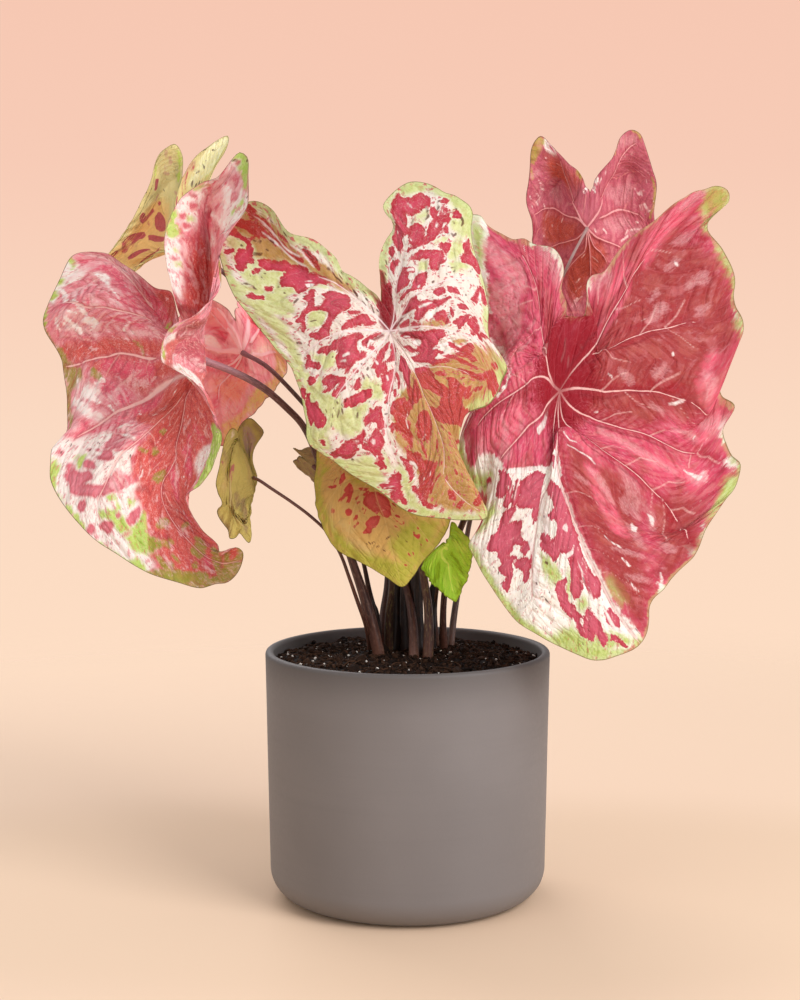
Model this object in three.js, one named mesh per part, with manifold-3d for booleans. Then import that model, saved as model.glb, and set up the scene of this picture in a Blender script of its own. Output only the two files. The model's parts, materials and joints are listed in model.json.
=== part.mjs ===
// Potted caladium: ten shield-shaped leaf blades on ten petioles that rise from a
// tuber in a pot of soil. Millimetres, +Z up. The origin is the centre of the pot's
// flat base, and the viewer's side of the plant is -Y.
import * as THREE from 'three';
import { mergeVertices } from 'three/addons/utils/BufferGeometryUtils.js';
import Module from 'manifold-3d';

// ---- driving dimensions -------------------------------------------------------
const POT_HEIGHT = 130.8;      // rim above the surface the pot stands on
const RIM_RADIUS = 75;         // outside radius at the rim
const BASE_RADIUS = 72.9;      // outside radius just above the rounded foot
const FOOT_ROUNDING = 15.5;    // radius of the rounding between wall and base
const WALL = 4.4;              // wall thickness
const FLOOR = 6;               // floor thickness
const SOIL_EDGE = 124.6;       // soil level at the wall
const SOIL_CROWN = 3.4;        // how much the soil rises in the middle
const FIT = 0.3;               // clearance between touching pieces
const BLADE_THICKNESS = 1.0;
const TUBER = { x: 2, y: 13, z: 103, rx: 30, ry: 31, rz: 15 };

// Blade outline on the flat leaf: petiole joint at (0,0), tip at (0,-1), half of it,
// from the sinus (the cleft) round the basal lobe to the tip.
const HALF_OUTLINE = [[0, 0.10], [0.035, 0.20], [0.10, 0.36], [0.20, 0.51], [0.32, 0.60],
  [0.43, 0.585], [0.53, 0.48], [0.595, 0.31], [0.62, 0.10], [0.60, -0.12], [0.54, -0.34],
  [0.44, -0.55], [0.30, -0.75], [0.15, -0.91], [0, -1.0]];

// Each blade: points [u, v, x, y, z] that carry a place on the flat leaf to its place
// in space, along the margin and along the main veins.
const BLADES = {
  right_front: { underside: false, control: [
    [0,0,76.9,-29.2,267.8], [0,0.1,84.8,-21.6,305], [-0.009,0.128,80.8,-21.6,305], [-0.026,0.177,80.3,-20.5,312.1], [-0.047,0.232,77.8,-18.6,319.6],
    [-0.062,0.274,79,-16.7,325.7], [-0.077,0.312,79.1,-14.8,331.4], [-0.094,0.348,77.2,-12.7,336.5], [-0.111,0.38,73.7,-10.9,340.1], [-0.128,0.41,69.2,-9.4,341.1],
    [-0.148,0.442,64.2,-7.7,342.2], [-0.17,0.473,59.7,-6,344.8], [-0.193,0.502,54.6,-4.7,344.4], [-0.224,0.534,49,-3.1,347], [-0.252,0.56,44.5,-2,349.6],
    [-0.282,0.581,40.4,-1.1,352.7], [-0.32,0.6,36.8,-0.4,357.3], [-0.343,0.605,32.1,-0.7,357.3], [-0.383,0.603,30,-2.6,349.6], [-0.442,0.577,30.9,-6.4,336.7],
    [-0.5,0.523,34.4,-11.2,321.3], [-0.539,0.463,36.9,-14.3,307.5], [-0.567,0.401,38.4,-15.6,294.3], [-0.586,0.345,44.1,-16.6,284.1], [-0.599,0.294,42.9,-19.3,274],
    [-0.608,0.242,37.7,-24,265], [-0.614,0.194,31.5,-28.2,258.1], [-0.618,0.148,27.3,-32.2,250.2], [-0.62,0.1,25.2,-35.8,241.4], [-0.618,0.03,26.2,-37.9,232.4],
    [-0.612,-0.041,29.7,-39.5,224], [-0.601,-0.114,34.6,-41.1,216.1], [-0.587,-0.182,39.6,-43,208.7], [-0.576,-0.225,38,-45,203.4], [-0.562,-0.277,34.4,-48,197.7],
    [-0.545,-0.326,29.9,-50.6,193], [-0.526,-0.377,32.3,-52.9,186.7], [-0.487,-0.462,38.2,-56.4,176.7], [-0.437,-0.556,45.5,-60.3,165.7], [-0.373,-0.653,54.6,-64.6,154.9],
    [-0.33,-0.712,62.4,-66.8,150.3], [-0.288,-0.765,69.7,-68.3,146.1], [-0.246,-0.814,77,-69.5,142.8], [-0.203,-0.861,84.2,-71.2,139.7], [-0.167,-0.895,90,-72,137.8],
    [-0.132,-0.925,96,-71.3,137.7], [-0.091,-0.959,102.5,-69.9,139.4], [-0.043,-0.99,109.5,-68.6,141.7], [0,-1,114.1,-67.3,144.9], [0.041,-0.99,117.4,-64.2,149.4],
    [0.087,-0.962,119.6,-57.6,155.8], [0.124,-0.932,120.8,-51.3,161.4], [0.152,-0.908,123.8,-47.2,165.3], [0.18,-0.883,128.2,-44,168.4], [0.211,-0.852,132.2,-40.5,172.9],
    [0.249,-0.811,138.3,-36,177.9], [0.29,-0.762,145.7,-30.2,183.3], [0.318,-0.727,149.4,-25.8,188.4], [0.355,-0.678,153.2,-20.1,196], [0.392,-0.626,158.6,-15.1,203.2],
    [0.425,-0.575,164.4,-10.4,210], [0.455,-0.524,170.2,-6.1,216.4], [0.476,-0.484,172.9,-2.4,222.4], [0.497,-0.442,174,1.8,228.8], [0.512,-0.409,170.8,4.6,232.3],
    [0.532,-0.362,168.1,8.4,238.9], [0.548,-0.319,166.3,10.8,245.1], [0.562,-0.275,169.2,12.5,251.3], [0.577,-0.222,172.5,14.4,258.6], [0.581,-0.21,171.5,14.9,260.2],
    [0.589,-0.174,166.9,15.7,262.8], [0.598,-0.132,164.8,16.8,268.5], [0.607,-0.076,164.4,17.9,277], [0.613,-0.031,166.1,16.5,283.3], [0.618,0.018,170.1,12.4,288.7],
    [0.62,0.066,174.1,8.7,294], [0.62,0.1,175.5,7.9,298.7], [0.618,0.149,175.1,9.6,304.4], [0.613,0.205,172.5,13.1,310.1], [0.606,0.258,171.9,16.6,316.4],
    [0.596,0.306,172.7,18.3,322.2], [0.571,0.39,169.9,18.8,332.2], [0.539,0.463,165.6,18.7,340.5], [0.509,0.511,161.3,18.7,345.8], [0.477,0.548,158.1,19,350.5],
    [0.443,0.577,159.1,22.2,355.8], [0.407,0.596,163.6,27.7,359.3], [0.361,0.606,168.8,34,363.3], [0.32,0.6,171.9,36.8,367.7], [0.3,0.592,171,34.8,371.8],
    [0.284,0.582,167,30.3,373.6], [0.266,0.57,161.7,24.2,373.7], [0.246,0.555,156.2,19.1,371.8], [0.226,0.537,150.6,16.6,370.6], [0.204,0.515,145,14.2,367.4],
    [0.184,0.491,139.6,12.2,364.2], [0.163,0.464,134.1,9.9,359.9], [0.143,0.434,128.6,7.2,355.1], [0.126,0.407,123.1,4.9,351.4], [0.11,0.379,117.7,2.6,347.7],
    [0.093,0.347,112.3,0.2,343], [0.072,0.299,105.8,-3,334.7], [0.056,0.258,100.5,-5.6,328], [0.046,0.23,94.7,-7.4,326.4], [0.038,0.208,91.9,-9.4,322.8],
    [0.021,0.163,91,-14.7,313.6], [0.008,0.123,89.6,-19.5,305.5], [0,-0.25,74.8,-44.4,248.9], [0,-0.5,78,-56.1,219], [0,-0.75,90.4,-63.5,186.1],
    [0,-0.9,105.1,-66.6,158.7], [0.131,-0.167,92,-31.4,244.6], [0.261,-0.335,118.1,-26.7,224.9], [0.37,-0.474,141.6,-19,195.9], [0.169,-0.082,96.6,-25.3,252.9],
    [0.337,-0.165,125.6,-14.3,243], [0.478,-0.233,152.7,-0.4,232.7], [0.185,0,100.1,-24.5,267.6], [0.4,0,131,-10.9,264.4], [0.542,0,159,2.2,256.1],
    [0.18,0.088,100.1,-22.3,288.3], [0.359,0.175,124.5,-9.9,297.3], [0.509,0.248,155.1,5.1,302.3], [0.121,0.179,93.7,-20.5,286.2], [0.222,0.329,112.8,-6.5,318.8],
    [0.302,0.448,126.2,7.4,339.7], [-0.113,-0.195,71.7,-47.4,234.2], [-0.225,-0.39,63.6,-59,200.4], [-0.319,-0.553,57.1,-64.2,168.3], [-0.161,-0.105,66.4,-43,249.9],
    [-0.322,-0.209,52.1,-50.9,225.5], [-0.456,-0.296,39.2,-52.7,203.7], [-0.184,-0.006,61.1,-38.2,271.1], [-0.368,-0.013,45.9,-41.9,262.3], [-0.522,-0.018,33,-40.6,248.7],
    [-0.178,0.095,63.9,-32.2,284.5], [-0.356,0.189,54.5,-29.9,288.4], [-0.117,0.18,70.1,-29.4,287.4], [-0.215,0.331,66.8,-24.1,308.5], [-0.313,0.481,57.2,-14,332.9] ] },
  centre: { underside: false, control: [
    [0,0,-9,-44.4,298.1], [0,0.1,-13.5,-38.9,312.9], [-0.008,0.123,-16,-37.7,315.9], [-0.016,0.147,-19.5,-36.6,318.4], [-0.028,0.182,-24,-35,322.4],
    [-0.04,0.213,-28.5,-33.6,325.4], [-0.051,0.243,-33,-32.4,327.9], [-0.064,0.277,-35.6,-30.9,333.4], [-0.081,0.321,-41.1,-29.2,339], [-0.105,0.368,-48.2,-27.7,344],
    [-0.123,0.401,-54.3,-26.7,345.5], [-0.14,0.429,-59.4,-25.5,347.1], [-0.157,0.456,-63,-23.4,351.2], [-0.185,0.493,-67.3,-19,357.9], [-0.211,0.522,-72.6,-14.6,362.1],
    [-0.234,0.544,-78,-11.1,363.9], [-0.258,0.564,-83.3,-7.9,363], [-0.285,0.583,-88.8,-3.6,361.2], [-0.32,0.6,-93.8,-0.5,356.8], [-0.383,0.604,-97.3,-2.4,350.6],
    [-0.442,0.578,-98,-5.8,343.3], [-0.508,0.513,-95.3,-13.8,332.9], [-0.554,0.434,-91.6,-21.8,323.1], [-0.585,0.348,-86.8,-26.3,314], [-0.604,0.268,-81,-29.4,307],
    [-0.615,0.184,-75.3,-32.1,299.5], [-0.62,0.1,-69.2,-34.9,292.5], [-0.618,0.021,-63,-38.7,285.6], [-0.611,-0.048,-57.8,-42.2,279.2], [-0.6,-0.12,-54.7,-45.1,271.4],
    [-0.582,-0.202,-52.1,-47.9,262.1], [-0.559,-0.285,-50.6,-50.4,252.3], [-0.541,-0.337,-50.5,-51.4,245.9], [-0.526,-0.376,-48.6,-51.9,241.5], [-0.508,-0.419,-44.1,-52.2,238.5],
    [-0.482,-0.472,-38.2,-52.5,235.1], [-0.446,-0.539,-31.2,-53.4,229.7], [-0.406,-0.604,-23.8,-54.7,224.8], [-0.365,-0.664,-16.4,-55.9,221], [-0.318,-0.727,-8.9,-57.1,215.6],
    [-0.28,-0.775,-3.5,-58.1,211.2], [-0.234,-0.828,3.9,-59.2,207.9], [-0.173,-0.889,13.7,-60.2,206.5], [-0.108,-0.945,23.5,-61.4,205.6], [-0.041,-0.99,32.8,-63,205.8],
    [0,-1,37.7,-63.3,206.3], [0.074,-0.971,38.2,-62.6,211.7], [0.151,-0.909,34.3,-61.4,217], [0.245,-0.816,29.5,-59.6,224.3], [0.33,-0.712,26,-57.5,232.5],
    [0.407,-0.603,24.6,-55.9,241.2], [0.47,-0.496,25.6,-55.1,249.6], [0.518,-0.395,28.5,-54.4,256.5], [0.539,-0.342,31.5,-54,258.9], [0.564,-0.27,36.5,-53.2,260.3],
    [0.584,-0.194,40.9,-52,263.2], [0.605,-0.091,45,-50.2,269.1], [0.618,0.027,48,-48.3,276.4], [0.62,0.1,48.5,-47,281.3], [0.619,0.123,46.6,-45.9,284.8],
    [0.618,0.152,43.2,-44.6,288.2], [0.615,0.184,40.7,-42.8,293.1], [0.61,0.227,39.8,-40.2,300.6], [0.603,0.273,40.4,-37.2,308.5], [0.596,0.307,39.5,-34.7,314.5],
    [0.582,0.357,37.2,-30.8,323], [0.567,0.402,35.3,-27.1,331], [0.545,0.453,32.9,-23,340.7], [0.515,0.503,32,-19.1,350.9], [0.493,0.531,33,-17,357],
    [0.476,0.549,31.5,-15.7,361.1], [0.457,0.567,28,-14.3,364.2], [0.432,0.584,23.5,-12.8,366.8], [0.409,0.596,18.9,-11.4,367.9], [0.383,0.604,14.9,-9.2,370.5],
    [0.354,0.606,10.3,-6.5,372.7], [0.32,0.6,4.2,-4.8,373.9], [0.278,0.579,-1.4,-5.9,372.8], [0.241,0.55,-6,-8.3,369.6], [0.207,0.517,-10.1,-11.5,365.3],
    [0.178,0.484,-12.6,-14.2,360.7], [0.156,0.453,-10.6,-16.2,356.5], [0.138,0.425,-8.1,-17.8,353.4], [0.122,0.4,-7.5,-19.4,349.8], [0.102,0.365,-10.1,-21.6,345.7],
    [0.078,0.313,-13.1,-25.1,339.6], [0.056,0.256,-14.5,-29,332.5], [0.035,0.2,-14,-32.7,325.4], [0.015,0.144,-13.5,-36.3,318.4], [0,-0.2,-3.5,-52.1,284.9],
    [0,-0.45,7.3,-59.2,263.6], [0,-0.7,20.5,-63,239.3], [0,-0.88,30.3,-63.7,220.7], [0.113,-0.195,2.4,-53.9,280.1], [0.225,-0.39,15.6,-58.3,263.5],
    [0.319,-0.553,23,-58,250.7], [0.167,-0.089,5.8,-53,286.9], [0.361,-0.192,23,-56,280.6], [0.489,-0.26,39.3,-54.3,275.7], [0.186,0.013,4.9,-50.6,300.1],
    [0.402,0.028,21.6,-51.5,301.1], [0.545,0.038,35.5,-48.8,297.7], [0.174,0.109,1.4,-45.2,314.9], [0.348,0.218,14.4,-41.8,322.8], [0.493,0.308,29.5,-35.4,326.4],
    [0.105,0.182,-5.5,-39.1,318.4], [0.192,0.333,-2.5,-30.6,337.4], [0.28,0.485,1.6,-18.5,356.9], [-0.113,-0.195,-6,-53.7,274.2], [-0.225,-0.39,-7.9,-58.2,248.8],
    [-0.319,-0.553,-3,-58.3,225.1], [-0.165,-0.095,-19.8,-52.3,283], [-0.329,-0.19,-32,-55.2,267.3], [-0.466,-0.269,-43.5,-54.1,250.5], [-0.186,0.016,-25.3,-48,296.7],
    [-0.372,0.033,-41.1,-46.8,292.2], [-0.527,0.046,-53.8,-42.3,284.7], [-0.171,0.119,-27.8,-43.4,310.9], [-0.341,0.239,-51.3,-38.5,313.4], [-0.483,0.338,-73.3,-30.7,313.5],
    [-0.105,0.182,-27.4,-37.4,314.4], [-0.21,0.363,-54.4,-25.5,330.1], [-0.297,0.515,-79.6,-10.9,350.7] ] },
  left_front: { underside: false, control: [
    [0,0,-105.7,-21.6,283.7], [0,0.1,-115.7,-4.5,295.2], [-0.024,0.17,-118.2,-3.6,304.4], [-0.042,0.219,-120.1,-0.6,311.1], [-0.063,0.275,-123.1,3.8,318.4],
    [-0.084,0.327,-130.6,5.6,320], [-0.111,0.38,-137,7.4,324.7], [-0.139,0.428,-142.9,8.9,329.3], [-0.174,0.478,-149.8,10.3,333.5], [-0.211,0.521,-156.2,11.7,337.7],
    [-0.243,0.552,-162.2,13.1,338.8], [-0.281,0.58,-168.8,14.8,338.9], [-0.32,0.6,-174.7,15.8,337.8], [-0.373,0.605,-178.5,15.9,334.2], [-0.448,0.573,-181.7,15.7,326.9],
    [-0.521,0.494,-186.5,15.3,317.5], [-0.557,0.426,-189.8,15.1,310.7], [-0.585,0.347,-192.1,15.4,302.8], [-0.6,0.287,-190.7,15.8,297], [-0.615,0.189,-186.2,16.4,288.6],
    [-0.62,0.1,-182.6,16.2,280.7], [-0.619,0.038,-180.9,14.7,271.8], [-0.613,-0.034,-179.5,11.5,261.4], [-0.603,-0.105,-178.4,7.3,251.1], [-0.595,-0.148,-178.7,2.6,245],
    [-0.586,-0.185,-180.9,-3,240.7], [-0.576,-0.227,-184.3,-8.2,236.4], [-0.562,-0.276,-184.7,-12,229.4], [-0.546,-0.324,-184.3,-15.1,222.4], [-0.528,-0.37,-181.3,-18.2,216],
    [-0.504,-0.428,-176,-22.4,208.6], [-0.464,-0.507,-167.1,-27.8,199.5], [-0.419,-0.584,-157.4,-32,191.2], [-0.379,-0.645,-148.4,-35.2,186], [-0.341,-0.697,-140.4,-38.3,181.3],
    [-0.296,-0.755,-130.9,-42.1,176.7], [-0.254,-0.805,-121.8,-46.2,174.3], [-0.212,-0.852,-112.8,-50.6,172.3], [-0.159,-0.902,-102.4,-55.1,171], [-0.119,-0.936,-95.1,-58.5,173.5],
    [-0.091,-0.959,-89.9,-61.5,174.4], [-0.053,-0.984,-84.5,-66,179], [0,-1,-80.4,-73.3,186.9], [0.044,-0.989,-80.2,-75.8,192.1], [0.072,-0.973,-83,-76.6,194.1],
    [0.105,-0.948,-87.5,-70,191.3], [0.14,-0.918,-92.9,-59.1,187.5], [0.175,-0.888,-93.8,-54.7,191.9], [0.209,-0.854,-97.7,-49.6,195.3], [0.249,-0.811,-103.3,-44,198.7],
    [0.294,-0.757,-108.9,-37.9,204.1], [0.332,-0.709,-112.2,-34.9,209.9], [0.357,-0.675,-113.2,-34.4,214.4], [0.381,-0.641,-109.6,-34.1,217.4], [0.406,-0.604,-105.1,-33.9,219.5],
    [0.437,-0.555,-101,-33.8,224.5], [0.472,-0.492,-97.4,-34.1,231.6], [0.507,-0.42,-94.8,-33.9,240.2], [0.532,-0.361,-94.8,-33.2,247.3], [0.552,-0.307,-96.8,-32.6,253.3],
    [0.566,-0.263,-99.1,-34.2,257.9], [0.579,-0.217,-100.4,-36.4,263], [0.591,-0.165,-103.1,-39.2,268.2], [0.601,-0.112,-106.7,-42.2,272.8], [0.61,-0.057,-111.4,-44.5,276.3],
    [0.616,-0,-116.7,-45.3,279.3], [0.619,0.043,-120.6,-45.9,281.8], [0.62,0.1,-122.3,-47.4,287.8], [0.619,0.134,-121.3,-46.8,293.7], [0.617,0.168,-118.4,-46.3,299.1],
    [0.614,0.199,-113.9,-45.9,302.6], [0.609,0.234,-108.1,-44.6,304.5], [0.605,0.263,-103.9,-42.1,307.5], [0.599,0.292,-100.6,-39,311.5], [0.594,0.315,-97.5,-35.8,314],
    [0.585,0.347,-94,-29.6,318.5], [0.574,0.382,-94,-23.6,325.1], [0.563,0.413,-94.8,-19.5,331.2], [0.545,0.452,-97.1,-16.3,338.9], [0.525,0.488,-95.8,-18.4,346.4],
    [0.507,0.514,-90.4,-22.2,349.2], [0.486,0.538,-86.1,-24.9,353.1], [0.455,0.568,-81.3,-27,359.5], [0.419,0.591,-79.7,-27.6,366.9], [0.364,0.606,-80.1,-21.4,377.7],
    [0.32,0.6,-81.5,-15.7,386.1], [0.3,0.592,-85.1,-14.3,388.3], [0.279,0.579,-88.8,-13.6,385.3], [0.247,0.555,-93.5,-12.3,379.4], [0.224,0.535,-97.8,-10.3,375.5],
    [0.203,0.513,-103.6,-8.8,374.1], [0.179,0.485,-109.5,-11.4,370.4], [0.155,0.453,-115.2,-15.7,365.6], [0.129,0.411,-119.3,-20.2,357.3], [0.103,0.365,-122,-23.5,347.7],
    [0.084,0.326,-122.6,-23.8,339.6], [0.061,0.271,-121.3,-23.3,328.6], [0.041,0.215,-119.1,-21.3,317.6], [0.023,0.167,-116.6,-17.2,308.5], [0.01,0.131,-115.7,-7.9,301.4],
    [0,-0.15,-110.7,-14.9,270.8], [0,-0.4,-119,-11.5,243.8], [0,-0.62,-122.2,-18.1,216.5], [0,-0.8,-110.6,-32.2,196.4], [0,-0.93,-92.3,-55.5,184],
    [-0.117,-0.188,-125,-12.1,258.3], [-0.235,-0.376,-141.4,-17.6,242.2], [-0.333,-0.533,-157.9,-26.6,212.1], [-0.167,-0.089,-128.8,-9.7,261.8], [-0.333,-0.177,-147.7,-8.4,254.5],
    [-0.472,-0.251,-167.6,-1.3,245.3], [-0.172,-0.006,-128.3,-3.6,283.3], [-0.368,-0.013,-150.2,4.7,285.7], [-0.522,-0.018,-170.3,12.4,282.4], [-0.18,0.084,-128.1,-4.3,297.2],
    [-0.361,0.168,-151.9,0.8,307.5], [-0.511,0.238,-176.7,9,309.6], [-0.117,0.18,-125.7,-1.9,300.8], [-0.234,0.361,-140.5,5.9,318.9], [-0.332,0.511,-156.8,11.3,333],
    [0.116,-0.249,-107.7,-19.8,261.8], [0.232,-0.497,-104.2,-26.6,232.6], [0.129,-0.101,-103.5,-24.4,276.2], [0.309,-0.241,-99.4,-30.7,263.3], [0.207,-0.056,-107.6,-32.8,282.5],
    [0.415,-0.111,-113.6,-42,280.7], [0.216,0.008,-109.5,-33.2,288.5], [0.432,0.015,-117.3,-43.3,288.7], [0.182,0.074,-106.2,-30.9,292], [0.425,0.172,-109.9,-42.1,300.6],
    [0.159,0.143,-103.3,-24.2,298.4], [0.372,0.335,-99.7,-33.2,309.5], [0.07,0.132,-106.2,-10,300.4], [0.134,0.252,-106.9,-1.9,321.4], [0.207,0.39,-105,2.6,347.2],
    [0.261,0.492,-102.5,0.2,363.5] ] },
  left_mid_back: { underside: true, control: [
    [0,0,-88.6,36.9,286.1], [0,0.1,-92,34.5,302.7], [-0.015,0.145,-94.3,36.1,304.9], [-0.038,0.208,-96.6,38.5,308.6], [-0.067,0.286,-101.2,41.2,311.8],
    [-0.1,0.361,-106.2,43.6,314], [-0.147,0.44,-112.5,46.4,314], [-0.211,0.522,-118.8,49.3,310.8], [-0.32,0.6,-125,50.7,304.3], [-0.511,0.508,-129.4,49.8,295.1],
    [-0.592,0.321,-129.4,48.9,285.8], [-0.62,0.1,-127.1,47.2,276.1], [-0.588,-0.18,-123.1,45,266.4], [-0.478,-0.48,-117.1,43,256.2], [-0.317,-0.728,-111,41.1,247],
    [-0.156,-0.905,-105.4,39.4,240.1], [0,-1,-100.5,37.9,235.3], [0.154,-0.906,-94.4,36.9,240.2], [0.281,-0.773,-89.4,35.7,246.2], [0.386,-0.634,-84.4,35.5,251.7],
    [0.467,-0.501,-80.1,36,256.5], [0.548,-0.317,-74.2,36.6,262.4], [0.603,-0.102,-68.8,37.3,269.9], [0.62,0.1,-65.1,40,277.4], [0.612,0.212,-66.7,40.9,286],
    [0.587,0.34,-71.1,41.8,295.2], [0.539,0.464,-75.9,42.7,304.3], [0.462,0.562,-81.3,43.4,312.4], [0.383,0.603,-85.1,44,318.3], [0.32,0.6,-88.9,44.3,321.5],
    [0.2,0.51,-91,43.3,317.2], [0.076,0.309,-91.3,39.5,309.7], [0,-0.4,-91.1,45.2,268], [0,-0.75,-96.5,43.8,249], [0.224,-0.267,-82.8,44.5,271.8],
    [0.296,-0.079,-76.8,45.4,280.5], [0.301,0.14,-80.2,48,297.8], [0.175,0.303,-87.8,48.6,303.2], [-0.224,-0.267,-101.1,47.7,269.6], [-0.211,-0.037,-102,47.8,285.9],
    [-0.422,-0.074,-115.9,51.2,289.1], [-0.301,0.14,-103.4,51.9,296.7], [-0.156,0.241,-97.8,50.5,297.8], [-0.293,0.451,-110.6,54.3,310.3] ] },
  left_back: { underside: true, control: [
    [0,0,-129.2,63.1,349.1], [0,0.1,-127.3,62.9,368.1], [-0.025,0.172,-125.7,62.9,371.9], [-0.064,0.279,-123.9,62.8,377.9], [-0.131,0.414,-123.3,62.7,386],
    [-0.201,0.511,-123.2,62.2,392.4], [-0.264,0.569,-124.7,61.9,396.7], [-0.32,0.6,-127.4,61.9,398.9], [-0.384,0.603,-132,63.2,396.8], [-0.444,0.576,-136.2,66.2,393.8],
    [-0.495,0.528,-138.8,69,389.2], [-0.547,0.448,-140.8,71.1,382.2], [-0.585,0.348,-143.9,73,374.7], [-0.609,0.238,-148.2,74.9,367.2], [-0.62,0.1,-153.6,77.4,357.9],
    [-0.596,-0.14,-160.2,80,348.7], [-0.529,-0.37,-167.4,82.3,339.9], [-0.411,-0.596,-175.2,84.4,330.5], [-0.245,-0.815,-183,86.4,319.9], [-0.1,-0.952,-188.4,87.6,312.1],
    [0,-1,-190.2,88.1,307], [0.09,-0.959,-184.5,87.5,307.6], [0.243,-0.818,-174.2,83.8,314.3], [0.387,-0.633,-163.2,78.6,322.6], [0.498,-0.44,-152.5,74.6,329.7],
    [0.556,-0.295,-145.4,71.6,335.1], [0.594,-0.149,-138.2,68.2,340], [0.612,-0.04,-131.7,64.7,340.4], [0.62,0.1,-123.5,60.2,340.3], [0.615,0.188,-115.5,57.3,345.1],
    [0.603,0.274,-111.4,55.4,353.1], [0.583,0.356,-110.6,53.8,361.7], [0.558,0.425,-110.4,53,369.2], [0.525,0.487,-108.7,53,376.1], [0.47,0.555,-104.9,53,384.2],
    [0.405,0.597,-101,53.3,391.2], [0.32,0.6,-97.2,53.9,399.2], [0.285,0.583,-97.2,54.3,402.5], [0.236,0.546,-102.2,54.8,400.9], [0.176,0.482,-108.3,55.7,396.7],
    [0.127,0.408,-114.4,57.2,392.6], [0.088,0.335,-119.1,59.2,387.3], [0.052,0.247,-123.2,61.1,380.5], [0.024,0.17,-125.5,62.2,374], [0,-0.3,-145.9,75.9,339.1],
    [0,-0.65,-168.1,85.1,324.3], [-0.274,-0.158,-144.5,78.9,350.3], [-0.305,0.111,-137.2,76,366.7], [-0.189,0.302,-129.7,69.5,377.2], [0.253,-0.212,-137.4,74.6,339.1],
    [0.31,0.055,-119.9,67.8,348.2], [0.14,0.242,-122.1,65.2,368.8], [0.262,0.454,-108.9,60.8,387.5] ] },
  right_back: { underside: true, control: [
    [0,0,98.7,63.5,353.5], [0,0.1,100.2,63.4,373], [-0.016,0.149,97.9,62.9,375.7], [-0.04,0.213,96.1,62.3,380], [-0.07,0.294,92.8,61.5,384.8],
    [-0.098,0.357,88.8,60.8,387.5], [-0.138,0.426,84.9,60.1,391.2], [-0.184,0.491,81,59.5,394.9], [-0.243,0.552,77.1,58.7,399.1], [-0.32,0.6,72.2,58.3,402.8],
    [-0.373,0.605,69,59,399.7], [-0.434,0.582,67.5,61.5,394.5], [-0.496,0.528,67.3,64.8,387.8], [-0.553,0.437,66.5,68.2,378.8], [-0.587,0.341,65.6,71.2,370.2],
    [-0.603,0.272,66.9,73.1,364.3], [-0.614,0.201,68.7,75,358.4], [-0.62,0.1,69.5,77.2,349.7], [-0.605,-0.092,72,79.9,336.5], [-0.549,-0.314,76.2,82.5,321],
    [-0.444,-0.544,82.7,85,304.2], [-0.286,-0.767,91.5,87.2,286.8], [-0.118,-0.937,101.4,89,272.6], [0,-1,109.4,89.3,266.9], [0.128,-0.928,116.7,89.1,274.9],
    [0.292,-0.76,124.8,87.4,289.6], [0.446,-0.539,131.7,85.5,307.6], [0.553,-0.302,136.2,82.9,325.4], [0.608,-0.072,137.7,79.1,342], [0.62,0.1,137.7,75.6,354],
    [0.614,0.2,136.6,72.4,362.6], [0.597,0.299,137.1,69.3,371.2], [0.574,0.383,136.8,67.3,378.7], [0.538,0.467,134.3,65.5,386.2], [0.485,0.54,131.7,63.4,393.6],
    [0.423,0.589,129,59.9,399.8], [0.37,0.605,126.5,57.5,403.8], [0.32,0.6,122.5,56.6,405.9], [0.27,0.573,118.7,56.7,404.8], [0.22,0.531,115.6,57.2,401.7],
    [0.167,0.469,114.1,58.1,396.4], [0.12,0.396,111.6,59.1,391.1], [0.082,0.322,107.9,60.1,386.9], [0.055,0.255,104.7,61.1,383.2], [0.034,0.196,102.7,61.9,379.4],
    [0.014,0.143,101.7,62.7,375.7], [0,-0.3,101.4,77.5,330.9], [0,-0.65,106,86.9,300.3], [0.224,-0.267,114.7,81.3,328.2], [0.296,-0.079,119.3,79,343.6],
    [0.215,0.07,111.8,73.7,363.3], [0.46,0.15,128.1,75.6,361.7], [0.222,0.173,110.4,72.6,378], [0.388,0.303,121.9,72.4,384.5], [0.122,0.212,106.1,67.6,370.6],
    [0.245,0.424,115.5,64.9,388.8], [-0.224,-0.267,86.7,81.3,329.8], [-0.296,-0.079,83.6,79.4,345.3], [-0.246,0.08,85.9,75.6,363.4], [-0.491,0.16,73.9,77.9,364],
    [-0.277,0.217,86.2,74.1,378.1], [-0.14,0.242,92.9,68,369], [-0.262,0.454,84.8,64.9,386.7] ] },
  small_hanging: { underside: false, control: [
    [0,0,-80.1,-9.6,221.9], [0,0.1,-85,-6.3,235.2], [-0.035,0.2,-87.2,-4.6,238.2], [-0.09,0.34,-88.3,-2.6,243.3], [-0.158,0.456,-87.4,-1.3,247.9],
    [-0.242,0.551,-84.8,-0.7,251.5], [-0.32,0.6,-81.6,-0.6,252.5], [-0.409,0.595,-78.1,0.1,249.4], [-0.488,0.537,-75,0.7,245.2], [-0.545,0.453,-77.6,-0.6,240.5],
    [-0.582,0.359,-80.1,-2.2,235.9], [-0.608,0.243,-80.6,-3.2,229.8], [-0.62,0.1,-78.4,-4.5,222.5], [-0.579,-0.215,-79.8,-7.8,214.5], [-0.462,-0.511,-81.1,-12.1,206.6],
    [-0.272,-0.783,-80.8,-16.2,198.2], [0,-1,-81.7,-19.8,189.3], [0.11,-0.944,-84.7,-20.3,192.4], [0.174,-0.889,-86.7,-20.3,194.5], [0.254,-0.805,-89.3,-20,191.4],
    [0.293,-0.759,-91.4,-19.6,191.3], [0.367,-0.662,-92.5,-18.3,195.3], [0.464,-0.508,-96.3,-16.4,200.3], [0.536,-0.35,-98.4,-15.2,205.8], [0.57,-0.25,-95.8,-15.4,208.5],
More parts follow.
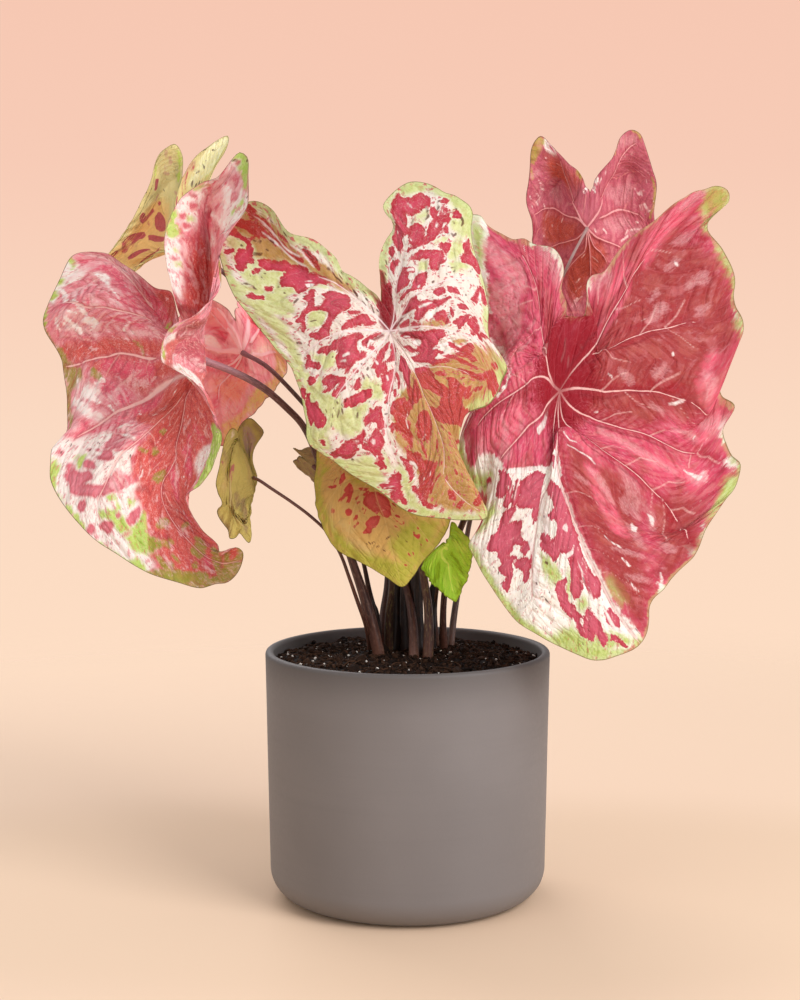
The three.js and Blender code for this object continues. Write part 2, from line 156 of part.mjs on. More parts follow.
    [0.607,-0.08,-97.6,-17,214.3], [0.62,0.1,-98.5,-17.7,220.6], [0.605,0.264,-97.1,-16.5,227.7], [0.55,0.442,-95.6,-14.3,235.8], [0.43,0.585,-93.8,-11.1,243.8],
    [0.32,0.6,-90.8,-9.1,247.8], [0.217,0.528,-88.3,-8.4,246.2], [0.084,0.327,-87.4,-7.3,240.5], [0,-0.4,-83.6,-12.7,210.8], [0,-0.75,-83.3,-17.8,198.9] ] },
  lower_front: { underside: false, control: [
    [0,0,-18.2,-31.3,225.8], [0,0.1,-20.2,-28.4,234.8], [-0.052,0.246,-23.3,-27.3,241.3], [-0.126,0.406,-29.4,-25.2,246.8], [-0.217,0.528,-36.6,-23.1,247.7],
    [-0.32,0.6,-42.4,-19.3,245.4], [-0.453,0.569,-46,-20,238.7], [-0.555,0.43,-47,-20.9,229.6], [-0.608,0.244,-47.9,-23.7,219.6], [-0.62,0.1,-47.3,-26.6,212.1],
    [-0.611,-0.045,-45.7,-29.1,205.2], [-0.579,-0.216,-42.6,-32.1,197.4], [-0.524,-0.38,-38.4,-34.8,190], [-0.452,-0.53,-31.8,-37.3,185.2], [-0.36,-0.671,-24.2,-39.5,182],
    [-0.244,-0.817,-16.1,-42,177.7], [-0.122,-0.934,-9,-44.5,173.5], [0,-1,-3,-45.8,170.1], [0.099,-0.953,0.5,-45,172.6], [0.279,-0.776,6.1,-41.8,180.2],
    [0.421,-0.582,12.1,-39.1,187], [0.526,-0.376,17.7,-36.4,193.8], [0.592,-0.159,21.3,-33.6,201.6], [0.62,0.1,21.9,-30.7,211.5], [0.603,0.272,19.4,-28.2,222.5],
    [0.555,0.432,14.8,-26.6,232.6], [0.46,0.564,8.2,-25.8,241.2], [0.32,0.6,-0.4,-25.3,246.3], [0.169,0.472,-8.1,-25.8,244.8], [0.073,0.302,-13.7,-26.9,239.7],
    [0,-0.4,-12.1,-39.9,204.8], [0,-0.75,-6.5,-44.4,183.6], [0.224,-0.267,-2,-37.7,209.2], [0.301,-0.053,2.1,-34.4,223], [-0.224,-0.267,-28.2,-37.3,205.6],
    [-0.301,-0.053,-34.4,-33.1,220.4], [-0.208,0.296,-29.4,-28.1,237.8], [0.208,0.296,-8,-31.2,237] ] },
  small_green: { underside: false, control: [
    [0,0,20.1,-23.1,186.6], [0,0.1,19.6,-21.8,189.5], [-0.035,0.2,17.1,-20.8,188.3], [-0.104,0.368,13.5,-19.9,185.1], [-0.188,0.496,10.4,-19.6,182.5],
    [-0.32,0.6,7.8,-19.8,178.9], [-0.557,0.426,8.3,-20.9,174.4], [-0.62,0.1,10.9,-22.6,170.5], [-0.547,-0.32,15,-25.6,166.7], [-0.327,-0.716,19.5,-29.4,163.2],
    [0,-1,24.5,-32.6,160.6], [0.214,-0.849,27.1,-30.6,164.9], [0.407,-0.603,29.8,-26.7,170], [0.559,-0.286,31.9,-22.9,176.2], [0.62,0.1,33.1,-19.3,183.5],
    [0.604,0.267,32.6,-17.8,188.5], [0.552,0.439,29.5,-16.4,193], [0.443,0.577,26,-15,197], [0.32,0.6,22.9,-13.8,199.5], [0.152,0.448,21.8,-15.1,195.5],
    [0.05,0.242,20.7,-18.5,191.7], [0,-0.4,21,-28.7,177.5], [0,-0.75,23,-31.7,167.6], [0.274,-0.158,26.7,-25.4,178.6], [-0.274,-0.158,14.4,-26.4,175.6],
    [0.272,0.228,25.8,-21.6,191] ] },
  small_furled: { underside: false, control: [
    [0,0,-49.4,9,227.2], [0,0.1,-55.7,10.4,231.3], [-0.083,0.324,-57.9,11.2,232.9], [-0.32,0.6,-60.5,11.9,236], [-0.474,0.551,-56.8,11.2,235],
    [-0.582,0.359,-52,9.9,236.7], [-0.62,0.1,-46.1,8.4,235.7], [-0.533,-0.358,-38.7,6.5,232.7], [-0.298,-0.753,-32.4,5.4,228], [0,-1,-28.2,4.6,222.8],
    [0.331,-0.71,-33.5,6,218.5], [0.55,-0.313,-39.9,8.9,215.6], [0.62,0.1,-46.4,12.2,215.3], [0.585,0.349,-52.3,15.3,219.8], [0.487,0.538,-57.1,15.5,224],
    [0.32,0.6,-60.8,15.2,228.3], [0.118,0.393,-58.5,13.6,230], [0,-0.5,-37.8,8.8,224.6] ] },
};
const PETIOLES = {
  right_front: { radius: [1.5, 1.8], path: [
    [19.6,17.7,128], [19,14,143.8], [19.9,10.6,160.5], [23.5,6.4,179.7], [28.6,3,196.1],
    [39.9,-1.7,220.2], [54.1,-6.7,241.5], [68.1,-12.2,257.3] ] },
  centre: { radius: [2, 1.7], path: [
    [10.6,-9.4,128], [11.1,-9.3,142.3], [10.6,-9.1,154.9], [8,-9.4,172.3], [4.8,-9.2,194.8],
    [0.7,-9.7,220.9], [-4,-12.9,249.6], [-7,-26.2,278.3] ] },
  left_front: { radius: [1.9, 1.8], path: [
    [-15.1,-0.5,128], [-19.2,-1.9,146.3], [-23.9,-2.3,162.3], [-28.1,-3.1,175.1], [-34.3,-4.2,194.2],
    [-42.9,-7.6,221.8], [-53.5,-12,248.5], [-62.1,-14.1,258.4], [-74.7,-16,269.3], [-89.7,-19.2,277.5] ] },
  left_mid_back: { radius: [1.9, 1.2], path: [
    [3.3,-9.4,128], [2.8,-0.1,143.4], [-0.3,8.6,160.7], [-7.7,18.8,183.5], [-22.8,27.7,212.3],
    [-44.3,30.8,244.4], [-61.9,28.8,265.4], [-75.5,26.1,278.9] ] },
  left_back: { radius: [2.3, 1.3], path: [
    [-12.7,30.2,128], [-12.7,32,143.6], [-10.5,36.7,160.5], [-11.1,41.9,183.5], [-22.1,48.1,215.9],
    [-41.3,53.3,248.5], [-69.8,55.5,292.3], [-95.6,52.7,324.9], [-114.2,50.1,339.4] ] },
  right_back: { radius: [1.4, 1.2], path: [
    [23.7,30.2,128], [25.1,32.8,140.8], [27,33,153.9], [30.2,34.7,170.7], [33,36.5,189.6],
    [41.7,41.2,227.4], [54.9,47.2,267.9], [70,48.6,303.2], [82.8,47.6,323.7], [89,45.9,337.2] ] },
  small_hanging: { radius: [1.2, 0.8], path: [
    [-19.5,11.5,128], [-21.8,-6.1,144.4], [-26.3,-13.7,158.7], [-30.3,-19.5,171.6], [-34.8,-23.3,184.5],
    [-40.9,-23.3,194.8], [-50.1,-21.4,203.4], [-60.5,-19.7,211], [-69.7,-19.1,217.1], [-76,-16.2,221] ] },
  lower_front: { radius: [1.7, 1.2], path: [
    [-9.9,11.5,128], [-9.8,5.3,147.9], [-8.2,-1.1,164.8], [-8.7,-6.2,184], [-9.7,-11.7,200.3],
    [-13.3,-17.4,213.3] ] },
  small_green: { radius: [1.4, 0.8], path: [
    [15.5,27.1,128], [14.8,21.3,147], [16.1,6.9,163.7], [18.4,-7.9,176.8] ] },
  small_furled: { radius: [1.5, 0.9], path: [
    [-16.7,23.9,128], [-17.5,22,144.1], [-20.6,19.5,159.2], [-23.2,15.8,173.2], [-26.8,11.2,187.1],
    [-32.4,5.7,203.7], [-39.1,1.9,216.2] ] },
};
// Mesh density of each blade: samples round the margin, rings from joint to margin.
const DENSITY = {
  right_front: [52, 4], centre: [52, 4], left_front: [60, 5],
  left_mid_back: [32, 3], left_back: [36, 3], right_back: [36, 3],
  small_hanging: [26, 3], lower_front: [26, 3], small_green: [24, 3], small_furled: [20, 3],
};

// Colours as the leaves show them on the side that faces out.
const BLADE_COLOR = {
  right_front: 0xd4596a, centre: 0xd98a86, left_front: 0xc8606a, left_mid_back: 0xbe6c6a,
  left_back: 0xbdb172, right_back: 0xb0525c, small_hanging: 0xa09a4a, lower_front: 0xc2a062,
  small_green: 0x86b63a, small_furled: 0x7d8032,
};

const wasm = await Module();
wasm.setup();

// A lathe turns about its own Y axis, which stands up as Z here.
function upright(geometry) {
  return geometry.rotateX(Math.PI / 2);
}

function toManifold(geometry) {
  const bare = new THREE.BufferGeometry();
  bare.setAttribute('position', geometry.getAttribute('position').clone());
  if (geometry.index) bare.setIndex(geometry.index.clone());
  const merged = mergeVertices(bare, 1e-4);
  return new wasm.Manifold(new wasm.Mesh({
    numProp: 3,
    vertProperties: new Float32Array(merged.getAttribute('position').array),
    triVerts: new Uint32Array(merged.index.array),
  }));
}

function fromManifold(solid) {
  const mesh = solid.getMesh();
  const geometry = new THREE.BufferGeometry();
  geometry.setAttribute('position', new THREE.BufferAttribute(new Float32Array(mesh.vertProperties), 3));
  geometry.setIndex(new THREE.BufferAttribute(new Uint32Array(mesh.triVerts), 1));
  geometry.computeVertexNormals();
  return geometry;
}

// ---- flat leaf outline ---------------------------------------------------------
function flatOutline() {
  const left = HALF_OUTLINE.map(([u, v]) => [-u, v]);
  const right = HALF_OUTLINE.slice(0, -1).reverse();
  const points = left.concat(right);
  const n = points.length;
  const dense = [];
  const steps = 24;
  for (let i = 0; i < n - 1; i++) {
    const p0 = points[Math.max(i - 1, 0)], p1 = points[i], p2 = points[i + 1], p3 = points[Math.min(i + 2, n - 1)];
    for (let k = 0; k < steps; k++) {
      const t = k / steps;
      dense.push([0, 1].map((c) => 0.5 * (2 * p1[c] + (p2[c] - p0[c]) * t
        + (2 * p0[c] - 5 * p1[c] + 4 * p2[c] - p3[c]) * t * t
        + (3 * p1[c] - p0[c] - 3 * p2[c] + p3[c]) * t * t * t)));
    }
  }
  dense.push(points[n - 1]);
  const length = [0];
  for (let i = 1; i < dense.length; i++) {
    length.push(length[i - 1] + Math.hypot(dense[i][0] - dense[i - 1][0], dense[i][1] - dense[i - 1][1]));
  }
  const total = length[length.length - 1];
  return (s) => {
    const want = s * total;
    let i = 1;
    while (i < length.length - 1 && length[i] < want) i++;
    const t = (want - length[i - 1]) / (length[i] - length[i - 1]);
    return [dense[i - 1][0] + (dense[i][0] - dense[i - 1][0]) * t, dense[i - 1][1] + (dense[i][1] - dense[i - 1][1]) * t];
  };
}
const outlineAt = flatOutline();

// ---- thin-plate surface through a blade's control points ------------------------
function solve(matrix, rhs) {
  const n = matrix.length;
  for (let c = 0; c < n; c++) {
    let pivot = c;
    for (let r = c + 1; r < n; r++) if (Math.abs(matrix[r][c]) > Math.abs(matrix[pivot][c])) pivot = r;
    [matrix[c], matrix[pivot]] = [matrix[pivot], matrix[c]];
    [rhs[c], rhs[pivot]] = [rhs[pivot], rhs[c]];
    for (let r = c + 1; r < n; r++) {
      const f = matrix[r][c] / matrix[c][c];
      if (f === 0) continue;
      for (let k = c; k < n; k++) matrix[r][k] -= f * matrix[c][k];
      for (let k = 0; k < 3; k++) rhs[r][k] -= f * rhs[c][k];
    }
  }
  for (let c = n - 1; c >= 0; c--) {
    for (let k = 0; k < 3; k++) {
      let sum = rhs[c][k];
      for (let j = c + 1; j < n; j++) sum -= matrix[c][j] * rhs[j][k];
      rhs[c][k] = sum / matrix[c][c];
    }
  }
  return rhs;
}
const kernel = (du, dv) => {
  const d2 = du * du + dv * dv;
  return d2 > 1e-18 ? 0.5 * d2 * Math.log(d2) : 0;
};
function thinPlate(control) {
  const n = control.length;
  const matrix = [], rhs = [];
  for (let i = 0; i < n; i++) {
    const row = control.map((c) => kernel(control[i][0] - c[0], control[i][1] - c[1]));
    row[i] += 1e-6;
    matrix.push(row.concat([1, control[i][0], control[i][1]]));
    rhs.push(control[i].slice(2));
  }
  matrix.push(control.map(() => 1).concat([0, 0, 0]));
  matrix.push(control.map((c) => c[0]).concat([0, 0, 0]));
  matrix.push(control.map((c) => c[1]).concat([0, 0, 0]));
  for (let i = 0; i < 3; i++) rhs.push([0, 0, 0]);
  const weights = solve(matrix, rhs);
  return (u, v) => {
    const out = [0, 1, 2].map((k) => weights[n][k] + weights[n + 1][k] * u + weights[n + 2][k] * v);
    for (let i = 0; i < n; i++) {
      const w = kernel(u - control[i][0], v - control[i][1]);
      for (let k = 0; k < 3; k++) out[k] += w * weights[i][k];
    }
    return new THREE.Vector3(...out);
  };
}
function surfaceNormal(surface, u, v) {
  const e = 0.004;
  const du = surface(u + e, v).sub(surface(u - e, v));
  const dv = surface(u, v + e).sub(surface(u, v - e));
  return du.cross(dv).normalize();
}

// ---- blade: a thin closed shell about its surface --------------------------------
function bladeGeometry(name) {
  const surface = thinPlate(BLADES[name].control);
  const [around, rings] = DENSITY[name];
  const flat = [[0, 0]];
  for (let r = 1; r <= rings; r++) {
    const t = Math.pow(r / rings, 0.85);
    for (let k = 0; k < around; k++) {
      const [u, v] = outlineAt(k / around);
      flat.push([u * t, v * t]);
    }
  }
  const half = BLADE_THICKNESS / 2;
  const position = [], index = [];
  const count = flat.length;
  for (const side of [1, -1]) {
    for (const [u, v] of flat) {
      const p = surface(u, v).addScaledVector(surfaceNormal(surface, u, v), side * half);
      position.push(p.x, p.y, p.z);
    }
  }
  // The outline runs counter-clockwise seen from the front of the flat leaf.
  const both = (a, b, c) => {
    index.push(a, b, c);
    index.push(a + count, c + count, b + count);
  };
  const at = (r, k) => 1 + (r - 1) * around + (k % around);
  for (let k = 0; k < around; k++) both(0, at(1, k), at(1, k + 1));
  for (let r = 1; r < rings; r++) {
    for (let k = 0; k < around; k++) {
      both(at(r, k), at(r + 1, k), at(r + 1, k + 1));
      both(at(r, k), at(r + 1, k + 1), at(r, k + 1));
    }
  }
  for (let k = 0; k < around; k++) {
    const a = at(rings, k), b = at(rings, k + 1);
    index.push(a, a + count, b + count);
    index.push(a, b + count, b);
  }
  const geometry = new THREE.BufferGeometry();
  geometry.setAttribute('position', new THREE.Float32BufferAttribute(position, 3));
  geometry.setIndex(index);
  geometry.computeVertexNormals();
  return { geometry, surface };
}

// ---- petiole: a tapering round stalk along a curve --------------------------------
function stalk(points, radiusAt, sides, steps) {
  const curve = new THREE.CatmullRomCurve3(points, false, 'centripetal');
  const frames = curve.computeFrenetFrames(steps, false);
  const position = [], index = [];
  for (let i = 0; i <= steps; i++) {
    const p = curve.getPointAt(i / steps);
    const r = radiusAt(i / steps);
    for (let k = 0; k < sides; k++) {
      const a = (2 * Math.PI * k) / sides;
      const q = p.clone().addScaledVector(frames.normals[i], r * Math.cos(a)).addScaledVector(frames.binormals[i], r * Math.sin(a));
      position.push(q.x, q.y, q.z);
    }
  }
  const at = (i, k) => i * sides + (k % sides);
  for (let i = 0; i < steps; i++) {
    for (let k = 0; k < sides; k++) {
      index.push(at(i, k), at(i, k + 1), at(i + 1, k + 1));
      index.push(at(i, k), at(i + 1, k + 1), at(i + 1, k));
    }
  }
  for (let k = 1; k < sides - 1; k++) {
    index.push(at(0, 0), at(0, k + 1), at(0, k));
    index.push(at(steps, 0), at(steps, k), at(steps, k + 1));
  }
  const geometry = new THREE.BufferGeometry();
  geometry.setAttribute('position', new THREE.Float32BufferAttribute(position, 3));
  geometry.setIndex(index);
  geometry.computeVertexNormals();
  return geometry;
}

function petiolePoints(name, surface) {
  const { path, radius } = PETIOLES[name];
  const points = path.map((p) => new THREE.Vector3(...p));
  // below the soil the stalk goes on to the top of the tuber
  const first = points[0], below = first.clone(), rise = points[1].z - first.z;
  below.x -= (points[1].x - first.x) * 7 / rise;
  below.y -= (points[1].y - first.y) * 7 / rise;
  const fall = Math.hypot((below.x - TUBER.x) / TUBER.rx, (below.y - TUBER.y) / TUBER.ry);
  below.z = TUBER.z + TUBER.rz * Math.sqrt(Math.max(0, 1 - fall * fall)) + 0.6 + radius[0] * fall;
  points.unshift(below);
  // above, it ends just under the joint, on the blade's lower side
  const joint = surface(0, 0);
  let lower = surfaceNormal(surface, 0, 0);
  if (!BLADES[name].underside) lower.negate();
  const last = points[points.length - 1];
  const along = joint.clone().sub(last).normalize();
  const tilt = Math.sqrt(Math.max(0, 1 - along.dot(lower) ** 2));
  points.push(joint.addScaledVector(lower, BLADE_THICKNESS / 2 + FIT + radius[1] * tilt + 0.25));
  return points;
}

const group = new THREE.Group();
function add(name, geometry, color, roughness, metalness = 0) {
  const mesh = new THREE.Mesh(geometry, new THREE.MeshStandardMaterial({ color, roughness, metalness }));
  mesh.name = name;
  group.add(mesh);
}

// ---- pot: round wall, rounded foot, flat base, rounded lip -------------------------
function potProfile() {
  const profile = [new THREE.Vector2(0, 0)];
  const slope = (RIM_RADIUS - BASE_RADIUS) / (POT_HEIGHT - FOOT_ROUNDING);
  for (let i = 0; i <= 5; i++) {
    const a = (i / 5) * Math.PI / 2;
    profile.push(new THREE.Vector2(BASE_RADIUS - FOOT_ROUNDING * (1 - Math.sin(a)), FOOT_ROUNDING * (1 - Math.cos(a))));
  }
  const lip = WALL / 2;
  const top = POT_HEIGHT - lip;
  for (let i = 0; i <= 4; i++) {
    const a = (i / 4) * Math.PI;
    profile.push(new THREE.Vector2(RIM_RADIUS - slope * lip - lip + lip * Math.cos(a), top + lip * Math.sin(a)));
  }
  const inner = FOOT_ROUNDING - WALL;
  const low = BASE_RADIUS - WALL;
  for (let i = 3; i >= 0; i--) {
    const a = (i / 3) * Math.PI / 2;
    profile.push(new THREE.Vector2(low - inner * (1 - Math.sin(a)), FLOOR + inner * (1 - Math.cos(a))));
  }
  profile.push(new THREE.Vector2(0, FLOOR));
  return profile;
}
add('pot', upright(new THREE.LatheGeometry(potProfile(), 56)), 0x8c847d, 0.62);

// ---- tuber: a lumpy flattened corm under the soil ----------------------------------
function tuberGeometry(grow) {
  const geometry = mergeVertices((() => {
    const g = new THREE.IcosahedronGeometry(1, 3);
    g.deleteAttribute('normal');
    g.deleteAttribute('uv');
    return g;
  })(), 1e-5);
  const p = geometry.getAttribute('position');
  for (let i = 0; i < p.count; i++) {
    const x = p.getX(i), y = p.getY(i), z = p.getZ(i);
    const lump = 1 - 0.05 * (1 - z) * (1 + Math.sin(5 * x + 2) * Math.sin(4 * y + 1)) * 0.5;
    p.setXYZ(i, TUBER.x + x * (TUBER.rx * lump + grow), TUBER.y + y * (TUBER.ry * lump + grow), TUBER.z + z * (TUBER.rz * lump + grow));
  }
  geometry.computeVertexNormals();
  return geometry;
}
add('tuber', tuberGeometry(0), 0x6b4a33, 0.85);

// ---- blades and petioles -----------------------------------------------------------
const cutters = [];
for (const name of Object.keys(BLADES)) {
  const { geometry, surface } = bladeGeometry(name);
  add('blade_' + name, geometry, BLADE_COLOR[name], 0.5);
  const points = petiolePoints(name, surface);
  const [r0, r1] = PETIOLES[name].radius;
  const taper = (grow) => (t) => r0 + (r1 - r0) * Math.min(1, t * 1.6) + grow;
  const steps = 9 + points.length;
  add('petiole_' + name, stalk(points, taper(0), 7, steps), 0x4a2f2a, 0.55);
  // its hole in the soil: a little wider, and open into the tuber's hollow below
  const deeper = points[0].clone().add(points[0].clone().sub(points[1]).setLength(3));
  cutters.push(toManifold(stalk([deeper, ...points.slice(0, 4)], () => r0 + FIT + 0.35, 7, 12)));
}

// ---- soil: fills the pot, with room for the tuber and the stalks --------------------
function soilProfile() {
  const slope = (RIM_RADIUS - BASE_RADIUS) / (POT_HEIGHT - FOOT_ROUNDING);
  const inner = FOOT_ROUNDING - WALL;
  const low = BASE_RADIUS - WALL;
  const profile = [new THREE.Vector2(0, FLOOR + FIT)];
  for (let i = 0; i <= 3; i++) {
    const a = (i / 3) * Math.PI / 2;
    profile.push(new THREE.Vector2(low - inner * (1 - Math.sin(a)) - FIT - 0.05, FLOOR + inner * (1 - Math.cos(a)) + FIT));
  }
  profile.push(new THREE.Vector2(low + slope * (SOIL_EDGE - FOOT_ROUNDING) - FIT - 0.35, SOIL_EDGE));
  for (const t of [0.8, 0.55, 0.3]) {
    profile.push(new THREE.Vector2(low * t, SOIL_EDGE + SOIL_CROWN * Math.pow(Math.cos(t * Math.PI / 2), 1.2)));
  }
  profile.push(new THREE.Vector2(0, SOIL_EDGE + SOIL_CROWN));
  return profile;
}
let soil = toManifold(upright(new THREE.LatheGeometry(soilProfile(), 48))).subtract(toManifold(tuberGeometry(FIT + 0.15)));
for (const cutter of cutters) soil = soil.subtract(cutter);
add('soil', fromManifold(soil), 0x241a14, 0.95);

export default group;
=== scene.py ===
import json
import math
import bpy
import numpy as np
from mathutils import Matrix, Vector
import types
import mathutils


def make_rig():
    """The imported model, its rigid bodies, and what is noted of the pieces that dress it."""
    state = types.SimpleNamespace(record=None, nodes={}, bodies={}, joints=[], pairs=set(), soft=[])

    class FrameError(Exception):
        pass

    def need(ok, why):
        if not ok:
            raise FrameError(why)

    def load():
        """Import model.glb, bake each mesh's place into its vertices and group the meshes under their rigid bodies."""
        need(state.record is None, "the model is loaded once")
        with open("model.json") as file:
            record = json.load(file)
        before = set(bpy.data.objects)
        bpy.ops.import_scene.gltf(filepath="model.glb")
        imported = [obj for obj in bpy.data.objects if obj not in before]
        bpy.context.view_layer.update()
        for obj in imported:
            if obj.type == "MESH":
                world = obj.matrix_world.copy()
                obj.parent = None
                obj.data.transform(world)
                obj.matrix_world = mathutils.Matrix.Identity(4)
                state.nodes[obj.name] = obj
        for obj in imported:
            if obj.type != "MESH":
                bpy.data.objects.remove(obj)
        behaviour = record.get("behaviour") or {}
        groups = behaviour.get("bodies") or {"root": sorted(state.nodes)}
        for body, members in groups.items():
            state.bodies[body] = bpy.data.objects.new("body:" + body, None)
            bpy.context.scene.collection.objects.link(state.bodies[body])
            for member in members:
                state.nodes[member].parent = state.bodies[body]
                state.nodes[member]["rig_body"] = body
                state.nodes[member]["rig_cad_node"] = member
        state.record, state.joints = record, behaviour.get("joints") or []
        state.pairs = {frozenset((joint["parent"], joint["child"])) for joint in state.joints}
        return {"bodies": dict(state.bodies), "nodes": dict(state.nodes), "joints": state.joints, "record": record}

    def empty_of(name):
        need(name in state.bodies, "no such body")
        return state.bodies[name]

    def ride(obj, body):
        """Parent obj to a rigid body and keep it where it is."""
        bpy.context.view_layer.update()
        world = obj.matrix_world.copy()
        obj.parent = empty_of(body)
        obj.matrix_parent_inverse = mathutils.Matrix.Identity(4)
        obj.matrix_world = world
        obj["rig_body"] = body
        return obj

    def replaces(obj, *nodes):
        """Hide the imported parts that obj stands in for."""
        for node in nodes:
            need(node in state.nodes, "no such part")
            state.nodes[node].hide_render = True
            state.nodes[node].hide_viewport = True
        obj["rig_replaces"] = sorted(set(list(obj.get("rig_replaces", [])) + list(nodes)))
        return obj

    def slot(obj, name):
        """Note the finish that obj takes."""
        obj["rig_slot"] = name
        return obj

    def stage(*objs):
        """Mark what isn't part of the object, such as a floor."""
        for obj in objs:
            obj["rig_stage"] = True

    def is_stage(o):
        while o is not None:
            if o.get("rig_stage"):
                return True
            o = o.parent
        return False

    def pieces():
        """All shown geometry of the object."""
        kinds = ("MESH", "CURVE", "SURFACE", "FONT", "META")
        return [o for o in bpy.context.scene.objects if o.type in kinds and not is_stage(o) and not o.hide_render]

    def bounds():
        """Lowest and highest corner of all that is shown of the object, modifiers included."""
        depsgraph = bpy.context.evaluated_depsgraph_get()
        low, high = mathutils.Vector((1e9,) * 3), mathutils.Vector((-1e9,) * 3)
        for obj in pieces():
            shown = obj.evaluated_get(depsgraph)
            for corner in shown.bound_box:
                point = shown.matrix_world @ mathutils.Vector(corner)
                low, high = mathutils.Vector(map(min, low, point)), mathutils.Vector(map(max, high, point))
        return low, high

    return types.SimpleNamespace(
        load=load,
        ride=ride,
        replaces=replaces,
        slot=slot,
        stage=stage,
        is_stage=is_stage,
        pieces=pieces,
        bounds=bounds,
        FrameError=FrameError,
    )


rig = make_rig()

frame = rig.load()
cad_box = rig.bounds()

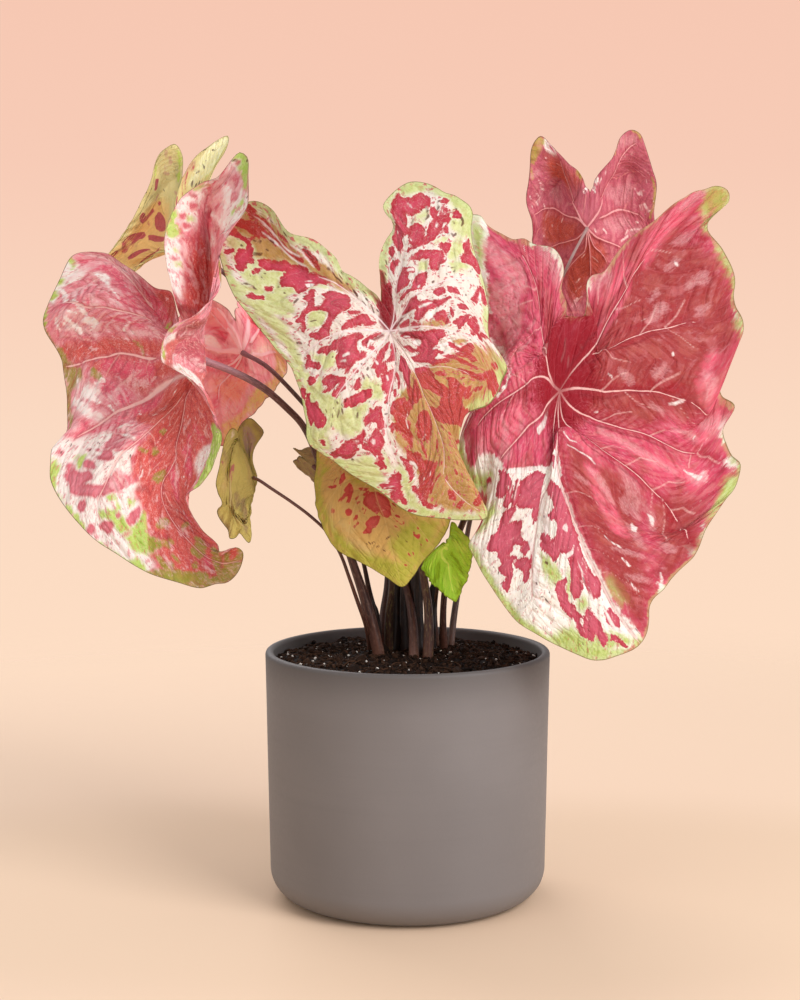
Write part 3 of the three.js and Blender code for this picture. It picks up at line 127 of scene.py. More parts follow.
# ---------------------------------------------------------------------------------
# Leaf data, in mm: points [u, v, x, y, z] that carry a place on the flat leaf (petiole
# joint at 0,0 and tip at 0,-1) to its place in space; and the route of each stalk.
# ---------------------------------------------------------------------------------
HALF_OUTLINE = [(0, 0.10), (0.035, 0.20), (0.10, 0.36), (0.20, 0.51), (0.32, 0.60),
    (0.43, 0.585), (0.53, 0.48), (0.595, 0.31), (0.62, 0.10), (0.60, -0.12), (0.54, -0.34),
    (0.44, -0.55), (0.30, -0.75), (0.15, -0.91), (0, -1.0)]
BLADES = {
 'right_front': dict(under=False, control=[
    [0,0,76.9,-29.2,267.8], [0,0.1,84.8,-21.6,305], [-0.009,0.128,80.8,-21.6,305], [-0.026,0.177,80.3,-20.5,312.1], [-0.047,0.232,77.8,-18.6,319.6],
    [-0.062,0.274,79,-16.7,325.7], [-0.077,0.312,79.1,-14.8,331.4], [-0.094,0.348,77.2,-12.7,336.5], [-0.111,0.38,73.7,-10.9,340.1], [-0.128,0.41,69.2,-9.4,341.1],
    [-0.148,0.442,64.2,-7.7,342.2], [-0.17,0.473,59.7,-6,344.8], [-0.193,0.502,54.6,-4.7,344.4], [-0.224,0.534,49,-3.1,347], [-0.252,0.56,44.5,-2,349.6],
    [-0.282,0.581,40.4,-1.1,352.7], [-0.32,0.6,36.8,-0.4,357.3], [-0.343,0.605,32.1,-0.7,357.3], [-0.383,0.603,30,-2.6,349.6], [-0.442,0.577,30.9,-6.4,336.7],
    [-0.5,0.523,34.4,-11.2,321.3], [-0.539,0.463,36.9,-14.3,307.5], [-0.567,0.401,38.4,-15.6,294.3], [-0.586,0.345,44.1,-16.6,284.1], [-0.599,0.294,42.9,-19.3,274],
    [-0.608,0.242,37.7,-24,265], [-0.614,0.194,31.5,-28.2,258.1], [-0.618,0.148,27.3,-32.2,250.2], [-0.62,0.1,25.2,-35.8,241.4], [-0.618,0.03,26.2,-37.9,232.4],
    [-0.612,-0.041,29.7,-39.5,224], [-0.601,-0.114,34.6,-41.1,216.1], [-0.587,-0.182,39.6,-43,208.7], [-0.576,-0.225,38,-45,203.4], [-0.562,-0.277,34.4,-48,197.7],
    [-0.545,-0.326,29.9,-50.6,193], [-0.526,-0.377,32.3,-52.9,186.7], [-0.487,-0.462,38.2,-56.4,176.7], [-0.437,-0.556,45.5,-60.3,165.7], [-0.373,-0.653,54.6,-64.6,154.9],
    [-0.33,-0.712,62.4,-66.8,150.3], [-0.288,-0.765,69.7,-68.3,146.1], [-0.246,-0.814,77,-69.5,142.8], [-0.203,-0.861,84.2,-71.2,139.7], [-0.167,-0.895,90,-72,137.8],
    [-0.132,-0.925,96,-71.3,137.7], [-0.091,-0.959,102.5,-69.9,139.4], [-0.043,-0.99,109.5,-68.6,141.7], [0,-1,114.1,-67.3,144.9], [0.041,-0.99,117.4,-64.2,149.4],
    [0.087,-0.962,119.6,-57.6,155.8], [0.124,-0.932,120.8,-51.3,161.4], [0.152,-0.908,123.8,-47.2,165.3], [0.18,-0.883,128.2,-44,168.4], [0.211,-0.852,132.2,-40.5,172.9],
    [0.249,-0.811,138.3,-36,177.9], [0.29,-0.762,145.7,-30.2,183.3], [0.318,-0.727,149.4,-25.8,188.4], [0.355,-0.678,153.2,-20.1,196], [0.392,-0.626,158.6,-15.1,203.2],
    [0.425,-0.575,164.4,-10.4,210], [0.455,-0.524,170.2,-6.1,216.4], [0.476,-0.484,172.9,-2.4,222.4], [0.497,-0.442,174,1.8,228.8], [0.512,-0.409,170.8,4.6,232.3],
    [0.532,-0.362,168.1,8.4,238.9], [0.548,-0.319,166.3,10.8,245.1], [0.562,-0.275,169.2,12.5,251.3], [0.577,-0.222,172.5,14.4,258.6], [0.581,-0.21,171.5,14.9,260.2],
    [0.589,-0.174,166.9,15.7,262.8], [0.598,-0.132,164.8,16.8,268.5], [0.607,-0.076,164.4,17.9,277], [0.613,-0.031,166.1,16.5,283.3], [0.618,0.018,170.1,12.4,288.7],
    [0.62,0.066,174.1,8.7,294], [0.62,0.1,175.5,7.9,298.7], [0.618,0.149,175.1,9.6,304.4], [0.613,0.205,172.5,13.1,310.1], [0.606,0.258,171.9,16.6,316.4],
    [0.596,0.306,172.7,18.3,322.2], [0.571,0.39,169.9,18.8,332.2], [0.539,0.463,165.6,18.7,340.5], [0.509,0.511,161.3,18.7,345.8], [0.477,0.548,158.1,19,350.5],
    [0.443,0.577,159.1,22.2,355.8], [0.407,0.596,163.6,27.7,359.3], [0.361,0.606,168.8,34,363.3], [0.32,0.6,171.9,36.8,367.7], [0.3,0.592,171,34.8,371.8],
    [0.284,0.582,167,30.3,373.6], [0.266,0.57,161.7,24.2,373.7], [0.246,0.555,156.2,19.1,371.8], [0.226,0.537,150.6,16.6,370.6], [0.204,0.515,145,14.2,367.4],
    [0.184,0.491,139.6,12.2,364.2], [0.163,0.464,134.1,9.9,359.9], [0.143,0.434,128.6,7.2,355.1], [0.126,0.407,123.1,4.9,351.4], [0.11,0.379,117.7,2.6,347.7],
    [0.093,0.347,112.3,0.2,343], [0.072,0.299,105.8,-3,334.7], [0.056,0.258,100.5,-5.6,328], [0.046,0.23,94.7,-7.4,326.4], [0.038,0.208,91.9,-9.4,322.8],
    [0.021,0.163,91,-14.7,313.6], [0.008,0.123,89.6,-19.5,305.5], [0,-0.25,74.8,-44.4,248.9], [0,-0.5,78,-56.1,219], [0,-0.75,90.4,-63.5,186.1],
    [0,-0.9,105.1,-66.6,158.7], [0.131,-0.167,92,-31.4,244.6], [0.261,-0.335,118.1,-26.7,224.9], [0.37,-0.474,141.6,-19,195.9], [0.169,-0.082,96.6,-25.3,252.9],
    [0.337,-0.165,125.6,-14.3,243], [0.478,-0.233,152.7,-0.4,232.7], [0.185,0,100.1,-24.5,267.6], [0.4,0,131,-10.9,264.4], [0.542,0,159,2.2,256.1],
    [0.18,0.088,100.1,-22.3,288.3], [0.359,0.175,124.5,-9.9,297.3], [0.509,0.248,155.1,5.1,302.3], [0.121,0.179,93.7,-20.5,286.2], [0.222,0.329,112.8,-6.5,318.8],
    [0.302,0.448,126.2,7.4,339.7], [-0.113,-0.195,71.7,-47.4,234.2], [-0.225,-0.39,63.6,-59,200.4], [-0.319,-0.553,57.1,-64.2,168.3], [-0.161,-0.105,66.4,-43,249.9],
    [-0.322,-0.209,52.1,-50.9,225.5], [-0.456,-0.296,39.2,-52.7,203.7], [-0.184,-0.006,61.1,-38.2,271.1], [-0.368,-0.013,45.9,-41.9,262.3], [-0.522,-0.018,33,-40.6,248.7],
    [-0.178,0.095,63.9,-32.2,284.5], [-0.356,0.189,54.5,-29.9,288.4], [-0.117,0.18,70.1,-29.4,287.4], [-0.215,0.331,66.8,-24.1,308.5], [-0.313,0.481,57.2,-14,332.9] ]),
 'centre': dict(under=False, control=[
    [0,0,-9,-44.4,298.1], [0,0.1,-13.5,-38.9,312.9], [-0.008,0.123,-16,-37.7,315.9], [-0.016,0.147,-19.5,-36.6,318.4], [-0.028,0.182,-24,-35,322.4],
    [-0.04,0.213,-28.5,-33.6,325.4], [-0.051,0.243,-33,-32.4,327.9], [-0.064,0.277,-35.6,-30.9,333.4], [-0.081,0.321,-41.1,-29.2,339], [-0.105,0.368,-48.2,-27.7,344],
    [-0.123,0.401,-54.3,-26.7,345.5], [-0.14,0.429,-59.4,-25.5,347.1], [-0.157,0.456,-63,-23.4,351.2], [-0.185,0.493,-67.3,-19,357.9], [-0.211,0.522,-72.6,-14.6,362.1],
    [-0.234,0.544,-78,-11.1,363.9], [-0.258,0.564,-83.3,-7.9,363], [-0.285,0.583,-88.8,-3.6,361.2], [-0.32,0.6,-93.8,-0.5,356.8], [-0.383,0.604,-97.3,-2.4,350.6],
    [-0.442,0.578,-98,-5.8,343.3], [-0.508,0.513,-95.3,-13.8,332.9], [-0.554,0.434,-91.6,-21.8,323.1], [-0.585,0.348,-86.8,-26.3,314], [-0.604,0.268,-81,-29.4,307],
    [-0.615,0.184,-75.3,-32.1,299.5], [-0.62,0.1,-69.2,-34.9,292.5], [-0.618,0.021,-63,-38.7,285.6], [-0.611,-0.048,-57.8,-42.2,279.2], [-0.6,-0.12,-54.7,-45.1,271.4],
    [-0.582,-0.202,-52.1,-47.9,262.1], [-0.559,-0.285,-50.6,-50.4,252.3], [-0.541,-0.337,-50.5,-51.4,245.9], [-0.526,-0.376,-48.6,-51.9,241.5], [-0.508,-0.419,-44.1,-52.2,238.5],
    [-0.482,-0.472,-38.2,-52.5,235.1], [-0.446,-0.539,-31.2,-53.4,229.7], [-0.406,-0.604,-23.8,-54.7,224.8], [-0.365,-0.664,-16.4,-55.9,221], [-0.318,-0.727,-8.9,-57.1,215.6],
    [-0.28,-0.775,-3.5,-58.1,211.2], [-0.234,-0.828,3.9,-59.2,207.9], [-0.173,-0.889,13.7,-60.2,206.5], [-0.108,-0.945,23.5,-61.4,205.6], [-0.041,-0.99,32.8,-63,205.8],
    [0,-1,37.7,-63.3,206.3], [0.074,-0.971,38.2,-62.6,211.7], [0.151,-0.909,34.3,-61.4,217], [0.245,-0.816,29.5,-59.6,224.3], [0.33,-0.712,26,-57.5,232.5],
    [0.407,-0.603,24.6,-55.9,241.2], [0.47,-0.496,25.6,-55.1,249.6], [0.518,-0.395,28.5,-54.4,256.5], [0.539,-0.342,31.5,-54,258.9], [0.564,-0.27,36.5,-53.2,260.3],
    [0.584,-0.194,40.9,-52,263.2], [0.605,-0.091,45,-50.2,269.1], [0.618,0.027,48,-48.3,276.4], [0.62,0.1,48.5,-47,281.3], [0.619,0.123,46.6,-45.9,284.8],
    [0.618,0.152,43.2,-44.6,288.2], [0.615,0.184,40.7,-42.8,293.1], [0.61,0.227,39.8,-40.2,300.6], [0.603,0.273,40.4,-37.2,308.5], [0.596,0.307,39.5,-34.7,314.5],
    [0.582,0.357,37.2,-30.8,323], [0.567,0.402,35.3,-27.1,331], [0.545,0.453,32.9,-23,340.7], [0.515,0.503,32,-19.1,350.9], [0.493,0.531,33,-17,357],
    [0.476,0.549,31.5,-15.7,361.1], [0.457,0.567,28,-14.3,364.2], [0.432,0.584,23.5,-12.8,366.8], [0.409,0.596,18.9,-11.4,367.9], [0.383,0.604,14.9,-9.2,370.5],
    [0.354,0.606,10.3,-6.5,372.7], [0.32,0.6,4.2,-4.8,373.9], [0.278,0.579,-1.4,-5.9,372.8], [0.241,0.55,-6,-8.3,369.6], [0.207,0.517,-10.1,-11.5,365.3],
    [0.178,0.484,-12.6,-14.2,360.7], [0.156,0.453,-10.6,-16.2,356.5], [0.138,0.425,-8.1,-17.8,353.4], [0.122,0.4,-7.5,-19.4,349.8], [0.102,0.365,-10.1,-21.6,345.7],
    [0.078,0.313,-13.1,-25.1,339.6], [0.056,0.256,-14.5,-29,332.5], [0.035,0.2,-14,-32.7,325.4], [0.015,0.144,-13.5,-36.3,318.4], [0,-0.2,-3.5,-52.1,284.9],
    [0,-0.45,7.3,-59.2,263.6], [0,-0.7,20.5,-63,239.3], [0,-0.88,30.3,-63.7,220.7], [0.113,-0.195,2.4,-53.9,280.1], [0.225,-0.39,15.6,-58.3,263.5],
    [0.319,-0.553,23,-58,250.7], [0.167,-0.089,5.8,-53,286.9], [0.361,-0.192,23,-56,280.6], [0.489,-0.26,39.3,-54.3,275.7], [0.186,0.013,4.9,-50.6,300.1],
    [0.402,0.028,21.6,-51.5,301.1], [0.545,0.038,35.5,-48.8,297.7], [0.174,0.109,1.4,-45.2,314.9], [0.348,0.218,14.4,-41.8,322.8], [0.493,0.308,29.5,-35.4,326.4],
    [0.105,0.182,-5.5,-39.1,318.4], [0.192,0.333,-2.5,-30.6,337.4], [0.28,0.485,1.6,-18.5,356.9], [-0.113,-0.195,-6,-53.7,274.2], [-0.225,-0.39,-7.9,-58.2,248.8],
    [-0.319,-0.553,-3,-58.3,225.1], [-0.165,-0.095,-19.8,-52.3,283], [-0.329,-0.19,-32,-55.2,267.3], [-0.466,-0.269,-43.5,-54.1,250.5], [-0.186,0.016,-25.3,-48,296.7],
    [-0.372,0.033,-41.1,-46.8,292.2], [-0.527,0.046,-53.8,-42.3,284.7], [-0.171,0.119,-27.8,-43.4,310.9], [-0.341,0.239,-51.3,-38.5,313.4], [-0.483,0.338,-73.3,-30.7,313.5],
    [-0.105,0.182,-27.4,-37.4,314.4], [-0.21,0.363,-54.4,-25.5,330.1], [-0.297,0.515,-79.6,-10.9,350.7] ]),
 'left_front': dict(under=False, control=[
    [0,0,-105.7,-21.6,283.7], [0,0.1,-115.7,-4.5,295.2], [-0.024,0.17,-118.2,-3.6,304.4], [-0.042,0.219,-120.1,-0.6,311.1], [-0.063,0.275,-123.1,3.8,318.4],
    [-0.084,0.327,-130.6,5.6,320], [-0.111,0.38,-137,7.4,324.7], [-0.139,0.428,-142.9,8.9,329.3], [-0.174,0.478,-149.8,10.3,333.5], [-0.211,0.521,-156.2,11.7,337.7],
    [-0.243,0.552,-162.2,13.1,338.8], [-0.281,0.58,-168.8,14.8,338.9], [-0.32,0.6,-174.7,15.8,337.8], [-0.373,0.605,-178.5,15.9,334.2], [-0.448,0.573,-181.7,15.7,326.9],
    [-0.521,0.494,-186.5,15.3,317.5], [-0.557,0.426,-189.8,15.1,310.7], [-0.585,0.347,-192.1,15.4,302.8], [-0.6,0.287,-190.7,15.8,297], [-0.615,0.189,-186.2,16.4,288.6],
    [-0.62,0.1,-182.6,16.2,280.7], [-0.619,0.038,-180.9,14.7,271.8], [-0.613,-0.034,-179.5,11.5,261.4], [-0.603,-0.105,-178.4,7.3,251.1], [-0.595,-0.148,-178.7,2.6,245],
    [-0.586,-0.185,-180.9,-3,240.7], [-0.576,-0.227,-184.3,-8.2,236.4], [-0.562,-0.276,-184.7,-12,229.4], [-0.546,-0.324,-184.3,-15.1,222.4], [-0.528,-0.37,-181.3,-18.2,216],
    [-0.504,-0.428,-176,-22.4,208.6], [-0.464,-0.507,-167.1,-27.8,199.5], [-0.419,-0.584,-157.4,-32,191.2], [-0.379,-0.645,-148.4,-35.2,186], [-0.341,-0.697,-140.4,-38.3,181.3],
    [-0.296,-0.755,-130.9,-42.1,176.7], [-0.254,-0.805,-121.8,-46.2,174.3], [-0.212,-0.852,-112.8,-50.6,172.3], [-0.159,-0.902,-102.4,-55.1,171], [-0.119,-0.936,-95.1,-58.5,173.5],
    [-0.091,-0.959,-89.9,-61.5,174.4], [-0.053,-0.984,-84.5,-66,179], [0,-1,-80.4,-73.3,186.9], [0.044,-0.989,-80.2,-75.8,192.1], [0.072,-0.973,-83,-76.6,194.1],
    [0.105,-0.948,-87.5,-70,191.3], [0.14,-0.918,-92.9,-59.1,187.5], [0.175,-0.888,-93.8,-54.7,191.9], [0.209,-0.854,-97.7,-49.6,195.3], [0.249,-0.811,-103.3,-44,198.7],
    [0.294,-0.757,-108.9,-37.9,204.1], [0.332,-0.709,-112.2,-34.9,209.9], [0.357,-0.675,-113.2,-34.4,214.4], [0.381,-0.641,-109.6,-34.1,217.4], [0.406,-0.604,-105.1,-33.9,219.5],
    [0.437,-0.555,-101,-33.8,224.5], [0.472,-0.492,-97.4,-34.1,231.6], [0.507,-0.42,-94.8,-33.9,240.2], [0.532,-0.361,-94.8,-33.2,247.3], [0.552,-0.307,-96.8,-32.6,253.3],
    [0.566,-0.263,-99.1,-34.2,257.9], [0.579,-0.217,-100.4,-36.4,263], [0.591,-0.165,-103.1,-39.2,268.2], [0.601,-0.112,-106.7,-42.2,272.8], [0.61,-0.057,-111.4,-44.5,276.3],
    [0.616,-0,-116.7,-45.3,279.3], [0.619,0.043,-120.6,-45.9,281.8], [0.62,0.1,-122.3,-47.4,287.8], [0.619,0.134,-121.3,-46.8,293.7], [0.617,0.168,-118.4,-46.3,299.1],
    [0.614,0.199,-113.9,-45.9,302.6], [0.609,0.234,-108.1,-44.6,304.5], [0.605,0.263,-103.9,-42.1,307.5], [0.599,0.292,-100.6,-39,311.5], [0.594,0.315,-97.5,-35.8,314],
    [0.585,0.347,-94,-29.6,318.5], [0.574,0.382,-94,-23.6,325.1], [0.563,0.413,-94.8,-19.5,331.2], [0.545,0.452,-97.1,-16.3,338.9], [0.525,0.488,-95.8,-18.4,346.4],
    [0.507,0.514,-90.4,-22.2,349.2], [0.486,0.538,-86.1,-24.9,353.1], [0.455,0.568,-81.3,-27,359.5], [0.419,0.591,-79.7,-27.6,366.9], [0.364,0.606,-80.1,-21.4,377.7],
    [0.32,0.6,-81.5,-15.7,386.1], [0.3,0.592,-85.1,-14.3,388.3], [0.279,0.579,-88.8,-13.6,385.3], [0.247,0.555,-93.5,-12.3,379.4], [0.224,0.535,-97.8,-10.3,375.5],
    [0.203,0.513,-103.6,-8.8,374.1], [0.179,0.485,-109.5,-11.4,370.4], [0.155,0.453,-115.2,-15.7,365.6], [0.129,0.411,-119.3,-20.2,357.3], [0.103,0.365,-122,-23.5,347.7],
    [0.084,0.326,-122.6,-23.8,339.6], [0.061,0.271,-121.3,-23.3,328.6], [0.041,0.215,-119.1,-21.3,317.6], [0.023,0.167,-116.6,-17.2,308.5], [0.01,0.131,-115.7,-7.9,301.4],
    [0,-0.15,-110.7,-14.9,270.8], [0,-0.4,-119,-11.5,243.8], [0,-0.62,-122.2,-18.1,216.5], [0,-0.8,-110.6,-32.2,196.4], [0,-0.93,-92.3,-55.5,184],
    [-0.117,-0.188,-125,-12.1,258.3], [-0.235,-0.376,-141.4,-17.6,242.2], [-0.333,-0.533,-157.9,-26.6,212.1], [-0.167,-0.089,-128.8,-9.7,261.8], [-0.333,-0.177,-147.7,-8.4,254.5],
    [-0.472,-0.251,-167.6,-1.3,245.3], [-0.172,-0.006,-128.3,-3.6,283.3], [-0.368,-0.013,-150.2,4.7,285.7], [-0.522,-0.018,-170.3,12.4,282.4], [-0.18,0.084,-128.1,-4.3,297.2],
    [-0.361,0.168,-151.9,0.8,307.5], [-0.511,0.238,-176.7,9,309.6], [-0.117,0.18,-125.7,-1.9,300.8], [-0.234,0.361,-140.5,5.9,318.9], [-0.332,0.511,-156.8,11.3,333],
    [0.116,-0.249,-107.7,-19.8,261.8], [0.232,-0.497,-104.2,-26.6,232.6], [0.129,-0.101,-103.5,-24.4,276.2], [0.309,-0.241,-99.4,-30.7,263.3], [0.207,-0.056,-107.6,-32.8,282.5],
    [0.415,-0.111,-113.6,-42,280.7], [0.216,0.008,-109.5,-33.2,288.5], [0.432,0.015,-117.3,-43.3,288.7], [0.182,0.074,-106.2,-30.9,292], [0.425,0.172,-109.9,-42.1,300.6],
    [0.159,0.143,-103.3,-24.2,298.4], [0.372,0.335,-99.7,-33.2,309.5], [0.07,0.132,-106.2,-10,300.4], [0.134,0.252,-106.9,-1.9,321.4], [0.207,0.39,-105,2.6,347.2],
    [0.261,0.492,-102.5,0.2,363.5] ]),
 'left_mid_back': dict(under=True, control=[
    [0,0,-88.6,36.9,286.1], [0,0.1,-92,34.5,302.7], [-0.015,0.145,-94.3,36.1,304.9], [-0.038,0.208,-96.6,38.5,308.6], [-0.067,0.286,-101.2,41.2,311.8],
    [-0.1,0.361,-106.2,43.6,314], [-0.147,0.44,-112.5,46.4,314], [-0.211,0.522,-118.8,49.3,310.8], [-0.32,0.6,-125,50.7,304.3], [-0.511,0.508,-129.4,49.8,295.1],
    [-0.592,0.321,-129.4,48.9,285.8], [-0.62,0.1,-127.1,47.2,276.1], [-0.588,-0.18,-123.1,45,266.4], [-0.478,-0.48,-117.1,43,256.2], [-0.317,-0.728,-111,41.1,247],
    [-0.156,-0.905,-105.4,39.4,240.1], [0,-1,-100.5,37.9,235.3], [0.154,-0.906,-94.4,36.9,240.2], [0.281,-0.773,-89.4,35.7,246.2], [0.386,-0.634,-84.4,35.5,251.7],
    [0.467,-0.501,-80.1,36,256.5], [0.548,-0.317,-74.2,36.6,262.4], [0.603,-0.102,-68.8,37.3,269.9], [0.62,0.1,-65.1,40,277.4], [0.612,0.212,-66.7,40.9,286],
    [0.587,0.34,-71.1,41.8,295.2], [0.539,0.464,-75.9,42.7,304.3], [0.462,0.562,-81.3,43.4,312.4], [0.383,0.603,-85.1,44,318.3], [0.32,0.6,-88.9,44.3,321.5],
    [0.2,0.51,-91,43.3,317.2], [0.076,0.309,-91.3,39.5,309.7], [0,-0.4,-91.1,45.2,268], [0,-0.75,-96.5,43.8,249], [0.224,-0.267,-82.8,44.5,271.8],
    [0.296,-0.079,-76.8,45.4,280.5], [0.301,0.14,-80.2,48,297.8], [0.175,0.303,-87.8,48.6,303.2], [-0.224,-0.267,-101.1,47.7,269.6], [-0.211,-0.037,-102,47.8,285.9],
    [-0.422,-0.074,-115.9,51.2,289.1], [-0.301,0.14,-103.4,51.9,296.7], [-0.156,0.241,-97.8,50.5,297.8], [-0.293,0.451,-110.6,54.3,310.3] ]),
 'left_back': dict(under=True, control=[
    [0,0,-129.2,63.1,349.1], [0,0.1,-127.3,62.9,368.1], [-0.025,0.172,-125.7,62.9,371.9], [-0.064,0.279,-123.9,62.8,377.9], [-0.131,0.414,-123.3,62.7,386],
    [-0.201,0.511,-123.2,62.2,392.4], [-0.264,0.569,-124.7,61.9,396.7], [-0.32,0.6,-127.4,61.9,398.9], [-0.384,0.603,-132,63.2,396.8], [-0.444,0.576,-136.2,66.2,393.8],
    [-0.495,0.528,-138.8,69,389.2], [-0.547,0.448,-140.8,71.1,382.2], [-0.585,0.348,-143.9,73,374.7], [-0.609,0.238,-148.2,74.9,367.2], [-0.62,0.1,-153.6,77.4,357.9],
    [-0.596,-0.14,-160.2,80,348.7], [-0.529,-0.37,-167.4,82.3,339.9], [-0.411,-0.596,-175.2,84.4,330.5], [-0.245,-0.815,-183,86.4,319.9], [-0.1,-0.952,-188.4,87.6,312.1],
    [0,-1,-190.2,88.1,307], [0.09,-0.959,-184.5,87.5,307.6], [0.243,-0.818,-174.2,83.8,314.3], [0.387,-0.633,-163.2,78.6,322.6], [0.498,-0.44,-152.5,74.6,329.7],
    [0.556,-0.295,-145.4,71.6,335.1], [0.594,-0.149,-138.2,68.2,340], [0.612,-0.04,-131.7,64.7,340.4], [0.62,0.1,-123.5,60.2,340.3], [0.615,0.188,-115.5,57.3,345.1],
    [0.603,0.274,-111.4,55.4,353.1], [0.583,0.356,-110.6,53.8,361.7], [0.558,0.425,-110.4,53,369.2], [0.525,0.487,-108.7,53,376.1], [0.47,0.555,-104.9,53,384.2],
    [0.405,0.597,-101,53.3,391.2], [0.32,0.6,-97.2,53.9,399.2], [0.285,0.583,-97.2,54.3,402.5], [0.236,0.546,-102.2,54.8,400.9], [0.176,0.482,-108.3,55.7,396.7],
    [0.127,0.408,-114.4,57.2,392.6], [0.088,0.335,-119.1,59.2,387.3], [0.052,0.247,-123.2,61.1,380.5], [0.024,0.17,-125.5,62.2,374], [0,-0.3,-145.9,75.9,339.1],
    [0,-0.65,-168.1,85.1,324.3], [-0.274,-0.158,-144.5,78.9,350.3], [-0.305,0.111,-137.2,76,366.7], [-0.189,0.302,-129.7,69.5,377.2], [0.253,-0.212,-137.4,74.6,339.1],
    [0.31,0.055,-119.9,67.8,348.2], [0.14,0.242,-122.1,65.2,368.8], [0.262,0.454,-108.9,60.8,387.5] ]),
 'right_back': dict(under=True, control=[
    [0,0,98.7,63.5,353.5], [0,0.1,100.2,63.4,373], [-0.016,0.149,97.9,62.9,375.7], [-0.04,0.213,96.1,62.3,380], [-0.07,0.294,92.8,61.5,384.8],
    [-0.098,0.357,88.8,60.8,387.5], [-0.138,0.426,84.9,60.1,391.2], [-0.184,0.491,81,59.5,394.9], [-0.243,0.552,77.1,58.7,399.1], [-0.32,0.6,72.2,58.3,402.8],
    [-0.373,0.605,69,59,399.7], [-0.434,0.582,67.5,61.5,394.5], [-0.496,0.528,67.3,64.8,387.8], [-0.553,0.437,66.5,68.2,378.8], [-0.587,0.341,65.6,71.2,370.2],
    [-0.603,0.272,66.9,73.1,364.3], [-0.614,0.201,68.7,75,358.4], [-0.62,0.1,69.5,77.2,349.7], [-0.605,-0.092,72,79.9,336.5], [-0.549,-0.314,76.2,82.5,321],
    [-0.444,-0.544,82.7,85,304.2], [-0.286,-0.767,91.5,87.2,286.8], [-0.118,-0.937,101.4,89,272.6], [0,-1,109.4,89.3,266.9], [0.128,-0.928,116.7,89.1,274.9],
    [0.292,-0.76,124.8,87.4,289.6], [0.446,-0.539,131.7,85.5,307.6], [0.553,-0.302,136.2,82.9,325.4], [0.608,-0.072,137.7,79.1,342], [0.62,0.1,137.7,75.6,354],
    [0.614,0.2,136.6,72.4,362.6], [0.597,0.299,137.1,69.3,371.2], [0.574,0.383,136.8,67.3,378.7], [0.538,0.467,134.3,65.5,386.2], [0.485,0.54,131.7,63.4,393.6],
    [0.423,0.589,129,59.9,399.8], [0.37,0.605,126.5,57.5,403.8], [0.32,0.6,122.5,56.6,405.9], [0.27,0.573,118.7,56.7,404.8], [0.22,0.531,115.6,57.2,401.7],
    [0.167,0.469,114.1,58.1,396.4], [0.12,0.396,111.6,59.1,391.1], [0.082,0.322,107.9,60.1,386.9], [0.055,0.255,104.7,61.1,383.2], [0.034,0.196,102.7,61.9,379.4],
    [0.014,0.143,101.7,62.7,375.7], [0,-0.3,101.4,77.5,330.9], [0,-0.65,106,86.9,300.3], [0.224,-0.267,114.7,81.3,328.2], [0.296,-0.079,119.3,79,343.6],
    [0.215,0.07,111.8,73.7,363.3], [0.46,0.15,128.1,75.6,361.7], [0.222,0.173,110.4,72.6,378], [0.388,0.303,121.9,72.4,384.5], [0.122,0.212,106.1,67.6,370.6],
    [0.245,0.424,115.5,64.9,388.8], [-0.224,-0.267,86.7,81.3,329.8], [-0.296,-0.079,83.6,79.4,345.3], [-0.246,0.08,85.9,75.6,363.4], [-0.491,0.16,73.9,77.9,364],
    [-0.277,0.217,86.2,74.1,378.1], [-0.14,0.242,92.9,68,369], [-0.262,0.454,84.8,64.9,386.7] ]),
 'small_hanging': dict(under=False, control=[
    [0,0,-80.1,-9.6,221.9], [0,0.1,-85,-6.3,235.2], [-0.035,0.2,-87.2,-4.6,238.2], [-0.09,0.34,-88.3,-2.6,243.3], [-0.158,0.456,-87.4,-1.3,247.9],
    [-0.242,0.551,-84.8,-0.7,251.5], [-0.32,0.6,-81.6,-0.6,252.5], [-0.409,0.595,-78.1,0.1,249.4], [-0.488,0.537,-75,0.7,245.2], [-0.545,0.453,-77.6,-0.6,240.5],
    [-0.582,0.359,-80.1,-2.2,235.9], [-0.608,0.243,-80.6,-3.2,229.8], [-0.62,0.1,-78.4,-4.5,222.5], [-0.579,-0.215,-79.8,-7.8,214.5], [-0.462,-0.511,-81.1,-12.1,206.6],
    [-0.272,-0.783,-80.8,-16.2,198.2], [0,-1,-81.7,-19.8,189.3], [0.11,-0.944,-84.7,-20.3,192.4], [0.174,-0.889,-86.7,-20.3,194.5], [0.254,-0.805,-89.3,-20,191.4],
    [0.293,-0.759,-91.4,-19.6,191.3], [0.367,-0.662,-92.5,-18.3,195.3], [0.464,-0.508,-96.3,-16.4,200.3], [0.536,-0.35,-98.4,-15.2,205.8], [0.57,-0.25,-95.8,-15.4,208.5],
    [0.607,-0.08,-97.6,-17,214.3], [0.62,0.1,-98.5,-17.7,220.6], [0.605,0.264,-97.1,-16.5,227.7], [0.55,0.442,-95.6,-14.3,235.8], [0.43,0.585,-93.8,-11.1,243.8],
    [0.32,0.6,-90.8,-9.1,247.8], [0.217,0.528,-88.3,-8.4,246.2], [0.084,0.327,-87.4,-7.3,240.5], [0,-0.4,-83.6,-12.7,210.8], [0,-0.75,-83.3,-17.8,198.9] ]),
 'lower_front': dict(under=False, control=[
    [0,0,-18.2,-31.3,225.8], [0,0.1,-20.2,-28.4,234.8], [-0.052,0.246,-23.3,-27.3,241.3], [-0.126,0.406,-29.4,-25.2,246.8], [-0.217,0.528,-36.6,-23.1,247.7],
    [-0.32,0.6,-42.4,-19.3,245.4], [-0.453,0.569,-46,-20,238.7], [-0.555,0.43,-47,-20.9,229.6], [-0.608,0.244,-47.9,-23.7,219.6], [-0.62,0.1,-47.3,-26.6,212.1],
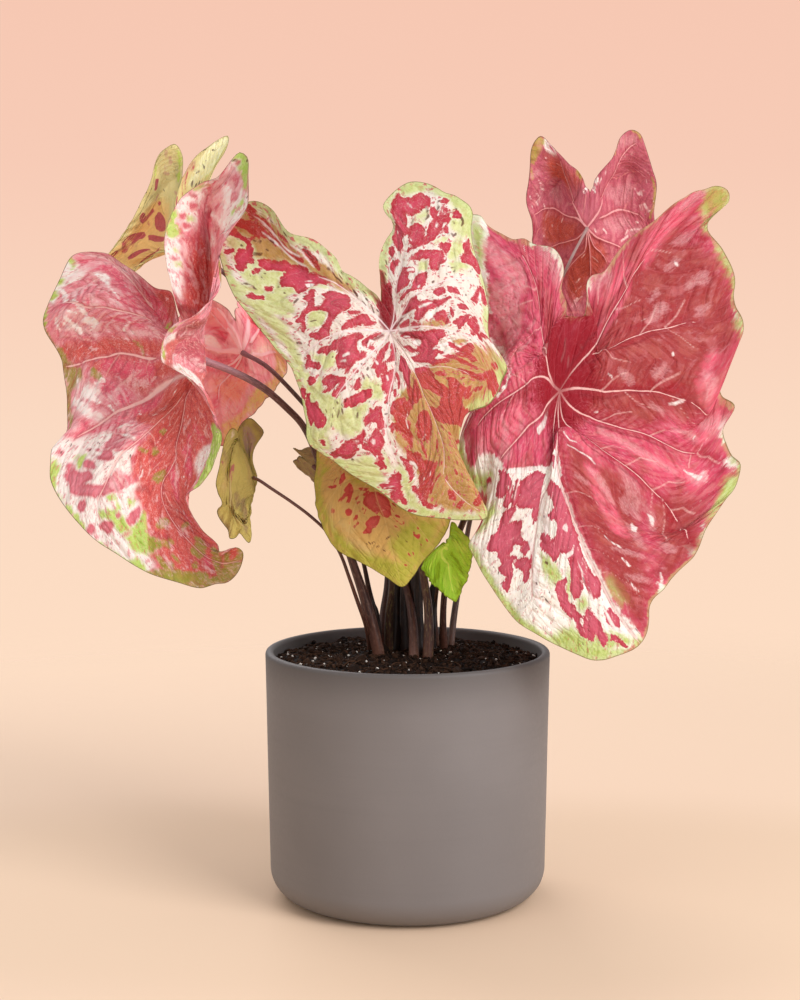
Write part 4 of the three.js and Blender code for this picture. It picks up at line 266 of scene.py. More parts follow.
    [-0.611,-0.045,-45.7,-29.1,205.2], [-0.579,-0.216,-42.6,-32.1,197.4], [-0.524,-0.38,-38.4,-34.8,190], [-0.452,-0.53,-31.8,-37.3,185.2], [-0.36,-0.671,-24.2,-39.5,182],
    [-0.244,-0.817,-16.1,-42,177.7], [-0.122,-0.934,-9,-44.5,173.5], [0,-1,-3,-45.8,170.1], [0.099,-0.953,0.5,-45,172.6], [0.279,-0.776,6.1,-41.8,180.2],
    [0.421,-0.582,12.1,-39.1,187], [0.526,-0.376,17.7,-36.4,193.8], [0.592,-0.159,21.3,-33.6,201.6], [0.62,0.1,21.9,-30.7,211.5], [0.603,0.272,19.4,-28.2,222.5],
    [0.555,0.432,14.8,-26.6,232.6], [0.46,0.564,8.2,-25.8,241.2], [0.32,0.6,-0.4,-25.3,246.3], [0.169,0.472,-8.1,-25.8,244.8], [0.073,0.302,-13.7,-26.9,239.7],
    [0,-0.4,-12.1,-39.9,204.8], [0,-0.75,-6.5,-44.4,183.6], [0.224,-0.267,-2,-37.7,209.2], [0.301,-0.053,2.1,-34.4,223], [-0.224,-0.267,-28.2,-37.3,205.6],
    [-0.301,-0.053,-34.4,-33.1,220.4], [-0.208,0.296,-29.4,-28.1,237.8], [0.208,0.296,-8,-31.2,237] ]),
 'small_green': dict(under=False, control=[
    [0,0,20.1,-23.1,186.6], [0,0.1,19.6,-21.8,189.5], [-0.035,0.2,17.1,-20.8,188.3], [-0.104,0.368,13.5,-19.9,185.1], [-0.188,0.496,10.4,-19.6,182.5],
    [-0.32,0.6,7.8,-19.8,178.9], [-0.557,0.426,8.3,-20.9,174.4], [-0.62,0.1,10.9,-22.6,170.5], [-0.547,-0.32,15,-25.6,166.7], [-0.327,-0.716,19.5,-29.4,163.2],
    [0,-1,24.5,-32.6,160.6], [0.214,-0.849,27.1,-30.6,164.9], [0.407,-0.603,29.8,-26.7,170], [0.559,-0.286,31.9,-22.9,176.2], [0.62,0.1,33.1,-19.3,183.5],
    [0.604,0.267,32.6,-17.8,188.5], [0.552,0.439,29.5,-16.4,193], [0.443,0.577,26,-15,197], [0.32,0.6,22.9,-13.8,199.5], [0.152,0.448,21.8,-15.1,195.5],
    [0.05,0.242,20.7,-18.5,191.7], [0,-0.4,21,-28.7,177.5], [0,-0.75,23,-31.7,167.6], [0.274,-0.158,26.7,-25.4,178.6], [-0.274,-0.158,14.4,-26.4,175.6],
    [0.272,0.228,25.8,-21.6,191] ]),
 'small_furled': dict(under=False, control=[
    [0,0,-49.4,9,227.2], [0,0.1,-55.7,10.4,231.3], [-0.083,0.324,-57.9,11.2,232.9], [-0.32,0.6,-60.5,11.9,236], [-0.474,0.551,-56.8,11.2,235],
    [-0.582,0.359,-52,9.9,236.7], [-0.62,0.1,-46.1,8.4,235.7], [-0.533,-0.358,-38.7,6.5,232.7], [-0.298,-0.753,-32.4,5.4,228], [0,-1,-28.2,4.6,222.8],
    [0.331,-0.71,-33.5,6,218.5], [0.55,-0.313,-39.9,8.9,215.6], [0.62,0.1,-46.4,12.2,215.3], [0.585,0.349,-52.3,15.3,219.8], [0.487,0.538,-57.1,15.5,224],
    [0.32,0.6,-60.8,15.2,228.3], [0.118,0.393,-58.5,13.6,230], [0,-0.5,-37.8,8.8,224.6] ]),
}
PETIOLES = {
 'right_front': dict(radius=(1.5, 1.8), path=[
    [19.6,17.7,128], [19,14,143.8], [19.9,10.6,160.5], [23.5,6.4,179.7], [28.6,3,196.1],
    [39.9,-1.7,220.2], [54.1,-6.7,241.5], [68.1,-12.2,257.3] ]),
 'centre': dict(radius=(2, 1.7), path=[
    [10.6,-9.4,128], [11.1,-9.3,142.3], [10.6,-9.1,154.9], [8,-9.4,172.3], [4.8,-9.2,194.8],
    [0.7,-9.7,220.9], [-4,-12.9,249.6], [-7,-26.2,278.3] ]),
 'left_front': dict(radius=(1.9, 1.8), path=[
    [-15.1,-0.5,128], [-19.2,-1.9,146.3], [-23.9,-2.3,162.3], [-28.1,-3.1,175.1], [-34.3,-4.2,194.2],
    [-42.9,-7.6,221.8], [-53.5,-12,248.5], [-62.1,-14.1,258.4], [-74.7,-16,269.3], [-89.7,-19.2,277.5] ]),
 'left_mid_back': dict(radius=(1.9, 1.2), path=[
    [3.3,-9.4,128], [2.8,-0.1,143.4], [-0.3,8.6,160.7], [-7.7,18.8,183.5], [-22.8,27.7,212.3],
    [-44.3,30.8,244.4], [-61.9,28.8,265.4], [-75.5,26.1,278.9] ]),
 'left_back': dict(radius=(2.3, 1.3), path=[
    [-12.7,30.2,128], [-12.7,32,143.6], [-10.5,36.7,160.5], [-11.1,41.9,183.5], [-22.1,48.1,215.9],
    [-41.3,53.3,248.5], [-69.8,55.5,292.3], [-95.6,52.7,324.9], [-114.2,50.1,339.4] ]),
 'right_back': dict(radius=(1.4, 1.2), path=[
    [23.7,30.2,128], [25.1,32.8,140.8], [27,33,153.9], [30.2,34.7,170.7], [33,36.5,189.6],
    [41.7,41.2,227.4], [54.9,47.2,267.9], [70,48.6,303.2], [82.8,47.6,323.7], [89,45.9,337.2] ]),
 'small_hanging': dict(radius=(1.2, 0.8), path=[
    [-19.5,11.5,128], [-21.8,-6.1,144.4], [-26.3,-13.7,158.7], [-30.3,-19.5,171.6], [-34.8,-23.3,184.5],
    [-40.9,-23.3,194.8], [-50.1,-21.4,203.4], [-60.5,-19.7,211], [-69.7,-19.1,217.1], [-76,-16.2,221] ]),
 'lower_front': dict(radius=(1.7, 1.2), path=[
    [-9.9,11.5,128], [-9.8,5.3,147.9], [-8.2,-1.1,164.8], [-8.7,-6.2,184], [-9.7,-11.7,200.3],
    [-13.3,-17.4,213.3] ]),
 'small_green': dict(radius=(1.4, 0.8), path=[
    [15.5,27.1,128], [14.8,21.3,147], [16.1,6.9,163.7], [18.4,-7.9,176.8] ]),
 'small_furled': dict(radius=(1.5, 0.9), path=[
    [-16.7,23.9,128], [-17.5,22,144.1], [-20.6,19.5,159.2], [-23.2,15.8,173.2], [-26.8,11.2,187.1],
    [-32.4,5.7,203.7], [-39.1,1.9,216.2] ]),
}
# Marks on the blades in leaf coordinates: (kind, stroke or patch, points); a stroke's third number
# is its half width in mm. Kinds: 0 cream, 1 green, 2 tan zones; 3 red, 4 white, 5 dark, 6 dashes, 7 pale clouds, 8 ochre
# patches, 9 fine pale lines, 10 fine shade lines, 11 rose clouds.
MARKS = {
 'centre': [
  (1,'p',[[-0.372,0.577],[-0.320,0.545],[-0.293,0.495],[-0.259,0.440],[-0.186,0.370],[-0.144,0.295],[-0.113,0.246],[-0.230,0.268],[-0.314,0.295],[-0.416,0.300],[-0.469,0.353],[-0.484,0.419],[-0.447,0.509]]),
  (1,'p',[[-0.540,0.383],[-0.491,0.330],[-0.494,0.222],[-0.507,0.102],[-0.545,-0.074],[-0.590,-0.094],[-0.567,0.067],[-0.555,0.200],[-0.565,0.300]]),
  (1,'p',[[-0.601,-0.125],[-0.483,-0.102],[-0.349,-0.175],[-0.342,-0.234],[-0.421,-0.278],[-0.498,-0.381],[-0.540,-0.351],[-0.598,-0.235]]),
  (5,'p',[[0.044,0.232],[0.060,0.225],[0.042,0.151],[0.041,0.085],[0.047,0.036],[0.044,0.008],[0.010,-0.005],[-0.026,0.005],[-0.045,0.035],[-0.019,0.079],[-0.002,0.135],[0.020,0.190]]),
  (5,'s',[[0.040,0.015,0.73],[0.100,0.049,0.52],[0.152,0.072,0.36]]),
  (5,'s',[[0.056,-0.012,0.52],[0.131,-0.020,0.62],[0.214,-0.024,0.41]]),
  (5,'s',[[-0.045,-0.013,0.62],[-0.101,-0.023,0.62],[-0.146,-0.025,0.42]]),
  (5,'s',[[0.034,-0.044,0.42],[0.064,-0.086,0.41]]),
  (2,'p',[[0.467,-0.064],[0.546,-0.025],[0.635,0.150],[0.653,0.145],[0.619,-0.007],[0.602,-0.106],[0.584,-0.194],[0.557,-0.287],[0.527,-0.376],[0.486,-0.476],[0.407,-0.603],[0.227,-0.754],[0.199,-0.857],[0.155,-0.966],[0.005,-0.994],[-0.066,-0.939],[-0.148,-0.856],[-0.179,-0.814],[-0.222,-0.716],[-0.261,-0.532],[-0.242,-0.464],[-0.234,-0.419],[-0.187,-0.324],[-0.145,-0.282],[-0.030,-0.325],[0.158,-0.200],[0.229,-0.153],[0.331,-0.128],[0.402,-0.109]]),
  (2,'p',[[-0.261,0.554],[-0.238,0.513],[-0.186,0.457],[-0.151,0.382],[-0.129,0.311],[-0.093,0.259],[-0.057,0.204],[-0.037,0.160],[-0.079,0.190],[-0.136,0.222],[-0.174,0.268],[-0.192,0.327],[-0.199,0.367],[-0.269,0.397],[-0.336,0.429],[-0.366,0.460],[-0.338,0.484],[-0.328,0.505],[-0.361,0.557],[-0.352,0.572],[-0.292,0.560]]),
  (2,'p',[[0.276,0.042],[0.369,0.056],[0.391,0.028],[0.330,0.017],[0.233,0.010],[0.202,0.019]]),
  (2,'p',[[0.382,-0.044],[0.437,-0.038],[0.462,-0.053],[0.414,-0.072],[0.377,-0.059]]),
  (1,'p',[[-0.364,0.189],[-0.329,0.183],[-0.301,0.154],[-0.318,0.121],[-0.349,0.099],[-0.391,0.118],[-0.417,0.146],[-0.392,0.170]]),
  (1,'p',[[-0.464,0.041],[-0.406,0.004],[-0.332,-0.017],[-0.327,-0.042],[-0.347,-0.071],[-0.416,-0.069],[-0.442,-0.012],[-0.483,0.020]]),
  (1,'p',[[-0.506,-0.110],[-0.448,-0.075],[-0.429,-0.146],[-0.395,-0.179],[-0.422,-0.191],[-0.505,-0.168],[-0.545,-0.139],[-0.563,-0.097],[-0.558,-0.056],[-0.516,-0.040]]),
  (1,'p',[[-0.396,-0.242],[-0.339,-0.236],[-0.284,-0.231],[-0.239,-0.236],[-0.246,-0.268],[-0.280,-0.283],[-0.302,-0.301],[-0.316,-0.327],[-0.363,-0.341],[-0.383,-0.307],[-0.401,-0.272]]),
  (1,'p',[[-0.556,-0.293],[-0.468,-0.278],[-0.435,-0.319],[-0.460,-0.389],[-0.498,-0.381],[-0.540,-0.351]]),
  (1,'p',[[-0.244,-0.168],[-0.207,-0.154],[-0.169,-0.171],[-0.171,-0.203],[-0.196,-0.243],[-0.233,-0.238],[-0.259,-0.210],[-0.265,-0.189]]),
  (1,'p',[[-0.468,-0.473],[-0.423,-0.453],[-0.355,-0.408],[-0.347,-0.448],[-0.353,-0.507],[-0.361,-0.643],[-0.408,-0.585],[-0.446,-0.523]]),
  (1,'p',[[-0.303,-0.427],[-0.307,-0.468],[-0.327,-0.498],[-0.351,-0.518],[-0.351,-0.477]]),
  (1,'p',[[-0.113,-0.265],[-0.075,-0.326],[-0.096,-0.351],[-0.122,-0.308]]),
  (1,'p',[[-0.109,-0.406],[-0.024,-0.435],[-0.034,-0.449],[-0.094,-0.438],[-0.151,-0.451],[-0.186,-0.480],[-0.194,-0.510],[-0.199,-0.476],[-0.162,-0.439]]),
  (1,'p',[[0.251,-0.228],[0.288,-0.258],[0.305,-0.304],[0.300,-0.333],[0.263,-0.292],[0.238,-0.254]]),
  (1,'p',[[0.081,-0.596],[0.302,-0.547],[0.490,-0.486],[0.424,-0.565],[0.144,-0.628]]),
  (1,'p',[[0.406,-0.393],[0.505,-0.347],[0.551,-0.289],[0.539,-0.342],[0.466,-0.408]]),
  (1,'p',[[0.399,0.342],[0.420,0.397],[0.447,0.429],[0.479,0.435],[0.502,0.403],[0.465,0.358],[0.425,0.333]]),
  (1,'p',[[0.414,0.580],[0.453,0.566],[0.485,0.539],[0.520,0.506],[0.526,0.462],[0.478,0.442],[0.427,0.444],[0.407,0.475],[0.418,0.528]]),
  (1,'p',[[0.252,0.553],[0.304,0.587],[0.347,0.595],[0.354,0.568],[0.316,0.559],[0.265,0.537]]),
  (1,'p',[[0.324,0.477],[0.340,0.507],[0.348,0.523],[0.328,0.512],[0.298,0.488],[0.285,0.458],[0.275,0.449],[0.304,0.461]]),
  (1,'p',[[0.351,0.379],[0.386,0.412],[0.415,0.426],[0.407,0.397],[0.369,0.389]]),
  (1,'p',[[0.269,0.300],[0.317,0.307],[0.311,0.265],[0.260,0.262]]),
  (1,'p',[[-0.526,0.481],[-0.520,0.426],[-0.475,0.404],[-0.393,0.390],[-0.349,0.358],[-0.386,0.338],[-0.390,0.280],[-0.412,0.220],[-0.465,0.220],[-0.509,0.274],[-0.530,0.345],[-0.549,0.393]]),
  (1,'p',[[-0.386,0.570],[-0.352,0.537],[-0.344,0.504],[-0.390,0.518],[-0.430,0.545]]),
  (1,'p',[[0.411,0.319],[0.517,0.359],[0.489,0.314],[0.423,0.280]]),
  (1,'p',[[-0.258,-0.656],[-0.292,-0.510],[-0.284,-0.470],[-0.316,-0.500],[-0.328,-0.572],[-0.272,-0.736],[-0.220,-0.831],[-0.160,-0.899],[-0.157,-0.859],[-0.200,-0.802]]),
  (1,'p',[[0.597,-0.001],[0.611,0.079],[0.616,0.013],[0.603,-0.066]]),
  (3,'s',[[-0.317,0.565,1.08],[-0.310,0.540,0.91],[-0.302,0.520,1.29],[-0.290,0.496,1.50],[-0.275,0.486,0.96]]),
  (3,'s',[[-0.366,0.571,0.97],[-0.353,0.552,1.19],[-0.350,0.531,0.81],[-0.339,0.507,0.54],[-0.320,0.495,0.32]]),
  (3,'s',[[-0.261,0.558,0.32],[-0.264,0.541,1.13],[-0.266,0.529,1.23],[-0.268,0.521,0.37]]),
  (3,'p',[[-0.400,0.512],[-0.370,0.494],[-0.350,0.493],[-0.349,0.482],[-0.366,0.476],[-0.388,0.475],[-0.388,0.467],[-0.377,0.449],[-0.401,0.463],[-0.421,0.466],[-0.435,0.456],[-0.456,0.453],[-0.468,0.462],[-0.469,0.475],[-0.450,0.480],[-0.447,0.491],[-0.450,0.502],[-0.428,0.500],[-0.407,0.504]]),
  (3,'s',[[-0.446,0.531,0.91],[-0.413,0.521,0.43]]),
  (3,'p',[[-0.423,0.438],[-0.403,0.436],[-0.392,0.426],[-0.409,0.423],[-0.423,0.430]]),
  (3,'s',[[-0.366,0.435,1.28],[-0.345,0.423,1.70],[-0.322,0.408,1.49],[-0.292,0.392,1.59],[-0.259,0.382,1.59]]),
  (3,'p',[[-0.272,0.382],[-0.240,0.379],[-0.203,0.366],[-0.188,0.346],[-0.188,0.333],[-0.199,0.329],[-0.178,0.306],[-0.163,0.286],[-0.153,0.265],[-0.151,0.253],[-0.182,0.264],[-0.210,0.281],[-0.228,0.279],[-0.258,0.289],[-0.299,0.281],[-0.331,0.284],[-0.333,0.299],[-0.328,0.315],[-0.346,0.331],[-0.364,0.346],[-0.360,0.363],[-0.331,0.367],[-0.304,0.372]]),
  (3,'p',[[-0.438,0.372],[-0.420,0.373],[-0.399,0.361],[-0.410,0.353],[-0.434,0.356],[-0.441,0.365]]),
  (3,'p',[[-0.515,0.373],[-0.496,0.374],[-0.491,0.360],[-0.465,0.352],[-0.476,0.341],[-0.510,0.348],[-0.530,0.355],[-0.526,0.364]]),
  (3,'s',[[-0.273,0.490,0.43],[-0.266,0.470,0.69],[-0.250,0.453,0.80],[-0.246,0.442,0.43]]),
  (3,'s',[[-0.248,0.494,0.43],[-0.242,0.476,1.07],[-0.237,0.460,0.85],[-0.237,0.451,0.32]]),
  (3,'s',[[-0.230,0.436,0.74],[-0.213,0.421,1.33],[-0.207,0.406,1.06]]),
  (3,'s',[[-0.198,0.397,0.58],[-0.187,0.381,1.16],[-0.182,0.368,0.69]]),
  (3,'s',[[-0.149,0.368,0.53],[-0.148,0.349,1.21],[-0.148,0.323,1.21],[-0.149,0.310,0.74]]),
  (3,'s',[[-0.209,0.450,0.37],[-0.177,0.423,0.37]]),
  (3,'s',[[-0.258,0.516,0.32],[-0.258,0.499,0.32]]),
  (3,'s',[[-0.279,0.525,0.32],[-0.275,0.509,0.32]]),
  (3,'s',[[-0.269,0.464,0.37],[-0.256,0.446,0.48]]),
  (3,'p',[[-0.336,0.250],[-0.303,0.260],[-0.265,0.272],[-0.259,0.262],[-0.293,0.241],[-0.307,0.220],[-0.337,0.199],[-0.315,0.186],[-0.296,0.181],[-0.306,0.169],[-0.340,0.184],[-0.364,0.189],[-0.390,0.186],[-0.408,0.172],[-0.420,0.143],[-0.440,0.132],[-0.449,0.142],[-0.421,0.170],[-0.435,0.180],[-0.437,0.191],[-0.414,0.192],[-0.385,0.205],[-0.359,0.208],[-0.338,0.224]]),
  (3,'p',[[-0.246,0.235],[-0.194,0.234],[-0.165,0.215],[-0.149,0.203],[-0.123,0.200],[-0.130,0.187],[-0.178,0.137],[-0.179,0.115],[-0.205,0.110],[-0.228,0.110],[-0.257,0.109],[-0.285,0.098],[-0.306,0.090],[-0.320,0.074],[-0.334,0.058],[-0.342,0.040],[-0.363,0.050],[-0.396,0.062],[-0.414,0.085],[-0.428,0.109],[-0.407,0.104],[-0.381,0.086],[-0.368,0.097],[-0.342,0.100],[-0.318,0.111],[-0.293,0.133],[-0.300,0.148],[-0.305,0.163],[-0.307,0.182],[-0.281,0.193],[-0.246,0.212]]),
  (3,'p',[[-0.259,0.055],[-0.227,0.065],[-0.184,0.069],[-0.137,0.074],[-0.098,0.070],[-0.094,0.054],[-0.083,0.041],[-0.061,0.037],[-0.088,0.031],[-0.125,0.033],[-0.146,0.043],[-0.188,0.043],[-0.229,0.044],[-0.263,0.045]]),
  (3,'p',[[-0.206,0.097],[-0.161,0.091],[-0.137,0.087],[-0.166,0.081],[-0.200,0.087]]),
  (3,'p',[[-0.432,0.025],[-0.407,0.032],[-0.349,0.009],[-0.320,0.019],[-0.290,0.017],[-0.244,0.015],[-0.208,0.019],[-0.162,0.015],[-0.155,-0.001],[-0.192,-0.008],[-0.203,-0.025],[-0.202,-0.044],[-0.177,-0.053],[-0.158,-0.061],[-0.164,-0.075],[-0.192,-0.077],[-0.229,-0.082],[-0.257,-0.097],[-0.279,-0.113],[-0.295,-0.114],[-0.279,-0.097],[-0.299,-0.093],[-0.326,-0.086],[-0.332,-0.060],[-0.328,-0.045],[-0.304,-0.029],[-0.312,-0.015],[-0.348,-0.007],[-0.375,-0.008]]),
  (3,'p',[[-0.437,-0.096],[-0.400,-0.092],[-0.361,-0.103],[-0.330,-0.121],[-0.301,-0.133],[-0.312,-0.151],[-0.314,-0.171],[-0.334,-0.177],[-0.351,-0.182],[-0.359,-0.190],[-0.378,-0.178],[-0.381,-0.170],[-0.357,-0.164],[-0.339,-0.155],[-0.325,-0.143],[-0.345,-0.137],[-0.358,-0.144],[-0.371,-0.151],[-0.391,-0.155],[-0.423,-0.148],[-0.443,-0.139],[-0.401,-0.140],[-0.406,-0.126],[-0.439,-0.112]]),
  (3,'p',[[-0.528,-0.010],[-0.501,0.023],[-0.481,0.046],[-0.473,0.036],[-0.480,0.013],[-0.450,-0.013],[-0.428,-0.033],[-0.440,-0.046],[-0.471,-0.029],[-0.499,-0.014],[-0.525,-0.016]]),
  (3,'p',[[-0.538,-0.098],[-0.527,-0.077],[-0.511,-0.067],[-0.478,-0.076],[-0.489,-0.093],[-0.513,-0.105],[-0.533,-0.106]]),
  (3,'p',[[-0.591,-0.131],[-0.556,-0.123],[-0.565,-0.143],[-0.569,-0.180],[-0.585,-0.166],[-0.589,-0.149]]),
  (3,'p',[[-0.553,-0.149],[-0.532,-0.146],[-0.535,-0.176],[-0.506,-0.183],[-0.483,-0.175],[-0.462,-0.198],[-0.456,-0.212],[-0.429,-0.231],[-0.431,-0.245],[-0.458,-0.243],[-0.439,-0.257],[-0.450,-0.266],[-0.478,-0.270],[-0.498,-0.263],[-0.505,-0.249],[-0.533,-0.277],[-0.550,-0.253],[-0.551,-0.218],[-0.564,-0.196]]),
  (3,'p',[[-0.479,-0.335],[-0.463,-0.322],[-0.459,-0.333],[-0.469,-0.356],[-0.477,-0.346]]),
  (3,'p',[[-0.281,-0.178],[-0.254,-0.154],[-0.238,-0.148],[-0.248,-0.167],[-0.265,-0.189],[-0.275,-0.183]]),
  (3,'s',[[-0.328,-0.222,1.14],[-0.305,-0.225,1.65],[-0.271,-0.219,1.76],[-0.243,-0.209,1.55],[-0.228,-0.200,0.83]]),
  (3,'p',[[-0.470,-0.422],[-0.434,-0.381],[-0.408,-0.366],[-0.388,-0.346],[-0.373,-0.346],[-0.351,-0.345],[-0.327,-0.338],[-0.308,-0.326],[-0.315,-0.344],[-0.329,-0.359],[-0.347,-0.369],[-0.361,-0.369],[-0.373,-0.389],[-0.395,-0.412],[-0.415,-0.431],[-0.436,-0.450],[-0.441,-0.437],[-0.445,-0.423],[-0.467,-0.456]]),
  (3,'p',[[-0.351,-0.386],[-0.324,-0.374],[-0.301,-0.359],[-0.270,-0.346],[-0.258,-0.348],[-0.253,-0.325],[-0.269,-0.316],[-0.294,-0.316],[-0.294,-0.301],[-0.288,-0.291],[-0.265,-0.285],[-0.254,-0.269],[-0.242,-0.278],[-0.227,-0.272],[-0.214,-0.279],[-0.224,-0.302],[-0.226,-0.324],[-0.232,-0.344],[-0.228,-0.360],[-0.254,-0.356],[-0.268,-0.356],[-0.262,-0.372],[-0.271,-0.388],[-0.278,-0.401],[-0.298,-0.412],[-0.312,-0.414],[-0.326,-0.417],[-0.331,-0.429],[-0.339,-0.426],[-0.338,-0.409],[-0.344,-0.397]]),
  (3,'p',[[-0.254,-0.114],[-0.231,-0.109],[-0.231,-0.117],[-0.253,-0.122]]),
  (3,'p',[[-0.170,-0.031],[-0.160,-0.014],[-0.135,-0.009],[-0.106,-0.007],[-0.074,-0.001],[-0.053,-0.004],[-0.072,-0.009],[-0.097,-0.013],[-0.118,-0.024],[-0.133,-0.036],[-0.112,-0.049],[-0.107,-0.059],[-0.126,-0.057],[-0.142,-0.045],[-0.155,-0.034]]),
  (3,'p',[[-0.164,-0.119],[-0.137,-0.103],[-0.112,-0.087],[-0.086,-0.070],[-0.049,-0.058],[-0.025,-0.048],[-0.046,-0.076],[-0.072,-0.086],[-0.097,-0.103],[-0.120,-0.118],[-0.100,-0.120],[-0.108,-0.133],[-0.119,-0.144],[-0.145,-0.145],[-0.166,-0.155],[-0.162,-0.140],[-0.152,-0.127]]),
  (3,'p',[[-0.096,-0.122],[-0.064,-0.119],[-0.029,-0.096],[-0.032,-0.075],[-0.003,-0.057],[-0.002,-0.107],[-0.042,-0.155],[-0.068,-0.138]]),
  (3,'p',[[-0.156,-0.154],[-0.128,-0.153],[-0.108,-0.156],[-0.087,-0.164],[-0.114,-0.183],[-0.136,-0.199],[-0.153,-0.229],[-0.167,-0.243],[-0.179,-0.220],[-0.176,-0.196],[-0.161,-0.178]]),
  (3,'s',[[-0.094,-0.188,0.67],[-0.104,-0.220,0.78],[-0.115,-0.248,0.36]]),
  (3,'s',[[-0.137,-0.237,0.46],[-0.146,-0.268,0.46]]),
  (3,'s',[[-0.172,-0.246,0.67],[-0.185,-0.271,0.46]]),
  (3,'p',[[0.028,-0.177],[0.048,-0.198],[0.054,-0.234],[0.065,-0.259],[0.012,-0.295],[-0.030,-0.325],[-0.025,-0.359],[0.070,-0.313],[0.048,-0.369],[0.020,-0.426],[-0.034,-0.420],[-0.078,-0.400],[-0.110,-0.398],[-0.145,-0.397],[-0.164,-0.408],[-0.137,-0.421],[-0.142,-0.432],[-0.165,-0.436],[-0.166,-0.455],[-0.179,-0.469],[-0.199,-0.476],[-0.211,-0.478],[-0.204,-0.462],[-0.185,-0.444],[-0.187,-0.428],[-0.197,-0.414],[-0.205,-0.398],[-0.207,-0.382],[-0.223,-0.387],[-0.218,-0.368],[-0.204,-0.370],[-0.185,-0.382],[-0.185,-0.367],[-0.182,-0.344],[-0.189,-0.327],[-0.179,-0.304],[-0.163,-0.289],[-0.139,-0.301],[-0.105,-0.323],[-0.103,-0.360],[-0.079,-0.357],[-0.070,-0.319],[-0.055,-0.304],[-0.059,-0.259],[-0.047,-0.239],[-0.065,-0.194],[-0.030,-0.198]]),
  (3,'p',[[-0.100,-0.457],[-0.127,-0.457],[-0.130,-0.474],[-0.152,-0.479],[-0.145,-0.496],[-0.136,-0.522],[-0.103,-0.548],[-0.071,-0.550],[-0.038,-0.544],[-0.020,-0.527],[-0.017,-0.501],[-0.011,-0.490],[-0.041,-0.470],[-0.076,-0.452]]),
  (3,'p',[[0.058,-0.025],[0.089,-0.008],[0.136,-0.006],[0.195,0.000],[0.221,-0.003],[0.269,-0.000],[0.327,0.009],[0.349,0.001],[0.354,-0.022],[0.323,-0.029],[0.302,-0.041],[0.292,-0.057],[0.266,-0.058],[0.282,-0.073],[0.299,-0.085],[0.283,-0.102],[0.262,-0.113],[0.278,-0.132],[0.314,-0.129],[0.345,-0.132],[0.342,-0.153],[0.294,-0.146],[0.249,-0.149],[0.218,-0.129],[0.171,-0.131],[0.125,-0.140],[0.106,-0.125],[0.139,-0.105],[0.168,-0.084],[0.149,-0.078],[0.102,-0.097],[0.090,-0.090],[0.065,-0.080],[0.100,-0.066],[0.119,-0.071],[0.143,-0.075],[0.167,-0.059],[0.130,-0.047],[0.153,-0.037],[0.189,-0.035],[0.179,-0.024],[0.122,-0.029],[0.076,-0.033]]),
  (3,'p',[[0.127,-0.193],[0.169,-0.162],[0.209,-0.152],[0.231,-0.184],[0.245,-0.206],[0.238,-0.233],[0.259,-0.264],[0.280,-0.289],[0.292,-0.312],[0.301,-0.327],[0.309,-0.280],[0.306,-0.250],[0.325,-0.252],[0.343,-0.281],[0.361,-0.313],[0.389,-0.339],[0.445,-0.349],[0.473,-0.346],[0.465,-0.364],[0.419,-0.382],[0.383,-0.372],[0.396,-0.395],[0.432,-0.416],[0.483,-0.401],[0.532,-0.358],[0.532,-0.387],[0.523,-0.431],[0.486,-0.476],[0.392,-0.513],[0.218,-0.557],[0.091,-0.580],[0.042,-0.559],[0.018,-0.527],[0.027,-0.505],[0.030,-0.485],[0.069,-0.487],[0.132,-0.486],[0.206,-0.429],[0.231,-0.376],[0.257,-0.359],[0.228,-0.346],[0.198,-0.332],[0.166,-0.324],[0.101,-0.360],[0.089,-0.338],[0.111,-0.270]]),
  (3,'p',[[0.260,-0.195],[0.284,-0.194],[0.303,-0.206],[0.305,-0.236],[0.282,-0.221],[0.261,-0.215]]),
  (3,'p',[[0.089,0.056],[0.111,0.081],[0.146,0.095],[0.186,0.104],[0.217,0.119],[0.211,0.100],[0.236,0.097],[0.283,0.116],[0.313,0.117],[0.366,0.131],[0.412,0.155],[0.394,0.131],[0.357,0.108],[0.312,0.089],[0.266,0.073],[0.240,0.049],[0.200,0.031],[0.174,0.037],[0.180,0.052],[0.200,0.068],[0.163,0.064],[0.124,0.058]]),
  (3,'p',[[0.064,0.014],[0.094,0.031],[0.130,0.034],[0.125,0.021],[0.094,0.010],[0.068,0.007]]),
  (3,'p',[[0.140,0.024],[0.170,0.028],[0.209,0.019],[0.192,0.010],[0.148,0.008]]),
  (3,'p',[[0.303,0.053],[0.326,0.071],[0.358,0.083],[0.379,0.077],[0.387,0.057],[0.394,0.041],[0.369,0.032],[0.349,0.047],[0.311,0.039]]),
  (3,'s',[[0.412,0.097,0.62],[0.413,0.070,0.72]]),
  (3,'p',[[0.447,0.120],[0.469,0.147],[0.489,0.162],[0.503,0.156],[0.476,0.105],[0.456,0.106]]),
  (3,'p',[[0.410,0.036],[0.443,0.050],[0.478,0.063],[0.508,0.108],[0.490,0.043],[0.462,0.015],[0.436,0.004],[0.430,0.023]]),
  (3,'p',[[0.487,0.027],[0.506,0.061],[0.530,0.150],[0.538,0.147],[0.523,0.052],[0.537,0.082],[0.537,0.030],[0.516,-0.003],[0.494,-0.011],[0.519,0.020],[0.499,0.018]]),
  (3,'p',[[0.530,0.001],[0.548,0.034],[0.602,0.184],[0.564,0.065],[0.542,0.003]]),
  (3,'p',[[0.413,-0.088],[0.445,-0.070],[0.476,-0.057],[0.488,-0.063],[0.465,-0.093],[0.445,-0.117],[0.459,-0.128],[0.463,-0.152],[0.430,-0.176],[0.424,-0.146],[0.399,-0.132],[0.378,-0.112],[0.402,-0.109],[0.418,-0.116],[0.429,-0.098]]),
  (3,'s',[[0.366,-0.062,0.98],[0.390,-0.086,0.72],[0.415,-0.099,0.77]]),
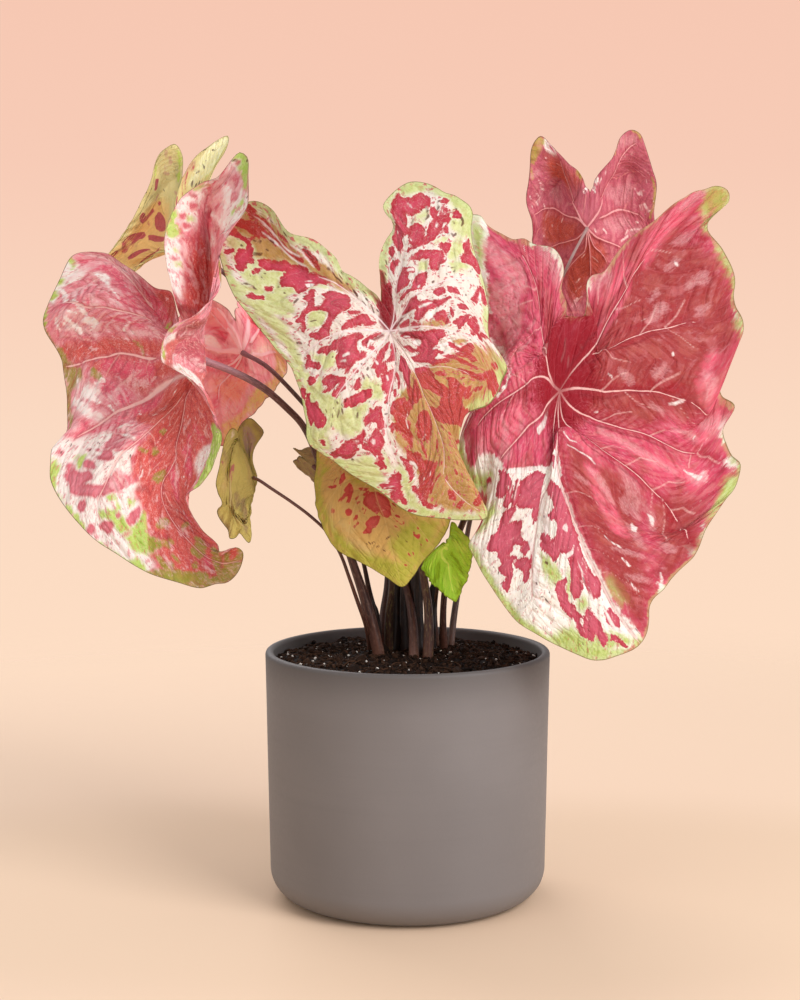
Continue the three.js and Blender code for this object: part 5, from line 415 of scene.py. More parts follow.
  (3,'s',[[0.303,-0.091,0.62],[0.338,-0.119,0.88],[0.373,-0.133,0.72],[0.400,-0.172,0.83],[0.423,-0.221,0.67],[0.431,-0.239,0.36]]),
  (3,'s',[[0.371,-0.213,0.46],[0.389,-0.248,0.88],[0.421,-0.283,1.03],[0.463,-0.284,1.24],[0.553,-0.132,1.87],[0.580,-0.074,1.04]]),
  (3,'p',[[0.493,-0.269],[0.558,-0.097],[0.581,-0.055],[0.589,-0.061],[0.589,-0.083],[0.603,-0.075],[0.593,-0.119],[0.582,-0.160],[0.564,-0.165],[0.515,-0.261]]),
  (3,'p',[[0.569,-0.051],[0.591,0.001],[0.597,0.003],[0.582,-0.040]]),
  (3,'s',[[0.374,-0.282,0.41],[0.376,-0.283,0.41]]),
  (3,'s',[[0.426,-0.333,0.46],[0.436,-0.335,0.46]]),
  (3,'s',[[0.464,-0.332,0.46],[0.478,-0.319,0.36]]),
  (3,'s',[[0.489,-0.306,0.41],[0.494,-0.301,0.41]]),
  (3,'p',[[0.231,0.520],[0.249,0.543],[0.253,0.528],[0.274,0.530],[0.291,0.534],[0.310,0.548],[0.329,0.560],[0.336,0.548],[0.352,0.552],[0.349,0.534],[0.328,0.515],[0.310,0.502],[0.298,0.491],[0.286,0.479],[0.272,0.480],[0.255,0.485],[0.257,0.466],[0.256,0.453],[0.241,0.435],[0.257,0.432],[0.237,0.406],[0.205,0.396],[0.186,0.375],[0.193,0.355],[0.175,0.333],[0.151,0.330],[0.132,0.342],[0.121,0.364],[0.130,0.395],[0.196,0.439],[0.201,0.460],[0.204,0.477],[0.218,0.495]]),
  (3,'p',[[0.256,0.417],[0.273,0.442],[0.292,0.456],[0.309,0.451],[0.319,0.441],[0.316,0.418],[0.304,0.397],[0.283,0.379],[0.256,0.365],[0.237,0.374],[0.244,0.397]]),
  (3,'p',[[0.334,0.439],[0.347,0.466],[0.358,0.482],[0.346,0.501],[0.348,0.519],[0.360,0.518],[0.365,0.497],[0.372,0.477],[0.368,0.461],[0.378,0.437],[0.362,0.416],[0.349,0.399],[0.323,0.384],[0.295,0.369],[0.254,0.353],[0.218,0.337],[0.238,0.355],[0.279,0.379],[0.308,0.398],[0.327,0.415]]),
  (3,'p',[[0.376,0.502],[0.383,0.515],[0.392,0.498],[0.396,0.480],[0.386,0.464],[0.382,0.442],[0.378,0.430],[0.375,0.455],[0.372,0.480]]),
  (3,'p',[[0.399,0.488],[0.409,0.497],[0.410,0.480],[0.404,0.471]]),
  (3,'p',[[0.390,0.450],[0.401,0.460],[0.409,0.447],[0.406,0.435],[0.390,0.436]]),
  (3,'p',[[0.386,0.519],[0.399,0.525],[0.408,0.519],[0.399,0.506],[0.389,0.508]]),
  (3,'p',[[0.385,0.542],[0.401,0.563],[0.410,0.564],[0.400,0.541]]),
  (3,'p',[[0.419,0.503],[0.431,0.519],[0.445,0.515],[0.444,0.501],[0.427,0.494]]),
  (6,'s',[[0.453,0.501,0.43],[0.467,0.489,0.64],[0.462,0.477,0.32]]),
  (6,'s',[[0.317,0.503,0.32],[0.335,0.520,0.32]]),
  (6,'s',[[0.326,0.495,0.32],[0.340,0.507,0.32]]),
  (6,'s',[[0.362,0.533,0.32],[0.380,0.549,0.32]]),
  (6,'s',[[0.367,0.515,0.32],[0.377,0.525,0.32]]),
  (6,'s',[[0.275,0.449,0.42],[0.287,0.469,0.42]]),
  (6,'s',[[0.327,0.474,0.37],[0.342,0.490,0.37]]),
  (6,'s',[[0.426,0.479,0.42],[0.431,0.474,0.42]]),
  (6,'s',[[0.410,0.432,0.42],[0.423,0.439,0.42]]),
  (6,'s',[[0.428,0.430,0.48],[0.445,0.443,0.48]]),
  (6,'s',[[0.428,0.529,0.32],[0.431,0.526,0.32]]),
  (6,'s',[[0.428,0.281,0.31],[0.437,0.294,0.31]]),
  (6,'s',[[0.506,0.326,0.32],[0.526,0.350,0.32]]),
  (6,'s',[[0.395,0.261,0.42],[0.399,0.258,0.42]]),
  (6,'s',[[0.405,0.296,0.37],[0.428,0.299,0.37],[0.451,0.313,0.26]]),
  (6,'s',[[0.322,0.208,0.47],[0.333,0.215,0.47]]),
  (6,'s',[[0.494,0.224,0.42],[0.494,0.220,0.42]]),
  (6,'s',[[0.403,-0.011,0.41],[0.402,-0.014,0.41]]),
  (6,'s',[[0.478,-0.040,0.41],[0.482,-0.042,0.31]]),
  (6,'s',[[0.528,-0.030,0.41],[0.531,-0.030,0.36]]),
  (6,'s',[[0.372,0.001,0.36],[0.376,-0.004,0.36]]),
  (6,'s',[[0.165,0.362,0.26],[0.174,0.358,0.26]]),
  (6,'s',[[0.084,0.270,0.32],[0.084,0.257,0.32]]),
  (6,'s',[[0.063,0.223,0.32],[0.064,0.216,0.32]]),
  (3,'p',[[0.372,0.386],[0.394,0.390],[0.420,0.401],[0.419,0.385],[0.405,0.364],[0.396,0.349],[0.388,0.364],[0.372,0.374]]),
  (3,'p',[[0.224,0.310],[0.254,0.324],[0.286,0.344],[0.323,0.351],[0.357,0.355],[0.383,0.359],[0.391,0.340],[0.399,0.333],[0.389,0.314],[0.370,0.301],[0.359,0.276],[0.339,0.264],[0.321,0.271],[0.320,0.294],[0.327,0.313],[0.304,0.315],[0.275,0.309],[0.245,0.307]]),
  (3,'p',[[0.485,0.424],[0.515,0.452],[0.528,0.446],[0.521,0.423],[0.496,0.404],[0.485,0.413]]),
  (3,'p',[[0.465,0.358],[0.495,0.395],[0.526,0.419],[0.553,0.413],[0.568,0.409],[0.583,0.407],[0.556,0.359],[0.540,0.361],[0.555,0.389],[0.517,0.359],[0.489,0.351],[0.468,0.347]]),
  (3,'p',[[0.173,0.267],[0.236,0.271],[0.241,0.252],[0.205,0.248],[0.186,0.230],[0.199,0.209],[0.178,0.185],[0.122,0.176],[0.086,0.157],[0.114,0.205],[0.142,0.231],[0.161,0.251]]),
  (3,'p',[[0.212,0.190],[0.240,0.227],[0.272,0.243],[0.299,0.255],[0.301,0.236],[0.283,0.198],[0.253,0.162],[0.220,0.153],[0.184,0.139],[0.152,0.130],[0.127,0.122],[0.103,0.116],[0.084,0.101],[0.117,0.133],[0.160,0.150],[0.195,0.153]]),
  (3,'p',[[0.104,0.267],[0.127,0.284],[0.154,0.298],[0.143,0.278],[0.121,0.259],[0.109,0.236],[0.099,0.249]]),
  (3,'p',[[0.108,0.320],[0.127,0.330],[0.132,0.317],[0.114,0.294],[0.106,0.301]]),
  (3,'p',[[0.019,0.136],[0.041,0.166],[0.072,0.197],[0.074,0.179],[0.049,0.131],[0.044,0.096],[0.047,0.071],[0.049,0.043],[0.039,0.012],[0.023,-0.002],[-0.010,0.004],[-0.019,0.033],[-0.019,0.062],[-0.022,0.089],[-0.007,0.094],[0.006,0.114]]),
  (3,'p',[[0.321,0.164],[0.350,0.184],[0.377,0.195],[0.386,0.178],[0.369,0.159],[0.346,0.145],[0.325,0.155]]),
  (3,'p',[[0.398,0.200],[0.423,0.205],[0.448,0.214],[0.464,0.199],[0.449,0.189],[0.423,0.185],[0.402,0.182]]),
  (3,'p',[[0.536,0.264],[0.545,0.292],[0.568,0.317],[0.582,0.312],[0.589,0.293],[0.593,0.280],[0.575,0.269],[0.564,0.284],[0.550,0.281],[0.552,0.257],[0.540,0.233],[0.520,0.224],[0.538,0.250]]),
  (3,'p',[[-0.225,-0.461],[-0.224,-0.476],[-0.222,-0.491],[-0.198,-0.506],[-0.193,-0.526],[-0.194,-0.556],[-0.159,-0.600],[-0.123,-0.650],[-0.105,-0.669],[-0.130,-0.670],[-0.141,-0.690],[-0.152,-0.721],[-0.155,-0.744],[-0.167,-0.764],[-0.178,-0.744],[-0.181,-0.772],[-0.190,-0.784],[-0.179,-0.814],[-0.172,-0.836],[-0.191,-0.815],[-0.206,-0.778],[-0.216,-0.741],[-0.241,-0.699],[-0.258,-0.656],[-0.243,-0.666],[-0.219,-0.707],[-0.220,-0.671],[-0.236,-0.614],[-0.229,-0.568],[-0.237,-0.530],[-0.243,-0.513],[-0.260,-0.523],[-0.264,-0.547],[-0.278,-0.584],[-0.283,-0.599],[-0.288,-0.538],[-0.280,-0.513],[-0.274,-0.489],[-0.266,-0.473],[-0.259,-0.482],[-0.255,-0.494],[-0.241,-0.478]]),
  (3,'p',[[-0.315,-0.722],[-0.320,-0.685],[-0.313,-0.661],[-0.329,-0.653],[-0.342,-0.665],[-0.356,-0.629],[-0.355,-0.599],[-0.343,-0.606],[-0.348,-0.549],[-0.335,-0.522],[-0.315,-0.510],[-0.316,-0.524],[-0.327,-0.561],[-0.308,-0.617],[-0.289,-0.686],[-0.277,-0.719],[-0.260,-0.750],[-0.260,-0.765],[-0.278,-0.740],[-0.292,-0.728],[-0.298,-0.743]]),
  (3,'p',[[-0.351,-0.472],[-0.332,-0.460],[-0.342,-0.487],[-0.357,-0.497]]),
  (3,'s',[[-0.319,-0.433,0.57],[-0.349,-0.462,0.62]]),
  (3,'s',[[-0.058,-0.602,0.72],[-0.076,-0.616,0.72]]),
  (3,'s',[[-0.201,-0.428,0.62],[-0.198,-0.431,0.62]]),
  (3,'s',[[0.090,-0.632,0.62],[0.130,-0.635,0.51]]),
  (3,'s',[[0.071,-0.651,0.46],[0.071,-0.656,0.46]]),
  (3,'s',[[0.218,-0.660,0.52],[0.449,-0.564,0.41]]),
  (3,'s',[[-0.135,-0.722,0.62],[-0.110,-0.721,0.41]]),
  (3,'s',[[-0.094,-0.819,0.52],[-0.088,-0.843,1.24],[-0.085,-0.859,0.82]]),
  (3,'s',[[-0.074,-0.901,1.03],[-0.061,-0.896,0.72]]),
  (3,'s',[[-0.003,-0.934,1.03],[0.218,-0.903,1.24]]),
  (3,'s',[[-0.056,-0.854,0.41],[-0.056,-0.859,0.41]]),
  (3,'s',[[-0.024,-0.772,0.41],[-0.020,-0.788,0.41]]),
  (3,'s',[[-0.162,-0.829,0.41],[-0.158,-0.832,0.41]]),
  (3,'s',[[-0.087,-0.687,0.41],[-0.081,-0.692,0.41]]),
  (3,'s',[[-0.250,-0.794,0.36],[-0.247,-0.800,0.36]]),
  (3,'s',[[-0.241,-0.803,0.41],[-0.234,-0.806,0.41]]),
  (3,'s',[[0.045,-0.585,0.41],[0.050,-0.602,0.62]]),
  (3,'s',[[-0.153,-0.508,0.41],[-0.161,-0.538,0.62],[-0.166,-0.563,0.41]]),
  (6,'s',[[-0.419,0.543,0.43],[-0.416,0.541,0.43]]),
  (6,'s',[[-0.372,0.512,0.48],[-0.372,0.504,0.38]]),
  (6,'s',[[-0.478,0.495,0.32],[-0.474,0.489,0.32]]),
  (6,'s',[[-0.421,0.513,0.32],[-0.417,0.511,0.32]]),
  (6,'s',[[-0.364,0.532,0.32],[-0.360,0.522,0.32]]),
  (6,'s',[[-0.325,0.492,0.43],[-0.322,0.486,0.43]]),
  (6,'s',[[-0.310,0.477,0.43],[-0.305,0.476,0.43]]),
  (6,'s',[[-0.307,0.451,0.37],[-0.303,0.449,0.37]]),
  (6,'s',[[-0.360,0.471,0.53],[-0.344,0.457,0.53],[-0.331,0.453,0.27]]),
  (6,'s',[[-0.270,0.459,0.43],[-0.260,0.448,0.43]]),
  (6,'s',[[-0.471,0.450,0.32],[-0.467,0.444,0.32]]),
  (6,'s',[[-0.384,0.410,0.42],[-0.381,0.408,0.42]]),
  (6,'s',[[-0.408,0.406,0.32],[-0.407,0.397,0.32]]),
  (6,'s',[[-0.441,0.434,0.27],[-0.444,0.427,0.27]]),
  (6,'s',[[-0.503,0.415,0.42],[-0.479,0.410,0.48],[-0.464,0.396,0.37]]),
  (6,'s',[[-0.501,0.402,0.42],[-0.497,0.397,0.42]]),
  (6,'s',[[-0.474,0.387,0.42],[-0.466,0.384,0.42]]),
  (6,'s',[[-0.382,0.351,0.37],[-0.378,0.349,0.37]]),
  (6,'s',[[-0.383,0.319,0.42],[-0.380,0.317,0.42]]),
  (6,'s',[[-0.424,0.345,0.32],[-0.420,0.343,0.32]]),
  (6,'s',[[-0.331,0.261,0.42],[-0.327,0.259,0.42]]),
  (6,'s',[[-0.360,0.262,0.47],[-0.388,0.258,0.47]]),
  (6,'s',[[-0.167,0.442,0.37],[-0.160,0.429,0.37]]),
  (6,'s',[[-0.151,0.390,0.37],[-0.154,0.381,0.37]]),
  (6,'s',[[-0.139,0.373,0.37],[-0.139,0.366,0.37]]),
  (6,'s',[[-0.146,0.366,0.32],[-0.144,0.334,0.37]]),
  (6,'s',[[-0.134,0.322,0.37],[-0.133,0.318,0.37]]),
  (6,'s',[[-0.094,0.234,0.63],[-0.092,0.230,0.63]]),
  (6,'s',[[-0.072,0.211,0.47],[-0.072,0.209,0.47]]),
  (6,'s',[[-0.106,0.263,0.37],[-0.105,0.253,0.37]]),
  (6,'s',[[-0.077,0.243,0.37],[-0.075,0.230,0.37]]),
  (6,'s',[[-0.118,0.281,0.42],[-0.113,0.278,0.42]]),
  (6,'s',[[-0.106,0.248,0.32],[-0.098,0.242,0.32]]),
  (6,'s',[[-0.223,0.489,0.27],[-0.217,0.478,0.27]]),
  (6,'s',[[-0.245,0.512,0.27],[-0.243,0.501,0.27]]),
  (6,'s',[[-0.071,0.182,0.63],[-0.075,0.166,0.79]]),
  (6,'s',[[-0.038,0.153,0.26],[-0.036,0.139,0.26]]),
  (6,'s',[[-0.052,0.125,0.42],[-0.050,0.115,0.31]]),
  (6,'s',[[-0.048,0.097,0.37],[-0.051,0.071,0.42]]),
  (6,'s',[[-0.078,0.133,0.26],[-0.073,0.108,0.26]]),
  (6,'s',[[-0.032,0.074,0.42],[-0.029,0.070,0.42]]),
  (6,'s',[[-0.334,0.163,0.31],[-0.330,0.160,0.31]]),
  (6,'s',[[-0.389,0.152,0.26],[-0.363,0.139,0.26]]),
  (6,'s',[[-0.456,0.080,0.42],[-0.452,0.077,0.42]]),
  (6,'s',[[-0.527,0.061,0.42],[-0.508,0.057,0.42]]),
  (6,'s',[[-0.350,-0.034,0.36],[-0.344,-0.036,0.36]]),
  (6,'s',[[-0.202,-0.095,0.36],[-0.197,-0.096,0.36]]),
  (6,'s',[[-0.189,-0.121,0.41],[-0.179,-0.115,0.41]]),
  (6,'s',[[-0.218,-0.136,0.36],[-0.222,-0.151,0.36]]),
  (6,'s',[[-0.201,-0.138,0.31],[-0.201,-0.151,0.31]]),
  (6,'s',[[-0.217,-0.185,0.36],[-0.216,-0.188,0.36]]),
  (6,'s',[[-0.185,-0.184,0.36],[-0.184,-0.187,0.36]]),
  (6,'s',[[-0.059,-0.156,0.36],[-0.065,-0.167,0.36]]),
  (6,'s',[[-0.323,-0.210,0.36],[-0.331,-0.218,0.36]]),
  (6,'s',[[-0.364,-0.205,0.41],[-0.361,-0.210,0.41]]),
  (6,'s',[[-0.346,-0.222,0.36],[-0.343,-0.224,0.36]]),
  (6,'s',[[-0.388,-0.217,0.26],[-0.384,-0.218,0.26]]),
  (6,'s',[[-0.425,-0.211,0.36],[-0.421,-0.219,0.36]]),
  (6,'s',[[-0.398,-0.234,0.31],[-0.397,-0.245,0.36]]),
  (6,'s',[[-0.380,-0.251,0.31],[-0.377,-0.253,0.31]]),
  (6,'s',[[-0.351,-0.234,0.36],[-0.354,-0.251,0.36]]),
  (6,'s',[[-0.364,-0.233,0.36],[-0.374,-0.246,0.36]]),
  (6,'s',[[-0.407,-0.263,0.31],[-0.415,-0.275,0.31]]),
  (6,'s',[[-0.300,-0.267,0.36],[-0.311,-0.282,0.36]]),
  (6,'s',[[-0.246,-0.242,0.36],[-0.243,-0.243,0.36]]),
  (6,'s',[[-0.411,-0.443,0.36],[-0.419,-0.459,0.36]]),
  (6,'s',[[-0.360,-0.407,0.36],[-0.360,-0.412,0.36]]),
  (6,'s',[[-0.305,-0.430,0.31],[-0.302,-0.431,0.31]]),
  (6,'s',[[-0.463,-0.404,0.36],[-0.463,-0.412,0.36]]),
  (6,'s',[[-0.438,-0.329,0.31],[-0.434,-0.329,0.31]]),
  (6,'s',[[-0.212,-0.315,0.36],[-0.205,-0.320,0.36]]),
  (6,'s',[[-0.187,-0.275,0.36],[-0.188,-0.280,0.36]]),
  (6,'s',[[-0.481,0.102,0.63],[-0.498,0.108,0.47]]),
  (6,'s',[[-0.528,0.087,0.37],[-0.523,0.087,0.37]]),
  (4,'p',[[-0.268,0.306],[-0.242,0.300],[-0.222,0.288],[-0.245,0.282],[-0.275,0.290]]),
  (4,'s',[[-0.253,0.317,0.21],[-0.220,0.304,0.26]]),
  (4,'s',[[0.137,-0.046,0.72],[0.165,-0.043,1.24],[0.180,-0.039,0.83]]),
  (4,'s',[[-0.286,-0.049,0.41],[-0.250,-0.048,0.62]]),
  (4,'s',[[-0.308,-0.063,0.36],[-0.275,-0.070,0.52]]),
  (4,'s',[[-0.310,-0.376,0.26],[-0.301,-0.376,0.62],[-0.311,-0.388,0.31]]),
  (4,'s',[[-0.360,-0.355,0.31],[-0.351,-0.358,0.41]]),
  (4,'s',[[-0.141,-0.041,0.41],[-0.123,-0.022,0.52],[-0.104,-0.031,0.31]]),
  (4,'s',[[-0.172,-0.038,0.52],[-0.183,-0.017,0.73],[-0.187,-0.051,0.41]]),
  (4,'s',[[-0.134,-0.104,0.52],[-0.135,-0.112,0.41]]),
  (4,'s',[[-0.133,-0.163,0.41],[-0.140,-0.177,0.41]]),
  (4,'s',[[-0.163,-0.428,0.15],[-0.150,-0.402,0.26],[-0.122,-0.391,0.21]]),
  (4,'s',[[-0.142,-0.509,0.21],[-0.104,-0.522,0.26]]),
  (4,'s',[[-0.165,-0.671,0.46],[-0.157,-0.657,0.31]]),
  (4,'s',[[-0.201,-0.664,0.26],[-0.202,-0.651,0.26]]),
  (4,'s',[[-0.250,-0.507,0.83],[-0.242,-0.519,0.62],[-0.240,-0.543,0.62],[-0.264,-0.547,0.41]]),
  (4,'s',[[0.202,0.132,0.31],[0.153,0.111,0.31],[0.109,0.095,0.26]]),
  (4,'s',[[0.216,0.076,0.31],[0.265,0.092,0.52],[0.306,0.112,0.26]]),
  (4,'s',[[0.252,0.047,0.83],[0.286,0.058,0.93],[0.262,0.038,0.52]]),
  (4,'s',[[0.086,0.046,0.21],[0.130,0.054,0.31],[0.192,0.064,0.21]]),
  (4,'s',[[0.067,0.025,0.21],[0.126,0.044,0.26],[0.177,0.046,0.21]]),
  (4,'s',[[0.316,-0.060,0.41],[0.350,-0.060,0.83],[0.331,-0.072,0.52]]),
  (4,'s',[[0.263,-0.071,0.31],[0.309,-0.064,0.52]]),
  (4,'s',[[0.274,-0.115,0.31],[0.312,-0.108,0.52],[0.356,-0.102,0.52]]),
  (4,'s',[[0.117,-0.025,0.26],[0.077,-0.029,0.26]]),
  (4,'s',[[0.100,-0.122,0.31],[0.133,-0.102,0.41]]),
  (4,'s',[[-0.344,-0.657,0.21],[-0.331,-0.643,0.52],[-0.327,-0.629,0.41]]),
  (4,'s',[[-0.321,-0.678,0.26],[-0.311,-0.669,0.31]]),
  (4,'s',[[0.151,0.393,0.42],[0.148,0.386,0.42]]),
  (4,'s',[[0.251,0.387,0.47],[0.248,0.394,0.32]]),
  (4,'s',[[0.200,0.192,0.63],[0.202,0.179,0.52]]),
  (4,'s',[[0.236,0.166,0.31],[0.251,0.179,0.31]]),
  (4,'s',[[0.275,0.515,0.32],[0.284,0.507,0.27]]),
  (4,'s',[[0.390,0.327,0.42],[0.399,0.342,0.31]]),
  (4,'s',[[0.233,0.262,0.73],[0.201,0.257,0.52]]),
  (4,'s',[[0.560,0.291,0.42],[0.562,0.260,0.52]]),
  (4,'s',[[0.364,0.454,0.42],[0.368,0.469,0.32]]),
  (4,'s',[[0.428,0.529,0.16],[0.428,0.530,0.16]]),
  (4,'s',[[-0.268,0.531,0.16],[-0.256,0.493,0.27],[-0.232,0.453,0.43],[-0.205,0.411,0.42],[-0.173,0.374,0.26]]),
  (4,'s',[[-0.280,0.486,0.21],[-0.261,0.456,0.43],[-0.239,0.432,0.37],[-0.221,0.406,0.42],[-0.205,0.380,0.37],[-0.185,0.347,0.32]]),
  (4,'s',[[-0.172,0.412,0.21],[-0.156,0.380,0.37],[-0.161,0.347,0.37],[-0.163,0.321,0.32]]),
  (5,'p',[[-0.002,0.104],[0.006,0.086],[0.027,0.070],[0.038,0.043],[0.039,0.012],[0.023,-0.002],[-0.004,0.004],[-0.013,0.032],[-0.019,0.062],[-0.022,0.089],[-0.021,0.145],[-0.015,0.138],[-0.013,0.112]]),
  (5,'p',[[0.074,0.191],[0.053,0.128],[0.049,0.078],[0.034,0.077],[0.029,0.106],[0.020,0.128],[0.042,0.159]])],
 'right_front': [
  (9,'s',[[-0.202,0.372,0.40],[-0.348,0.430,0.40],[-0.394,0.458,0.40],[-0.428,0.462,0.40],[-0.454,0.464,0.40]]),
  (9,'s',[[-0.210,0.284,0.40],[-0.275,0.289,0.40],[-0.326,0.255,0.40],[-0.356,0.189,0.40],[-0.358,0.113,0.40]]),
  (9,'s',[[-0.410,0.323,0.40],[-0.453,0.389,0.40],[-0.498,0.413,0.40]]),
  (9,'s',[[-0.294,0.379,0.40],[-0.398,0.395,0.40],[-0.455,0.403,0.40]]),
  (9,'s',[[-0.207,-0.002,0.39],[-0.288,0.046,0.39],[-0.364,0.090,0.40]]),
  (9,'s',[[-0.286,-0.006,0.39],[-0.325,-0.031,0.39],[-0.373,-0.059,0.39]]),
  (9,'s',[[0.302,0.439,0.41],[0.307,0.450,0.41],[0.340,0.461,0.41],[0.377,0.468,0.41]]),
  (9,'s',[[0.225,0.334,0.41],[0.151,0.318,0.41],[0.114,0.323,0.41],[0.099,0.332,0.41]]),
  (9,'s',[[0.170,0.276,0.40],[0.276,0.300,0.40],[0.333,0.322,0.41]]),
  (9,'s',[[0.084,0.226,0.43],[0.071,0.232,0.43],[0.063,0.244,0.40],[0.061,0.279,0.41],[0.072,0.312,0.41]]),
  (9,'s',[[0.473,-0.211,0.41],[0.494,-0.195,0.41],[0.513,-0.196,0.41]]),
  (9,'s',[[0.453,-0.204,0.41],[0.437,-0.263,0.41]]),
  (9,'s',[[0.473,-0.211,0.41],[0.494,-0.312,0.41],[0.494,-0.381,0.41]]),
  (9,'s',[[0.329,0.163,0.40],[0.362,0.229,0.41],[0.385,0.306,0.41]]),
  (9,'s',[[0.403,0.218,0.41],[0.435,0.273,0.41],[0.458,0.328,0.41]]),
  (9,'s',[[0.154,0.111,0.40],[0.216,0.067,0.40],[0.294,0.065,0.40]]),
  (9,'s',[[0.403,0.218,0.41],[0.442,0.198,0.41],[0.478,0.166,0.41]]),
  (9,'s',[[0.162,-0.001,0.40],[0.216,0.019,0.40],[0.285,0.037,0.40]]),
  (9,'s',[[0.362,-0.005,0.40],[0.403,0.051,0.41],[0.442,0.094,0.41]]),
  (9,'s',[[0.422,0.017,0.41],[0.455,0.000,0.41],[0.501,-0.042,0.41]]),
  (9,'s',[[0.271,-0.014,0.40],[0.310,-0.042,0.40],[0.357,-0.052,0.40]]),
  (9,'s',[[0.176,-0.087,0.40],[0.231,-0.072,0.40],[0.291,-0.073,0.40]]),
  (9,'s',[[0.332,-0.158,0.40],[0.391,-0.111,0.41],[0.447,-0.098,0.41]]),
  (9,'s',[[0.219,-0.326,0.40],[0.275,-0.259,0.40],[0.329,-0.251,0.40]]),
  (9,'s',[[0.152,-0.292,0.40],[0.195,-0.233,0.40],[0.237,-0.239,0.40]]),
  (9,'s',[[0.298,-0.357,0.40],[0.356,-0.312,0.41],[0.407,-0.318,0.41]]),
  (9,'s',[[0.298,-0.357,0.40],[0.291,-0.404,0.40],[0.292,-0.460,0.40]]),
  (9,'s',[[0.350,-0.397,0.40],[0.381,-0.400,0.41],[0.399,-0.441,0.41]]),
  (9,'s',[[0.329,-0.370,0.40],[0.330,-0.427,0.40],[0.273,-0.646,0.40]]),
  (9,'s',[[-0.008,-0.507,0.39],[0.051,-0.507,0.39],[0.100,-0.515,0.39],[0.131,-0.546,0.39]]),
  (9,'s',[[-0.000,-0.630,0.39],[0.060,-0.635,0.39],[0.104,-0.662,0.39],[0.119,-0.717,0.39]]),
  (9,'s',[[-0.004,-0.706,0.39],[0.050,-0.737,0.39],[0.089,-0.771,0.39]]),
  (9,'s',[[-0.003,-0.781,0.39],[0.047,-0.803,0.39],[0.087,-0.841,0.39],[0.108,-0.888,0.39]]),
  (9,'s',[[-0.007,-0.825,0.39],[0.027,-0.857,0.39],[0.046,-0.902,0.39]]),
  (10,'s',[[0.009,0.025,0.53],[0.033,0.046,0.64],[0.098,0.182,0.64],[0.121,0.241,0.65],[0.148,0.293,0.54],[0.173,0.349,0.43]]),
  (10,'s',[[-0.052,0.071,0.42],[-0.139,0.259,0.53],[-0.159,0.313,0.43]]),
  (10,'s',[[0.070,-0.057,0.53],[0.175,-0.107,0.64],[0.251,-0.160,0.54],[0.327,-0.182,0.43],[0.397,-0.192,0.33]]),
  (10,'s',[[0.035,-0.092,0.53],[0.105,-0.303,0.63],[0.148,-0.331,0.63],[0.210,-0.347,0.53],[0.276,-0.374,0.43]]),
  (10,'s',[[0.076,-0.012,0.37],[0.251,-0.022,0.43],[0.394,-0.009,0.38]]),
  (10,'s',[[0.034,0.030,0.43],[0.115,0.061,0.48],[0.329,0.136,0.43],[0.416,0.202,0.33]]),
  (10,'s',[[0.011,-0.346,0.37],[0.009,-0.457,0.47],[0.020,-0.577,0.52],[0.021,-0.702,0.52],[0.025,-0.787,0.41]]),
  (11,'s',[[-0.446,0.436,7.49],[-0.433,0.287,7.45],[-0.262,0.040,5.26]]),
  (11,'s',[[-0.375,0.513,5.37],[-0.361,0.451,5.34]]),
  (11,'s',[[0.127,0.224,3.22],[0.238,0.344,4.33],[0.209,0.434,4.36],[0.240,0.501,3.29]]),
  (11,'s',[[0.495,-0.174,5.49],[0.535,-0.179,4.42]]),
  (11,'s',[[0.168,-0.156,2.13],[0.278,-0.250,3.76],[0.407,-0.263,4.35],[0.446,-0.354,3.28]]),
  (11,'s',[[0.111,-0.408,3.15],[0.143,-0.497,4.73],[0.154,-0.624,4.20]]),
  (11,'s',[[0.525,0.125,2.73],[0.516,0.074,4.36],[0.544,0.015,3.29]]),
  (11,'s',[[-0.258,-0.034,4.19],[-0.323,-0.095,5.23],[-0.447,-0.090,4.19]]),
  (11,'s',[[0.089,-0.292,1.58],[0.134,-0.365,2.11]]),
  (2,'p',[[0.077,0.258],[0.101,0.325],[0.137,0.401],[0.168,0.473],[0.248,0.514],[0.462,0.518],[0.546,0.416],[0.604,0.243],[0.602,0.114],[0.553,0.101],[0.537,0.043],[0.570,-0.206],[0.550,-0.268],[0.504,-0.002],[0.480,-0.030],[0.428,-0.028],[0.360,-0.117],[0.244,-0.111],[0.176,-0.069],[0.084,-0.032],[0.040,0.002],[0.068,0.063]]),
  (2,'p',[[0.033,-0.313],[0.085,-0.335],[0.146,-0.357],[0.217,-0.368],[0.285,-0.391],[0.229,-0.571],[0.182,-0.734],[0.160,-0.838],[0.140,-0.916],[0.046,-0.979],[0.021,-0.913],[0.016,-0.797],[0.020,-0.654],[0.011,-0.497]]),
  (2,'p',[[0.307,-0.367],[0.390,-0.335],[0.427,-0.432],[0.338,-0.717],[0.278,-0.772],[0.211,-0.852],[0.180,-0.821],[0.249,-0.642],[0.290,-0.415]]),
  (0,'p',[[-0.622,0.060],[-0.587,-0.027],[-0.546,-0.093],[-0.475,-0.133],[-0.415,-0.155],[-0.389,-0.179],[-0.347,-0.186],[-0.287,-0.189],[-0.232,-0.195],[-0.165,-0.198],[-0.079,-0.270],[-0.023,-0.324],[-0.014,-0.388],[-0.003,-0.491],[0.006,-0.565],[0.008,-0.641],[0.007,-0.726],[0.007,-0.786],[-0.000,-0.823],[-0.006,-0.857],[0.004,-0.897],[0.014,-0.950],[0.015,-0.996],[-0.080,-0.964],[-0.171,-0.899],[-0.269,-0.809],[-0.337,-0.722],[-0.402,-0.610],[-0.463,-0.504],[-0.535,-0.360],[-0.549,-0.319],[-0.492,-0.302],[-0.505,-0.241],[-0.613,-0.086],[-0.624,-0.005]]),
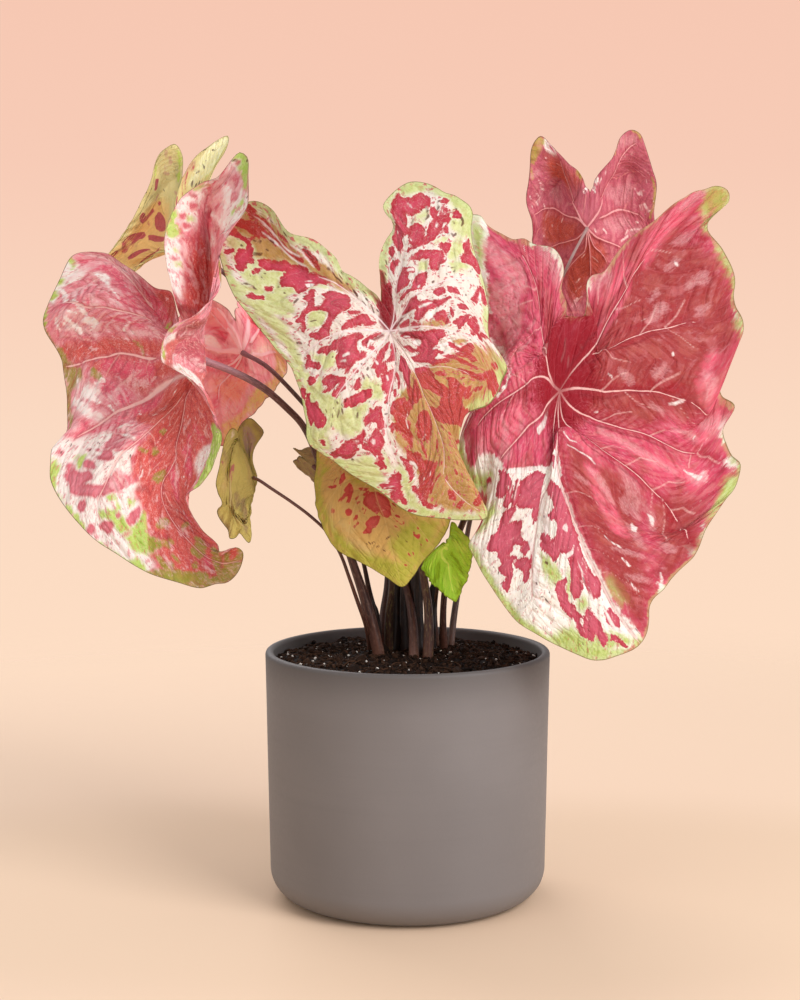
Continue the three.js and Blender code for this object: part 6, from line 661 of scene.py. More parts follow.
  (0,'p',[[-0.343,0.614],[-0.315,0.607],[-0.282,0.581],[-0.352,0.553],[-0.412,0.532],[-0.473,0.486],[-0.507,0.439],[-0.520,0.475],[-0.471,0.551],[-0.408,0.596]]),
  (0,'s',[[-0.151,0.444,0.43],[-0.124,0.404,0.86],[-0.102,0.364,1.39],[-0.083,0.326,1.39],[-0.070,0.290,0.75],[-0.072,0.277,0.32]]),
  (0,'s',[[0.042,0.225,1.08],[0.038,0.210,1.62],[0.030,0.184,0.97],[0.020,0.157,0.54]]),
  (0,'s',[[-0.557,0.385,1.29],[-0.554,0.345,1.18],[-0.374,0.143,1.27],[-0.325,0.075,1.05],[-0.341,0.033,0.84],[-0.381,0.018,0.52]]),
  (0,'s',[[-0.491,0.034,0.32],[-0.569,0.115,0.74],[-0.598,0.109,1.16],[-0.589,0.041,1.69],[-0.593,0.000,2.11]]),
  (0,'p',[[0.605,0.201],[0.616,0.154],[0.616,0.105],[0.596,0.153],[0.596,0.179]]),
  (0,'s',[[0.502,-0.391,0.83],[0.502,-0.415,1.38],[0.491,-0.442,1.65]]),
  (0,'s',[[0.538,-0.196,1.10],[0.547,-0.327,1.38],[0.536,-0.352,0.83]]),
  (0,'s',[[0.455,-0.349,1.64],[0.443,-0.354,1.86],[0.453,-0.371,1.09]]),
  (0,'s',[[0.181,-0.834,0.42],[0.181,-0.866,1.06],[0.176,-0.891,0.74]]),
  (0,'s',[[0.295,-0.698,0.64],[0.297,-0.729,0.86],[0.282,-0.751,0.80]]),
  (0,'s',[[0.362,-0.627,0.81],[0.355,-0.678,0.65],[0.330,-0.706,0.43]]),
  (1,'p',[[-0.179,-0.791],[-0.161,-0.821],[-0.143,-0.860],[-0.115,-0.888],[-0.090,-0.929],[-0.056,-0.973],[-0.087,-0.960],[-0.171,-0.899],[-0.234,-0.845],[-0.277,-0.791],[-0.281,-0.756],[-0.231,-0.766]]),
  (1,'p',[[-0.018,-0.970],[0.012,-0.986],[0.005,-1.007],[-0.027,-0.992]]),
  (1,'p',[[-0.362,0.593],[-0.336,0.587],[-0.342,0.567],[-0.386,0.548],[-0.440,0.527],[-0.434,0.549],[-0.397,0.575]]),
  (1,'p',[[-0.464,0.512],[-0.473,0.486],[-0.501,0.454],[-0.494,0.481]]),
  (1,'p',[[-0.611,0.113],[-0.583,0.037],[-0.589,-0.007],[-0.574,-0.069],[-0.539,-0.119],[-0.464,-0.156],[-0.445,-0.182],[-0.564,-0.148],[-0.593,-0.114],[-0.612,-0.032],[-0.623,0.037],[-0.628,0.103]]),
  (1,'p',[[-0.545,-0.316],[-0.512,-0.351],[-0.502,-0.386],[-0.459,-0.452],[-0.427,-0.520],[-0.372,-0.591],[-0.306,-0.715],[-0.277,-0.765],[-0.300,-0.767],[-0.354,-0.710],[-0.405,-0.617],[-0.473,-0.505],[-0.537,-0.365],[-0.558,-0.324]]),
  (1,'p',[[-0.500,-0.239],[-0.429,-0.254],[-0.402,-0.277],[-0.441,-0.295],[-0.457,-0.314],[-0.493,-0.327],[-0.512,-0.306],[-0.476,-0.290]]),
  (1,'p',[[-0.201,-0.503],[-0.156,-0.585],[-0.140,-0.654],[-0.140,-0.689],[-0.175,-0.678],[-0.194,-0.623],[-0.205,-0.550]]),
  (1,'p',[[-0.117,-0.768],[-0.084,-0.792],[-0.092,-0.809],[-0.116,-0.806],[-0.135,-0.788]]),
  (1,'p',[[-0.102,-0.696],[-0.087,-0.718],[-0.121,-0.741],[-0.148,-0.745],[-0.142,-0.720]]),
  (1,'p',[[0.016,-0.797],[0.047,-0.803],[0.065,-0.836],[0.074,-0.879],[0.058,-0.901],[0.016,-0.877],[0.006,-0.842],[0.007,-0.816]]),
  (1,'p',[[0.301,0.542],[0.292,0.549],[0.311,0.556],[0.458,0.571],[0.481,0.541],[0.382,0.556],[0.325,0.542]]),
  (1,'p',[[0.266,0.565],[0.278,0.580],[0.298,0.592],[0.345,0.620],[0.363,0.602],[0.475,0.588],[0.458,0.571],[0.311,0.556]]),
  (1,'p',[[0.522,0.489],[0.540,0.460],[0.572,0.387],[0.600,0.302],[0.609,0.258],[0.578,0.323],[0.549,0.395],[0.526,0.447]]),
  (1,'p',[[0.600,0.181],[0.618,0.149],[0.621,0.093],[0.602,0.128],[0.591,0.160]]),
  (1,'p',[[0.504,-0.416],[0.501,-0.441],[0.483,-0.477],[0.481,-0.452]]),
  (1,'s',[[0.582,-0.221,0.28],[0.583,-0.296,0.56],[0.571,-0.312,0.44]]),
  (1,'p',[[0.468,-0.427],[0.474,-0.449],[0.473,-0.487],[0.455,-0.534],[0.428,-0.573],[0.393,-0.613],[0.370,-0.632],[0.413,-0.492],[0.434,-0.471],[0.450,-0.457]]),
  (3,'p',[[-0.410,-0.174],[-0.364,-0.184],[-0.347,-0.196],[-0.332,-0.205],[-0.344,-0.221],[-0.350,-0.235],[-0.366,-0.250],[-0.406,-0.244],[-0.427,-0.234],[-0.423,-0.219],[-0.418,-0.203],[-0.396,-0.201]]),
  (3,'p',[[-0.271,-0.216],[-0.234,-0.208],[-0.194,-0.208],[-0.158,-0.236],[-0.175,-0.271],[-0.189,-0.301],[-0.204,-0.332],[-0.221,-0.360],[-0.244,-0.352],[-0.251,-0.326],[-0.238,-0.311],[-0.281,-0.298],[-0.317,-0.287],[-0.310,-0.267],[-0.294,-0.249],[-0.291,-0.228]]),
  (3,'p',[[-0.377,-0.289],[-0.348,-0.281],[-0.330,-0.279],[-0.312,-0.291],[-0.328,-0.304],[-0.342,-0.317],[-0.308,-0.325],[-0.275,-0.323],[-0.268,-0.308],[-0.291,-0.335],[-0.302,-0.352],[-0.297,-0.383],[-0.265,-0.400],[-0.262,-0.425],[-0.267,-0.428],[-0.293,-0.434],[-0.314,-0.411],[-0.303,-0.399],[-0.321,-0.391],[-0.338,-0.390],[-0.353,-0.404],[-0.363,-0.412],[-0.333,-0.415],[-0.335,-0.426],[-0.350,-0.435],[-0.353,-0.453],[-0.356,-0.474],[-0.370,-0.498],[-0.385,-0.522],[-0.397,-0.532],[-0.411,-0.514],[-0.418,-0.500],[-0.396,-0.487],[-0.389,-0.477],[-0.405,-0.466],[-0.422,-0.455],[-0.409,-0.440],[-0.398,-0.431],[-0.408,-0.414],[-0.413,-0.395],[-0.440,-0.390],[-0.460,-0.377],[-0.448,-0.361],[-0.433,-0.343],[-0.406,-0.334],[-0.401,-0.321],[-0.392,-0.306]]),
  (3,'p',[[-0.350,-0.435],[-0.312,-0.430],[-0.288,-0.436],[-0.264,-0.464],[-0.262,-0.490],[-0.279,-0.490],[-0.278,-0.515],[-0.300,-0.517],[-0.315,-0.510],[-0.310,-0.486],[-0.317,-0.465],[-0.344,-0.455]]),
  (3,'s',[[-0.262,-0.432,0.41],[-0.259,-0.468,0.72],[-0.267,-0.489,0.41]]),
  (3,'p',[[-0.089,-0.366],[-0.050,-0.430],[-0.027,-0.463],[-0.008,-0.488],[-0.006,-0.518],[-0.008,-0.549],[-0.006,-0.582],[-0.010,-0.609],[-0.010,-0.648],[-0.017,-0.686],[-0.021,-0.730],[-0.024,-0.764],[-0.021,-0.793],[-0.028,-0.818],[-0.052,-0.823],[-0.072,-0.804],[-0.064,-0.776],[-0.073,-0.750],[-0.071,-0.730],[-0.063,-0.708],[-0.086,-0.679],[-0.086,-0.653],[-0.109,-0.635],[-0.133,-0.625],[-0.150,-0.614],[-0.154,-0.581],[-0.176,-0.534],[-0.199,-0.490],[-0.205,-0.460],[-0.174,-0.488],[-0.125,-0.557],[-0.100,-0.573],[-0.085,-0.560],[-0.082,-0.538],[-0.117,-0.489],[-0.130,-0.451],[-0.104,-0.475],[-0.080,-0.490],[-0.089,-0.447],[-0.124,-0.377],[-0.147,-0.323]]),
  (3,'p',[[-0.204,-0.449],[-0.196,-0.436],[-0.154,-0.480],[-0.131,-0.532],[-0.126,-0.559],[-0.164,-0.522]]),
  (3,'p',[[-0.078,-0.687],[-0.057,-0.701],[-0.059,-0.725],[-0.073,-0.750],[-0.076,-0.775],[-0.106,-0.777],[-0.130,-0.761],[-0.128,-0.734],[-0.104,-0.720]]),
  (3,'p',[[-0.162,-0.671],[-0.122,-0.702],[-0.122,-0.715],[-0.142,-0.713],[-0.145,-0.736],[-0.148,-0.751],[-0.135,-0.771],[-0.140,-0.786],[-0.129,-0.806],[-0.149,-0.811],[-0.122,-0.842],[-0.114,-0.867],[-0.133,-0.873],[-0.148,-0.854],[-0.166,-0.825],[-0.174,-0.803],[-0.160,-0.797],[-0.182,-0.757],[-0.190,-0.724],[-0.184,-0.703],[-0.184,-0.679]]),
  (3,'p',[[-0.026,-0.749],[-0.021,-0.772],[-0.007,-0.800],[-0.021,-0.818],[-0.046,-0.823],[-0.066,-0.814],[-0.069,-0.791],[-0.066,-0.767],[-0.068,-0.745],[-0.061,-0.720],[-0.039,-0.716]]),
  (3,'p',[[-0.109,-0.806],[-0.084,-0.813],[-0.089,-0.827],[-0.082,-0.845],[-0.085,-0.878],[-0.088,-0.905],[-0.109,-0.909],[-0.115,-0.888],[-0.115,-0.872],[-0.129,-0.848],[-0.159,-0.830]]),
  (3,'p',[[-0.054,-0.853],[-0.024,-0.862],[-0.017,-0.889],[-0.031,-0.917],[-0.052,-0.900],[-0.062,-0.874]]),
  (3,'p',[[-0.068,-0.898],[-0.050,-0.934],[-0.046,-0.975],[-0.060,-0.954],[-0.079,-0.913]]),
  (3,'p',[[-0.396,-0.192],[-0.364,-0.193],[-0.332,-0.208],[-0.320,-0.234],[-0.333,-0.263],[-0.353,-0.280],[-0.382,-0.270],[-0.366,-0.250],[-0.345,-0.231]]),
  (3,'p',[[-0.320,-0.234],[-0.305,-0.226],[-0.288,-0.237],[-0.299,-0.258],[-0.317,-0.287],[-0.339,-0.278],[-0.332,-0.258]]),
  (3,'p',[[-0.314,-0.220],[-0.299,-0.212],[-0.286,-0.219],[-0.296,-0.228],[-0.310,-0.228]]),
  (3,'p',[[-0.107,-0.217],[-0.034,-0.337],[-0.024,-0.331],[-0.018,-0.373],[-0.042,-0.383],[-0.065,-0.349]]),
  (3,'p',[[-0.520,-0.145],[-0.482,-0.165],[-0.469,-0.183],[-0.524,-0.163],[-0.539,-0.144]]),
  (3,'p',[[-0.022,-0.432],[-0.004,-0.436],[0.005,-0.479],[0.007,-0.510],[-0.011,-0.478]]),
  (4,'s',[[-0.038,-0.027,0.53],[-0.075,-0.058,0.95],[-0.127,-0.091,1.05],[-0.182,-0.111,1.15]]),
  (4,'s',[[-0.015,-0.291,0.42],[-0.031,-0.324,0.83],[-0.046,-0.355,1.46],[-0.033,-0.419,1.14],[-0.018,-0.482,0.52],[-0.008,-0.549,0.36]]),
  (4,'s',[[-0.341,-0.189,0.68],[-0.288,-0.196,1.15],[-0.242,-0.196,0.78],[-0.193,-0.199,0.63],[-0.138,-0.216,0.63],[-0.063,-0.334,0.52]]),
  (4,'s',[[-0.306,-0.197,0.52],[-0.323,-0.219,0.47],[-0.341,-0.246,0.26]]),
  (4,'s',[[-0.270,-0.201,0.63],[-0.290,-0.213,0.42],[-0.306,-0.236,0.36],[-0.323,-0.265,0.21]]),
  (4,'s',[[-0.144,-0.226,0.47],[-0.163,-0.255,0.57],[-0.182,-0.299,0.73],[-0.184,-0.351,1.14],[-0.159,-0.429,2.07],[-0.137,-0.492,2.27],[-0.156,-0.490,1.03]]),
  (4,'s',[[-0.076,-0.431,0.31],[-0.099,-0.446,0.62],[-0.112,-0.464,0.62]]),
  (4,'s',[[-0.053,-0.395,0.52],[-0.036,-0.436,0.47],[-0.013,-0.485,0.41]]),
  (4,'s',[[-0.318,-0.298,0.52],[-0.333,-0.311,0.62],[-0.347,-0.319,0.42]]),
  (4,'s',[[-0.249,-0.318,0.57],[-0.268,-0.340,0.93],[-0.281,-0.365,0.93],[-0.265,-0.397,1.14],[-0.246,-0.451,1.34],[-0.246,-0.509,1.34],[-0.254,-0.589,1.55],[-0.269,-0.637,1.03]]),
  (4,'p',[[-0.062,-0.585],[-0.037,-0.587],[-0.035,-0.604],[-0.047,-0.616],[-0.057,-0.600]]),
  (4,'s',[[-0.039,-0.669,0.41],[-0.059,-0.680,0.93],[-0.094,-0.663,0.93]]),
  (4,'s',[[-0.049,-0.714,0.31],[-0.056,-0.747,0.51],[-0.069,-0.775,0.51]]),
  (4,'s',[[-0.028,-0.725,0.31],[-0.028,-0.751,0.41],[-0.045,-0.761,0.31]]),
  (4,'s',[[-0.059,-0.788,0.36],[-0.069,-0.811,0.72],[-0.079,-0.829,0.72]]),
  (4,'s',[[-0.076,-0.836,0.31],[-0.075,-0.875,0.51],[-0.071,-0.901,0.31]]),
  (4,'s',[[-0.033,-0.836,0.52],[-0.048,-0.862,0.72],[-0.049,-0.902,0.82],[-0.033,-0.929,0.72]]),
  (4,'s',[[0.001,-0.894,0.26],[0.012,-0.942,0.41],[0.016,-0.982,0.31]]),
  (4,'s',[[-0.020,-0.939,0.31],[-0.001,-0.977,0.41]]),
  (4,'s',[[0.086,-0.666,0.42],[0.103,-0.696,0.73],[0.121,-0.712,0.84]]),
  (4,'s',[[0.109,-0.756,0.63],[0.117,-0.781,0.84]]),
  (4,'s',[[0.093,-0.830,0.42],[0.101,-0.857,0.73],[0.109,-0.870,0.52]]),
  (4,'s',[[0.194,-0.810,0.32],[0.189,-0.844,0.48],[0.178,-0.874,0.53]]),
  (4,'s',[[0.283,-0.431,0.43],[0.295,-0.436,0.86],[0.290,-0.471,0.43]]),
  (4,'s',[[0.220,-0.527,0.42],[0.201,-0.594,0.95],[0.226,-0.545,0.53]]),
  (4,'s',[[-0.181,0.460,0.38],[-0.186,0.450,0.32]]),
  (4,'s',[[0.025,-0.275,0.31],[0.050,-0.312,0.52],[0.077,-0.311,0.26]]),
  (4,'s',[[0.030,-0.329,0.21],[0.083,-0.352,0.37],[0.115,-0.361,0.58],[0.126,-0.377,0.32]]),
  (4,'s',[[0.417,-0.011,0.33],[0.438,0.006,0.54],[0.449,0.005,0.27]]),
  (4,'s',[[0.443,0.018,0.43],[0.457,0.031,0.54]]),
  (4,'s',[[0.410,0.449,0.33],[0.425,0.438,0.44],[0.432,0.441,0.22]]),
  (4,'s',[[0.476,-0.149,0.27],[0.488,-0.138,0.55]]),
  (4,'s',[[0.195,0.032,0.27],[0.215,0.025,0.37]]),
  (4,'s',[[0.153,-0.054,0.27],[0.166,-0.055,0.43]]),
  (4,'s',[[0.420,0.135,0.38],[0.420,0.129,0.43]]),
  (4,'s',[[0.420,-0.265,0.27],[0.438,-0.303,0.66],[0.449,-0.348,1.09]]),
  (4,'s',[[0.335,0.235,0.27],[0.348,0.245,0.27]]),
  (4,'s',[[-0.010,0.064,0.21],[-0.007,0.048,0.27],[-0.012,0.039,0.32]]),
  (4,'s',[[0.007,0.041,0.27],[0.011,0.032,0.37]]),
  (4,'s',[[0.029,0.060,0.21],[0.037,0.058,0.27]]),
  (7,'s',[[0.171,-0.134,1.07],[0.215,-0.173,2.14],[0.259,-0.221,3.22],[0.304,-0.246,3.23],[0.355,-0.256,1.62],[0.392,-0.271,1.09]]),
  (7,'s',[[0.204,-0.350,1.59],[0.231,-0.378,3.19],[0.242,-0.417,3.19],[0.243,-0.472,2.13]]),
  (7,'p',[[0.195,-0.455],[0.225,-0.415],[0.242,-0.430],[0.231,-0.476],[0.203,-0.499]]),
  (7,'s',[[0.199,-0.560,1.59],[0.200,-0.619,2.11],[0.184,-0.691,1.58]]),
  (7,'s',[[0.275,-0.404,1.07],[0.295,-0.430,1.61],[0.282,-0.506,1.07]]),
  (7,'s',[[0.258,-0.657,1.60],[0.253,-0.706,2.13]]),
  (7,'s',[[0.092,-0.721,1.04],[0.137,-0.729,2.10],[0.166,-0.741,1.58]]),
  (7,'s',[[0.093,-0.817,1.04],[0.134,-0.828,2.10],[0.149,-0.837,1.58]]),
  (7,'s',[[0.111,-0.408,1.57],[0.140,-0.433,2.63],[0.165,-0.481,2.11]]),
  (7,'s',[[0.051,-0.448,1.04],[0.087,-0.462,1.57]]),
  (7,'s',[[0.433,-0.297,1.64],[0.446,-0.354,2.19]]),
  (7,'s',[[0.520,-0.109,1.65],[0.537,-0.177,2.76],[0.547,-0.304,2.21]]),
  (7,'s',[[0.474,-0.099,1.64],[0.482,-0.155,1.64]]),
  (7,'s',[[0.422,-0.090,1.63],[0.461,-0.096,1.64]]),
  (7,'s',[[-0.446,0.436,7.49],[-0.442,0.314,6.39]]),
  (7,'s',[[-0.364,0.518,5.37],[-0.351,0.460,5.35]]),
  (7,'s',[[-0.380,0.510,3.76],[-0.388,0.449,4.28],[-0.445,0.404,3.74]]),
  (7,'s',[[-0.352,0.533,2.15],[-0.353,0.507,3.76],[-0.367,0.481,2.68]]),
  (7,'s',[[-0.446,0.436,1.60],[-0.417,0.401,2.67]]),
  (7,'s',[[-0.523,0.408,2.14],[-0.537,0.360,3.21],[-0.501,0.293,2.13]]),
  (7,'s',[[-0.139,0.410,1.07],[-0.116,0.361,2.68],[-0.101,0.322,2.67],[-0.073,0.273,1.60]]),
  (7,'s',[[0.050,0.211,1.62],[0.054,0.240,2.70],[0.058,0.265,2.16],[0.087,0.271,1.62]]),
  (7,'s',[[0.230,0.505,1.65],[0.246,0.526,2.75],[0.255,0.546,2.21]]),
  (7,'s',[[0.352,0.494,1.65],[0.389,0.515,3.31],[0.383,0.531,1.66]]),
  (7,'s',[[0.401,0.430,1.64],[0.413,0.449,2.20]]),
  (7,'s',[[0.471,0.370,2.19],[0.494,0.389,2.75],[0.510,0.370,1.65]]),
  (7,'s',[[0.357,0.228,1.62],[0.401,0.300,2.72]]),
  (7,'s',[[0.497,0.283,2.19],[0.513,0.290,1.65]]),
  (7,'s',[[0.385,0.355,1.63],[0.368,0.326,1.09]]),
  (7,'s',[[-0.532,-0.068,1.58],[-0.492,-0.083,2.62]]),
  (7,'s',[[-0.391,-0.145,2.09],[-0.342,-0.144,3.13]]),
  (7,'s',[[-0.554,0.031,1.05],[-0.558,-0.018,2.11]]),
  (7,'s',[[-0.360,-0.052,1.05],[-0.345,-0.096,2.09],[-0.374,-0.124,1.57]]),
  (7,'s',[[-0.265,-0.069,1.05],[-0.263,-0.104,1.57]]),
  (7,'s',[[0.391,-0.045,1.62],[0.359,-0.043,1.08]]),
  (7,'s',[[0.377,0.051,2.16],[0.403,0.085,1.62]]),
  (7,'s',[[0.252,0.035,1.60],[0.292,0.016,2.15]]),
  (7,'s',[[0.507,0.097,1.63],[0.528,0.069,2.18],[0.518,0.051,1.64]]),
  (7,'s',[[0.188,-0.159,1.07],[0.174,-0.115,1.60]]),
  (7,'s',[[-0.297,0.246,1.59],[-0.328,0.185,2.12]]),
  (7,'s',[[-0.283,0.322,1.06],[-0.340,0.293,1.59]]),
  (5,'s',[[-0.181,0.370,0.80],[-0.193,0.340,1.60],[-0.159,0.272,2.65],[-0.045,0.067,3.18],[-0.018,0.029,3.18],[0.002,0.012,2.12]]),
  (5,'s',[[0.004,0.008,1.59],[0.028,0.025,2.66],[0.045,0.057,3.20],[0.044,0.094,2.67],[0.100,0.230,1.61]]),
  (5,'s',[[-0.040,0.006,1.06],[-0.110,-0.013,1.58],[-0.244,-0.021,2.10],[-0.342,-0.026,1.05]]),
  (5,'s',[[0.029,0.167,0.54],[0.014,0.122,1.34],[0.030,0.084,1.60]]),
  (5,'s',[[0.012,-0.021,0.53],[0.024,-0.052,1.59],[0.020,-0.275,1.05],[-0.005,-0.338,0.73],[0.001,-0.438,0.83],[0.013,-0.547,1.30],[0.021,-0.670,1.29],[0.029,-0.759,1.04]]),
  (5,'s',[[-0.013,-0.046,0.42],[-0.034,-0.115,0.84],[-0.033,-0.286,0.63]]),
  (5,'s',[[0.076,-0.155,0.53],[0.138,-0.286,0.79],[0.183,-0.324,1.38],[0.227,-0.329,1.28],[0.261,-0.344,0.75]]),
  (5,'s',[[0.067,-0.040,0.43],[0.176,-0.069,1.07],[0.308,-0.123,1.18],[0.374,-0.126,0.76],[0.461,-0.177,0.44]]),
  (5,'s',[[0.159,0.009,0.75],[0.328,-0.002,1.18],[0.420,0.045,2.16],[0.470,0.062,1.09]]),
  (5,'s',[[0.127,0.224,0.54],[0.206,0.319,1.30],[0.300,0.404,1.31],[0.231,0.426,0.76],[0.182,0.470,1.64]]),
  (5,'s',[[0.156,0.210,0.54],[0.331,0.208,0.86],[0.445,0.267,0.76]]),
  (5,'s',[[0.308,-0.347,0.54],[0.345,-0.391,1.40],[0.340,-0.572,1.29],[0.310,-0.712,0.75]]),
  (5,'s',[[0.453,0.530,1.10],[0.484,0.515,1.66],[0.458,0.542,0.55]]),
  (5,'s',[[0.441,0.474,0.83],[0.452,0.480,0.83]]),
  (5,'s',[[0.418,0.323,0.44],[0.426,0.287,0.98],[0.429,0.248,0.44]]),
  (5,'s',[[0.468,-0.153,1.09],[0.492,-0.242,2.20],[0.496,-0.359,1.65]]),
  (5,'s',[[0.536,0.105,0.55],[0.539,0.073,0.87]]),
  (6,'s',[[-0.437,-0.439,0.36],[-0.433,-0.443,0.36]]),
  (6,'s',[[-0.354,-0.577,0.36],[-0.350,-0.582,0.36]]),
  (6,'s',[[-0.283,-0.642,0.36],[-0.280,-0.648,0.36]]),
  (6,'s',[[-0.186,-0.561,0.46],[-0.173,-0.586,0.46]]),
  (6,'s',[[-0.140,-0.623,0.41],[-0.130,-0.632,0.41]]),
  (6,'s',[[-0.235,-0.482,0.31],[-0.230,-0.492,0.31]]),
  (6,'s',[[-0.208,-0.655,0.41],[-0.206,-0.661,0.41]]),
  (6,'s',[[-0.247,-0.630,0.36],[-0.234,-0.641,0.36]]),
  (6,'s',[[-0.234,-0.653,0.41],[-0.228,-0.672,0.41]]),
  (6,'s',[[-0.224,-0.684,0.31],[-0.222,-0.690,0.31]]),
  (6,'s',[[-0.251,-0.561,0.41],[-0.243,-0.576,0.41]]),
  (6,'s',[[-0.173,-0.666,0.41],[-0.171,-0.672,0.41]]),
  (6,'s',[[-0.217,-0.709,0.41],[-0.226,-0.711,0.31]]),
  (6,'s',[[-0.292,-0.578,0.31],[-0.301,-0.589,0.31]]),
  (6,'s',[[-0.309,-0.555,0.26],[-0.315,-0.559,0.26]]),
  (6,'s',[[-0.313,-0.594,0.26],[-0.328,-0.610,0.31]]),
  (6,'s',[[-0.110,-0.673,0.31],[-0.109,-0.688,0.31]]),
  (6,'s',[[-0.123,-0.736,0.36],[-0.121,-0.741,0.36]]),
  (6,'s',[[-0.122,-0.709,0.31],[-0.128,-0.721,0.31]]),
  (6,'s',[[-0.168,-0.401,0.36],[-0.159,-0.418,0.36]]),
  (6,'s',[[-0.382,-0.286,0.36],[-0.377,-0.287,0.36]]),
  (6,'s',[[-0.401,-0.301,0.42],[-0.425,-0.302,0.36]]),
  (6,'s',[[-0.462,-0.315,0.52],[-0.452,-0.315,0.36]]),
  (6,'s',[[-0.499,-0.163,0.31],[-0.520,-0.161,0.31]]),
  (6,'s',[[-0.564,-0.132,0.32],[-0.545,-0.147,0.32]]),
  (6,'s',[[-0.539,-0.103,0.32],[-0.528,-0.112,0.32]]),
  (6,'s',[[-0.418,-0.458,0.42],[-0.426,-0.474,0.26]]),
  (6,'s',[[-0.042,-0.805,0.26],[-0.040,-0.809,0.26]]),
  (6,'s',[[-0.175,-0.845,0.36],[-0.172,-0.848,0.36]]),
  (6,'s',[[-0.143,-0.882,0.36],[-0.140,-0.884,0.36]]),
  (6,'s',[[-0.102,-0.934,0.41],[-0.099,-0.938,0.41]]),
  (6,'s',[[-0.105,-0.900,0.31],[-0.107,-0.912,0.31]]),
  (6,'s',[[-0.062,-0.758,0.26],[-0.062,-0.775,0.31]]),
  (6,'s',[[-0.343,-0.211,0.26],[-0.350,-0.237,0.36]]),
  (6,'s',[[-0.316,-0.240,0.26],[-0.332,-0.260,0.31]]),
  (6,'s',[[-0.021,-0.945,0.21],[-0.018,-0.970,0.26]]),
  (6,'s',[[0.014,-0.950,0.21],[0.021,-0.977,0.26]]),
  (5,'p',[[-0.003,0.025],[0.002,0.039],[0.009,0.057],[0.017,0.078],[0.013,0.103],[0.028,0.149],[0.088,0.216],[0.069,0.132],[0.052,0.068],[0.041,0.045],[0.028,0.025],[0.020,0.009],[0.007,0.001]]),
  (5,'p',[[-0.153,0.308],[-0.126,0.294],[-0.069,0.213],[-0.024,0.084],[-0.014,0.051],[-0.003,0.025],[-0.002,0.004],[-0.026,0.005],[-0.047,0.024],[-0.123,0.192],[-0.164,0.254]]),
  (5,'s',[[0.000,-0.002,1.59],[-0.033,-0.013,1.59],[-0.121,-0.037,1.79],[-0.224,-0.044,1.57]]),
  (5,'s',[[0.013,-0.025,1.06],[0.052,-0.076,1.27],[0.109,-0.180,1.06]]),
  (5,'s',[[0.023,-0.006,1.06],[0.076,-0.031,1.06]]),
  (5,'s',[[0.037,0.008,0.64],[0.109,0.010,0.75],[0.252,0.002,0.64],[0.363,0.006,0.54]]),
  (5,'s',[[0.163,0.127,0.53],[0.278,0.127,0.64],[0.359,0.161,0.54]]),
  (5,'s',[[0.094,0.148,0.64],[0.139,0.245,0.75],[0.164,0.291,0.76],[0.186,0.333,0.54]]),
  (5,'s',[[0.012,-0.260,0.52],[0.006,-0.344,0.63],[0.012,-0.439,0.62],[0.029,-0.554,0.52]]),
  (5,'s',[[0.175,-0.107,0.64],[0.268,-0.156,0.75],[0.362,-0.173,0.65]]),
  (5,'s',[[0.177,-0.337,0.53],[0.243,-0.354,0.75],[0.307,-0.369,0.75],[0.353,-0.414,0.65]]),
  (8,'p',[[0.235,0.556],[0.262,0.577],[0.292,0.586],[0.319,0.593],[0.376,0.597],[0.333,0.555],[0.295,0.542]]),
  (1,'p',[[-0.174,-0.803],[-0.122,-0.853],[-0.062,-0.903],[-0.022,-0.952],[-0.022,-0.974],[-0.074,-0.947],[-0.136,-0.896],[-0.193,-0.851]]),
  (0,'s',[[-0.551,-0.096,4.21],[-0.396,-0.180,3.13]]),
  (11,'p',[[0.163,0.378],[0.159,0.406],[0.153,0.434],[0.175,0.471],[0.212,0.511],[0.265,0.525],[0.294,0.505],[0.314,0.480],[0.335,0.447],[0.329,0.419]]),
  (11,'p',[[0.081,0.227],[0.086,0.255],[0.100,0.295],[0.136,0.337],[0.181,0.357],[0.176,0.325],[0.142,0.277],[0.115,0.242]])],
 'left_front': [
  (9,'s',[[-0.434,0.177,0.49],[-0.462,0.172,0.49],[-0.489,0.166,0.44],[-0.529,0.179,0.41]]),
  (9,'s',[[-0.390,0.173,0.44],[-0.428,0.123,0.41],[-0.454,0.086,0.41]]),
  (9,'s',[[-0.342,0.174,0.44],[-0.382,0.114,0.44],[-0.415,0.072,0.41],[-0.451,0.036,0.41]]),
  (9,'s',[[-0.264,0.158,0.43],[-0.321,0.100,0.44],[-0.366,0.053,0.41]]),
  (9,'s',[[-0.291,0.388,0.41],[-0.345,0.429,0.41],[-0.372,0.487,0.41]]),
  (9,'s',[[-0.366,0.272,0.41],[-0.397,0.349,0.41],[-0.413,0.480,0.41],[-0.392,0.548,0.41]]),
  (9,'s',[[-0.399,0.292,0.41],[-0.417,0.402,0.41],[-0.422,0.472,0.41]]),
  (9,'s',[[-0.233,0.175,0.41],[-0.273,0.247,0.41],[-0.322,0.295,0.41]]),
  (9,'s',[[-0.372,0.593,0.41],[-0.400,0.537,0.41],[-0.417,0.402,0.41]]),
  (9,'s',[[-0.575,0.164,0.50],[-0.548,0.119,0.50],[-0.522,0.069,0.55],[-0.482,0.028,0.66]]),
  (9,'s',[[-0.228,0.087,0.41],[-0.181,0.064,0.41]]),
  (9,'s',[[-0.356,-0.170,0.49],[-0.401,-0.153,0.44],[-0.436,-0.139,0.41],[-0.469,-0.123,0.41]]),
  (9,'s',[[-0.398,-0.207,0.49],[-0.440,-0.184,0.44],[-0.483,-0.153,0.41]]),
  (9,'s',[[-0.243,-0.107,0.41],[-0.289,-0.092,0.41],[-0.343,-0.086,0.41]]),
  (9,'s',[[-0.300,-0.140,0.41],[-0.337,-0.117,0.41],[-0.370,-0.105,0.41]]),
  (9,'s',[[-0.258,-0.033,0.41],[-0.315,-0.064,0.41],[-0.361,-0.097,0.41]]),
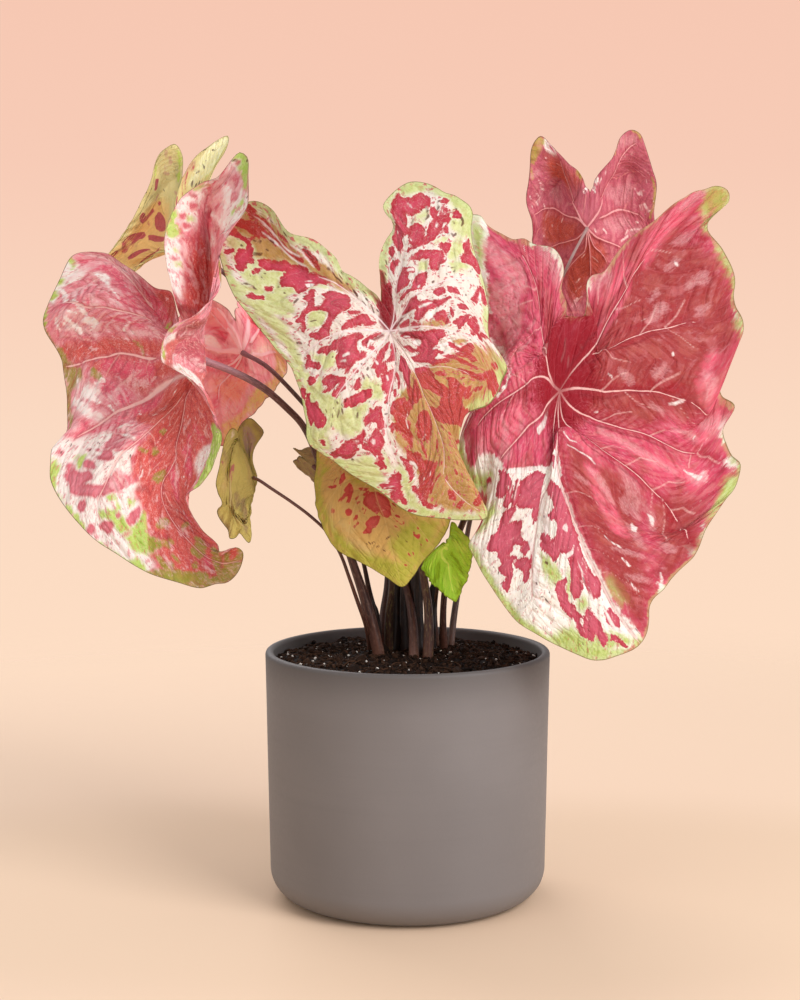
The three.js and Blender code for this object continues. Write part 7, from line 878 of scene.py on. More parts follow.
  (9,'s',[[-0.297,-0.049,0.41],[-0.362,-0.092,0.41],[-0.382,-0.119,0.41]]),
  (9,'s',[[-0.368,-0.010,0.41],[-0.403,-0.048,0.41],[-0.428,-0.083,0.41]]),
  (9,'s',[[-0.222,-0.003,0.41],[-0.238,-0.026,0.41],[-0.224,-0.045,0.41]]),
  (9,'s',[[-0.505,-0.034,0.41],[-0.526,-0.048,0.41],[-0.518,-0.082,0.41]]),
  (9,'s',[[-0.167,-0.353,0.49],[-0.123,-0.396,0.54],[-0.106,-0.434,0.43]]),
  (9,'s',[[-0.269,-0.483,0.59],[-0.246,-0.512,0.59],[-0.225,-0.544,0.48]]),
  (9,'s',[[-0.289,-0.505,0.54],[-0.305,-0.520,0.54],[-0.327,-0.533,0.43]]),
  (9,'s',[[-0.045,-0.277,0.54],[-0.063,-0.315,0.54],[-0.054,-0.348,0.43]]),
  (9,'s',[[-0.012,-0.307,0.43],[-0.030,-0.352,0.43],[-0.054,-0.387,0.41]]),
  (9,'s',[[0.048,-0.331,0.49],[0.037,-0.375,0.54],[0.051,-0.402,0.43]]),
  (9,'s',[[0.098,-0.401,0.65],[0.087,-0.436,0.65],[0.100,-0.453,0.49]]),
  (9,'s',[[0.100,-0.453,0.49],[0.088,-0.495,0.54],[0.091,-0.537,0.43]]),
  (9,'s',[[0.013,-0.461,0.49],[0.029,-0.494,0.54],[0.007,-0.525,0.49]]),
  (9,'s',[[0.179,-0.283,0.43],[0.146,-0.338,0.48],[0.110,-0.392,0.48],[0.089,-0.419,0.40]]),
  (9,'s',[[0.212,-0.343,0.64],[0.190,-0.379,0.75],[0.205,-0.404,0.53]]),
  (9,'s',[[0.117,-0.348,0.65],[0.129,-0.383,0.75]]),
  (9,'s',[[0.090,-0.554,0.43],[0.059,-0.578,0.54],[0.046,-0.606,0.54],[0.072,-0.625,0.40]]),
  (9,'s',[[0.011,-0.542,0.43],[0.010,-0.581,0.49],[0.023,-0.615,0.49],[0.059,-0.645,0.40]]),
  (9,'s',[[0.143,-0.605,0.43],[0.256,-0.649,0.43],[0.340,-0.692,0.40]]),
  (9,'s',[[0.064,-0.520,0.40],[0.037,-0.544,0.41],[0.014,-0.558,0.41]]),
  (9,'s',[[-0.037,-0.625,0.59],[-0.022,-0.669,0.65],[0.004,-0.720,0.59],[0.026,-0.765,0.53],[0.021,-0.797,0.43]]),
  (9,'s',[[0.007,-0.646,0.54],[0.041,-0.705,0.54],[0.091,-0.760,0.53],[0.196,-0.801,0.48]]),
  (9,'s',[[0.173,-0.819,0.84],[0.266,-0.859,0.94],[0.221,-0.882,0.83],[0.162,-0.897,0.52]]),
  (9,'s',[[-0.169,-0.607,0.43],[-0.179,-0.633,0.43],[-0.194,-0.644,0.40]]),
  (9,'s',[[-0.126,-0.486,0.40],[-0.111,-0.525,0.40],[-0.131,-0.555,0.40]]),
  (9,'s',[[-0.136,-0.100,0.43],[-0.164,-0.108,0.43],[-0.197,-0.136,0.41]]),
  (9,'s',[[-0.064,-0.503,0.41],[-0.101,-0.527,0.40],[-0.130,-0.548,0.40]]),
  (9,'s',[[-0.082,-0.581,0.40],[-0.106,-0.609,0.40],[-0.125,-0.636,0.40]]),
  (9,'s',[[0.259,0.486,0.60],[0.270,0.499,0.60],[0.296,0.510,0.59],[0.329,0.518,0.54],[0.348,0.520,0.43]]),
  (9,'s',[[0.254,0.507,0.49],[0.281,0.523,0.48],[0.308,0.541,0.48],[0.316,0.551,0.43]]),
  (9,'s',[[0.276,0.444,0.49],[0.321,0.471,0.49],[0.359,0.492,0.43]]),
  (9,'s',[[0.266,0.523,0.40],[0.310,0.525,0.40]]),
  (9,'s',[[0.259,0.505,0.41],[0.267,0.516,0.40]]),
  (9,'s',[[0.323,0.548,0.40],[0.344,0.549,0.40],[0.336,0.533,0.40]]),
  (9,'s',[[0.205,0.447,0.49],[0.177,0.428,0.54],[0.153,0.419,0.53]]),
  (9,'s',[[0.183,0.467,0.43],[0.198,0.457,0.43],[0.214,0.457,0.41]]),
  (9,'s',[[0.208,0.492,0.40],[0.234,0.490,0.43]]),
  (9,'s',[[0.142,0.352,0.40],[0.135,0.328,0.40],[0.128,0.309,0.40]]),
  (9,'s',[[0.137,0.303,0.49],[0.126,0.271,0.43],[0.118,0.235,0.41]]),
  (9,'s',[[0.138,0.318,0.43],[0.129,0.294,0.40]]),
  (9,'s',[[0.200,0.338,0.43],[0.300,0.388,0.43],[0.345,0.401,0.40]]),
  (9,'s',[[0.119,0.226,0.76],[0.113,0.202,0.65],[0.660,0.263,0.39]]),
  (9,'s',[[0.137,0.084,0.64],[0.253,0.072,0.63],[0.361,0.039,0.58],[0.498,0.050,0.42]]),
  (9,'s',[[0.160,0.077,0.48],[0.217,0.014,0.47],[0.329,-0.055,0.42],[0.423,-0.077,0.39]]),
  (9,'s',[[0.186,0.065,0.42],[0.277,-0.003,0.42],[0.387,-0.071,0.39]]),
  (9,'s',[[0.230,0.061,0.42],[0.321,-0.001,0.42],[0.454,-0.037,0.39]]),
  (9,'s',[[0.270,0.043,0.39],[0.382,-0.004,0.39],[0.509,0.003,0.39]]),
  (9,'s',[[0.137,0.060,0.43],[0.190,-0.007,0.42],[0.269,-0.066,0.39]]),
  (9,'s',[[0.189,0.094,0.48],[0.290,0.123,0.47],[0.462,0.227,0.42]]),
  (9,'s',[[0.272,0.068,0.42],[0.364,0.130,0.47],[0.515,0.226,0.42]]),
  (9,'s',[[0.333,0.061,0.39],[0.373,0.129,0.39],[0.471,0.193,0.39]]),
  (9,'s',[[0.171,0.108,0.40],[0.267,0.151,0.40],[0.444,0.257,0.39]]),
  (10,'s',[[0.229,0.115,0.47],[0.365,0.188,0.52],[0.480,0.242,0.42]]),
  (10,'s',[[0.347,0.085,0.52],[0.409,0.141,0.63],[0.484,0.204,0.42]]),
  (10,'s',[[0.164,0.042,0.53],[0.221,-0.018,0.53],[0.299,-0.067,0.42]]),
  (10,'s',[[0.220,0.029,0.42],[0.306,-0.033,0.42],[0.381,-0.078,0.31]]),
  (10,'s',[[0.279,0.018,0.37],[0.374,-0.036,0.42],[0.484,-0.032,0.31]]),
  (10,'s',[[0.464,0.126,1.04],[0.404,0.087,0.84]]),
  (2,'p',[[-0.582,0.140],[-0.547,0.092],[-0.474,0.017],[-0.439,0.031],[-0.363,0.046],[-0.275,0.051],[-0.190,0.044],[0.556,0.106],[0.526,0.057],[0.581,0.033],[-0.212,-0.003],[-0.297,-0.002],[-0.368,-0.010],[-0.424,-0.031],[-0.488,-0.035],[-0.533,-0.021],[-0.615,0.081],[-0.629,0.163],[-0.605,0.159]]),
  (2,'p',[[-0.158,0.331],[-0.088,0.322],[-0.068,0.287],[0.042,0.201],[0.037,0.177],[-0.041,0.173],[0.583,0.166],[-0.136,0.195],[-0.176,0.268],[-0.200,0.312]]),
  (2,'p',[[-0.205,-0.086],[-0.142,-0.064],[-0.086,-0.055],[0.307,-0.129],[0.240,-0.152],[0.367,-0.227],[0.558,-0.260],[0.253,-0.345],[0.275,-0.407],[0.191,-0.439],[0.162,-0.480],[0.169,-0.527],[0.302,-0.574],[0.347,-0.625],[0.301,-0.679],[0.297,-0.729],[0.242,-0.789],[0.249,-0.849],[0.182,-0.886],[0.135,-0.927],[0.075,-0.982],[0.020,-0.994],[-0.019,-0.978],[-0.048,-0.945],[-0.087,-0.944],[-0.146,-0.908],[-0.181,-0.848],[-0.217,-0.805],[-0.243,-0.768],[-0.246,-0.734],[-0.188,-0.745],[-0.167,-0.732],[-0.200,-0.704],[-0.192,-0.681],[-0.168,-0.656],[-0.176,-0.628],[-0.181,-0.599],[-0.191,-0.577],[-0.159,-0.560],[-0.183,-0.534],[-0.191,-0.486],[-0.190,-0.442],[-0.165,-0.387],[-0.157,-0.314],[-0.232,-0.235],[-0.274,-0.165],[-0.251,-0.119]]),
  (2,'p',[[0.164,0.359],[0.189,0.378],[0.206,0.368],[0.306,0.413],[0.479,0.428],[0.421,0.401],[0.163,0.239],[0.647,0.270],[0.609,0.234],[0.036,0.166],[0.067,0.196],[0.082,0.224],[0.104,0.265],[0.128,0.300],[0.149,0.332]]),
  (2,'p',[[-0.505,-0.034],[-0.454,-0.034],[-0.368,-0.013],[-0.282,-0.002],[-0.221,-0.008],[0.619,0.043],[0.653,-0.004],[-0.133,-0.044],[-0.209,-0.068],[-0.246,-0.091],[-0.312,-0.080],[-0.401,-0.080],[-0.477,-0.069]]),
  (0,'p',[[-0.544,-0.219],[-0.501,-0.255],[-0.473,-0.257],[-0.426,-0.264],[-0.379,-0.260],[-0.352,-0.282],[-0.348,-0.313],[-0.364,-0.332],[-0.371,-0.345],[-0.313,-0.377],[-0.267,-0.413],[-0.224,-0.420],[-0.201,-0.416],[-0.195,-0.452],[-0.201,-0.476],[-0.192,-0.505],[-0.203,-0.515],[-0.232,-0.498],[-0.253,-0.483],[-0.266,-0.497],[-0.286,-0.497],[-0.305,-0.508],[-0.296,-0.536],[-0.264,-0.551],[-0.227,-0.552],[-0.184,-0.549],[-0.153,-0.549],[-0.161,-0.569],[-0.190,-0.575],[-0.189,-0.596],[-0.170,-0.609],[-0.181,-0.635],[-0.167,-0.647],[-0.176,-0.665],[-0.197,-0.684],[-0.200,-0.704],[-0.178,-0.729],[-0.164,-0.749],[-0.203,-0.745],[-0.237,-0.734],[-0.242,-0.759],[-0.291,-0.761],[-0.339,-0.734],[-0.367,-0.687],[-0.398,-0.631],[-0.441,-0.566],[-0.469,-0.515],[-0.495,-0.453],[-0.525,-0.397],[-0.548,-0.346],[-0.568,-0.287],[-0.572,-0.247],[-0.613,-0.167]]),
  (0,'p',[[-0.334,0.629],[-0.317,0.605],[-0.364,0.579],[-0.404,0.547],[-0.405,0.516],[-0.441,0.482],[-0.468,0.487],[-0.494,0.495],[-0.519,0.448],[-0.539,0.401],[-0.549,0.451],[-0.532,0.508],[-0.476,0.566],[-0.435,0.586],[-0.376,0.618]]),
  (0,'s',[[-0.400,0.482,1.10],[-0.389,0.451,2.19],[-0.372,0.408,1.37]]),
  (0,'s',[[-0.487,0.136,1.65],[-0.467,0.118,2.20],[-0.448,0.110,1.65]]),
  (0,'s',[[-0.507,-0.103,2.20],[-0.465,-0.121,2.20]]),
  (0,'p',[[-0.508,-0.162],[-0.483,-0.169],[-0.450,-0.193],[-0.411,-0.212],[-0.428,-0.228],[-0.470,-0.215],[-0.494,-0.189]]),
  (0,'s',[[-0.398,-0.235,1.09],[-0.365,-0.216,1.63],[-0.333,-0.201,1.08]]),
  (0,'s',[[-0.326,-0.249,0.81],[-0.292,-0.228,1.19],[-0.265,-0.242,0.86]]),
  (0,'s',[[-0.302,-0.296,0.76],[-0.255,-0.339,1.08],[-0.219,-0.382,0.86]]),
  (0,'s',[[-0.179,-0.193,1.35],[-0.137,-0.209,1.30],[-0.104,-0.208,0.87]]),
  (0,'s',[[-0.206,-0.081,0.81],[-0.179,-0.070,1.19],[-0.150,-0.064,1.30],[-0.116,-0.054,1.08],[0.650,-0.028,0.73]]),
  (0,'p',[[0.191,-0.439],[0.269,-0.421],[0.332,-0.453],[0.297,-0.491],[0.308,-0.535],[0.320,-0.572],[0.357,-0.618],[0.208,-0.613],[0.207,-0.569],[0.186,-0.535],[0.159,-0.502],[0.169,-0.463]]),
  (0,'p',[[0.103,0.365],[0.115,0.356],[0.137,0.364],[0.130,0.338],[0.125,0.312],[0.103,0.271],[0.092,0.236],[0.077,0.203],[0.052,0.194],[0.045,0.220],[0.044,0.253],[0.066,0.292],[0.080,0.327]]),
  (0,'p',[[0.147,0.436],[0.164,0.463],[0.187,0.482],[0.216,0.504],[0.232,0.492],[0.214,0.457],[0.197,0.427],[0.178,0.394],[0.163,0.376],[0.148,0.371],[0.147,0.393],[0.139,0.409]]),
  (0,'p',[[0.334,0.515],[0.369,0.540],[0.394,0.570],[0.403,0.589],[0.459,0.577],[0.494,0.552],[0.418,0.512],[0.544,0.504],[0.326,0.480],[0.330,0.499]]),
  (0,'p',[[0.258,0.569],[0.297,0.577],[0.318,0.576],[0.317,0.565],[0.294,0.562]]),
  (0,'p',[[0.344,0.549],[0.365,0.572],[0.396,0.580],[0.378,0.555]]),
  (0,'s',[[0.244,0.547,0.64],[0.277,0.556,0.86],[0.307,0.561,0.53]]),
  (0,'p',[[0.577,0.094],[0.565,0.127],[0.546,0.149],[0.503,0.156],[0.443,0.096],[0.472,0.061],[0.519,0.026],[0.565,0.012],[0.648,0.069]]),
  (0,'s',[[0.200,0.338,0.54],[0.321,0.449,1.08],[0.285,0.446,0.76]]),
  (0,'s',[[0.581,0.230,0.52],[0.545,0.253,1.04],[0.593,0.276,1.25],[0.660,0.297,0.84]]),
  (7,'s',[[-0.457,0.522,2.76],[-0.430,0.516,2.75],[-0.389,0.541,2.20]]),
  (7,'s',[[-0.514,0.409,2.20],[-0.480,0.405,2.75],[-0.452,0.402,2.20]]),
  (7,'s',[[-0.431,0.301,1.64],[-0.424,0.209,2.19],[-0.448,0.199,1.64]]),
  (7,'s',[[-0.546,0.263,2.20],[-0.513,0.212,2.75],[-0.494,0.153,2.75],[-0.454,0.086,2.75]]),
  (7,'s',[[-0.558,0.202,2.21],[-0.519,0.113,2.76],[-0.461,0.051,2.20]]),
  (7,'s',[[-0.366,0.249,1.64],[-0.338,0.223,1.63]]),
  (7,'s',[[-0.393,0.385,1.64],[-0.366,0.329,1.64]]),
  (7,'s',[[-0.326,0.063,1.64],[-0.283,0.069,2.18],[-0.229,0.072,1.63]]),
  (7,'s',[[-0.226,0.104,1.63],[-0.191,0.071,1.63]]),
  (7,'s',[[-0.352,0.330,1.09],[-0.329,0.292,1.09]]),
  (7,'s',[[-0.292,0.566,2.20],[-0.271,0.529,2.20],[-0.272,0.503,1.65]]),
  (7,'s',[[-0.197,0.486,1.65],[-0.209,0.447,1.65],[-0.218,0.402,1.10]]),
  (7,'s',[[-0.557,-0.057,2.21],[-0.496,-0.114,3.30],[-0.448,-0.144,2.19]]),
  (7,'s',[[-0.578,-0.074,2.21],[-0.518,-0.135,2.20]]),
  (7,'s',[[-0.573,-0.111,1.65],[-0.521,-0.150,2.20],[-0.452,-0.203,2.74],[-0.413,-0.220,2.18]]),
  (7,'s',[[-0.534,-0.183,1.10],[-0.503,-0.227,1.09]]),
  (7,'s',[[-0.293,-0.073,1.63],[-0.232,-0.055,1.63]]),
  (7,'s',[[-0.368,-0.115,1.64],[-0.403,-0.141,1.64]]),
  (7,'s',[[-0.306,-0.251,2.16],[-0.244,-0.314,2.16]]),
  (7,'s',[[-0.470,-0.343,1.08],[-0.476,-0.345,1.08]]),
  (7,'s',[[0.026,-0.502,1.08],[0.053,-0.553,1.62],[0.046,-0.602,1.62]]),
  (7,'s',[[0.070,-0.331,1.08],[0.049,-0.367,1.08]]),
  (7,'s',[[-0.297,-0.049,1.09],[-0.324,-0.076,1.09]]),
  (7,'s',[[0.243,0.521,1.61],[0.276,0.540,1.61],[0.301,0.549,1.07]]),
  (7,'s',[[0.286,0.496,2.16],[0.318,0.508,2.15],[0.324,0.521,1.07]]),
  (7,'s',[[0.305,0.474,2.16],[0.324,0.493,2.69],[0.353,0.513,2.14]]),
  (7,'s',[[0.294,0.524,1.08],[0.330,0.541,1.07]]),
  (7,'s',[[0.222,0.388,1.63],[0.213,0.358,1.63]]),
  (7,'s',[[0.138,0.340,1.07],[0.137,0.316,1.08]]),
  (7,'s',[[0.122,0.281,1.08],[0.114,0.245,1.08]]),
  (7,'s',[[0.205,-0.065,1.58],[0.017,-0.052,2.13],[0.117,-0.120,1.60]]),
  (7,'s',[[0.241,-0.054,1.05],[0.169,-0.034,1.06]]),
  (7,'s',[[0.616,0.180,1.56],[0.564,0.199,1.56]]),
  (11,'s',[[-0.336,0.582,3.31],[-0.352,0.525,4.40],[-0.339,0.415,3.83]]),
  (11,'s',[[-0.337,0.259,2.72],[-0.290,0.252,3.27],[-0.233,0.175,2.17]]),
  (11,'s',[[-0.252,0.357,3.28],[-0.203,0.251,2.73]]),
  (11,'s',[[-0.380,0.126,2.18],[-0.323,0.139,2.72],[-0.270,0.108,2.18]]),
  (11,'s',[[-0.516,0.330,1.65],[-0.477,0.228,2.19],[-0.422,0.223,1.64]]),
  (11,'s',[[-0.435,-0.105,2.20],[-0.375,-0.129,3.28],[-0.315,-0.122,2.72]]),
  (11,'s',[[-0.267,-0.150,2.71],[-0.210,-0.118,3.25],[-0.167,-0.086,2.71]]),
  (11,'s',[[-0.504,-0.238,1.09],[-0.430,-0.263,1.36],[-0.367,-0.241,1.63],[-0.321,-0.188,1.63]]),
  (11,'s',[[0.011,-0.542,2.70],[0.046,-0.606,3.78],[0.052,-0.662,2.69]]),
  (11,'s',[[0.076,-0.462,2.16],[0.125,-0.512,2.69],[0.166,-0.570,2.15]]),
  (11,'s',[[0.072,-0.738,1.07],[0.151,-0.803,1.59],[0.194,-0.862,1.57]]),
  (11,'s',[[0.226,0.530,3.22],[0.303,0.530,4.30],[0.280,0.505,2.70]]),
  (11,'s',[[0.259,0.486,1.63],[0.291,0.476,2.71],[0.266,0.442,2.17]]),
  (11,'s',[[0.089,0.040,2.67],[0.233,-0.042,2.11]]),
  (11,'s',[[0.353,0.239,2.10],[0.345,0.310,2.11]]),
  (3,'p',[[-0.503,-0.320],[-0.487,-0.325],[-0.467,-0.342],[-0.459,-0.360],[-0.431,-0.385],[-0.395,-0.399],[-0.365,-0.438],[-0.360,-0.454],[-0.395,-0.436],[-0.416,-0.427],[-0.349,-0.477],[-0.305,-0.505],[-0.286,-0.494],[-0.270,-0.498],[-0.269,-0.483],[-0.249,-0.489],[-0.235,-0.510],[-0.219,-0.531],[-0.226,-0.549],[-0.252,-0.554],[-0.273,-0.542],[-0.293,-0.540],[-0.318,-0.536],[-0.342,-0.523],[-0.393,-0.481],[-0.436,-0.450],[-0.473,-0.419],[-0.476,-0.404],[-0.480,-0.385],[-0.499,-0.356],[-0.504,-0.343],[-0.491,-0.346]]),
  (3,'p',[[-0.435,-0.349],[-0.408,-0.360],[-0.380,-0.382],[-0.359,-0.416],[-0.373,-0.413],[-0.407,-0.389],[-0.427,-0.374]]),
  (3,'p',[[-0.385,-0.369],[-0.355,-0.372],[-0.356,-0.352],[-0.313,-0.377],[-0.296,-0.409],[-0.277,-0.435],[-0.307,-0.428],[-0.349,-0.398]]),
  (3,'p',[[-0.369,-0.322],[-0.352,-0.302],[-0.349,-0.277],[-0.312,-0.292],[-0.265,-0.345],[-0.260,-0.382],[-0.273,-0.397],[-0.313,-0.377],[-0.347,-0.353]]),
  (3,'p',[[-0.398,-0.329],[-0.373,-0.340],[-0.367,-0.354],[-0.392,-0.342]]),
  (3,'p',[[-0.443,-0.310],[-0.417,-0.321],[-0.418,-0.327],[-0.440,-0.317]]),
  (3,'p',[[-0.558,-0.250],[-0.548,-0.247],[-0.528,-0.265],[-0.517,-0.281],[-0.527,-0.281],[-0.545,-0.263]]),
  (3,'p',[[-0.438,-0.460],[-0.407,-0.480],[-0.405,-0.495],[-0.424,-0.500],[-0.449,-0.485],[-0.457,-0.466]]),
  (3,'p',[[-0.287,-0.595],[-0.272,-0.597],[-0.271,-0.608],[-0.284,-0.609],[-0.294,-0.602]]),
  (3,'p',[[-0.260,-0.624],[-0.234,-0.620],[-0.201,-0.618],[-0.181,-0.620],[-0.187,-0.636],[-0.205,-0.645],[-0.230,-0.647],[-0.254,-0.646],[-0.265,-0.635]]),
  (3,'p',[[-0.381,-0.566],[-0.346,-0.580],[-0.319,-0.596],[-0.312,-0.611],[-0.328,-0.612],[-0.338,-0.616],[-0.363,-0.606],[-0.369,-0.590],[-0.386,-0.573]]),
  (3,'p',[[-0.446,-0.533],[-0.418,-0.537],[-0.400,-0.552],[-0.402,-0.565],[-0.430,-0.558],[-0.445,-0.545]]),
  (3,'s',[[-0.307,-0.645,0.53],[-0.286,-0.651,0.75],[-0.264,-0.655,0.48]]),
  (3,'p',[[-0.208,-0.452],[-0.198,-0.444],[-0.176,-0.461],[-0.178,-0.485],[-0.194,-0.488],[-0.206,-0.471]]),
  (3,'s',[[-0.419,-0.573,0.64],[-0.402,-0.580,0.53]]),
  (3,'p',[[0.144,0.412],[0.160,0.418],[0.166,0.411],[0.153,0.398],[0.143,0.396]]),
  (3,'p',[[0.174,0.441],[0.191,0.456],[0.209,0.457],[0.200,0.440],[0.177,0.426]]),
  (3,'p',[[0.142,0.389],[0.160,0.396],[0.172,0.392],[0.161,0.383],[0.147,0.381]]),
  (3,'s',[[0.176,0.470,0.86],[0.196,0.468,0.86]]),
  (3,'s',[[0.210,0.496,0.54],[0.228,0.494,0.54]]),
  (3,'p',[[0.122,0.347],[0.146,0.361],[0.158,0.357],[0.151,0.337],[0.133,0.327],[0.129,0.340]]),
  (3,'s',[[0.088,0.302,0.48],[0.096,0.302,0.53]]),
  (3,'s',[[0.101,0.303,0.48],[0.106,0.304,0.48]]),
  (3,'s',[[0.092,0.266,0.59],[0.095,0.265,0.54]]),
  (3,'s',[[0.125,0.321,0.54],[0.122,0.312,0.48]]),
  (3,'p',[[0.120,0.298],[0.136,0.305],[0.134,0.293],[0.117,0.277],[0.111,0.282]]),
  (3,'s',[[0.061,0.271,0.42],[0.077,0.267,0.48]]),
  (3,'p',[[0.255,0.571],[0.271,0.575],[0.282,0.567],[0.305,0.566],[0.324,0.565],[0.342,0.569],[0.341,0.558],[0.323,0.548],[0.297,0.544],[0.264,0.538],[0.246,0.531],[0.235,0.540],[0.275,0.549],[0.308,0.556],[0.313,0.564],[0.293,0.563]]),
  (3,'p',[[0.330,0.555],[0.340,0.565],[0.348,0.559],[0.341,0.547],[0.326,0.542]]),
  (3,'s',[[0.301,0.573,0.43],[0.312,0.580,0.43]]),
  (3,'s',[[0.245,0.524,0.75],[0.257,0.541,0.86],[0.289,0.549,0.54]]),
  (5,'p',[[0.251,0.473],[0.273,0.487],[0.287,0.483],[0.287,0.473],[0.270,0.463],[0.253,0.464]]),
  (5,'s',[[0.238,0.493,0.32],[0.247,0.480,0.81],[0.235,0.448,1.30],[0.204,0.398,1.41],[0.187,0.359,1.30],[0.172,0.320,0.87],[0.149,0.286,0.43]]),
  (5,'s',[[-0.010,-0.188,0.59],[0.013,-0.282,0.70],[0.006,-0.351,0.76],[0.002,-0.426,0.81],[0.012,-0.456,0.54]]),
  (5,'s',[[0.016,-0.469,0.32],[-0.025,-0.546,0.49],[-0.045,-0.604,0.54],[-0.041,-0.651,0.59],[-0.027,-0.696,0.43]]),
  (5,'s',[[0.034,0.194,0.80],[0.007,0.168,1.07],[0.616,0.180,1.25]]),
  (5,'s',[[-0.377,-0.023,0.38],[-0.399,-0.050,0.49],[-0.424,-0.072,0.33]]),
  (5,'s',[[-0.331,-0.013,0.38],[-0.344,-0.037,0.49],[-0.366,-0.061,0.33]]),
  (5,'s',[[-0.302,-0.008,0.38],[-0.294,-0.034,0.44]]),
  (5,'s',[[-0.507,0.362,0.66],[-0.483,0.233,0.88],[-0.440,0.242,0.55]]),
  (5,'s',[[-0.412,0.336,0.55],[-0.380,0.311,0.76],[-0.337,0.289,0.55]]),
  (5,'s',[[-0.422,0.450,0.44],[-0.406,0.373,0.55]]),
  (5,'s',[[0.102,0.264,0.43],[0.109,0.255,0.75],[0.115,0.247,0.54]]),
  (5,'s',[[0.044,-0.181,0.43],[0.069,-0.240,0.59],[0.063,-0.295,0.43]]),
  (5,'s',[[0.063,-0.611,0.75],[0.078,-0.647,0.86],[0.048,-0.671,0.54]]),
  (5,'s',[[-0.141,-0.402,1.08],[-0.104,-0.443,1.08]]),
  (5,'s',[[-0.176,-0.573,1.08],[-0.135,-0.580,1.62],[-0.121,-0.604,1.08]]),
  (5,'s',[[-0.265,-0.358,0.27],[-0.239,-0.334,0.32],[-0.276,-0.294,0.27]]),
  (5,'s',[[-0.294,-0.321,0.27],[-0.250,-0.356,0.38],[-0.220,-0.392,0.22]]),
  (5,'s',[[0.227,-0.411,0.53],[0.232,-0.351,0.64],[0.196,-0.292,0.53],[0.420,-0.252,0.32]]),
  (5,'s',[[-0.181,-0.699,0.53],[-0.143,-0.736,0.64],[-0.111,-0.758,0.53]]),
  (5,'s',[[-0.305,-0.166,1.30],[-0.322,-0.183,1.08]]),
  (5,'s',[[-0.418,-0.336,0.27],[-0.336,-0.399,0.65],[-0.282,-0.432,0.43]]),
  (5,'s',[[0.167,-0.893,0.36],[-0.000,-0.930,0.52],[-0.070,-0.939,0.42]]),
  (1,'p',[[-0.343,0.625],[-0.325,0.612],[-0.357,0.592],[-0.387,0.570],[-0.412,0.565],[-0.375,0.598],[-0.372,0.613]]),
  (1,'p',[[-0.485,0.546],[-0.456,0.564],[-0.463,0.535],[-0.485,0.516],[-0.495,0.527]]),
  (1,'p',[[-0.529,0.500],[-0.509,0.503],[-0.519,0.448],[-0.536,0.441],[-0.541,0.468]]),
  (1,'p',[[-0.476,-0.316],[-0.441,-0.331],[-0.437,-0.353],[-0.436,-0.368],[-0.452,-0.362],[-0.460,-0.343]]),
  (1,'p',[[-0.565,-0.266],[-0.548,-0.271],[-0.516,-0.324],[-0.522,-0.346],[-0.525,-0.365],[-0.506,-0.404],[-0.521,-0.399],[-0.544,-0.346],[-0.561,-0.297]]),
  (1,'p',[[-0.496,-0.430],[-0.476,-0.452],[-0.459,-0.483],[-0.444,-0.516],[-0.442,-0.536],[-0.463,-0.522],[-0.479,-0.489],[-0.495,-0.453]]),
  (1,'p',[[-0.298,-0.541],[-0.271,-0.548],[-0.261,-0.566],[-0.284,-0.567],[-0.299,-0.554]]),
  (1,'p',[[-0.348,-0.555],[-0.316,-0.569],[-0.289,-0.586],[-0.265,-0.581],[-0.260,-0.594],[-0.292,-0.600],[-0.328,-0.588],[-0.359,-0.566]]),
  (1,'p',[[-0.219,-0.581],[-0.194,-0.597],[-0.209,-0.614],[-0.231,-0.602]]),
  (1,'p',[[-0.257,-0.610],[-0.242,-0.611],[-0.263,-0.628],[-0.260,-0.646],[-0.228,-0.651],[-0.194,-0.644],[-0.173,-0.632],[-0.161,-0.647],[-0.184,-0.673],[-0.201,-0.688],[-0.199,-0.708],[-0.180,-0.730],[-0.165,-0.745],[-0.203,-0.745],[-0.235,-0.732],[-0.249,-0.718],[-0.276,-0.702],[-0.303,-0.680],[-0.299,-0.669],[-0.258,-0.675],[-0.233,-0.666],[-0.260,-0.657],[-0.289,-0.639],[-0.283,-0.624]]),
  (1,'p',[[-0.331,-0.701],[-0.303,-0.708],[-0.289,-0.728],[-0.293,-0.754],[-0.324,-0.734],[-0.335,-0.712]]),
  (1,'s',[[-0.425,-0.577,0.53],[-0.396,-0.621,0.85],[-0.367,-0.672,0.74],[-0.343,-0.707,0.53]]),
  (1,'s',[[-0.558,0.439,0.83],[-0.582,0.346,1.22],[-0.602,0.292,0.83]]),
  (1,'p',[[0.118,0.432],[0.130,0.433],[0.135,0.419],[0.148,0.406],[0.139,0.386],[0.142,0.374],[0.136,0.361],[0.119,0.351],[0.105,0.355],[0.105,0.375],[0.118,0.394]]),
  (1,'p',[[0.163,0.410],[0.177,0.417],[0.176,0.406],[0.162,0.397]]),
  (1,'p',[[0.096,0.293],[0.106,0.295],[0.101,0.285],[0.090,0.283]]),
  (1,'s',[[0.112,0.323,0.53],[0.114,0.319,0.53]]),
  (1,'p',[[0.287,0.586],[0.309,0.598],[0.330,0.606],[0.358,0.606],[0.403,0.589],[0.374,0.575],[0.344,0.568],[0.327,0.571],[0.309,0.574],[0.283,0.576]]),
  (1,'s',[[0.396,0.580,0.74],[0.408,0.556,0.74],[0.388,0.526,0.53]]),
  (1,'s',[[0.178,0.479,0.32],[0.211,0.504,0.86],[0.238,0.527,0.54]]),
  (1,'p',[[0.253,-0.328],[0.329,-0.338],[0.532,-0.361],[0.537,-0.394],[0.518,-0.437],[0.494,-0.480],[0.458,-0.523],[0.428,-0.568],[0.400,-0.612],[0.379,-0.627],[0.349,-0.583],[0.342,-0.540],[0.333,-0.496],[0.311,-0.455],[0.275,-0.407]]),
  (1,'p',[[0.577,0.086],[0.560,0.111],[0.658,0.143],[0.524,0.066],[0.556,0.027],[0.583,0.060]]),
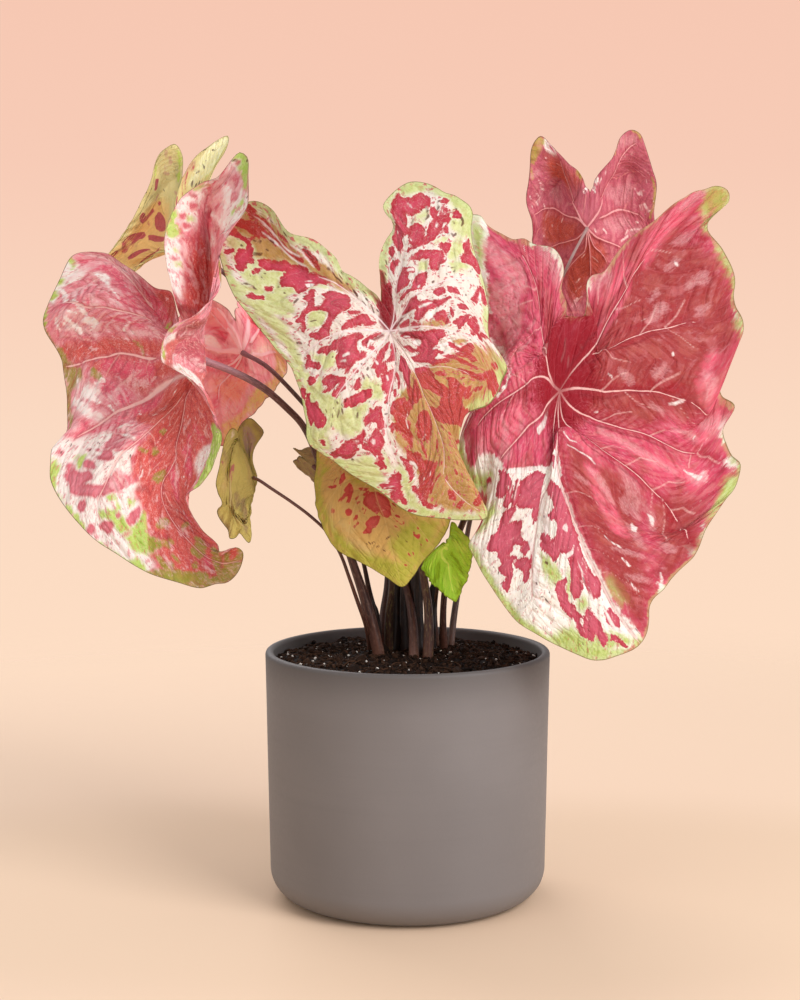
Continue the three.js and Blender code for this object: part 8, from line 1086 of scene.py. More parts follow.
  (1,'p',[[0.629,0.162],[0.616,0.180],[0.558,0.182],[0.542,0.157]]),
  (1,'s',[[0.563,0.219,0.52],[0.571,0.186,0.52]]),
  (8,'p',[[-0.608,0.192],[-0.603,0.141],[-0.601,0.093],[-0.572,0.022],[-0.534,-0.031],[-0.527,-0.062],[-0.558,-0.062],[-0.598,-0.028],[-0.615,0.026],[-0.624,0.086],[-0.627,0.166]]),
  (8,'s',[[-0.481,-0.068,1.65],[-0.454,-0.088,1.65]]),
  (8,'s',[[-0.616,0.008,1.11],[-0.603,-0.046,1.66],[-0.595,-0.098,1.38],[-0.545,-0.192,0.82]]),
  (8,'s',[[-0.302,0.038,0.55],[-0.265,0.023,0.87],[-0.258,0.005,0.76]]),
  (8,'s',[[-0.579,0.358,0.83],[-0.600,0.287,0.83],[-0.617,0.195,0.78]]),
  (8,'p',[[-0.119,-0.441],[-0.100,-0.439],[-0.079,-0.462],[-0.090,-0.477],[-0.112,-0.466]]),
  (8,'s',[[-0.187,-0.427,0.86],[-0.143,-0.453,1.08]]),
  (8,'p',[[-0.106,-0.561],[-0.080,-0.545],[-0.043,-0.536],[-0.019,-0.547],[-0.035,-0.575],[-0.071,-0.583]]),
  (8,'s',[[-0.101,-0.370,1.08],[-0.071,-0.365,0.87]]),
  (8,'p',[[-0.150,-0.690],[-0.113,-0.688],[-0.079,-0.705],[-0.072,-0.727],[-0.115,-0.722],[-0.148,-0.707]]),
  (8,'p',[[-0.215,-0.704],[-0.179,-0.719],[-0.160,-0.742],[-0.190,-0.747],[-0.227,-0.737],[-0.239,-0.721]]),
  (8,'p',[[-0.155,-0.739],[-0.123,-0.754],[-0.117,-0.771],[-0.148,-0.769],[-0.173,-0.750]]),
  (8,'p',[[0.029,-0.821],[0.099,-0.841],[0.043,-0.872],[-0.020,-0.876],[-0.067,-0.863],[-0.080,-0.839],[-0.063,-0.830],[-0.021,-0.839]]),
  (8,'s',[[-0.033,-0.776,1.07],[0.057,-0.776,1.28]]),
  (8,'s',[[-0.163,-0.786,1.06],[-0.155,-0.804,1.27]]),
  (8,'p',[[-0.112,-0.846],[-0.086,-0.857],[-0.097,-0.868],[-0.124,-0.858]]),
  (8,'s',[[-0.219,-0.764,2.12],[-0.220,-0.790,2.11],[-0.192,-0.801,1.58]]),
  (8,'p',[[-0.301,-0.749],[-0.251,-0.773],[-0.207,-0.809],[-0.163,-0.836],[-0.153,-0.863],[-0.144,-0.899],[-0.107,-0.924],[-0.061,-0.938],[-0.028,-0.946],[-0.019,-0.978],[0.012,-0.996],[-0.017,-1.012],[-0.049,-0.991],[-0.084,-0.963],[-0.110,-0.946],[-0.159,-0.914],[-0.200,-0.877],[-0.233,-0.834],[-0.279,-0.798],[-0.309,-0.763]]),
  (8,'p',[[0.141,-0.934],[0.008,-0.954],[0.005,-0.974],[-0.019,-0.985],[-0.036,-0.960],[-0.019,-0.939]]),
  (8,'s',[[0.266,-0.340,0.53],[0.318,-0.388,0.74],[0.338,-0.428,0.53]]),
  (8,'s',[[0.142,-0.879,1.05],[-0.012,-0.911,1.57],[-0.065,-0.932,1.56]]),
  (8,'s',[[0.549,0.422,1.39],[0.550,0.390,1.59],[0.591,0.352,1.06]]),
  (6,'s',[[-0.433,-0.317,0.43],[-0.420,-0.323,0.49]]),
  (6,'s',[[-0.527,-0.247,0.44],[-0.522,-0.245,0.49]]),
  (6,'s',[[-0.511,-0.261,0.44],[-0.505,-0.271,0.44]]),
  (6,'s',[[-0.400,-0.307,0.49],[-0.388,-0.315,0.49]]),
  (6,'s',[[-0.384,-0.562,0.48],[-0.379,-0.565,0.48]]),
  (6,'s',[[-0.326,-0.629,0.48],[-0.325,-0.632,0.48]]),
  (6,'s',[[-0.377,-0.621,0.43],[-0.362,-0.628,0.43]]),
  (6,'s',[[-0.536,-0.264,0.49],[-0.527,-0.273,0.49]]),
  (6,'s',[[-0.293,-0.454,0.32],[-0.314,-0.442,0.27]]),
  (6,'s',[[-0.214,-0.447,0.43],[-0.209,-0.459,0.43]]),
  (6,'s',[[-0.335,-0.568,0.27],[-0.294,-0.586,0.32]]),
  (6,'s',[[-0.420,-0.552,0.27],[-0.435,-0.568,0.32]]),
  (6,'s',[[-0.249,-0.600,0.32],[-0.267,-0.597,0.27]]),
  (6,'s',[[0.273,0.574,0.27],[0.305,0.578,0.32]]),
  (6,'s',[[0.326,0.597,0.43],[0.333,0.599,0.43]]),
  (6,'s',[[0.387,0.594,0.26],[0.392,0.593,0.26]]),
  (6,'s',[[0.416,0.580,0.42],[0.424,0.583,0.42]]),
  (4,'s',[[-0.401,0.473,0.55],[-0.389,0.451,1.10],[-0.375,0.417,0.55]]),
  (4,'s',[[-0.485,0.129,0.77],[-0.462,0.121,0.99],[-0.445,0.120,0.55]]),
  (4,'s',[[-0.313,0.069,0.44],[-0.300,0.067,0.55]]),
  (4,'s',[[-0.497,-0.111,0.55],[-0.469,-0.123,0.55]]),
  (4,'s',[[-0.302,-0.296,0.43],[-0.268,-0.323,0.54]]),
  (4,'s',[[-0.137,-0.159,0.38],[-0.110,-0.179,0.32]]),
  (4,'s',[[-0.103,-0.108,0.32],[-0.093,-0.098,0.27]]),
  (4,'s',[[-0.175,-0.185,0.43],[-0.148,-0.202,0.32]]),
  (4,'s',[[0.090,-0.575,0.38],[0.107,-0.575,0.38]]),
  (4,'s',[[0.158,-0.562,0.27],[0.166,-0.570,0.27]]),
  (4,'s',[[-0.254,-0.161,0.38],[-0.240,-0.153,0.38]]),
  (4,'s',[[-0.162,-0.540,0.32],[-0.148,-0.530,0.48],[-0.148,-0.524,0.27]]),
  (4,'s',[[-0.120,-0.537,0.27],[-0.116,-0.524,0.32]]),
  (4,'s',[[-0.071,-0.365,0.27],[-0.057,-0.338,0.32]]),
  (4,'s',[[-0.342,-0.521,0.43],[-0.314,-0.535,0.32]]),
  (4,'s',[[-0.366,0.256,0.33],[-0.345,0.234,0.44]]),
  (4,'s',[[-0.552,0.220,0.33],[-0.550,0.170,0.55]]),
  (4,'s',[[-0.380,0.380,0.33],[-0.374,0.345,0.38]]),
  (4,'s',[[-0.520,0.239,0.27],[-0.504,0.193,0.33]]),
  (8,'p',[[-0.321,-0.733],[-0.289,-0.760],[-0.257,-0.785],[-0.220,-0.807],[-0.188,-0.824],[-0.165,-0.845],[-0.144,-0.874],[-0.128,-0.904],[-0.098,-0.921],[-0.069,-0.926],[-0.029,-0.920],[0.017,-0.903],[0.070,-0.885],[0.151,-0.874],[0.157,-0.909],[0.001,-0.933],[-0.052,-0.936],[-0.094,-0.936],[-0.137,-0.922],[-0.166,-0.898],[-0.197,-0.875],[-0.225,-0.843],[-0.263,-0.809],[-0.305,-0.769]]),
  (1,'p',[[-0.316,-0.739],[-0.260,-0.787],[-0.195,-0.819],[-0.154,-0.855],[-0.132,-0.884],[-0.180,-0.867],[-0.226,-0.835],[-0.274,-0.794],[-0.314,-0.756]]),
  (1,'p',[[-0.252,-0.650],[-0.221,-0.666],[-0.222,-0.689],[-0.210,-0.710],[-0.226,-0.722],[-0.251,-0.719],[-0.270,-0.708],[-0.292,-0.683],[-0.294,-0.661]]),
  (8,'p',[[-0.214,-0.699],[-0.179,-0.719],[-0.158,-0.740],[-0.185,-0.743],[-0.225,-0.735],[-0.230,-0.720]]),
  (8,'p',[[0.072,-0.828],[0.103,-0.845],[0.043,-0.872],[-0.020,-0.876],[-0.054,-0.860],[-0.081,-0.835],[-0.063,-0.826],[-0.026,-0.836],[0.011,-0.831]]),
  (8,'p',[[-0.105,-0.844],[-0.082,-0.856],[-0.094,-0.867],[-0.118,-0.864],[-0.125,-0.851]]),
  (8,'p',[[0.079,-0.970],[0.075,-0.982],[0.129,-1.000],[0.004,-0.999],[-0.027,-0.990],[-0.054,-0.977],[-0.077,-0.961],[-0.072,-0.943],[-0.044,-0.932],[-0.023,-0.946],[-0.010,-0.963],[0.013,-0.972],[0.034,-0.977]]),
  (8,'p',[[-0.101,-0.548],[-0.070,-0.540],[-0.032,-0.537],[-0.024,-0.550],[-0.041,-0.574],[-0.070,-0.576],[-0.096,-0.563]]),
  (8,'p',[[-0.116,-0.449],[-0.098,-0.444],[-0.084,-0.462],[-0.100,-0.475],[-0.117,-0.465]]),
  (8,'p',[[-0.108,-0.363],[-0.085,-0.352],[-0.064,-0.371],[-0.078,-0.393]]),
  (7,'s',[[-0.130,-0.690,1.61],[-0.095,-0.725,2.14]]),
  (7,'s',[[-0.046,-0.776,1.07],[-0.010,-0.788,1.28]]),
  (7,'s',[[-0.197,-0.778,1.59],[-0.198,-0.804,1.58]]),
  (7,'s',[[-0.078,-0.888,1.05],[-0.071,-0.913,1.57]]),
  (7,'s',[[0.146,-0.284,1.07],[0.177,-0.310,1.28]]),
  (7,'s',[[0.197,-0.370,1.07],[0.222,-0.398,1.07]]),
  (7,'s',[[0.027,-0.330,0.86],[0.046,-0.384,0.86]]),
  (11,'s',[[-0.000,-0.549,1.62],[0.054,-0.594,2.70],[0.041,-0.643,1.62]]),
  (11,'s',[[0.091,-0.401,1.62],[0.099,-0.470,2.69],[0.128,-0.546,2.69]]),
  (11,'s',[[0.118,-0.357,1.61],[0.172,-0.406,1.61]]),
  (11,'s',[[-0.020,-0.876,1.58],[-0.062,-0.891,1.58]]),
  (5,'s',[[-0.050,-0.093,0.75],[0.003,-0.213,0.86],[0.019,-0.302,0.97],[0.011,-0.374,0.97],[0.007,-0.444,0.65]]),
  (5,'s',[[-0.026,-0.538,0.54],[-0.043,-0.593,0.76],[-0.041,-0.651,0.75],[-0.027,-0.696,0.54]]),
  (5,'s',[[-0.190,-0.706,0.53],[-0.148,-0.739,0.75],[-0.108,-0.756,0.53]]),
  (11,'p',[[0.377,0.026],[0.308,0.080],[0.192,0.107],[0.120,0.026],[0.137,-0.069],[0.207,-0.081],[0.305,-0.063],[0.399,-0.023]]),
  (5,'s',[[0.279,-0.017,0.63],[0.213,-0.037,0.84],[0.160,-0.053,0.74]]),
  (5,'s',[[-0.058,0.181,0.44],[0.439,0.174,0.52]]),
  (5,'s',[[0.436,0.235,0.52],[0.216,0.139,0.64]]),
  (5,'p',[[0.377,0.026],[0.308,0.080],[0.192,0.107],[0.089,0.040],[0.098,-0.087],[0.207,-0.081],[0.305,-0.063],[0.399,-0.023]]),
  (5,'p',[[0.473,0.118],[0.527,0.196],[0.487,0.248],[0.395,0.291],[0.117,0.101],[0.279,0.093],[0.373,0.055]]),
  (4,'s',[[0.624,0.229,0.42],[0.603,0.246,0.73],[0.573,0.272,0.73],[0.590,0.295,0.52]]),
  (4,'s',[[0.642,0.307,0.42],[0.614,0.328,0.79],[0.562,0.356,0.79],[0.563,0.373,0.42]]),
  (1,'p',[[-0.313,-0.565],[-0.273,-0.591],[-0.252,-0.639],[-0.246,-0.687],[-0.226,-0.722],[-0.261,-0.725],[-0.288,-0.686],[-0.312,-0.634],[-0.328,-0.588]]),
  (7,'s',[[0.250,0.475,1.08],[0.288,0.504,1.62],[0.324,0.521,1.07]]),
  (7,'s',[[0.172,0.299,0.87],[0.150,0.260,1.09],[0.135,0.222,0.76]]),
  (4,'p',[[0.281,0.531],[0.304,0.540],[0.337,0.537],[0.351,0.523],[0.340,0.507],[0.311,0.509],[0.309,0.522]]),
  (4,'s',[[0.288,0.482,0.54],[0.333,0.486,0.86],[0.392,0.499,0.64]]),
  (4,'s',[[0.208,0.503,0.43],[0.218,0.526,0.64],[0.238,0.542,0.54]]),
  (7,'s',[[0.252,0.515,2.16],[0.312,0.508,2.69],[0.348,0.487,2.15]]),
  (0,'s',[[0.283,0.548,0.86],[0.336,0.530,1.07],[0.375,0.504,0.85]]),
  (7,'s',[[-0.345,0.542,2.75],[-0.308,0.471,2.74],[-0.118,0.404,2.19]]),
  (7,'s',[[-0.267,0.541,1.65],[-0.218,0.491,2.20],[-0.150,0.434,2.19]]),
  (8,'s',[[-0.231,-0.796,2.11],[-0.175,-0.849,2.63],[-0.110,-0.897,2.09]]),
  (8,'s',[[-0.287,-0.785,1.58],[-0.230,-0.833,2.36],[-0.163,-0.878,2.36],[-0.120,-0.908,1.57]]),
  (8,'s',[[-0.375,-0.667,0.85],[-0.332,-0.730,1.27]]),
  (9,'s',[[0.351,0.022,0.39],[0.272,-0.045,0.39]]),
  (9,'s',[[0.315,0.054,0.39],[0.220,-0.049,0.40]]),
  (9,'s',[[0.262,0.070,0.39],[0.177,-0.036,0.40]]),
  (9,'s',[[0.209,0.083,0.40],[0.140,-0.002,0.40]]),
  (9,'s',[[0.456,0.148,0.39],[0.540,0.215,0.39],[0.624,0.229,0.39]]),
  (9,'s',[[0.375,0.145,0.39],[0.472,0.224,0.39]]),
  (9,'s',[[0.445,0.109,0.39],[0.354,0.115,0.39],[0.248,0.126,0.40]]),
  (0,'p',[[0.582,0.026],[0.533,-0.041],[0.345,-0.126],[0.268,-0.148],[0.286,-0.202],[0.380,-0.257],[0.564,-0.275],[0.216,-0.282],[0.162,-0.229],[0.481,-0.177],[0.669,-0.042],[0.638,0.002]]),
  (8,'s',[[0.552,-0.057,0.63],[0.371,-0.159,0.63],[0.358,-0.207,0.63]]),
  (1,'s',[[-0.115,0.161,0.76],[-0.093,0.184,0.76]]),
  (1,'s',[[0.563,0.078,0.62],[0.556,0.047,0.62]]),
  (11,'s',[[-0.174,0.455,2.20],[-0.169,0.387,3.29],[-0.164,0.312,3.84],[-0.161,0.212,3.27]]),
  (11,'s',[[-0.333,0.523,2.20],[-0.341,0.402,2.74],[-0.289,0.282,2.73]]),
  (11,'s',[[-0.464,-0.214,1.64],[-0.503,-0.227,1.64]]),
  (11,'s',[[-0.338,-0.203,2.71],[-0.416,-0.258,2.18]]),
  (11,'s',[[-0.429,-0.054,3.30],[-0.318,-0.044,3.82],[-0.216,-0.033,3.27]]),
  (11,'s',[[-0.137,0.344,1.65],[-0.140,0.272,2.19],[-0.114,0.202,1.63]]),
  (4,'s',[[-0.492,0.314,1.10],[-0.480,0.215,1.32],[-0.474,0.161,1.10]]),
  (4,'s',[[-0.499,0.479,0.88],[-0.509,0.337,0.99]]),
  (4,'s',[[-0.480,0.142,1.65],[-0.449,0.105,1.87],[-0.472,0.083,1.10]]),
  (4,'s',[[-0.396,0.477,1.10],[-0.391,0.418,1.42],[-0.380,0.380,1.09]]),
  (4,'s',[[-0.535,0.224,1.10],[-0.535,0.169,1.32],[-0.515,0.097,0.88]]),
  (4,'s',[[-0.557,0.282,0.77],[-0.569,0.218,0.88]]),
  (4,'s',[[-0.527,-0.097,1.65],[-0.485,-0.129,1.87],[-0.454,-0.156,1.10]]),
  (4,'s',[[-0.577,-0.086,1.33],[-0.500,-0.164,1.65],[-0.468,-0.199,1.10]]),
  (4,'s',[[-0.471,-0.101,0.88],[-0.436,-0.094,0.77]]),
  (4,'s',[[-0.556,-0.042,0.77],[-0.548,-0.071,0.77]]),
  (4,'s',[[-0.407,-0.168,0.66],[-0.365,-0.177,0.65]]),
  (4,'s',[[-0.311,0.118,0.44],[-0.342,0.073,0.44]]),
  (4,'s',[[-0.366,0.329,0.44],[-0.337,0.259,0.44]])],
 'left_mid_back': [
  (0,'p',[[-0.359,0.016],[-0.341,0.053],[-0.293,0.044],[-0.234,0.016],[-0.197,-0.015],[-0.171,-0.013],[-0.194,-0.044],[-0.219,-0.065],[-0.255,-0.049],[-0.315,-0.055]]),
  (0,'s',[[0.108,-0.028,0.91],[0.221,-0.015,1.71],[0.358,0.038,1.71],[0.454,0.098,1.14]]),
  (0,'s',[[0.236,0.046,0.57],[0.285,0.085,0.57]]),
  (7,'s',[[-0.095,0.320,1.14],[-0.071,0.248,1.70],[-0.042,0.140,1.70]]),
  (7,'s',[[0.063,0.276,1.13],[0.032,0.097,1.13]]),
  (7,'s',[[0.238,0.405,0.86],[0.153,0.128,1.13]]),
  (7,'s',[[-0.355,-0.066,1.15],[-0.280,-0.065,1.15],[-0.145,-0.013,1.14]]),
  (7,'s',[[-0.150,-0.115,1.14],[-0.205,-0.154,1.72]]),
  (7,'s',[[0.277,-0.176,1.71],[0.385,-0.099,1.71]]),
  (7,'s',[[0.021,-0.584,1.14],[0.023,-0.658,1.71],[-0.046,-0.711,2.29]]),
  (7,'s',[[0.195,-0.519,1.14],[0.222,-0.422,1.71]]),
  (7,'s',[[-0.222,-0.250,1.72],[-0.162,-0.205,1.14]]),
  (7,'s',[[0.186,0.027,1.14],[0.345,0.072,1.71]]),
  (11,'s',[[-0.328,0.241,1.72],[-0.216,0.091,2.29]]),
  (7,'s',[[-0.313,0.396,2.30],[-0.310,0.305,2.87]]),
  (11,'s',[[0.120,0.155,1.70],[0.060,0.062,1.69]]),
  (11,'s',[[0.154,0.014,1.70],[0.302,0.091,1.71]]),
  (11,'s',[[-0.258,-0.466,2.29],[-0.240,-0.610,1.71]]),
  (11,'p',[[-0.340,-0.122],[-0.194,-0.044],[-0.070,-0.004],[0.002,-0.028],[0.045,-0.133],[-0.085,-0.195],[-0.250,-0.214],[-0.358,-0.227]]),
  (4,'p',[[-0.392,0.084],[-0.348,0.072],[-0.298,0.054],[-0.237,0.023],[-0.189,-0.012],[-0.219,-0.057],[-0.263,-0.054],[-0.315,-0.055],[-0.350,-0.046]]),
  (2,'p',[[-0.356,-0.265],[-0.217,-0.218],[-0.085,-0.222],[0.006,-0.206],[0.066,-0.266],[0.146,-0.309],[0.157,-0.466],[0.058,-0.583],[-0.119,-0.582],[-0.283,-0.435],[-0.326,-0.307],[-0.299,-0.217],[-0.341,-0.180]]),
  (5,'s',[[0.083,0.114,0.45],[0.042,0.054,0.68],[0.024,0.048,0.34]]),
  (5,'s',[[0.092,0.211,0.79],[0.054,0.085,1.02]]),
  (5,'s',[[0.286,0.398,0.80],[0.289,0.301,1.37],[0.278,0.096,1.48]]),
  (11,'p',[[0.307,0.461],[0.374,0.407],[0.413,0.261],[0.423,0.157],[0.237,0.022],[0.112,0.032],[0.192,0.212]]),
  (5,'s',[[0.097,0.007,0.57],[0.207,0.065,0.68]]),
  (5,'s',[[0.000,-0.000,0.79],[-0.059,-0.044,0.68]]),
  (5,'s',[[0.027,-0.023,1.13],[0.019,-0.070,1.13]]),
  (5,'s',[[-0.316,0.093,0.57],[-0.205,0.069,0.91],[-0.104,0.025,0.68]]),
  (5,'s',[[-0.280,-0.088,0.57],[-0.194,-0.067,0.91],[-0.092,-0.021,0.57]]),
  (8,'p',[[0.433,0.112],[0.517,0.159],[0.588,0.154],[0.622,0.082],[0.635,-0.100],[0.604,-0.230],[0.534,-0.352],[0.458,-0.517],[0.312,-0.682],[0.211,-0.809],[0.222,-0.928],[0.122,-0.996],[0.046,-1.039],[-0.040,-0.904],[-0.093,-0.784],[0.000,-0.750],[0.156,-0.664],[0.232,-0.568],[0.259,-0.475],[0.322,-0.378],[0.406,-0.283],[0.481,-0.168],[0.492,-0.051],[0.474,0.030]]),
  (1,'p',[[0.322,-0.378],[0.446,-0.283],[0.552,-0.265],[0.481,-0.434],[0.384,-0.463]]),
  (1,'p',[[0.060,-0.787],[0.231,-0.765],[0.245,-0.883],[0.173,-0.952],[0.112,-1.004],[0.092,-0.901]]),
  (9,'s',[[-0.192,-0.228,0.43],[-0.260,-0.316,0.43],[-0.299,-0.384,0.43]]),
  (9,'s',[[-0.081,-0.289,0.43],[-0.158,-0.374,0.43],[-0.201,-0.460,0.43]]),
  (9,'s',[[0.314,-0.125,0.43],[0.457,-0.139,0.43],[0.562,-0.160,0.43]]),
  (9,'s',[[-0.300,0.352,0.43],[-0.204,0.253,0.43],[-0.041,0.022,0.42]])],
 'right_back': [
  (9,'s',[[-0.188,0.298,0.46],[-0.304,0.210,0.47],[-0.392,0.355,0.46],[-0.435,0.405,0.43],[-0.445,0.460,0.43]]),
  (9,'s',[[0.185,0.269,0.52],[0.298,0.221,0.52],[0.352,0.269,0.52],[0.414,0.325,0.46],[0.497,0.424,0.43]]),
  (9,'s',[[-0.579,0.214,0.47],[-0.568,0.150,0.47],[-0.536,0.072,0.47],[-0.562,0.026,0.47]]),
  (9,'s',[[0.349,0.098,0.44],[0.368,0.130,0.44],[0.385,0.150,0.44]]),
  (9,'s',[[-0.393,0.097,0.44],[-0.439,0.088,0.44],[-0.490,0.087,0.44]]),
  (9,'s',[[-0.303,0.482,0.43],[-0.242,0.450,0.43]]),
  (9,'s',[[-0.040,0.042,0.43],[-0.028,0.066,0.43],[-0.024,0.095,0.43]]),
  (9,'s',[[-0.255,-0.550,0.71],[-0.158,-0.560,0.59],[-0.093,-0.579,0.59]]),
  (9,'s',[[-0.550,0.077,0.47],[-0.496,0.056,0.47],[-0.434,0.015,0.44]]),
  (2,'p',[[-0.459,0.123],[-0.312,0.071],[-0.176,0.046],[-0.059,0.009],[-0.006,-0.014],[-0.054,-0.055],[-0.186,-0.096],[-0.363,-0.095],[-0.469,-0.026],[-0.481,0.059]]),
  (2,'p',[[0.012,-0.031],[0.116,-0.065],[0.168,-0.106],[0.169,-0.197],[0.104,-0.301],[0.003,-0.344],[-0.045,-0.435],[-0.112,-0.491],[-0.204,-0.462],[-0.211,-0.362],[-0.167,-0.266],[-0.090,-0.163],[-0.019,-0.085]]),
  (2,'p',[[-0.349,0.525],[-0.217,0.477],[-0.134,0.381],[-0.123,0.308],[-0.255,0.276],[-0.389,0.381],[-0.399,0.473]]),
  (2,'p',[[-0.141,0.376],[-0.079,0.295],[-0.047,0.203],[-0.105,0.268],[-0.135,0.325]]),
  (8,'p',[[-0.320,0.600],[-0.286,0.574],[-0.345,0.560],[-0.402,0.546],[-0.463,0.522],[-0.484,0.543],[-0.434,0.593],[-0.367,0.611]]),
  (8,'s',[[-0.070,0.294,0.92],[-0.048,0.240,1.15]]),
  (8,'s',[[0.543,0.393,0.58],[0.583,0.318,0.93],[0.604,0.236,0.93],[0.576,0.158,0.82]]),
  (8,'s',[[0.313,0.597,0.57],[0.355,0.602,0.80],[0.391,0.583,0.57]]),
  (8,'s',[[0.220,0.535,0.34],[0.171,0.485,0.46],[0.146,0.431,0.34]]),
  (8,'s',[[-0.499,0.510,0.58],[-0.518,0.448,0.92]]),
  (7,'p',[[0.195,0.524],[0.272,0.564],[0.344,0.590],[0.373,0.562],[0.308,0.516],[0.225,0.489],[0.156,0.445]]),
  (7,'s',[[0.208,0.151,2.32],[0.293,0.129,3.49],[0.405,0.219,2.91]]),
  (7,'s',[[0.153,0.024,1.74],[0.248,0.012,2.92],[0.375,0.058,2.34]]),
  (7,'s',[[-0.377,0.201,2.33],[-0.284,0.136,2.91]]),
  (7,'s',[[-0.514,0.461,1.73],[-0.464,0.468,1.73]]),
  (7,'s',[[-0.465,0.343,1.74],[-0.490,0.232,1.75]]),
  (7,'s',[[-0.179,-0.519,2.36],[-0.123,-0.539,2.36]]),
  (7,'s',[[0.477,0.074,1.75],[0.385,0.002,1.17]]),
  (0,'p',[[-0.289,0.582],[-0.237,0.554],[-0.213,0.511],[-0.182,0.480],[-0.286,0.518],[-0.315,0.541],[-0.324,0.568]]),
  (11,'s',[[-0.249,0.541,0.92],[-0.223,0.511,0.80]]),
  (0,'s',[[-0.021,0.123,0.46],[-0.007,0.166,0.57],[-0.019,0.193,0.46]]),
  (0,'s',[[0.023,0.121,0.52],[0.032,0.172,0.52],[0.056,0.231,0.40]]),
  (5,'s',[[-0.603,0.220,0.93],[-0.601,0.138,1.17],[-0.612,0.065,0.82]]),
  (5,'s',[[-0.154,0.400,0.46],[-0.135,0.325,0.52],[-0.123,0.271,0.46]]),
  (5,'s',[[0.165,0.041,0.41],[0.194,0.026,0.41]]),
  (5,'s',[[0.242,0.062,0.41],[0.276,0.018,0.47]]),
  (5,'s',[[0.305,0.070,0.41],[0.337,0.026,0.41]]),
  (5,'s',[[0.355,0.084,0.41],[0.392,0.061,0.41]]),
  (5,'s',[[-0.025,0.004,1.73],[-0.091,-0.022,1.74]]),
  (5,'s',[[0.001,0.092,0.46],[0.007,0.063,0.58],[0.007,0.038,0.46]]),
  (5,'s',[[-0.182,-0.159,0.70],[-0.145,-0.222,0.59],[-0.133,-0.353,0.59]]),
  (5,'s',[[0.098,-0.055,0.70],[0.168,-0.095,0.70]]),
  (4,'s',[[-0.483,0.413,0.29],[-0.470,0.368,0.35]]),
  (4,'s',[[-0.480,0.345,0.41],[-0.453,0.285,0.47]]),
  (4,'s',[[-0.532,0.269,0.35],[-0.513,0.216,0.47]]),
  (4,'s',[[-0.561,0.345,0.29],[-0.556,0.308,0.35]]),
  (4,'s',[[-0.458,0.170,0.29],[-0.437,0.130,0.41]]),
  (4,'s',[[-0.513,0.319,0.29],[-0.488,0.256,0.35]]),
  (4,'s',[[-0.356,0.527,0.29],[-0.362,0.514,0.29]]),
  (4,'s',[[-0.513,0.274,0.23],[-0.490,0.232,0.29]]),
  (4,'s',[[-0.570,0.274,0.29],[-0.563,0.244,0.29]]),
  (4,'s',[[0.442,0.246,0.35],[0.465,0.237,0.41],[0.507,0.283,0.41]]),
  (4,'s',[[0.465,0.237,0.35],[0.503,0.254,0.29]]),
  (4,'s',[[0.481,0.193,0.35],[0.532,0.227,0.46]]),
  (4,'s',[[0.489,0.179,0.29],[0.553,0.214,0.41]]),
  (4,'s',[[0.512,0.418,0.29],[0.528,0.406,0.29]]),
  (4,'s',[[0.508,0.350,0.29],[0.519,0.330,0.29]]),
  (4,'s',[[0.571,0.279,0.29],[0.596,0.259,0.29]]),
  (4,'s',[[0.526,0.170,0.29],[0.592,0.213,0.35]]),
  (4,'s',[[0.388,0.024,0.41],[0.477,0.068,0.47]]),
  (4,'s',[[0.340,-0.009,0.29],[0.370,0.018,0.47]]),
  (4,'s',[[0.299,-0.049,0.41],[0.366,-0.013,0.53]]),
  (4,'s',[[0.442,0.095,0.53],[0.459,0.104,0.53]]),
  (4,'s',[[0.142,-0.006,0.35],[0.170,-0.022,0.47]]),
  (4,'s',[[0.058,-0.007,0.29],[0.077,-0.019,0.35]]),
  (4,'s',[[0.294,0.469,0.40],[0.307,0.464,0.40]]),
  (4,'s',[[0.350,0.488,0.40],[0.361,0.485,0.40]]),
  (4,'s',[[-0.121,-0.377,0.29],[-0.082,-0.350,0.41]]),
  (4,'s',[[-0.145,-0.434,0.29],[-0.083,-0.405,0.41]]),
  (4,'s',[[-0.192,-0.491,0.30],[-0.136,-0.475,0.35]]),
  (4,'s',[[-0.040,-0.171,0.29],[-0.012,-0.142,0.35]]),
  (4,'s',[[0.046,-0.155,0.29],[0.096,-0.198,0.35]]),
  (4,'s',[[-0.238,0.026,0.29],[-0.218,0.047,0.35]]),
  (4,'s',[[-0.477,0.006,0.35],[-0.465,-0.005,0.35]]),
  (4,'s',[[-0.357,0.018,0.35],[-0.345,0.012,0.35]]),
  (4,'s',[[-0.226,-0.530,0.30],[-0.152,-0.498,0.35],[-0.088,-0.469,0.35]]),
  (4,'s',[[0.078,0.256,0.29],[0.073,0.223,0.29]]),
  (4,'s',[[0.092,0.319,0.23],[0.099,0.293,0.29]]),
  (4,'s',[[-0.404,0.092,0.23],[-0.441,0.069,0.29]])],
 'left_back': [
  (10,'s',[[-0.524,-0.396,0.47],[-0.568,-0.180,0.53],[-0.612,0.086,0.53],[-0.545,0.139,0.53],[-0.532,0.282,0.52],[-0.501,0.414,0.52],[-0.494,0.514,0.52],[-0.411,0.576,0.40]]),
  (0,'s',[[-0.566,-0.377,0.59],[-0.635,-0.131,0.94],[-0.672,0.123,1.05],[-0.656,0.235,1.05],[-0.645,0.362,1.05],[-0.601,0.474,0.81]]),
  (2,'p',[[-0.487,-0.428],[-0.509,-0.225],[-0.528,-0.013],[-0.478,0.091],[-0.421,0.161],[-0.295,0.162],[-0.190,0.116],[-0.124,0.025],[-0.082,-0.062],[0.007,-0.162],[0.596,-0.291],[0.260,-0.461],[-0.284,-0.504]]),
  (3,'p',[[-0.304,0.052],[-0.248,0.052],[-0.183,0.026],[-0.138,-0.002],[-0.129,-0.028],[-0.180,-0.068],[-0.240,-0.077],[-0.298,-0.041],[-0.318,0.010]]),
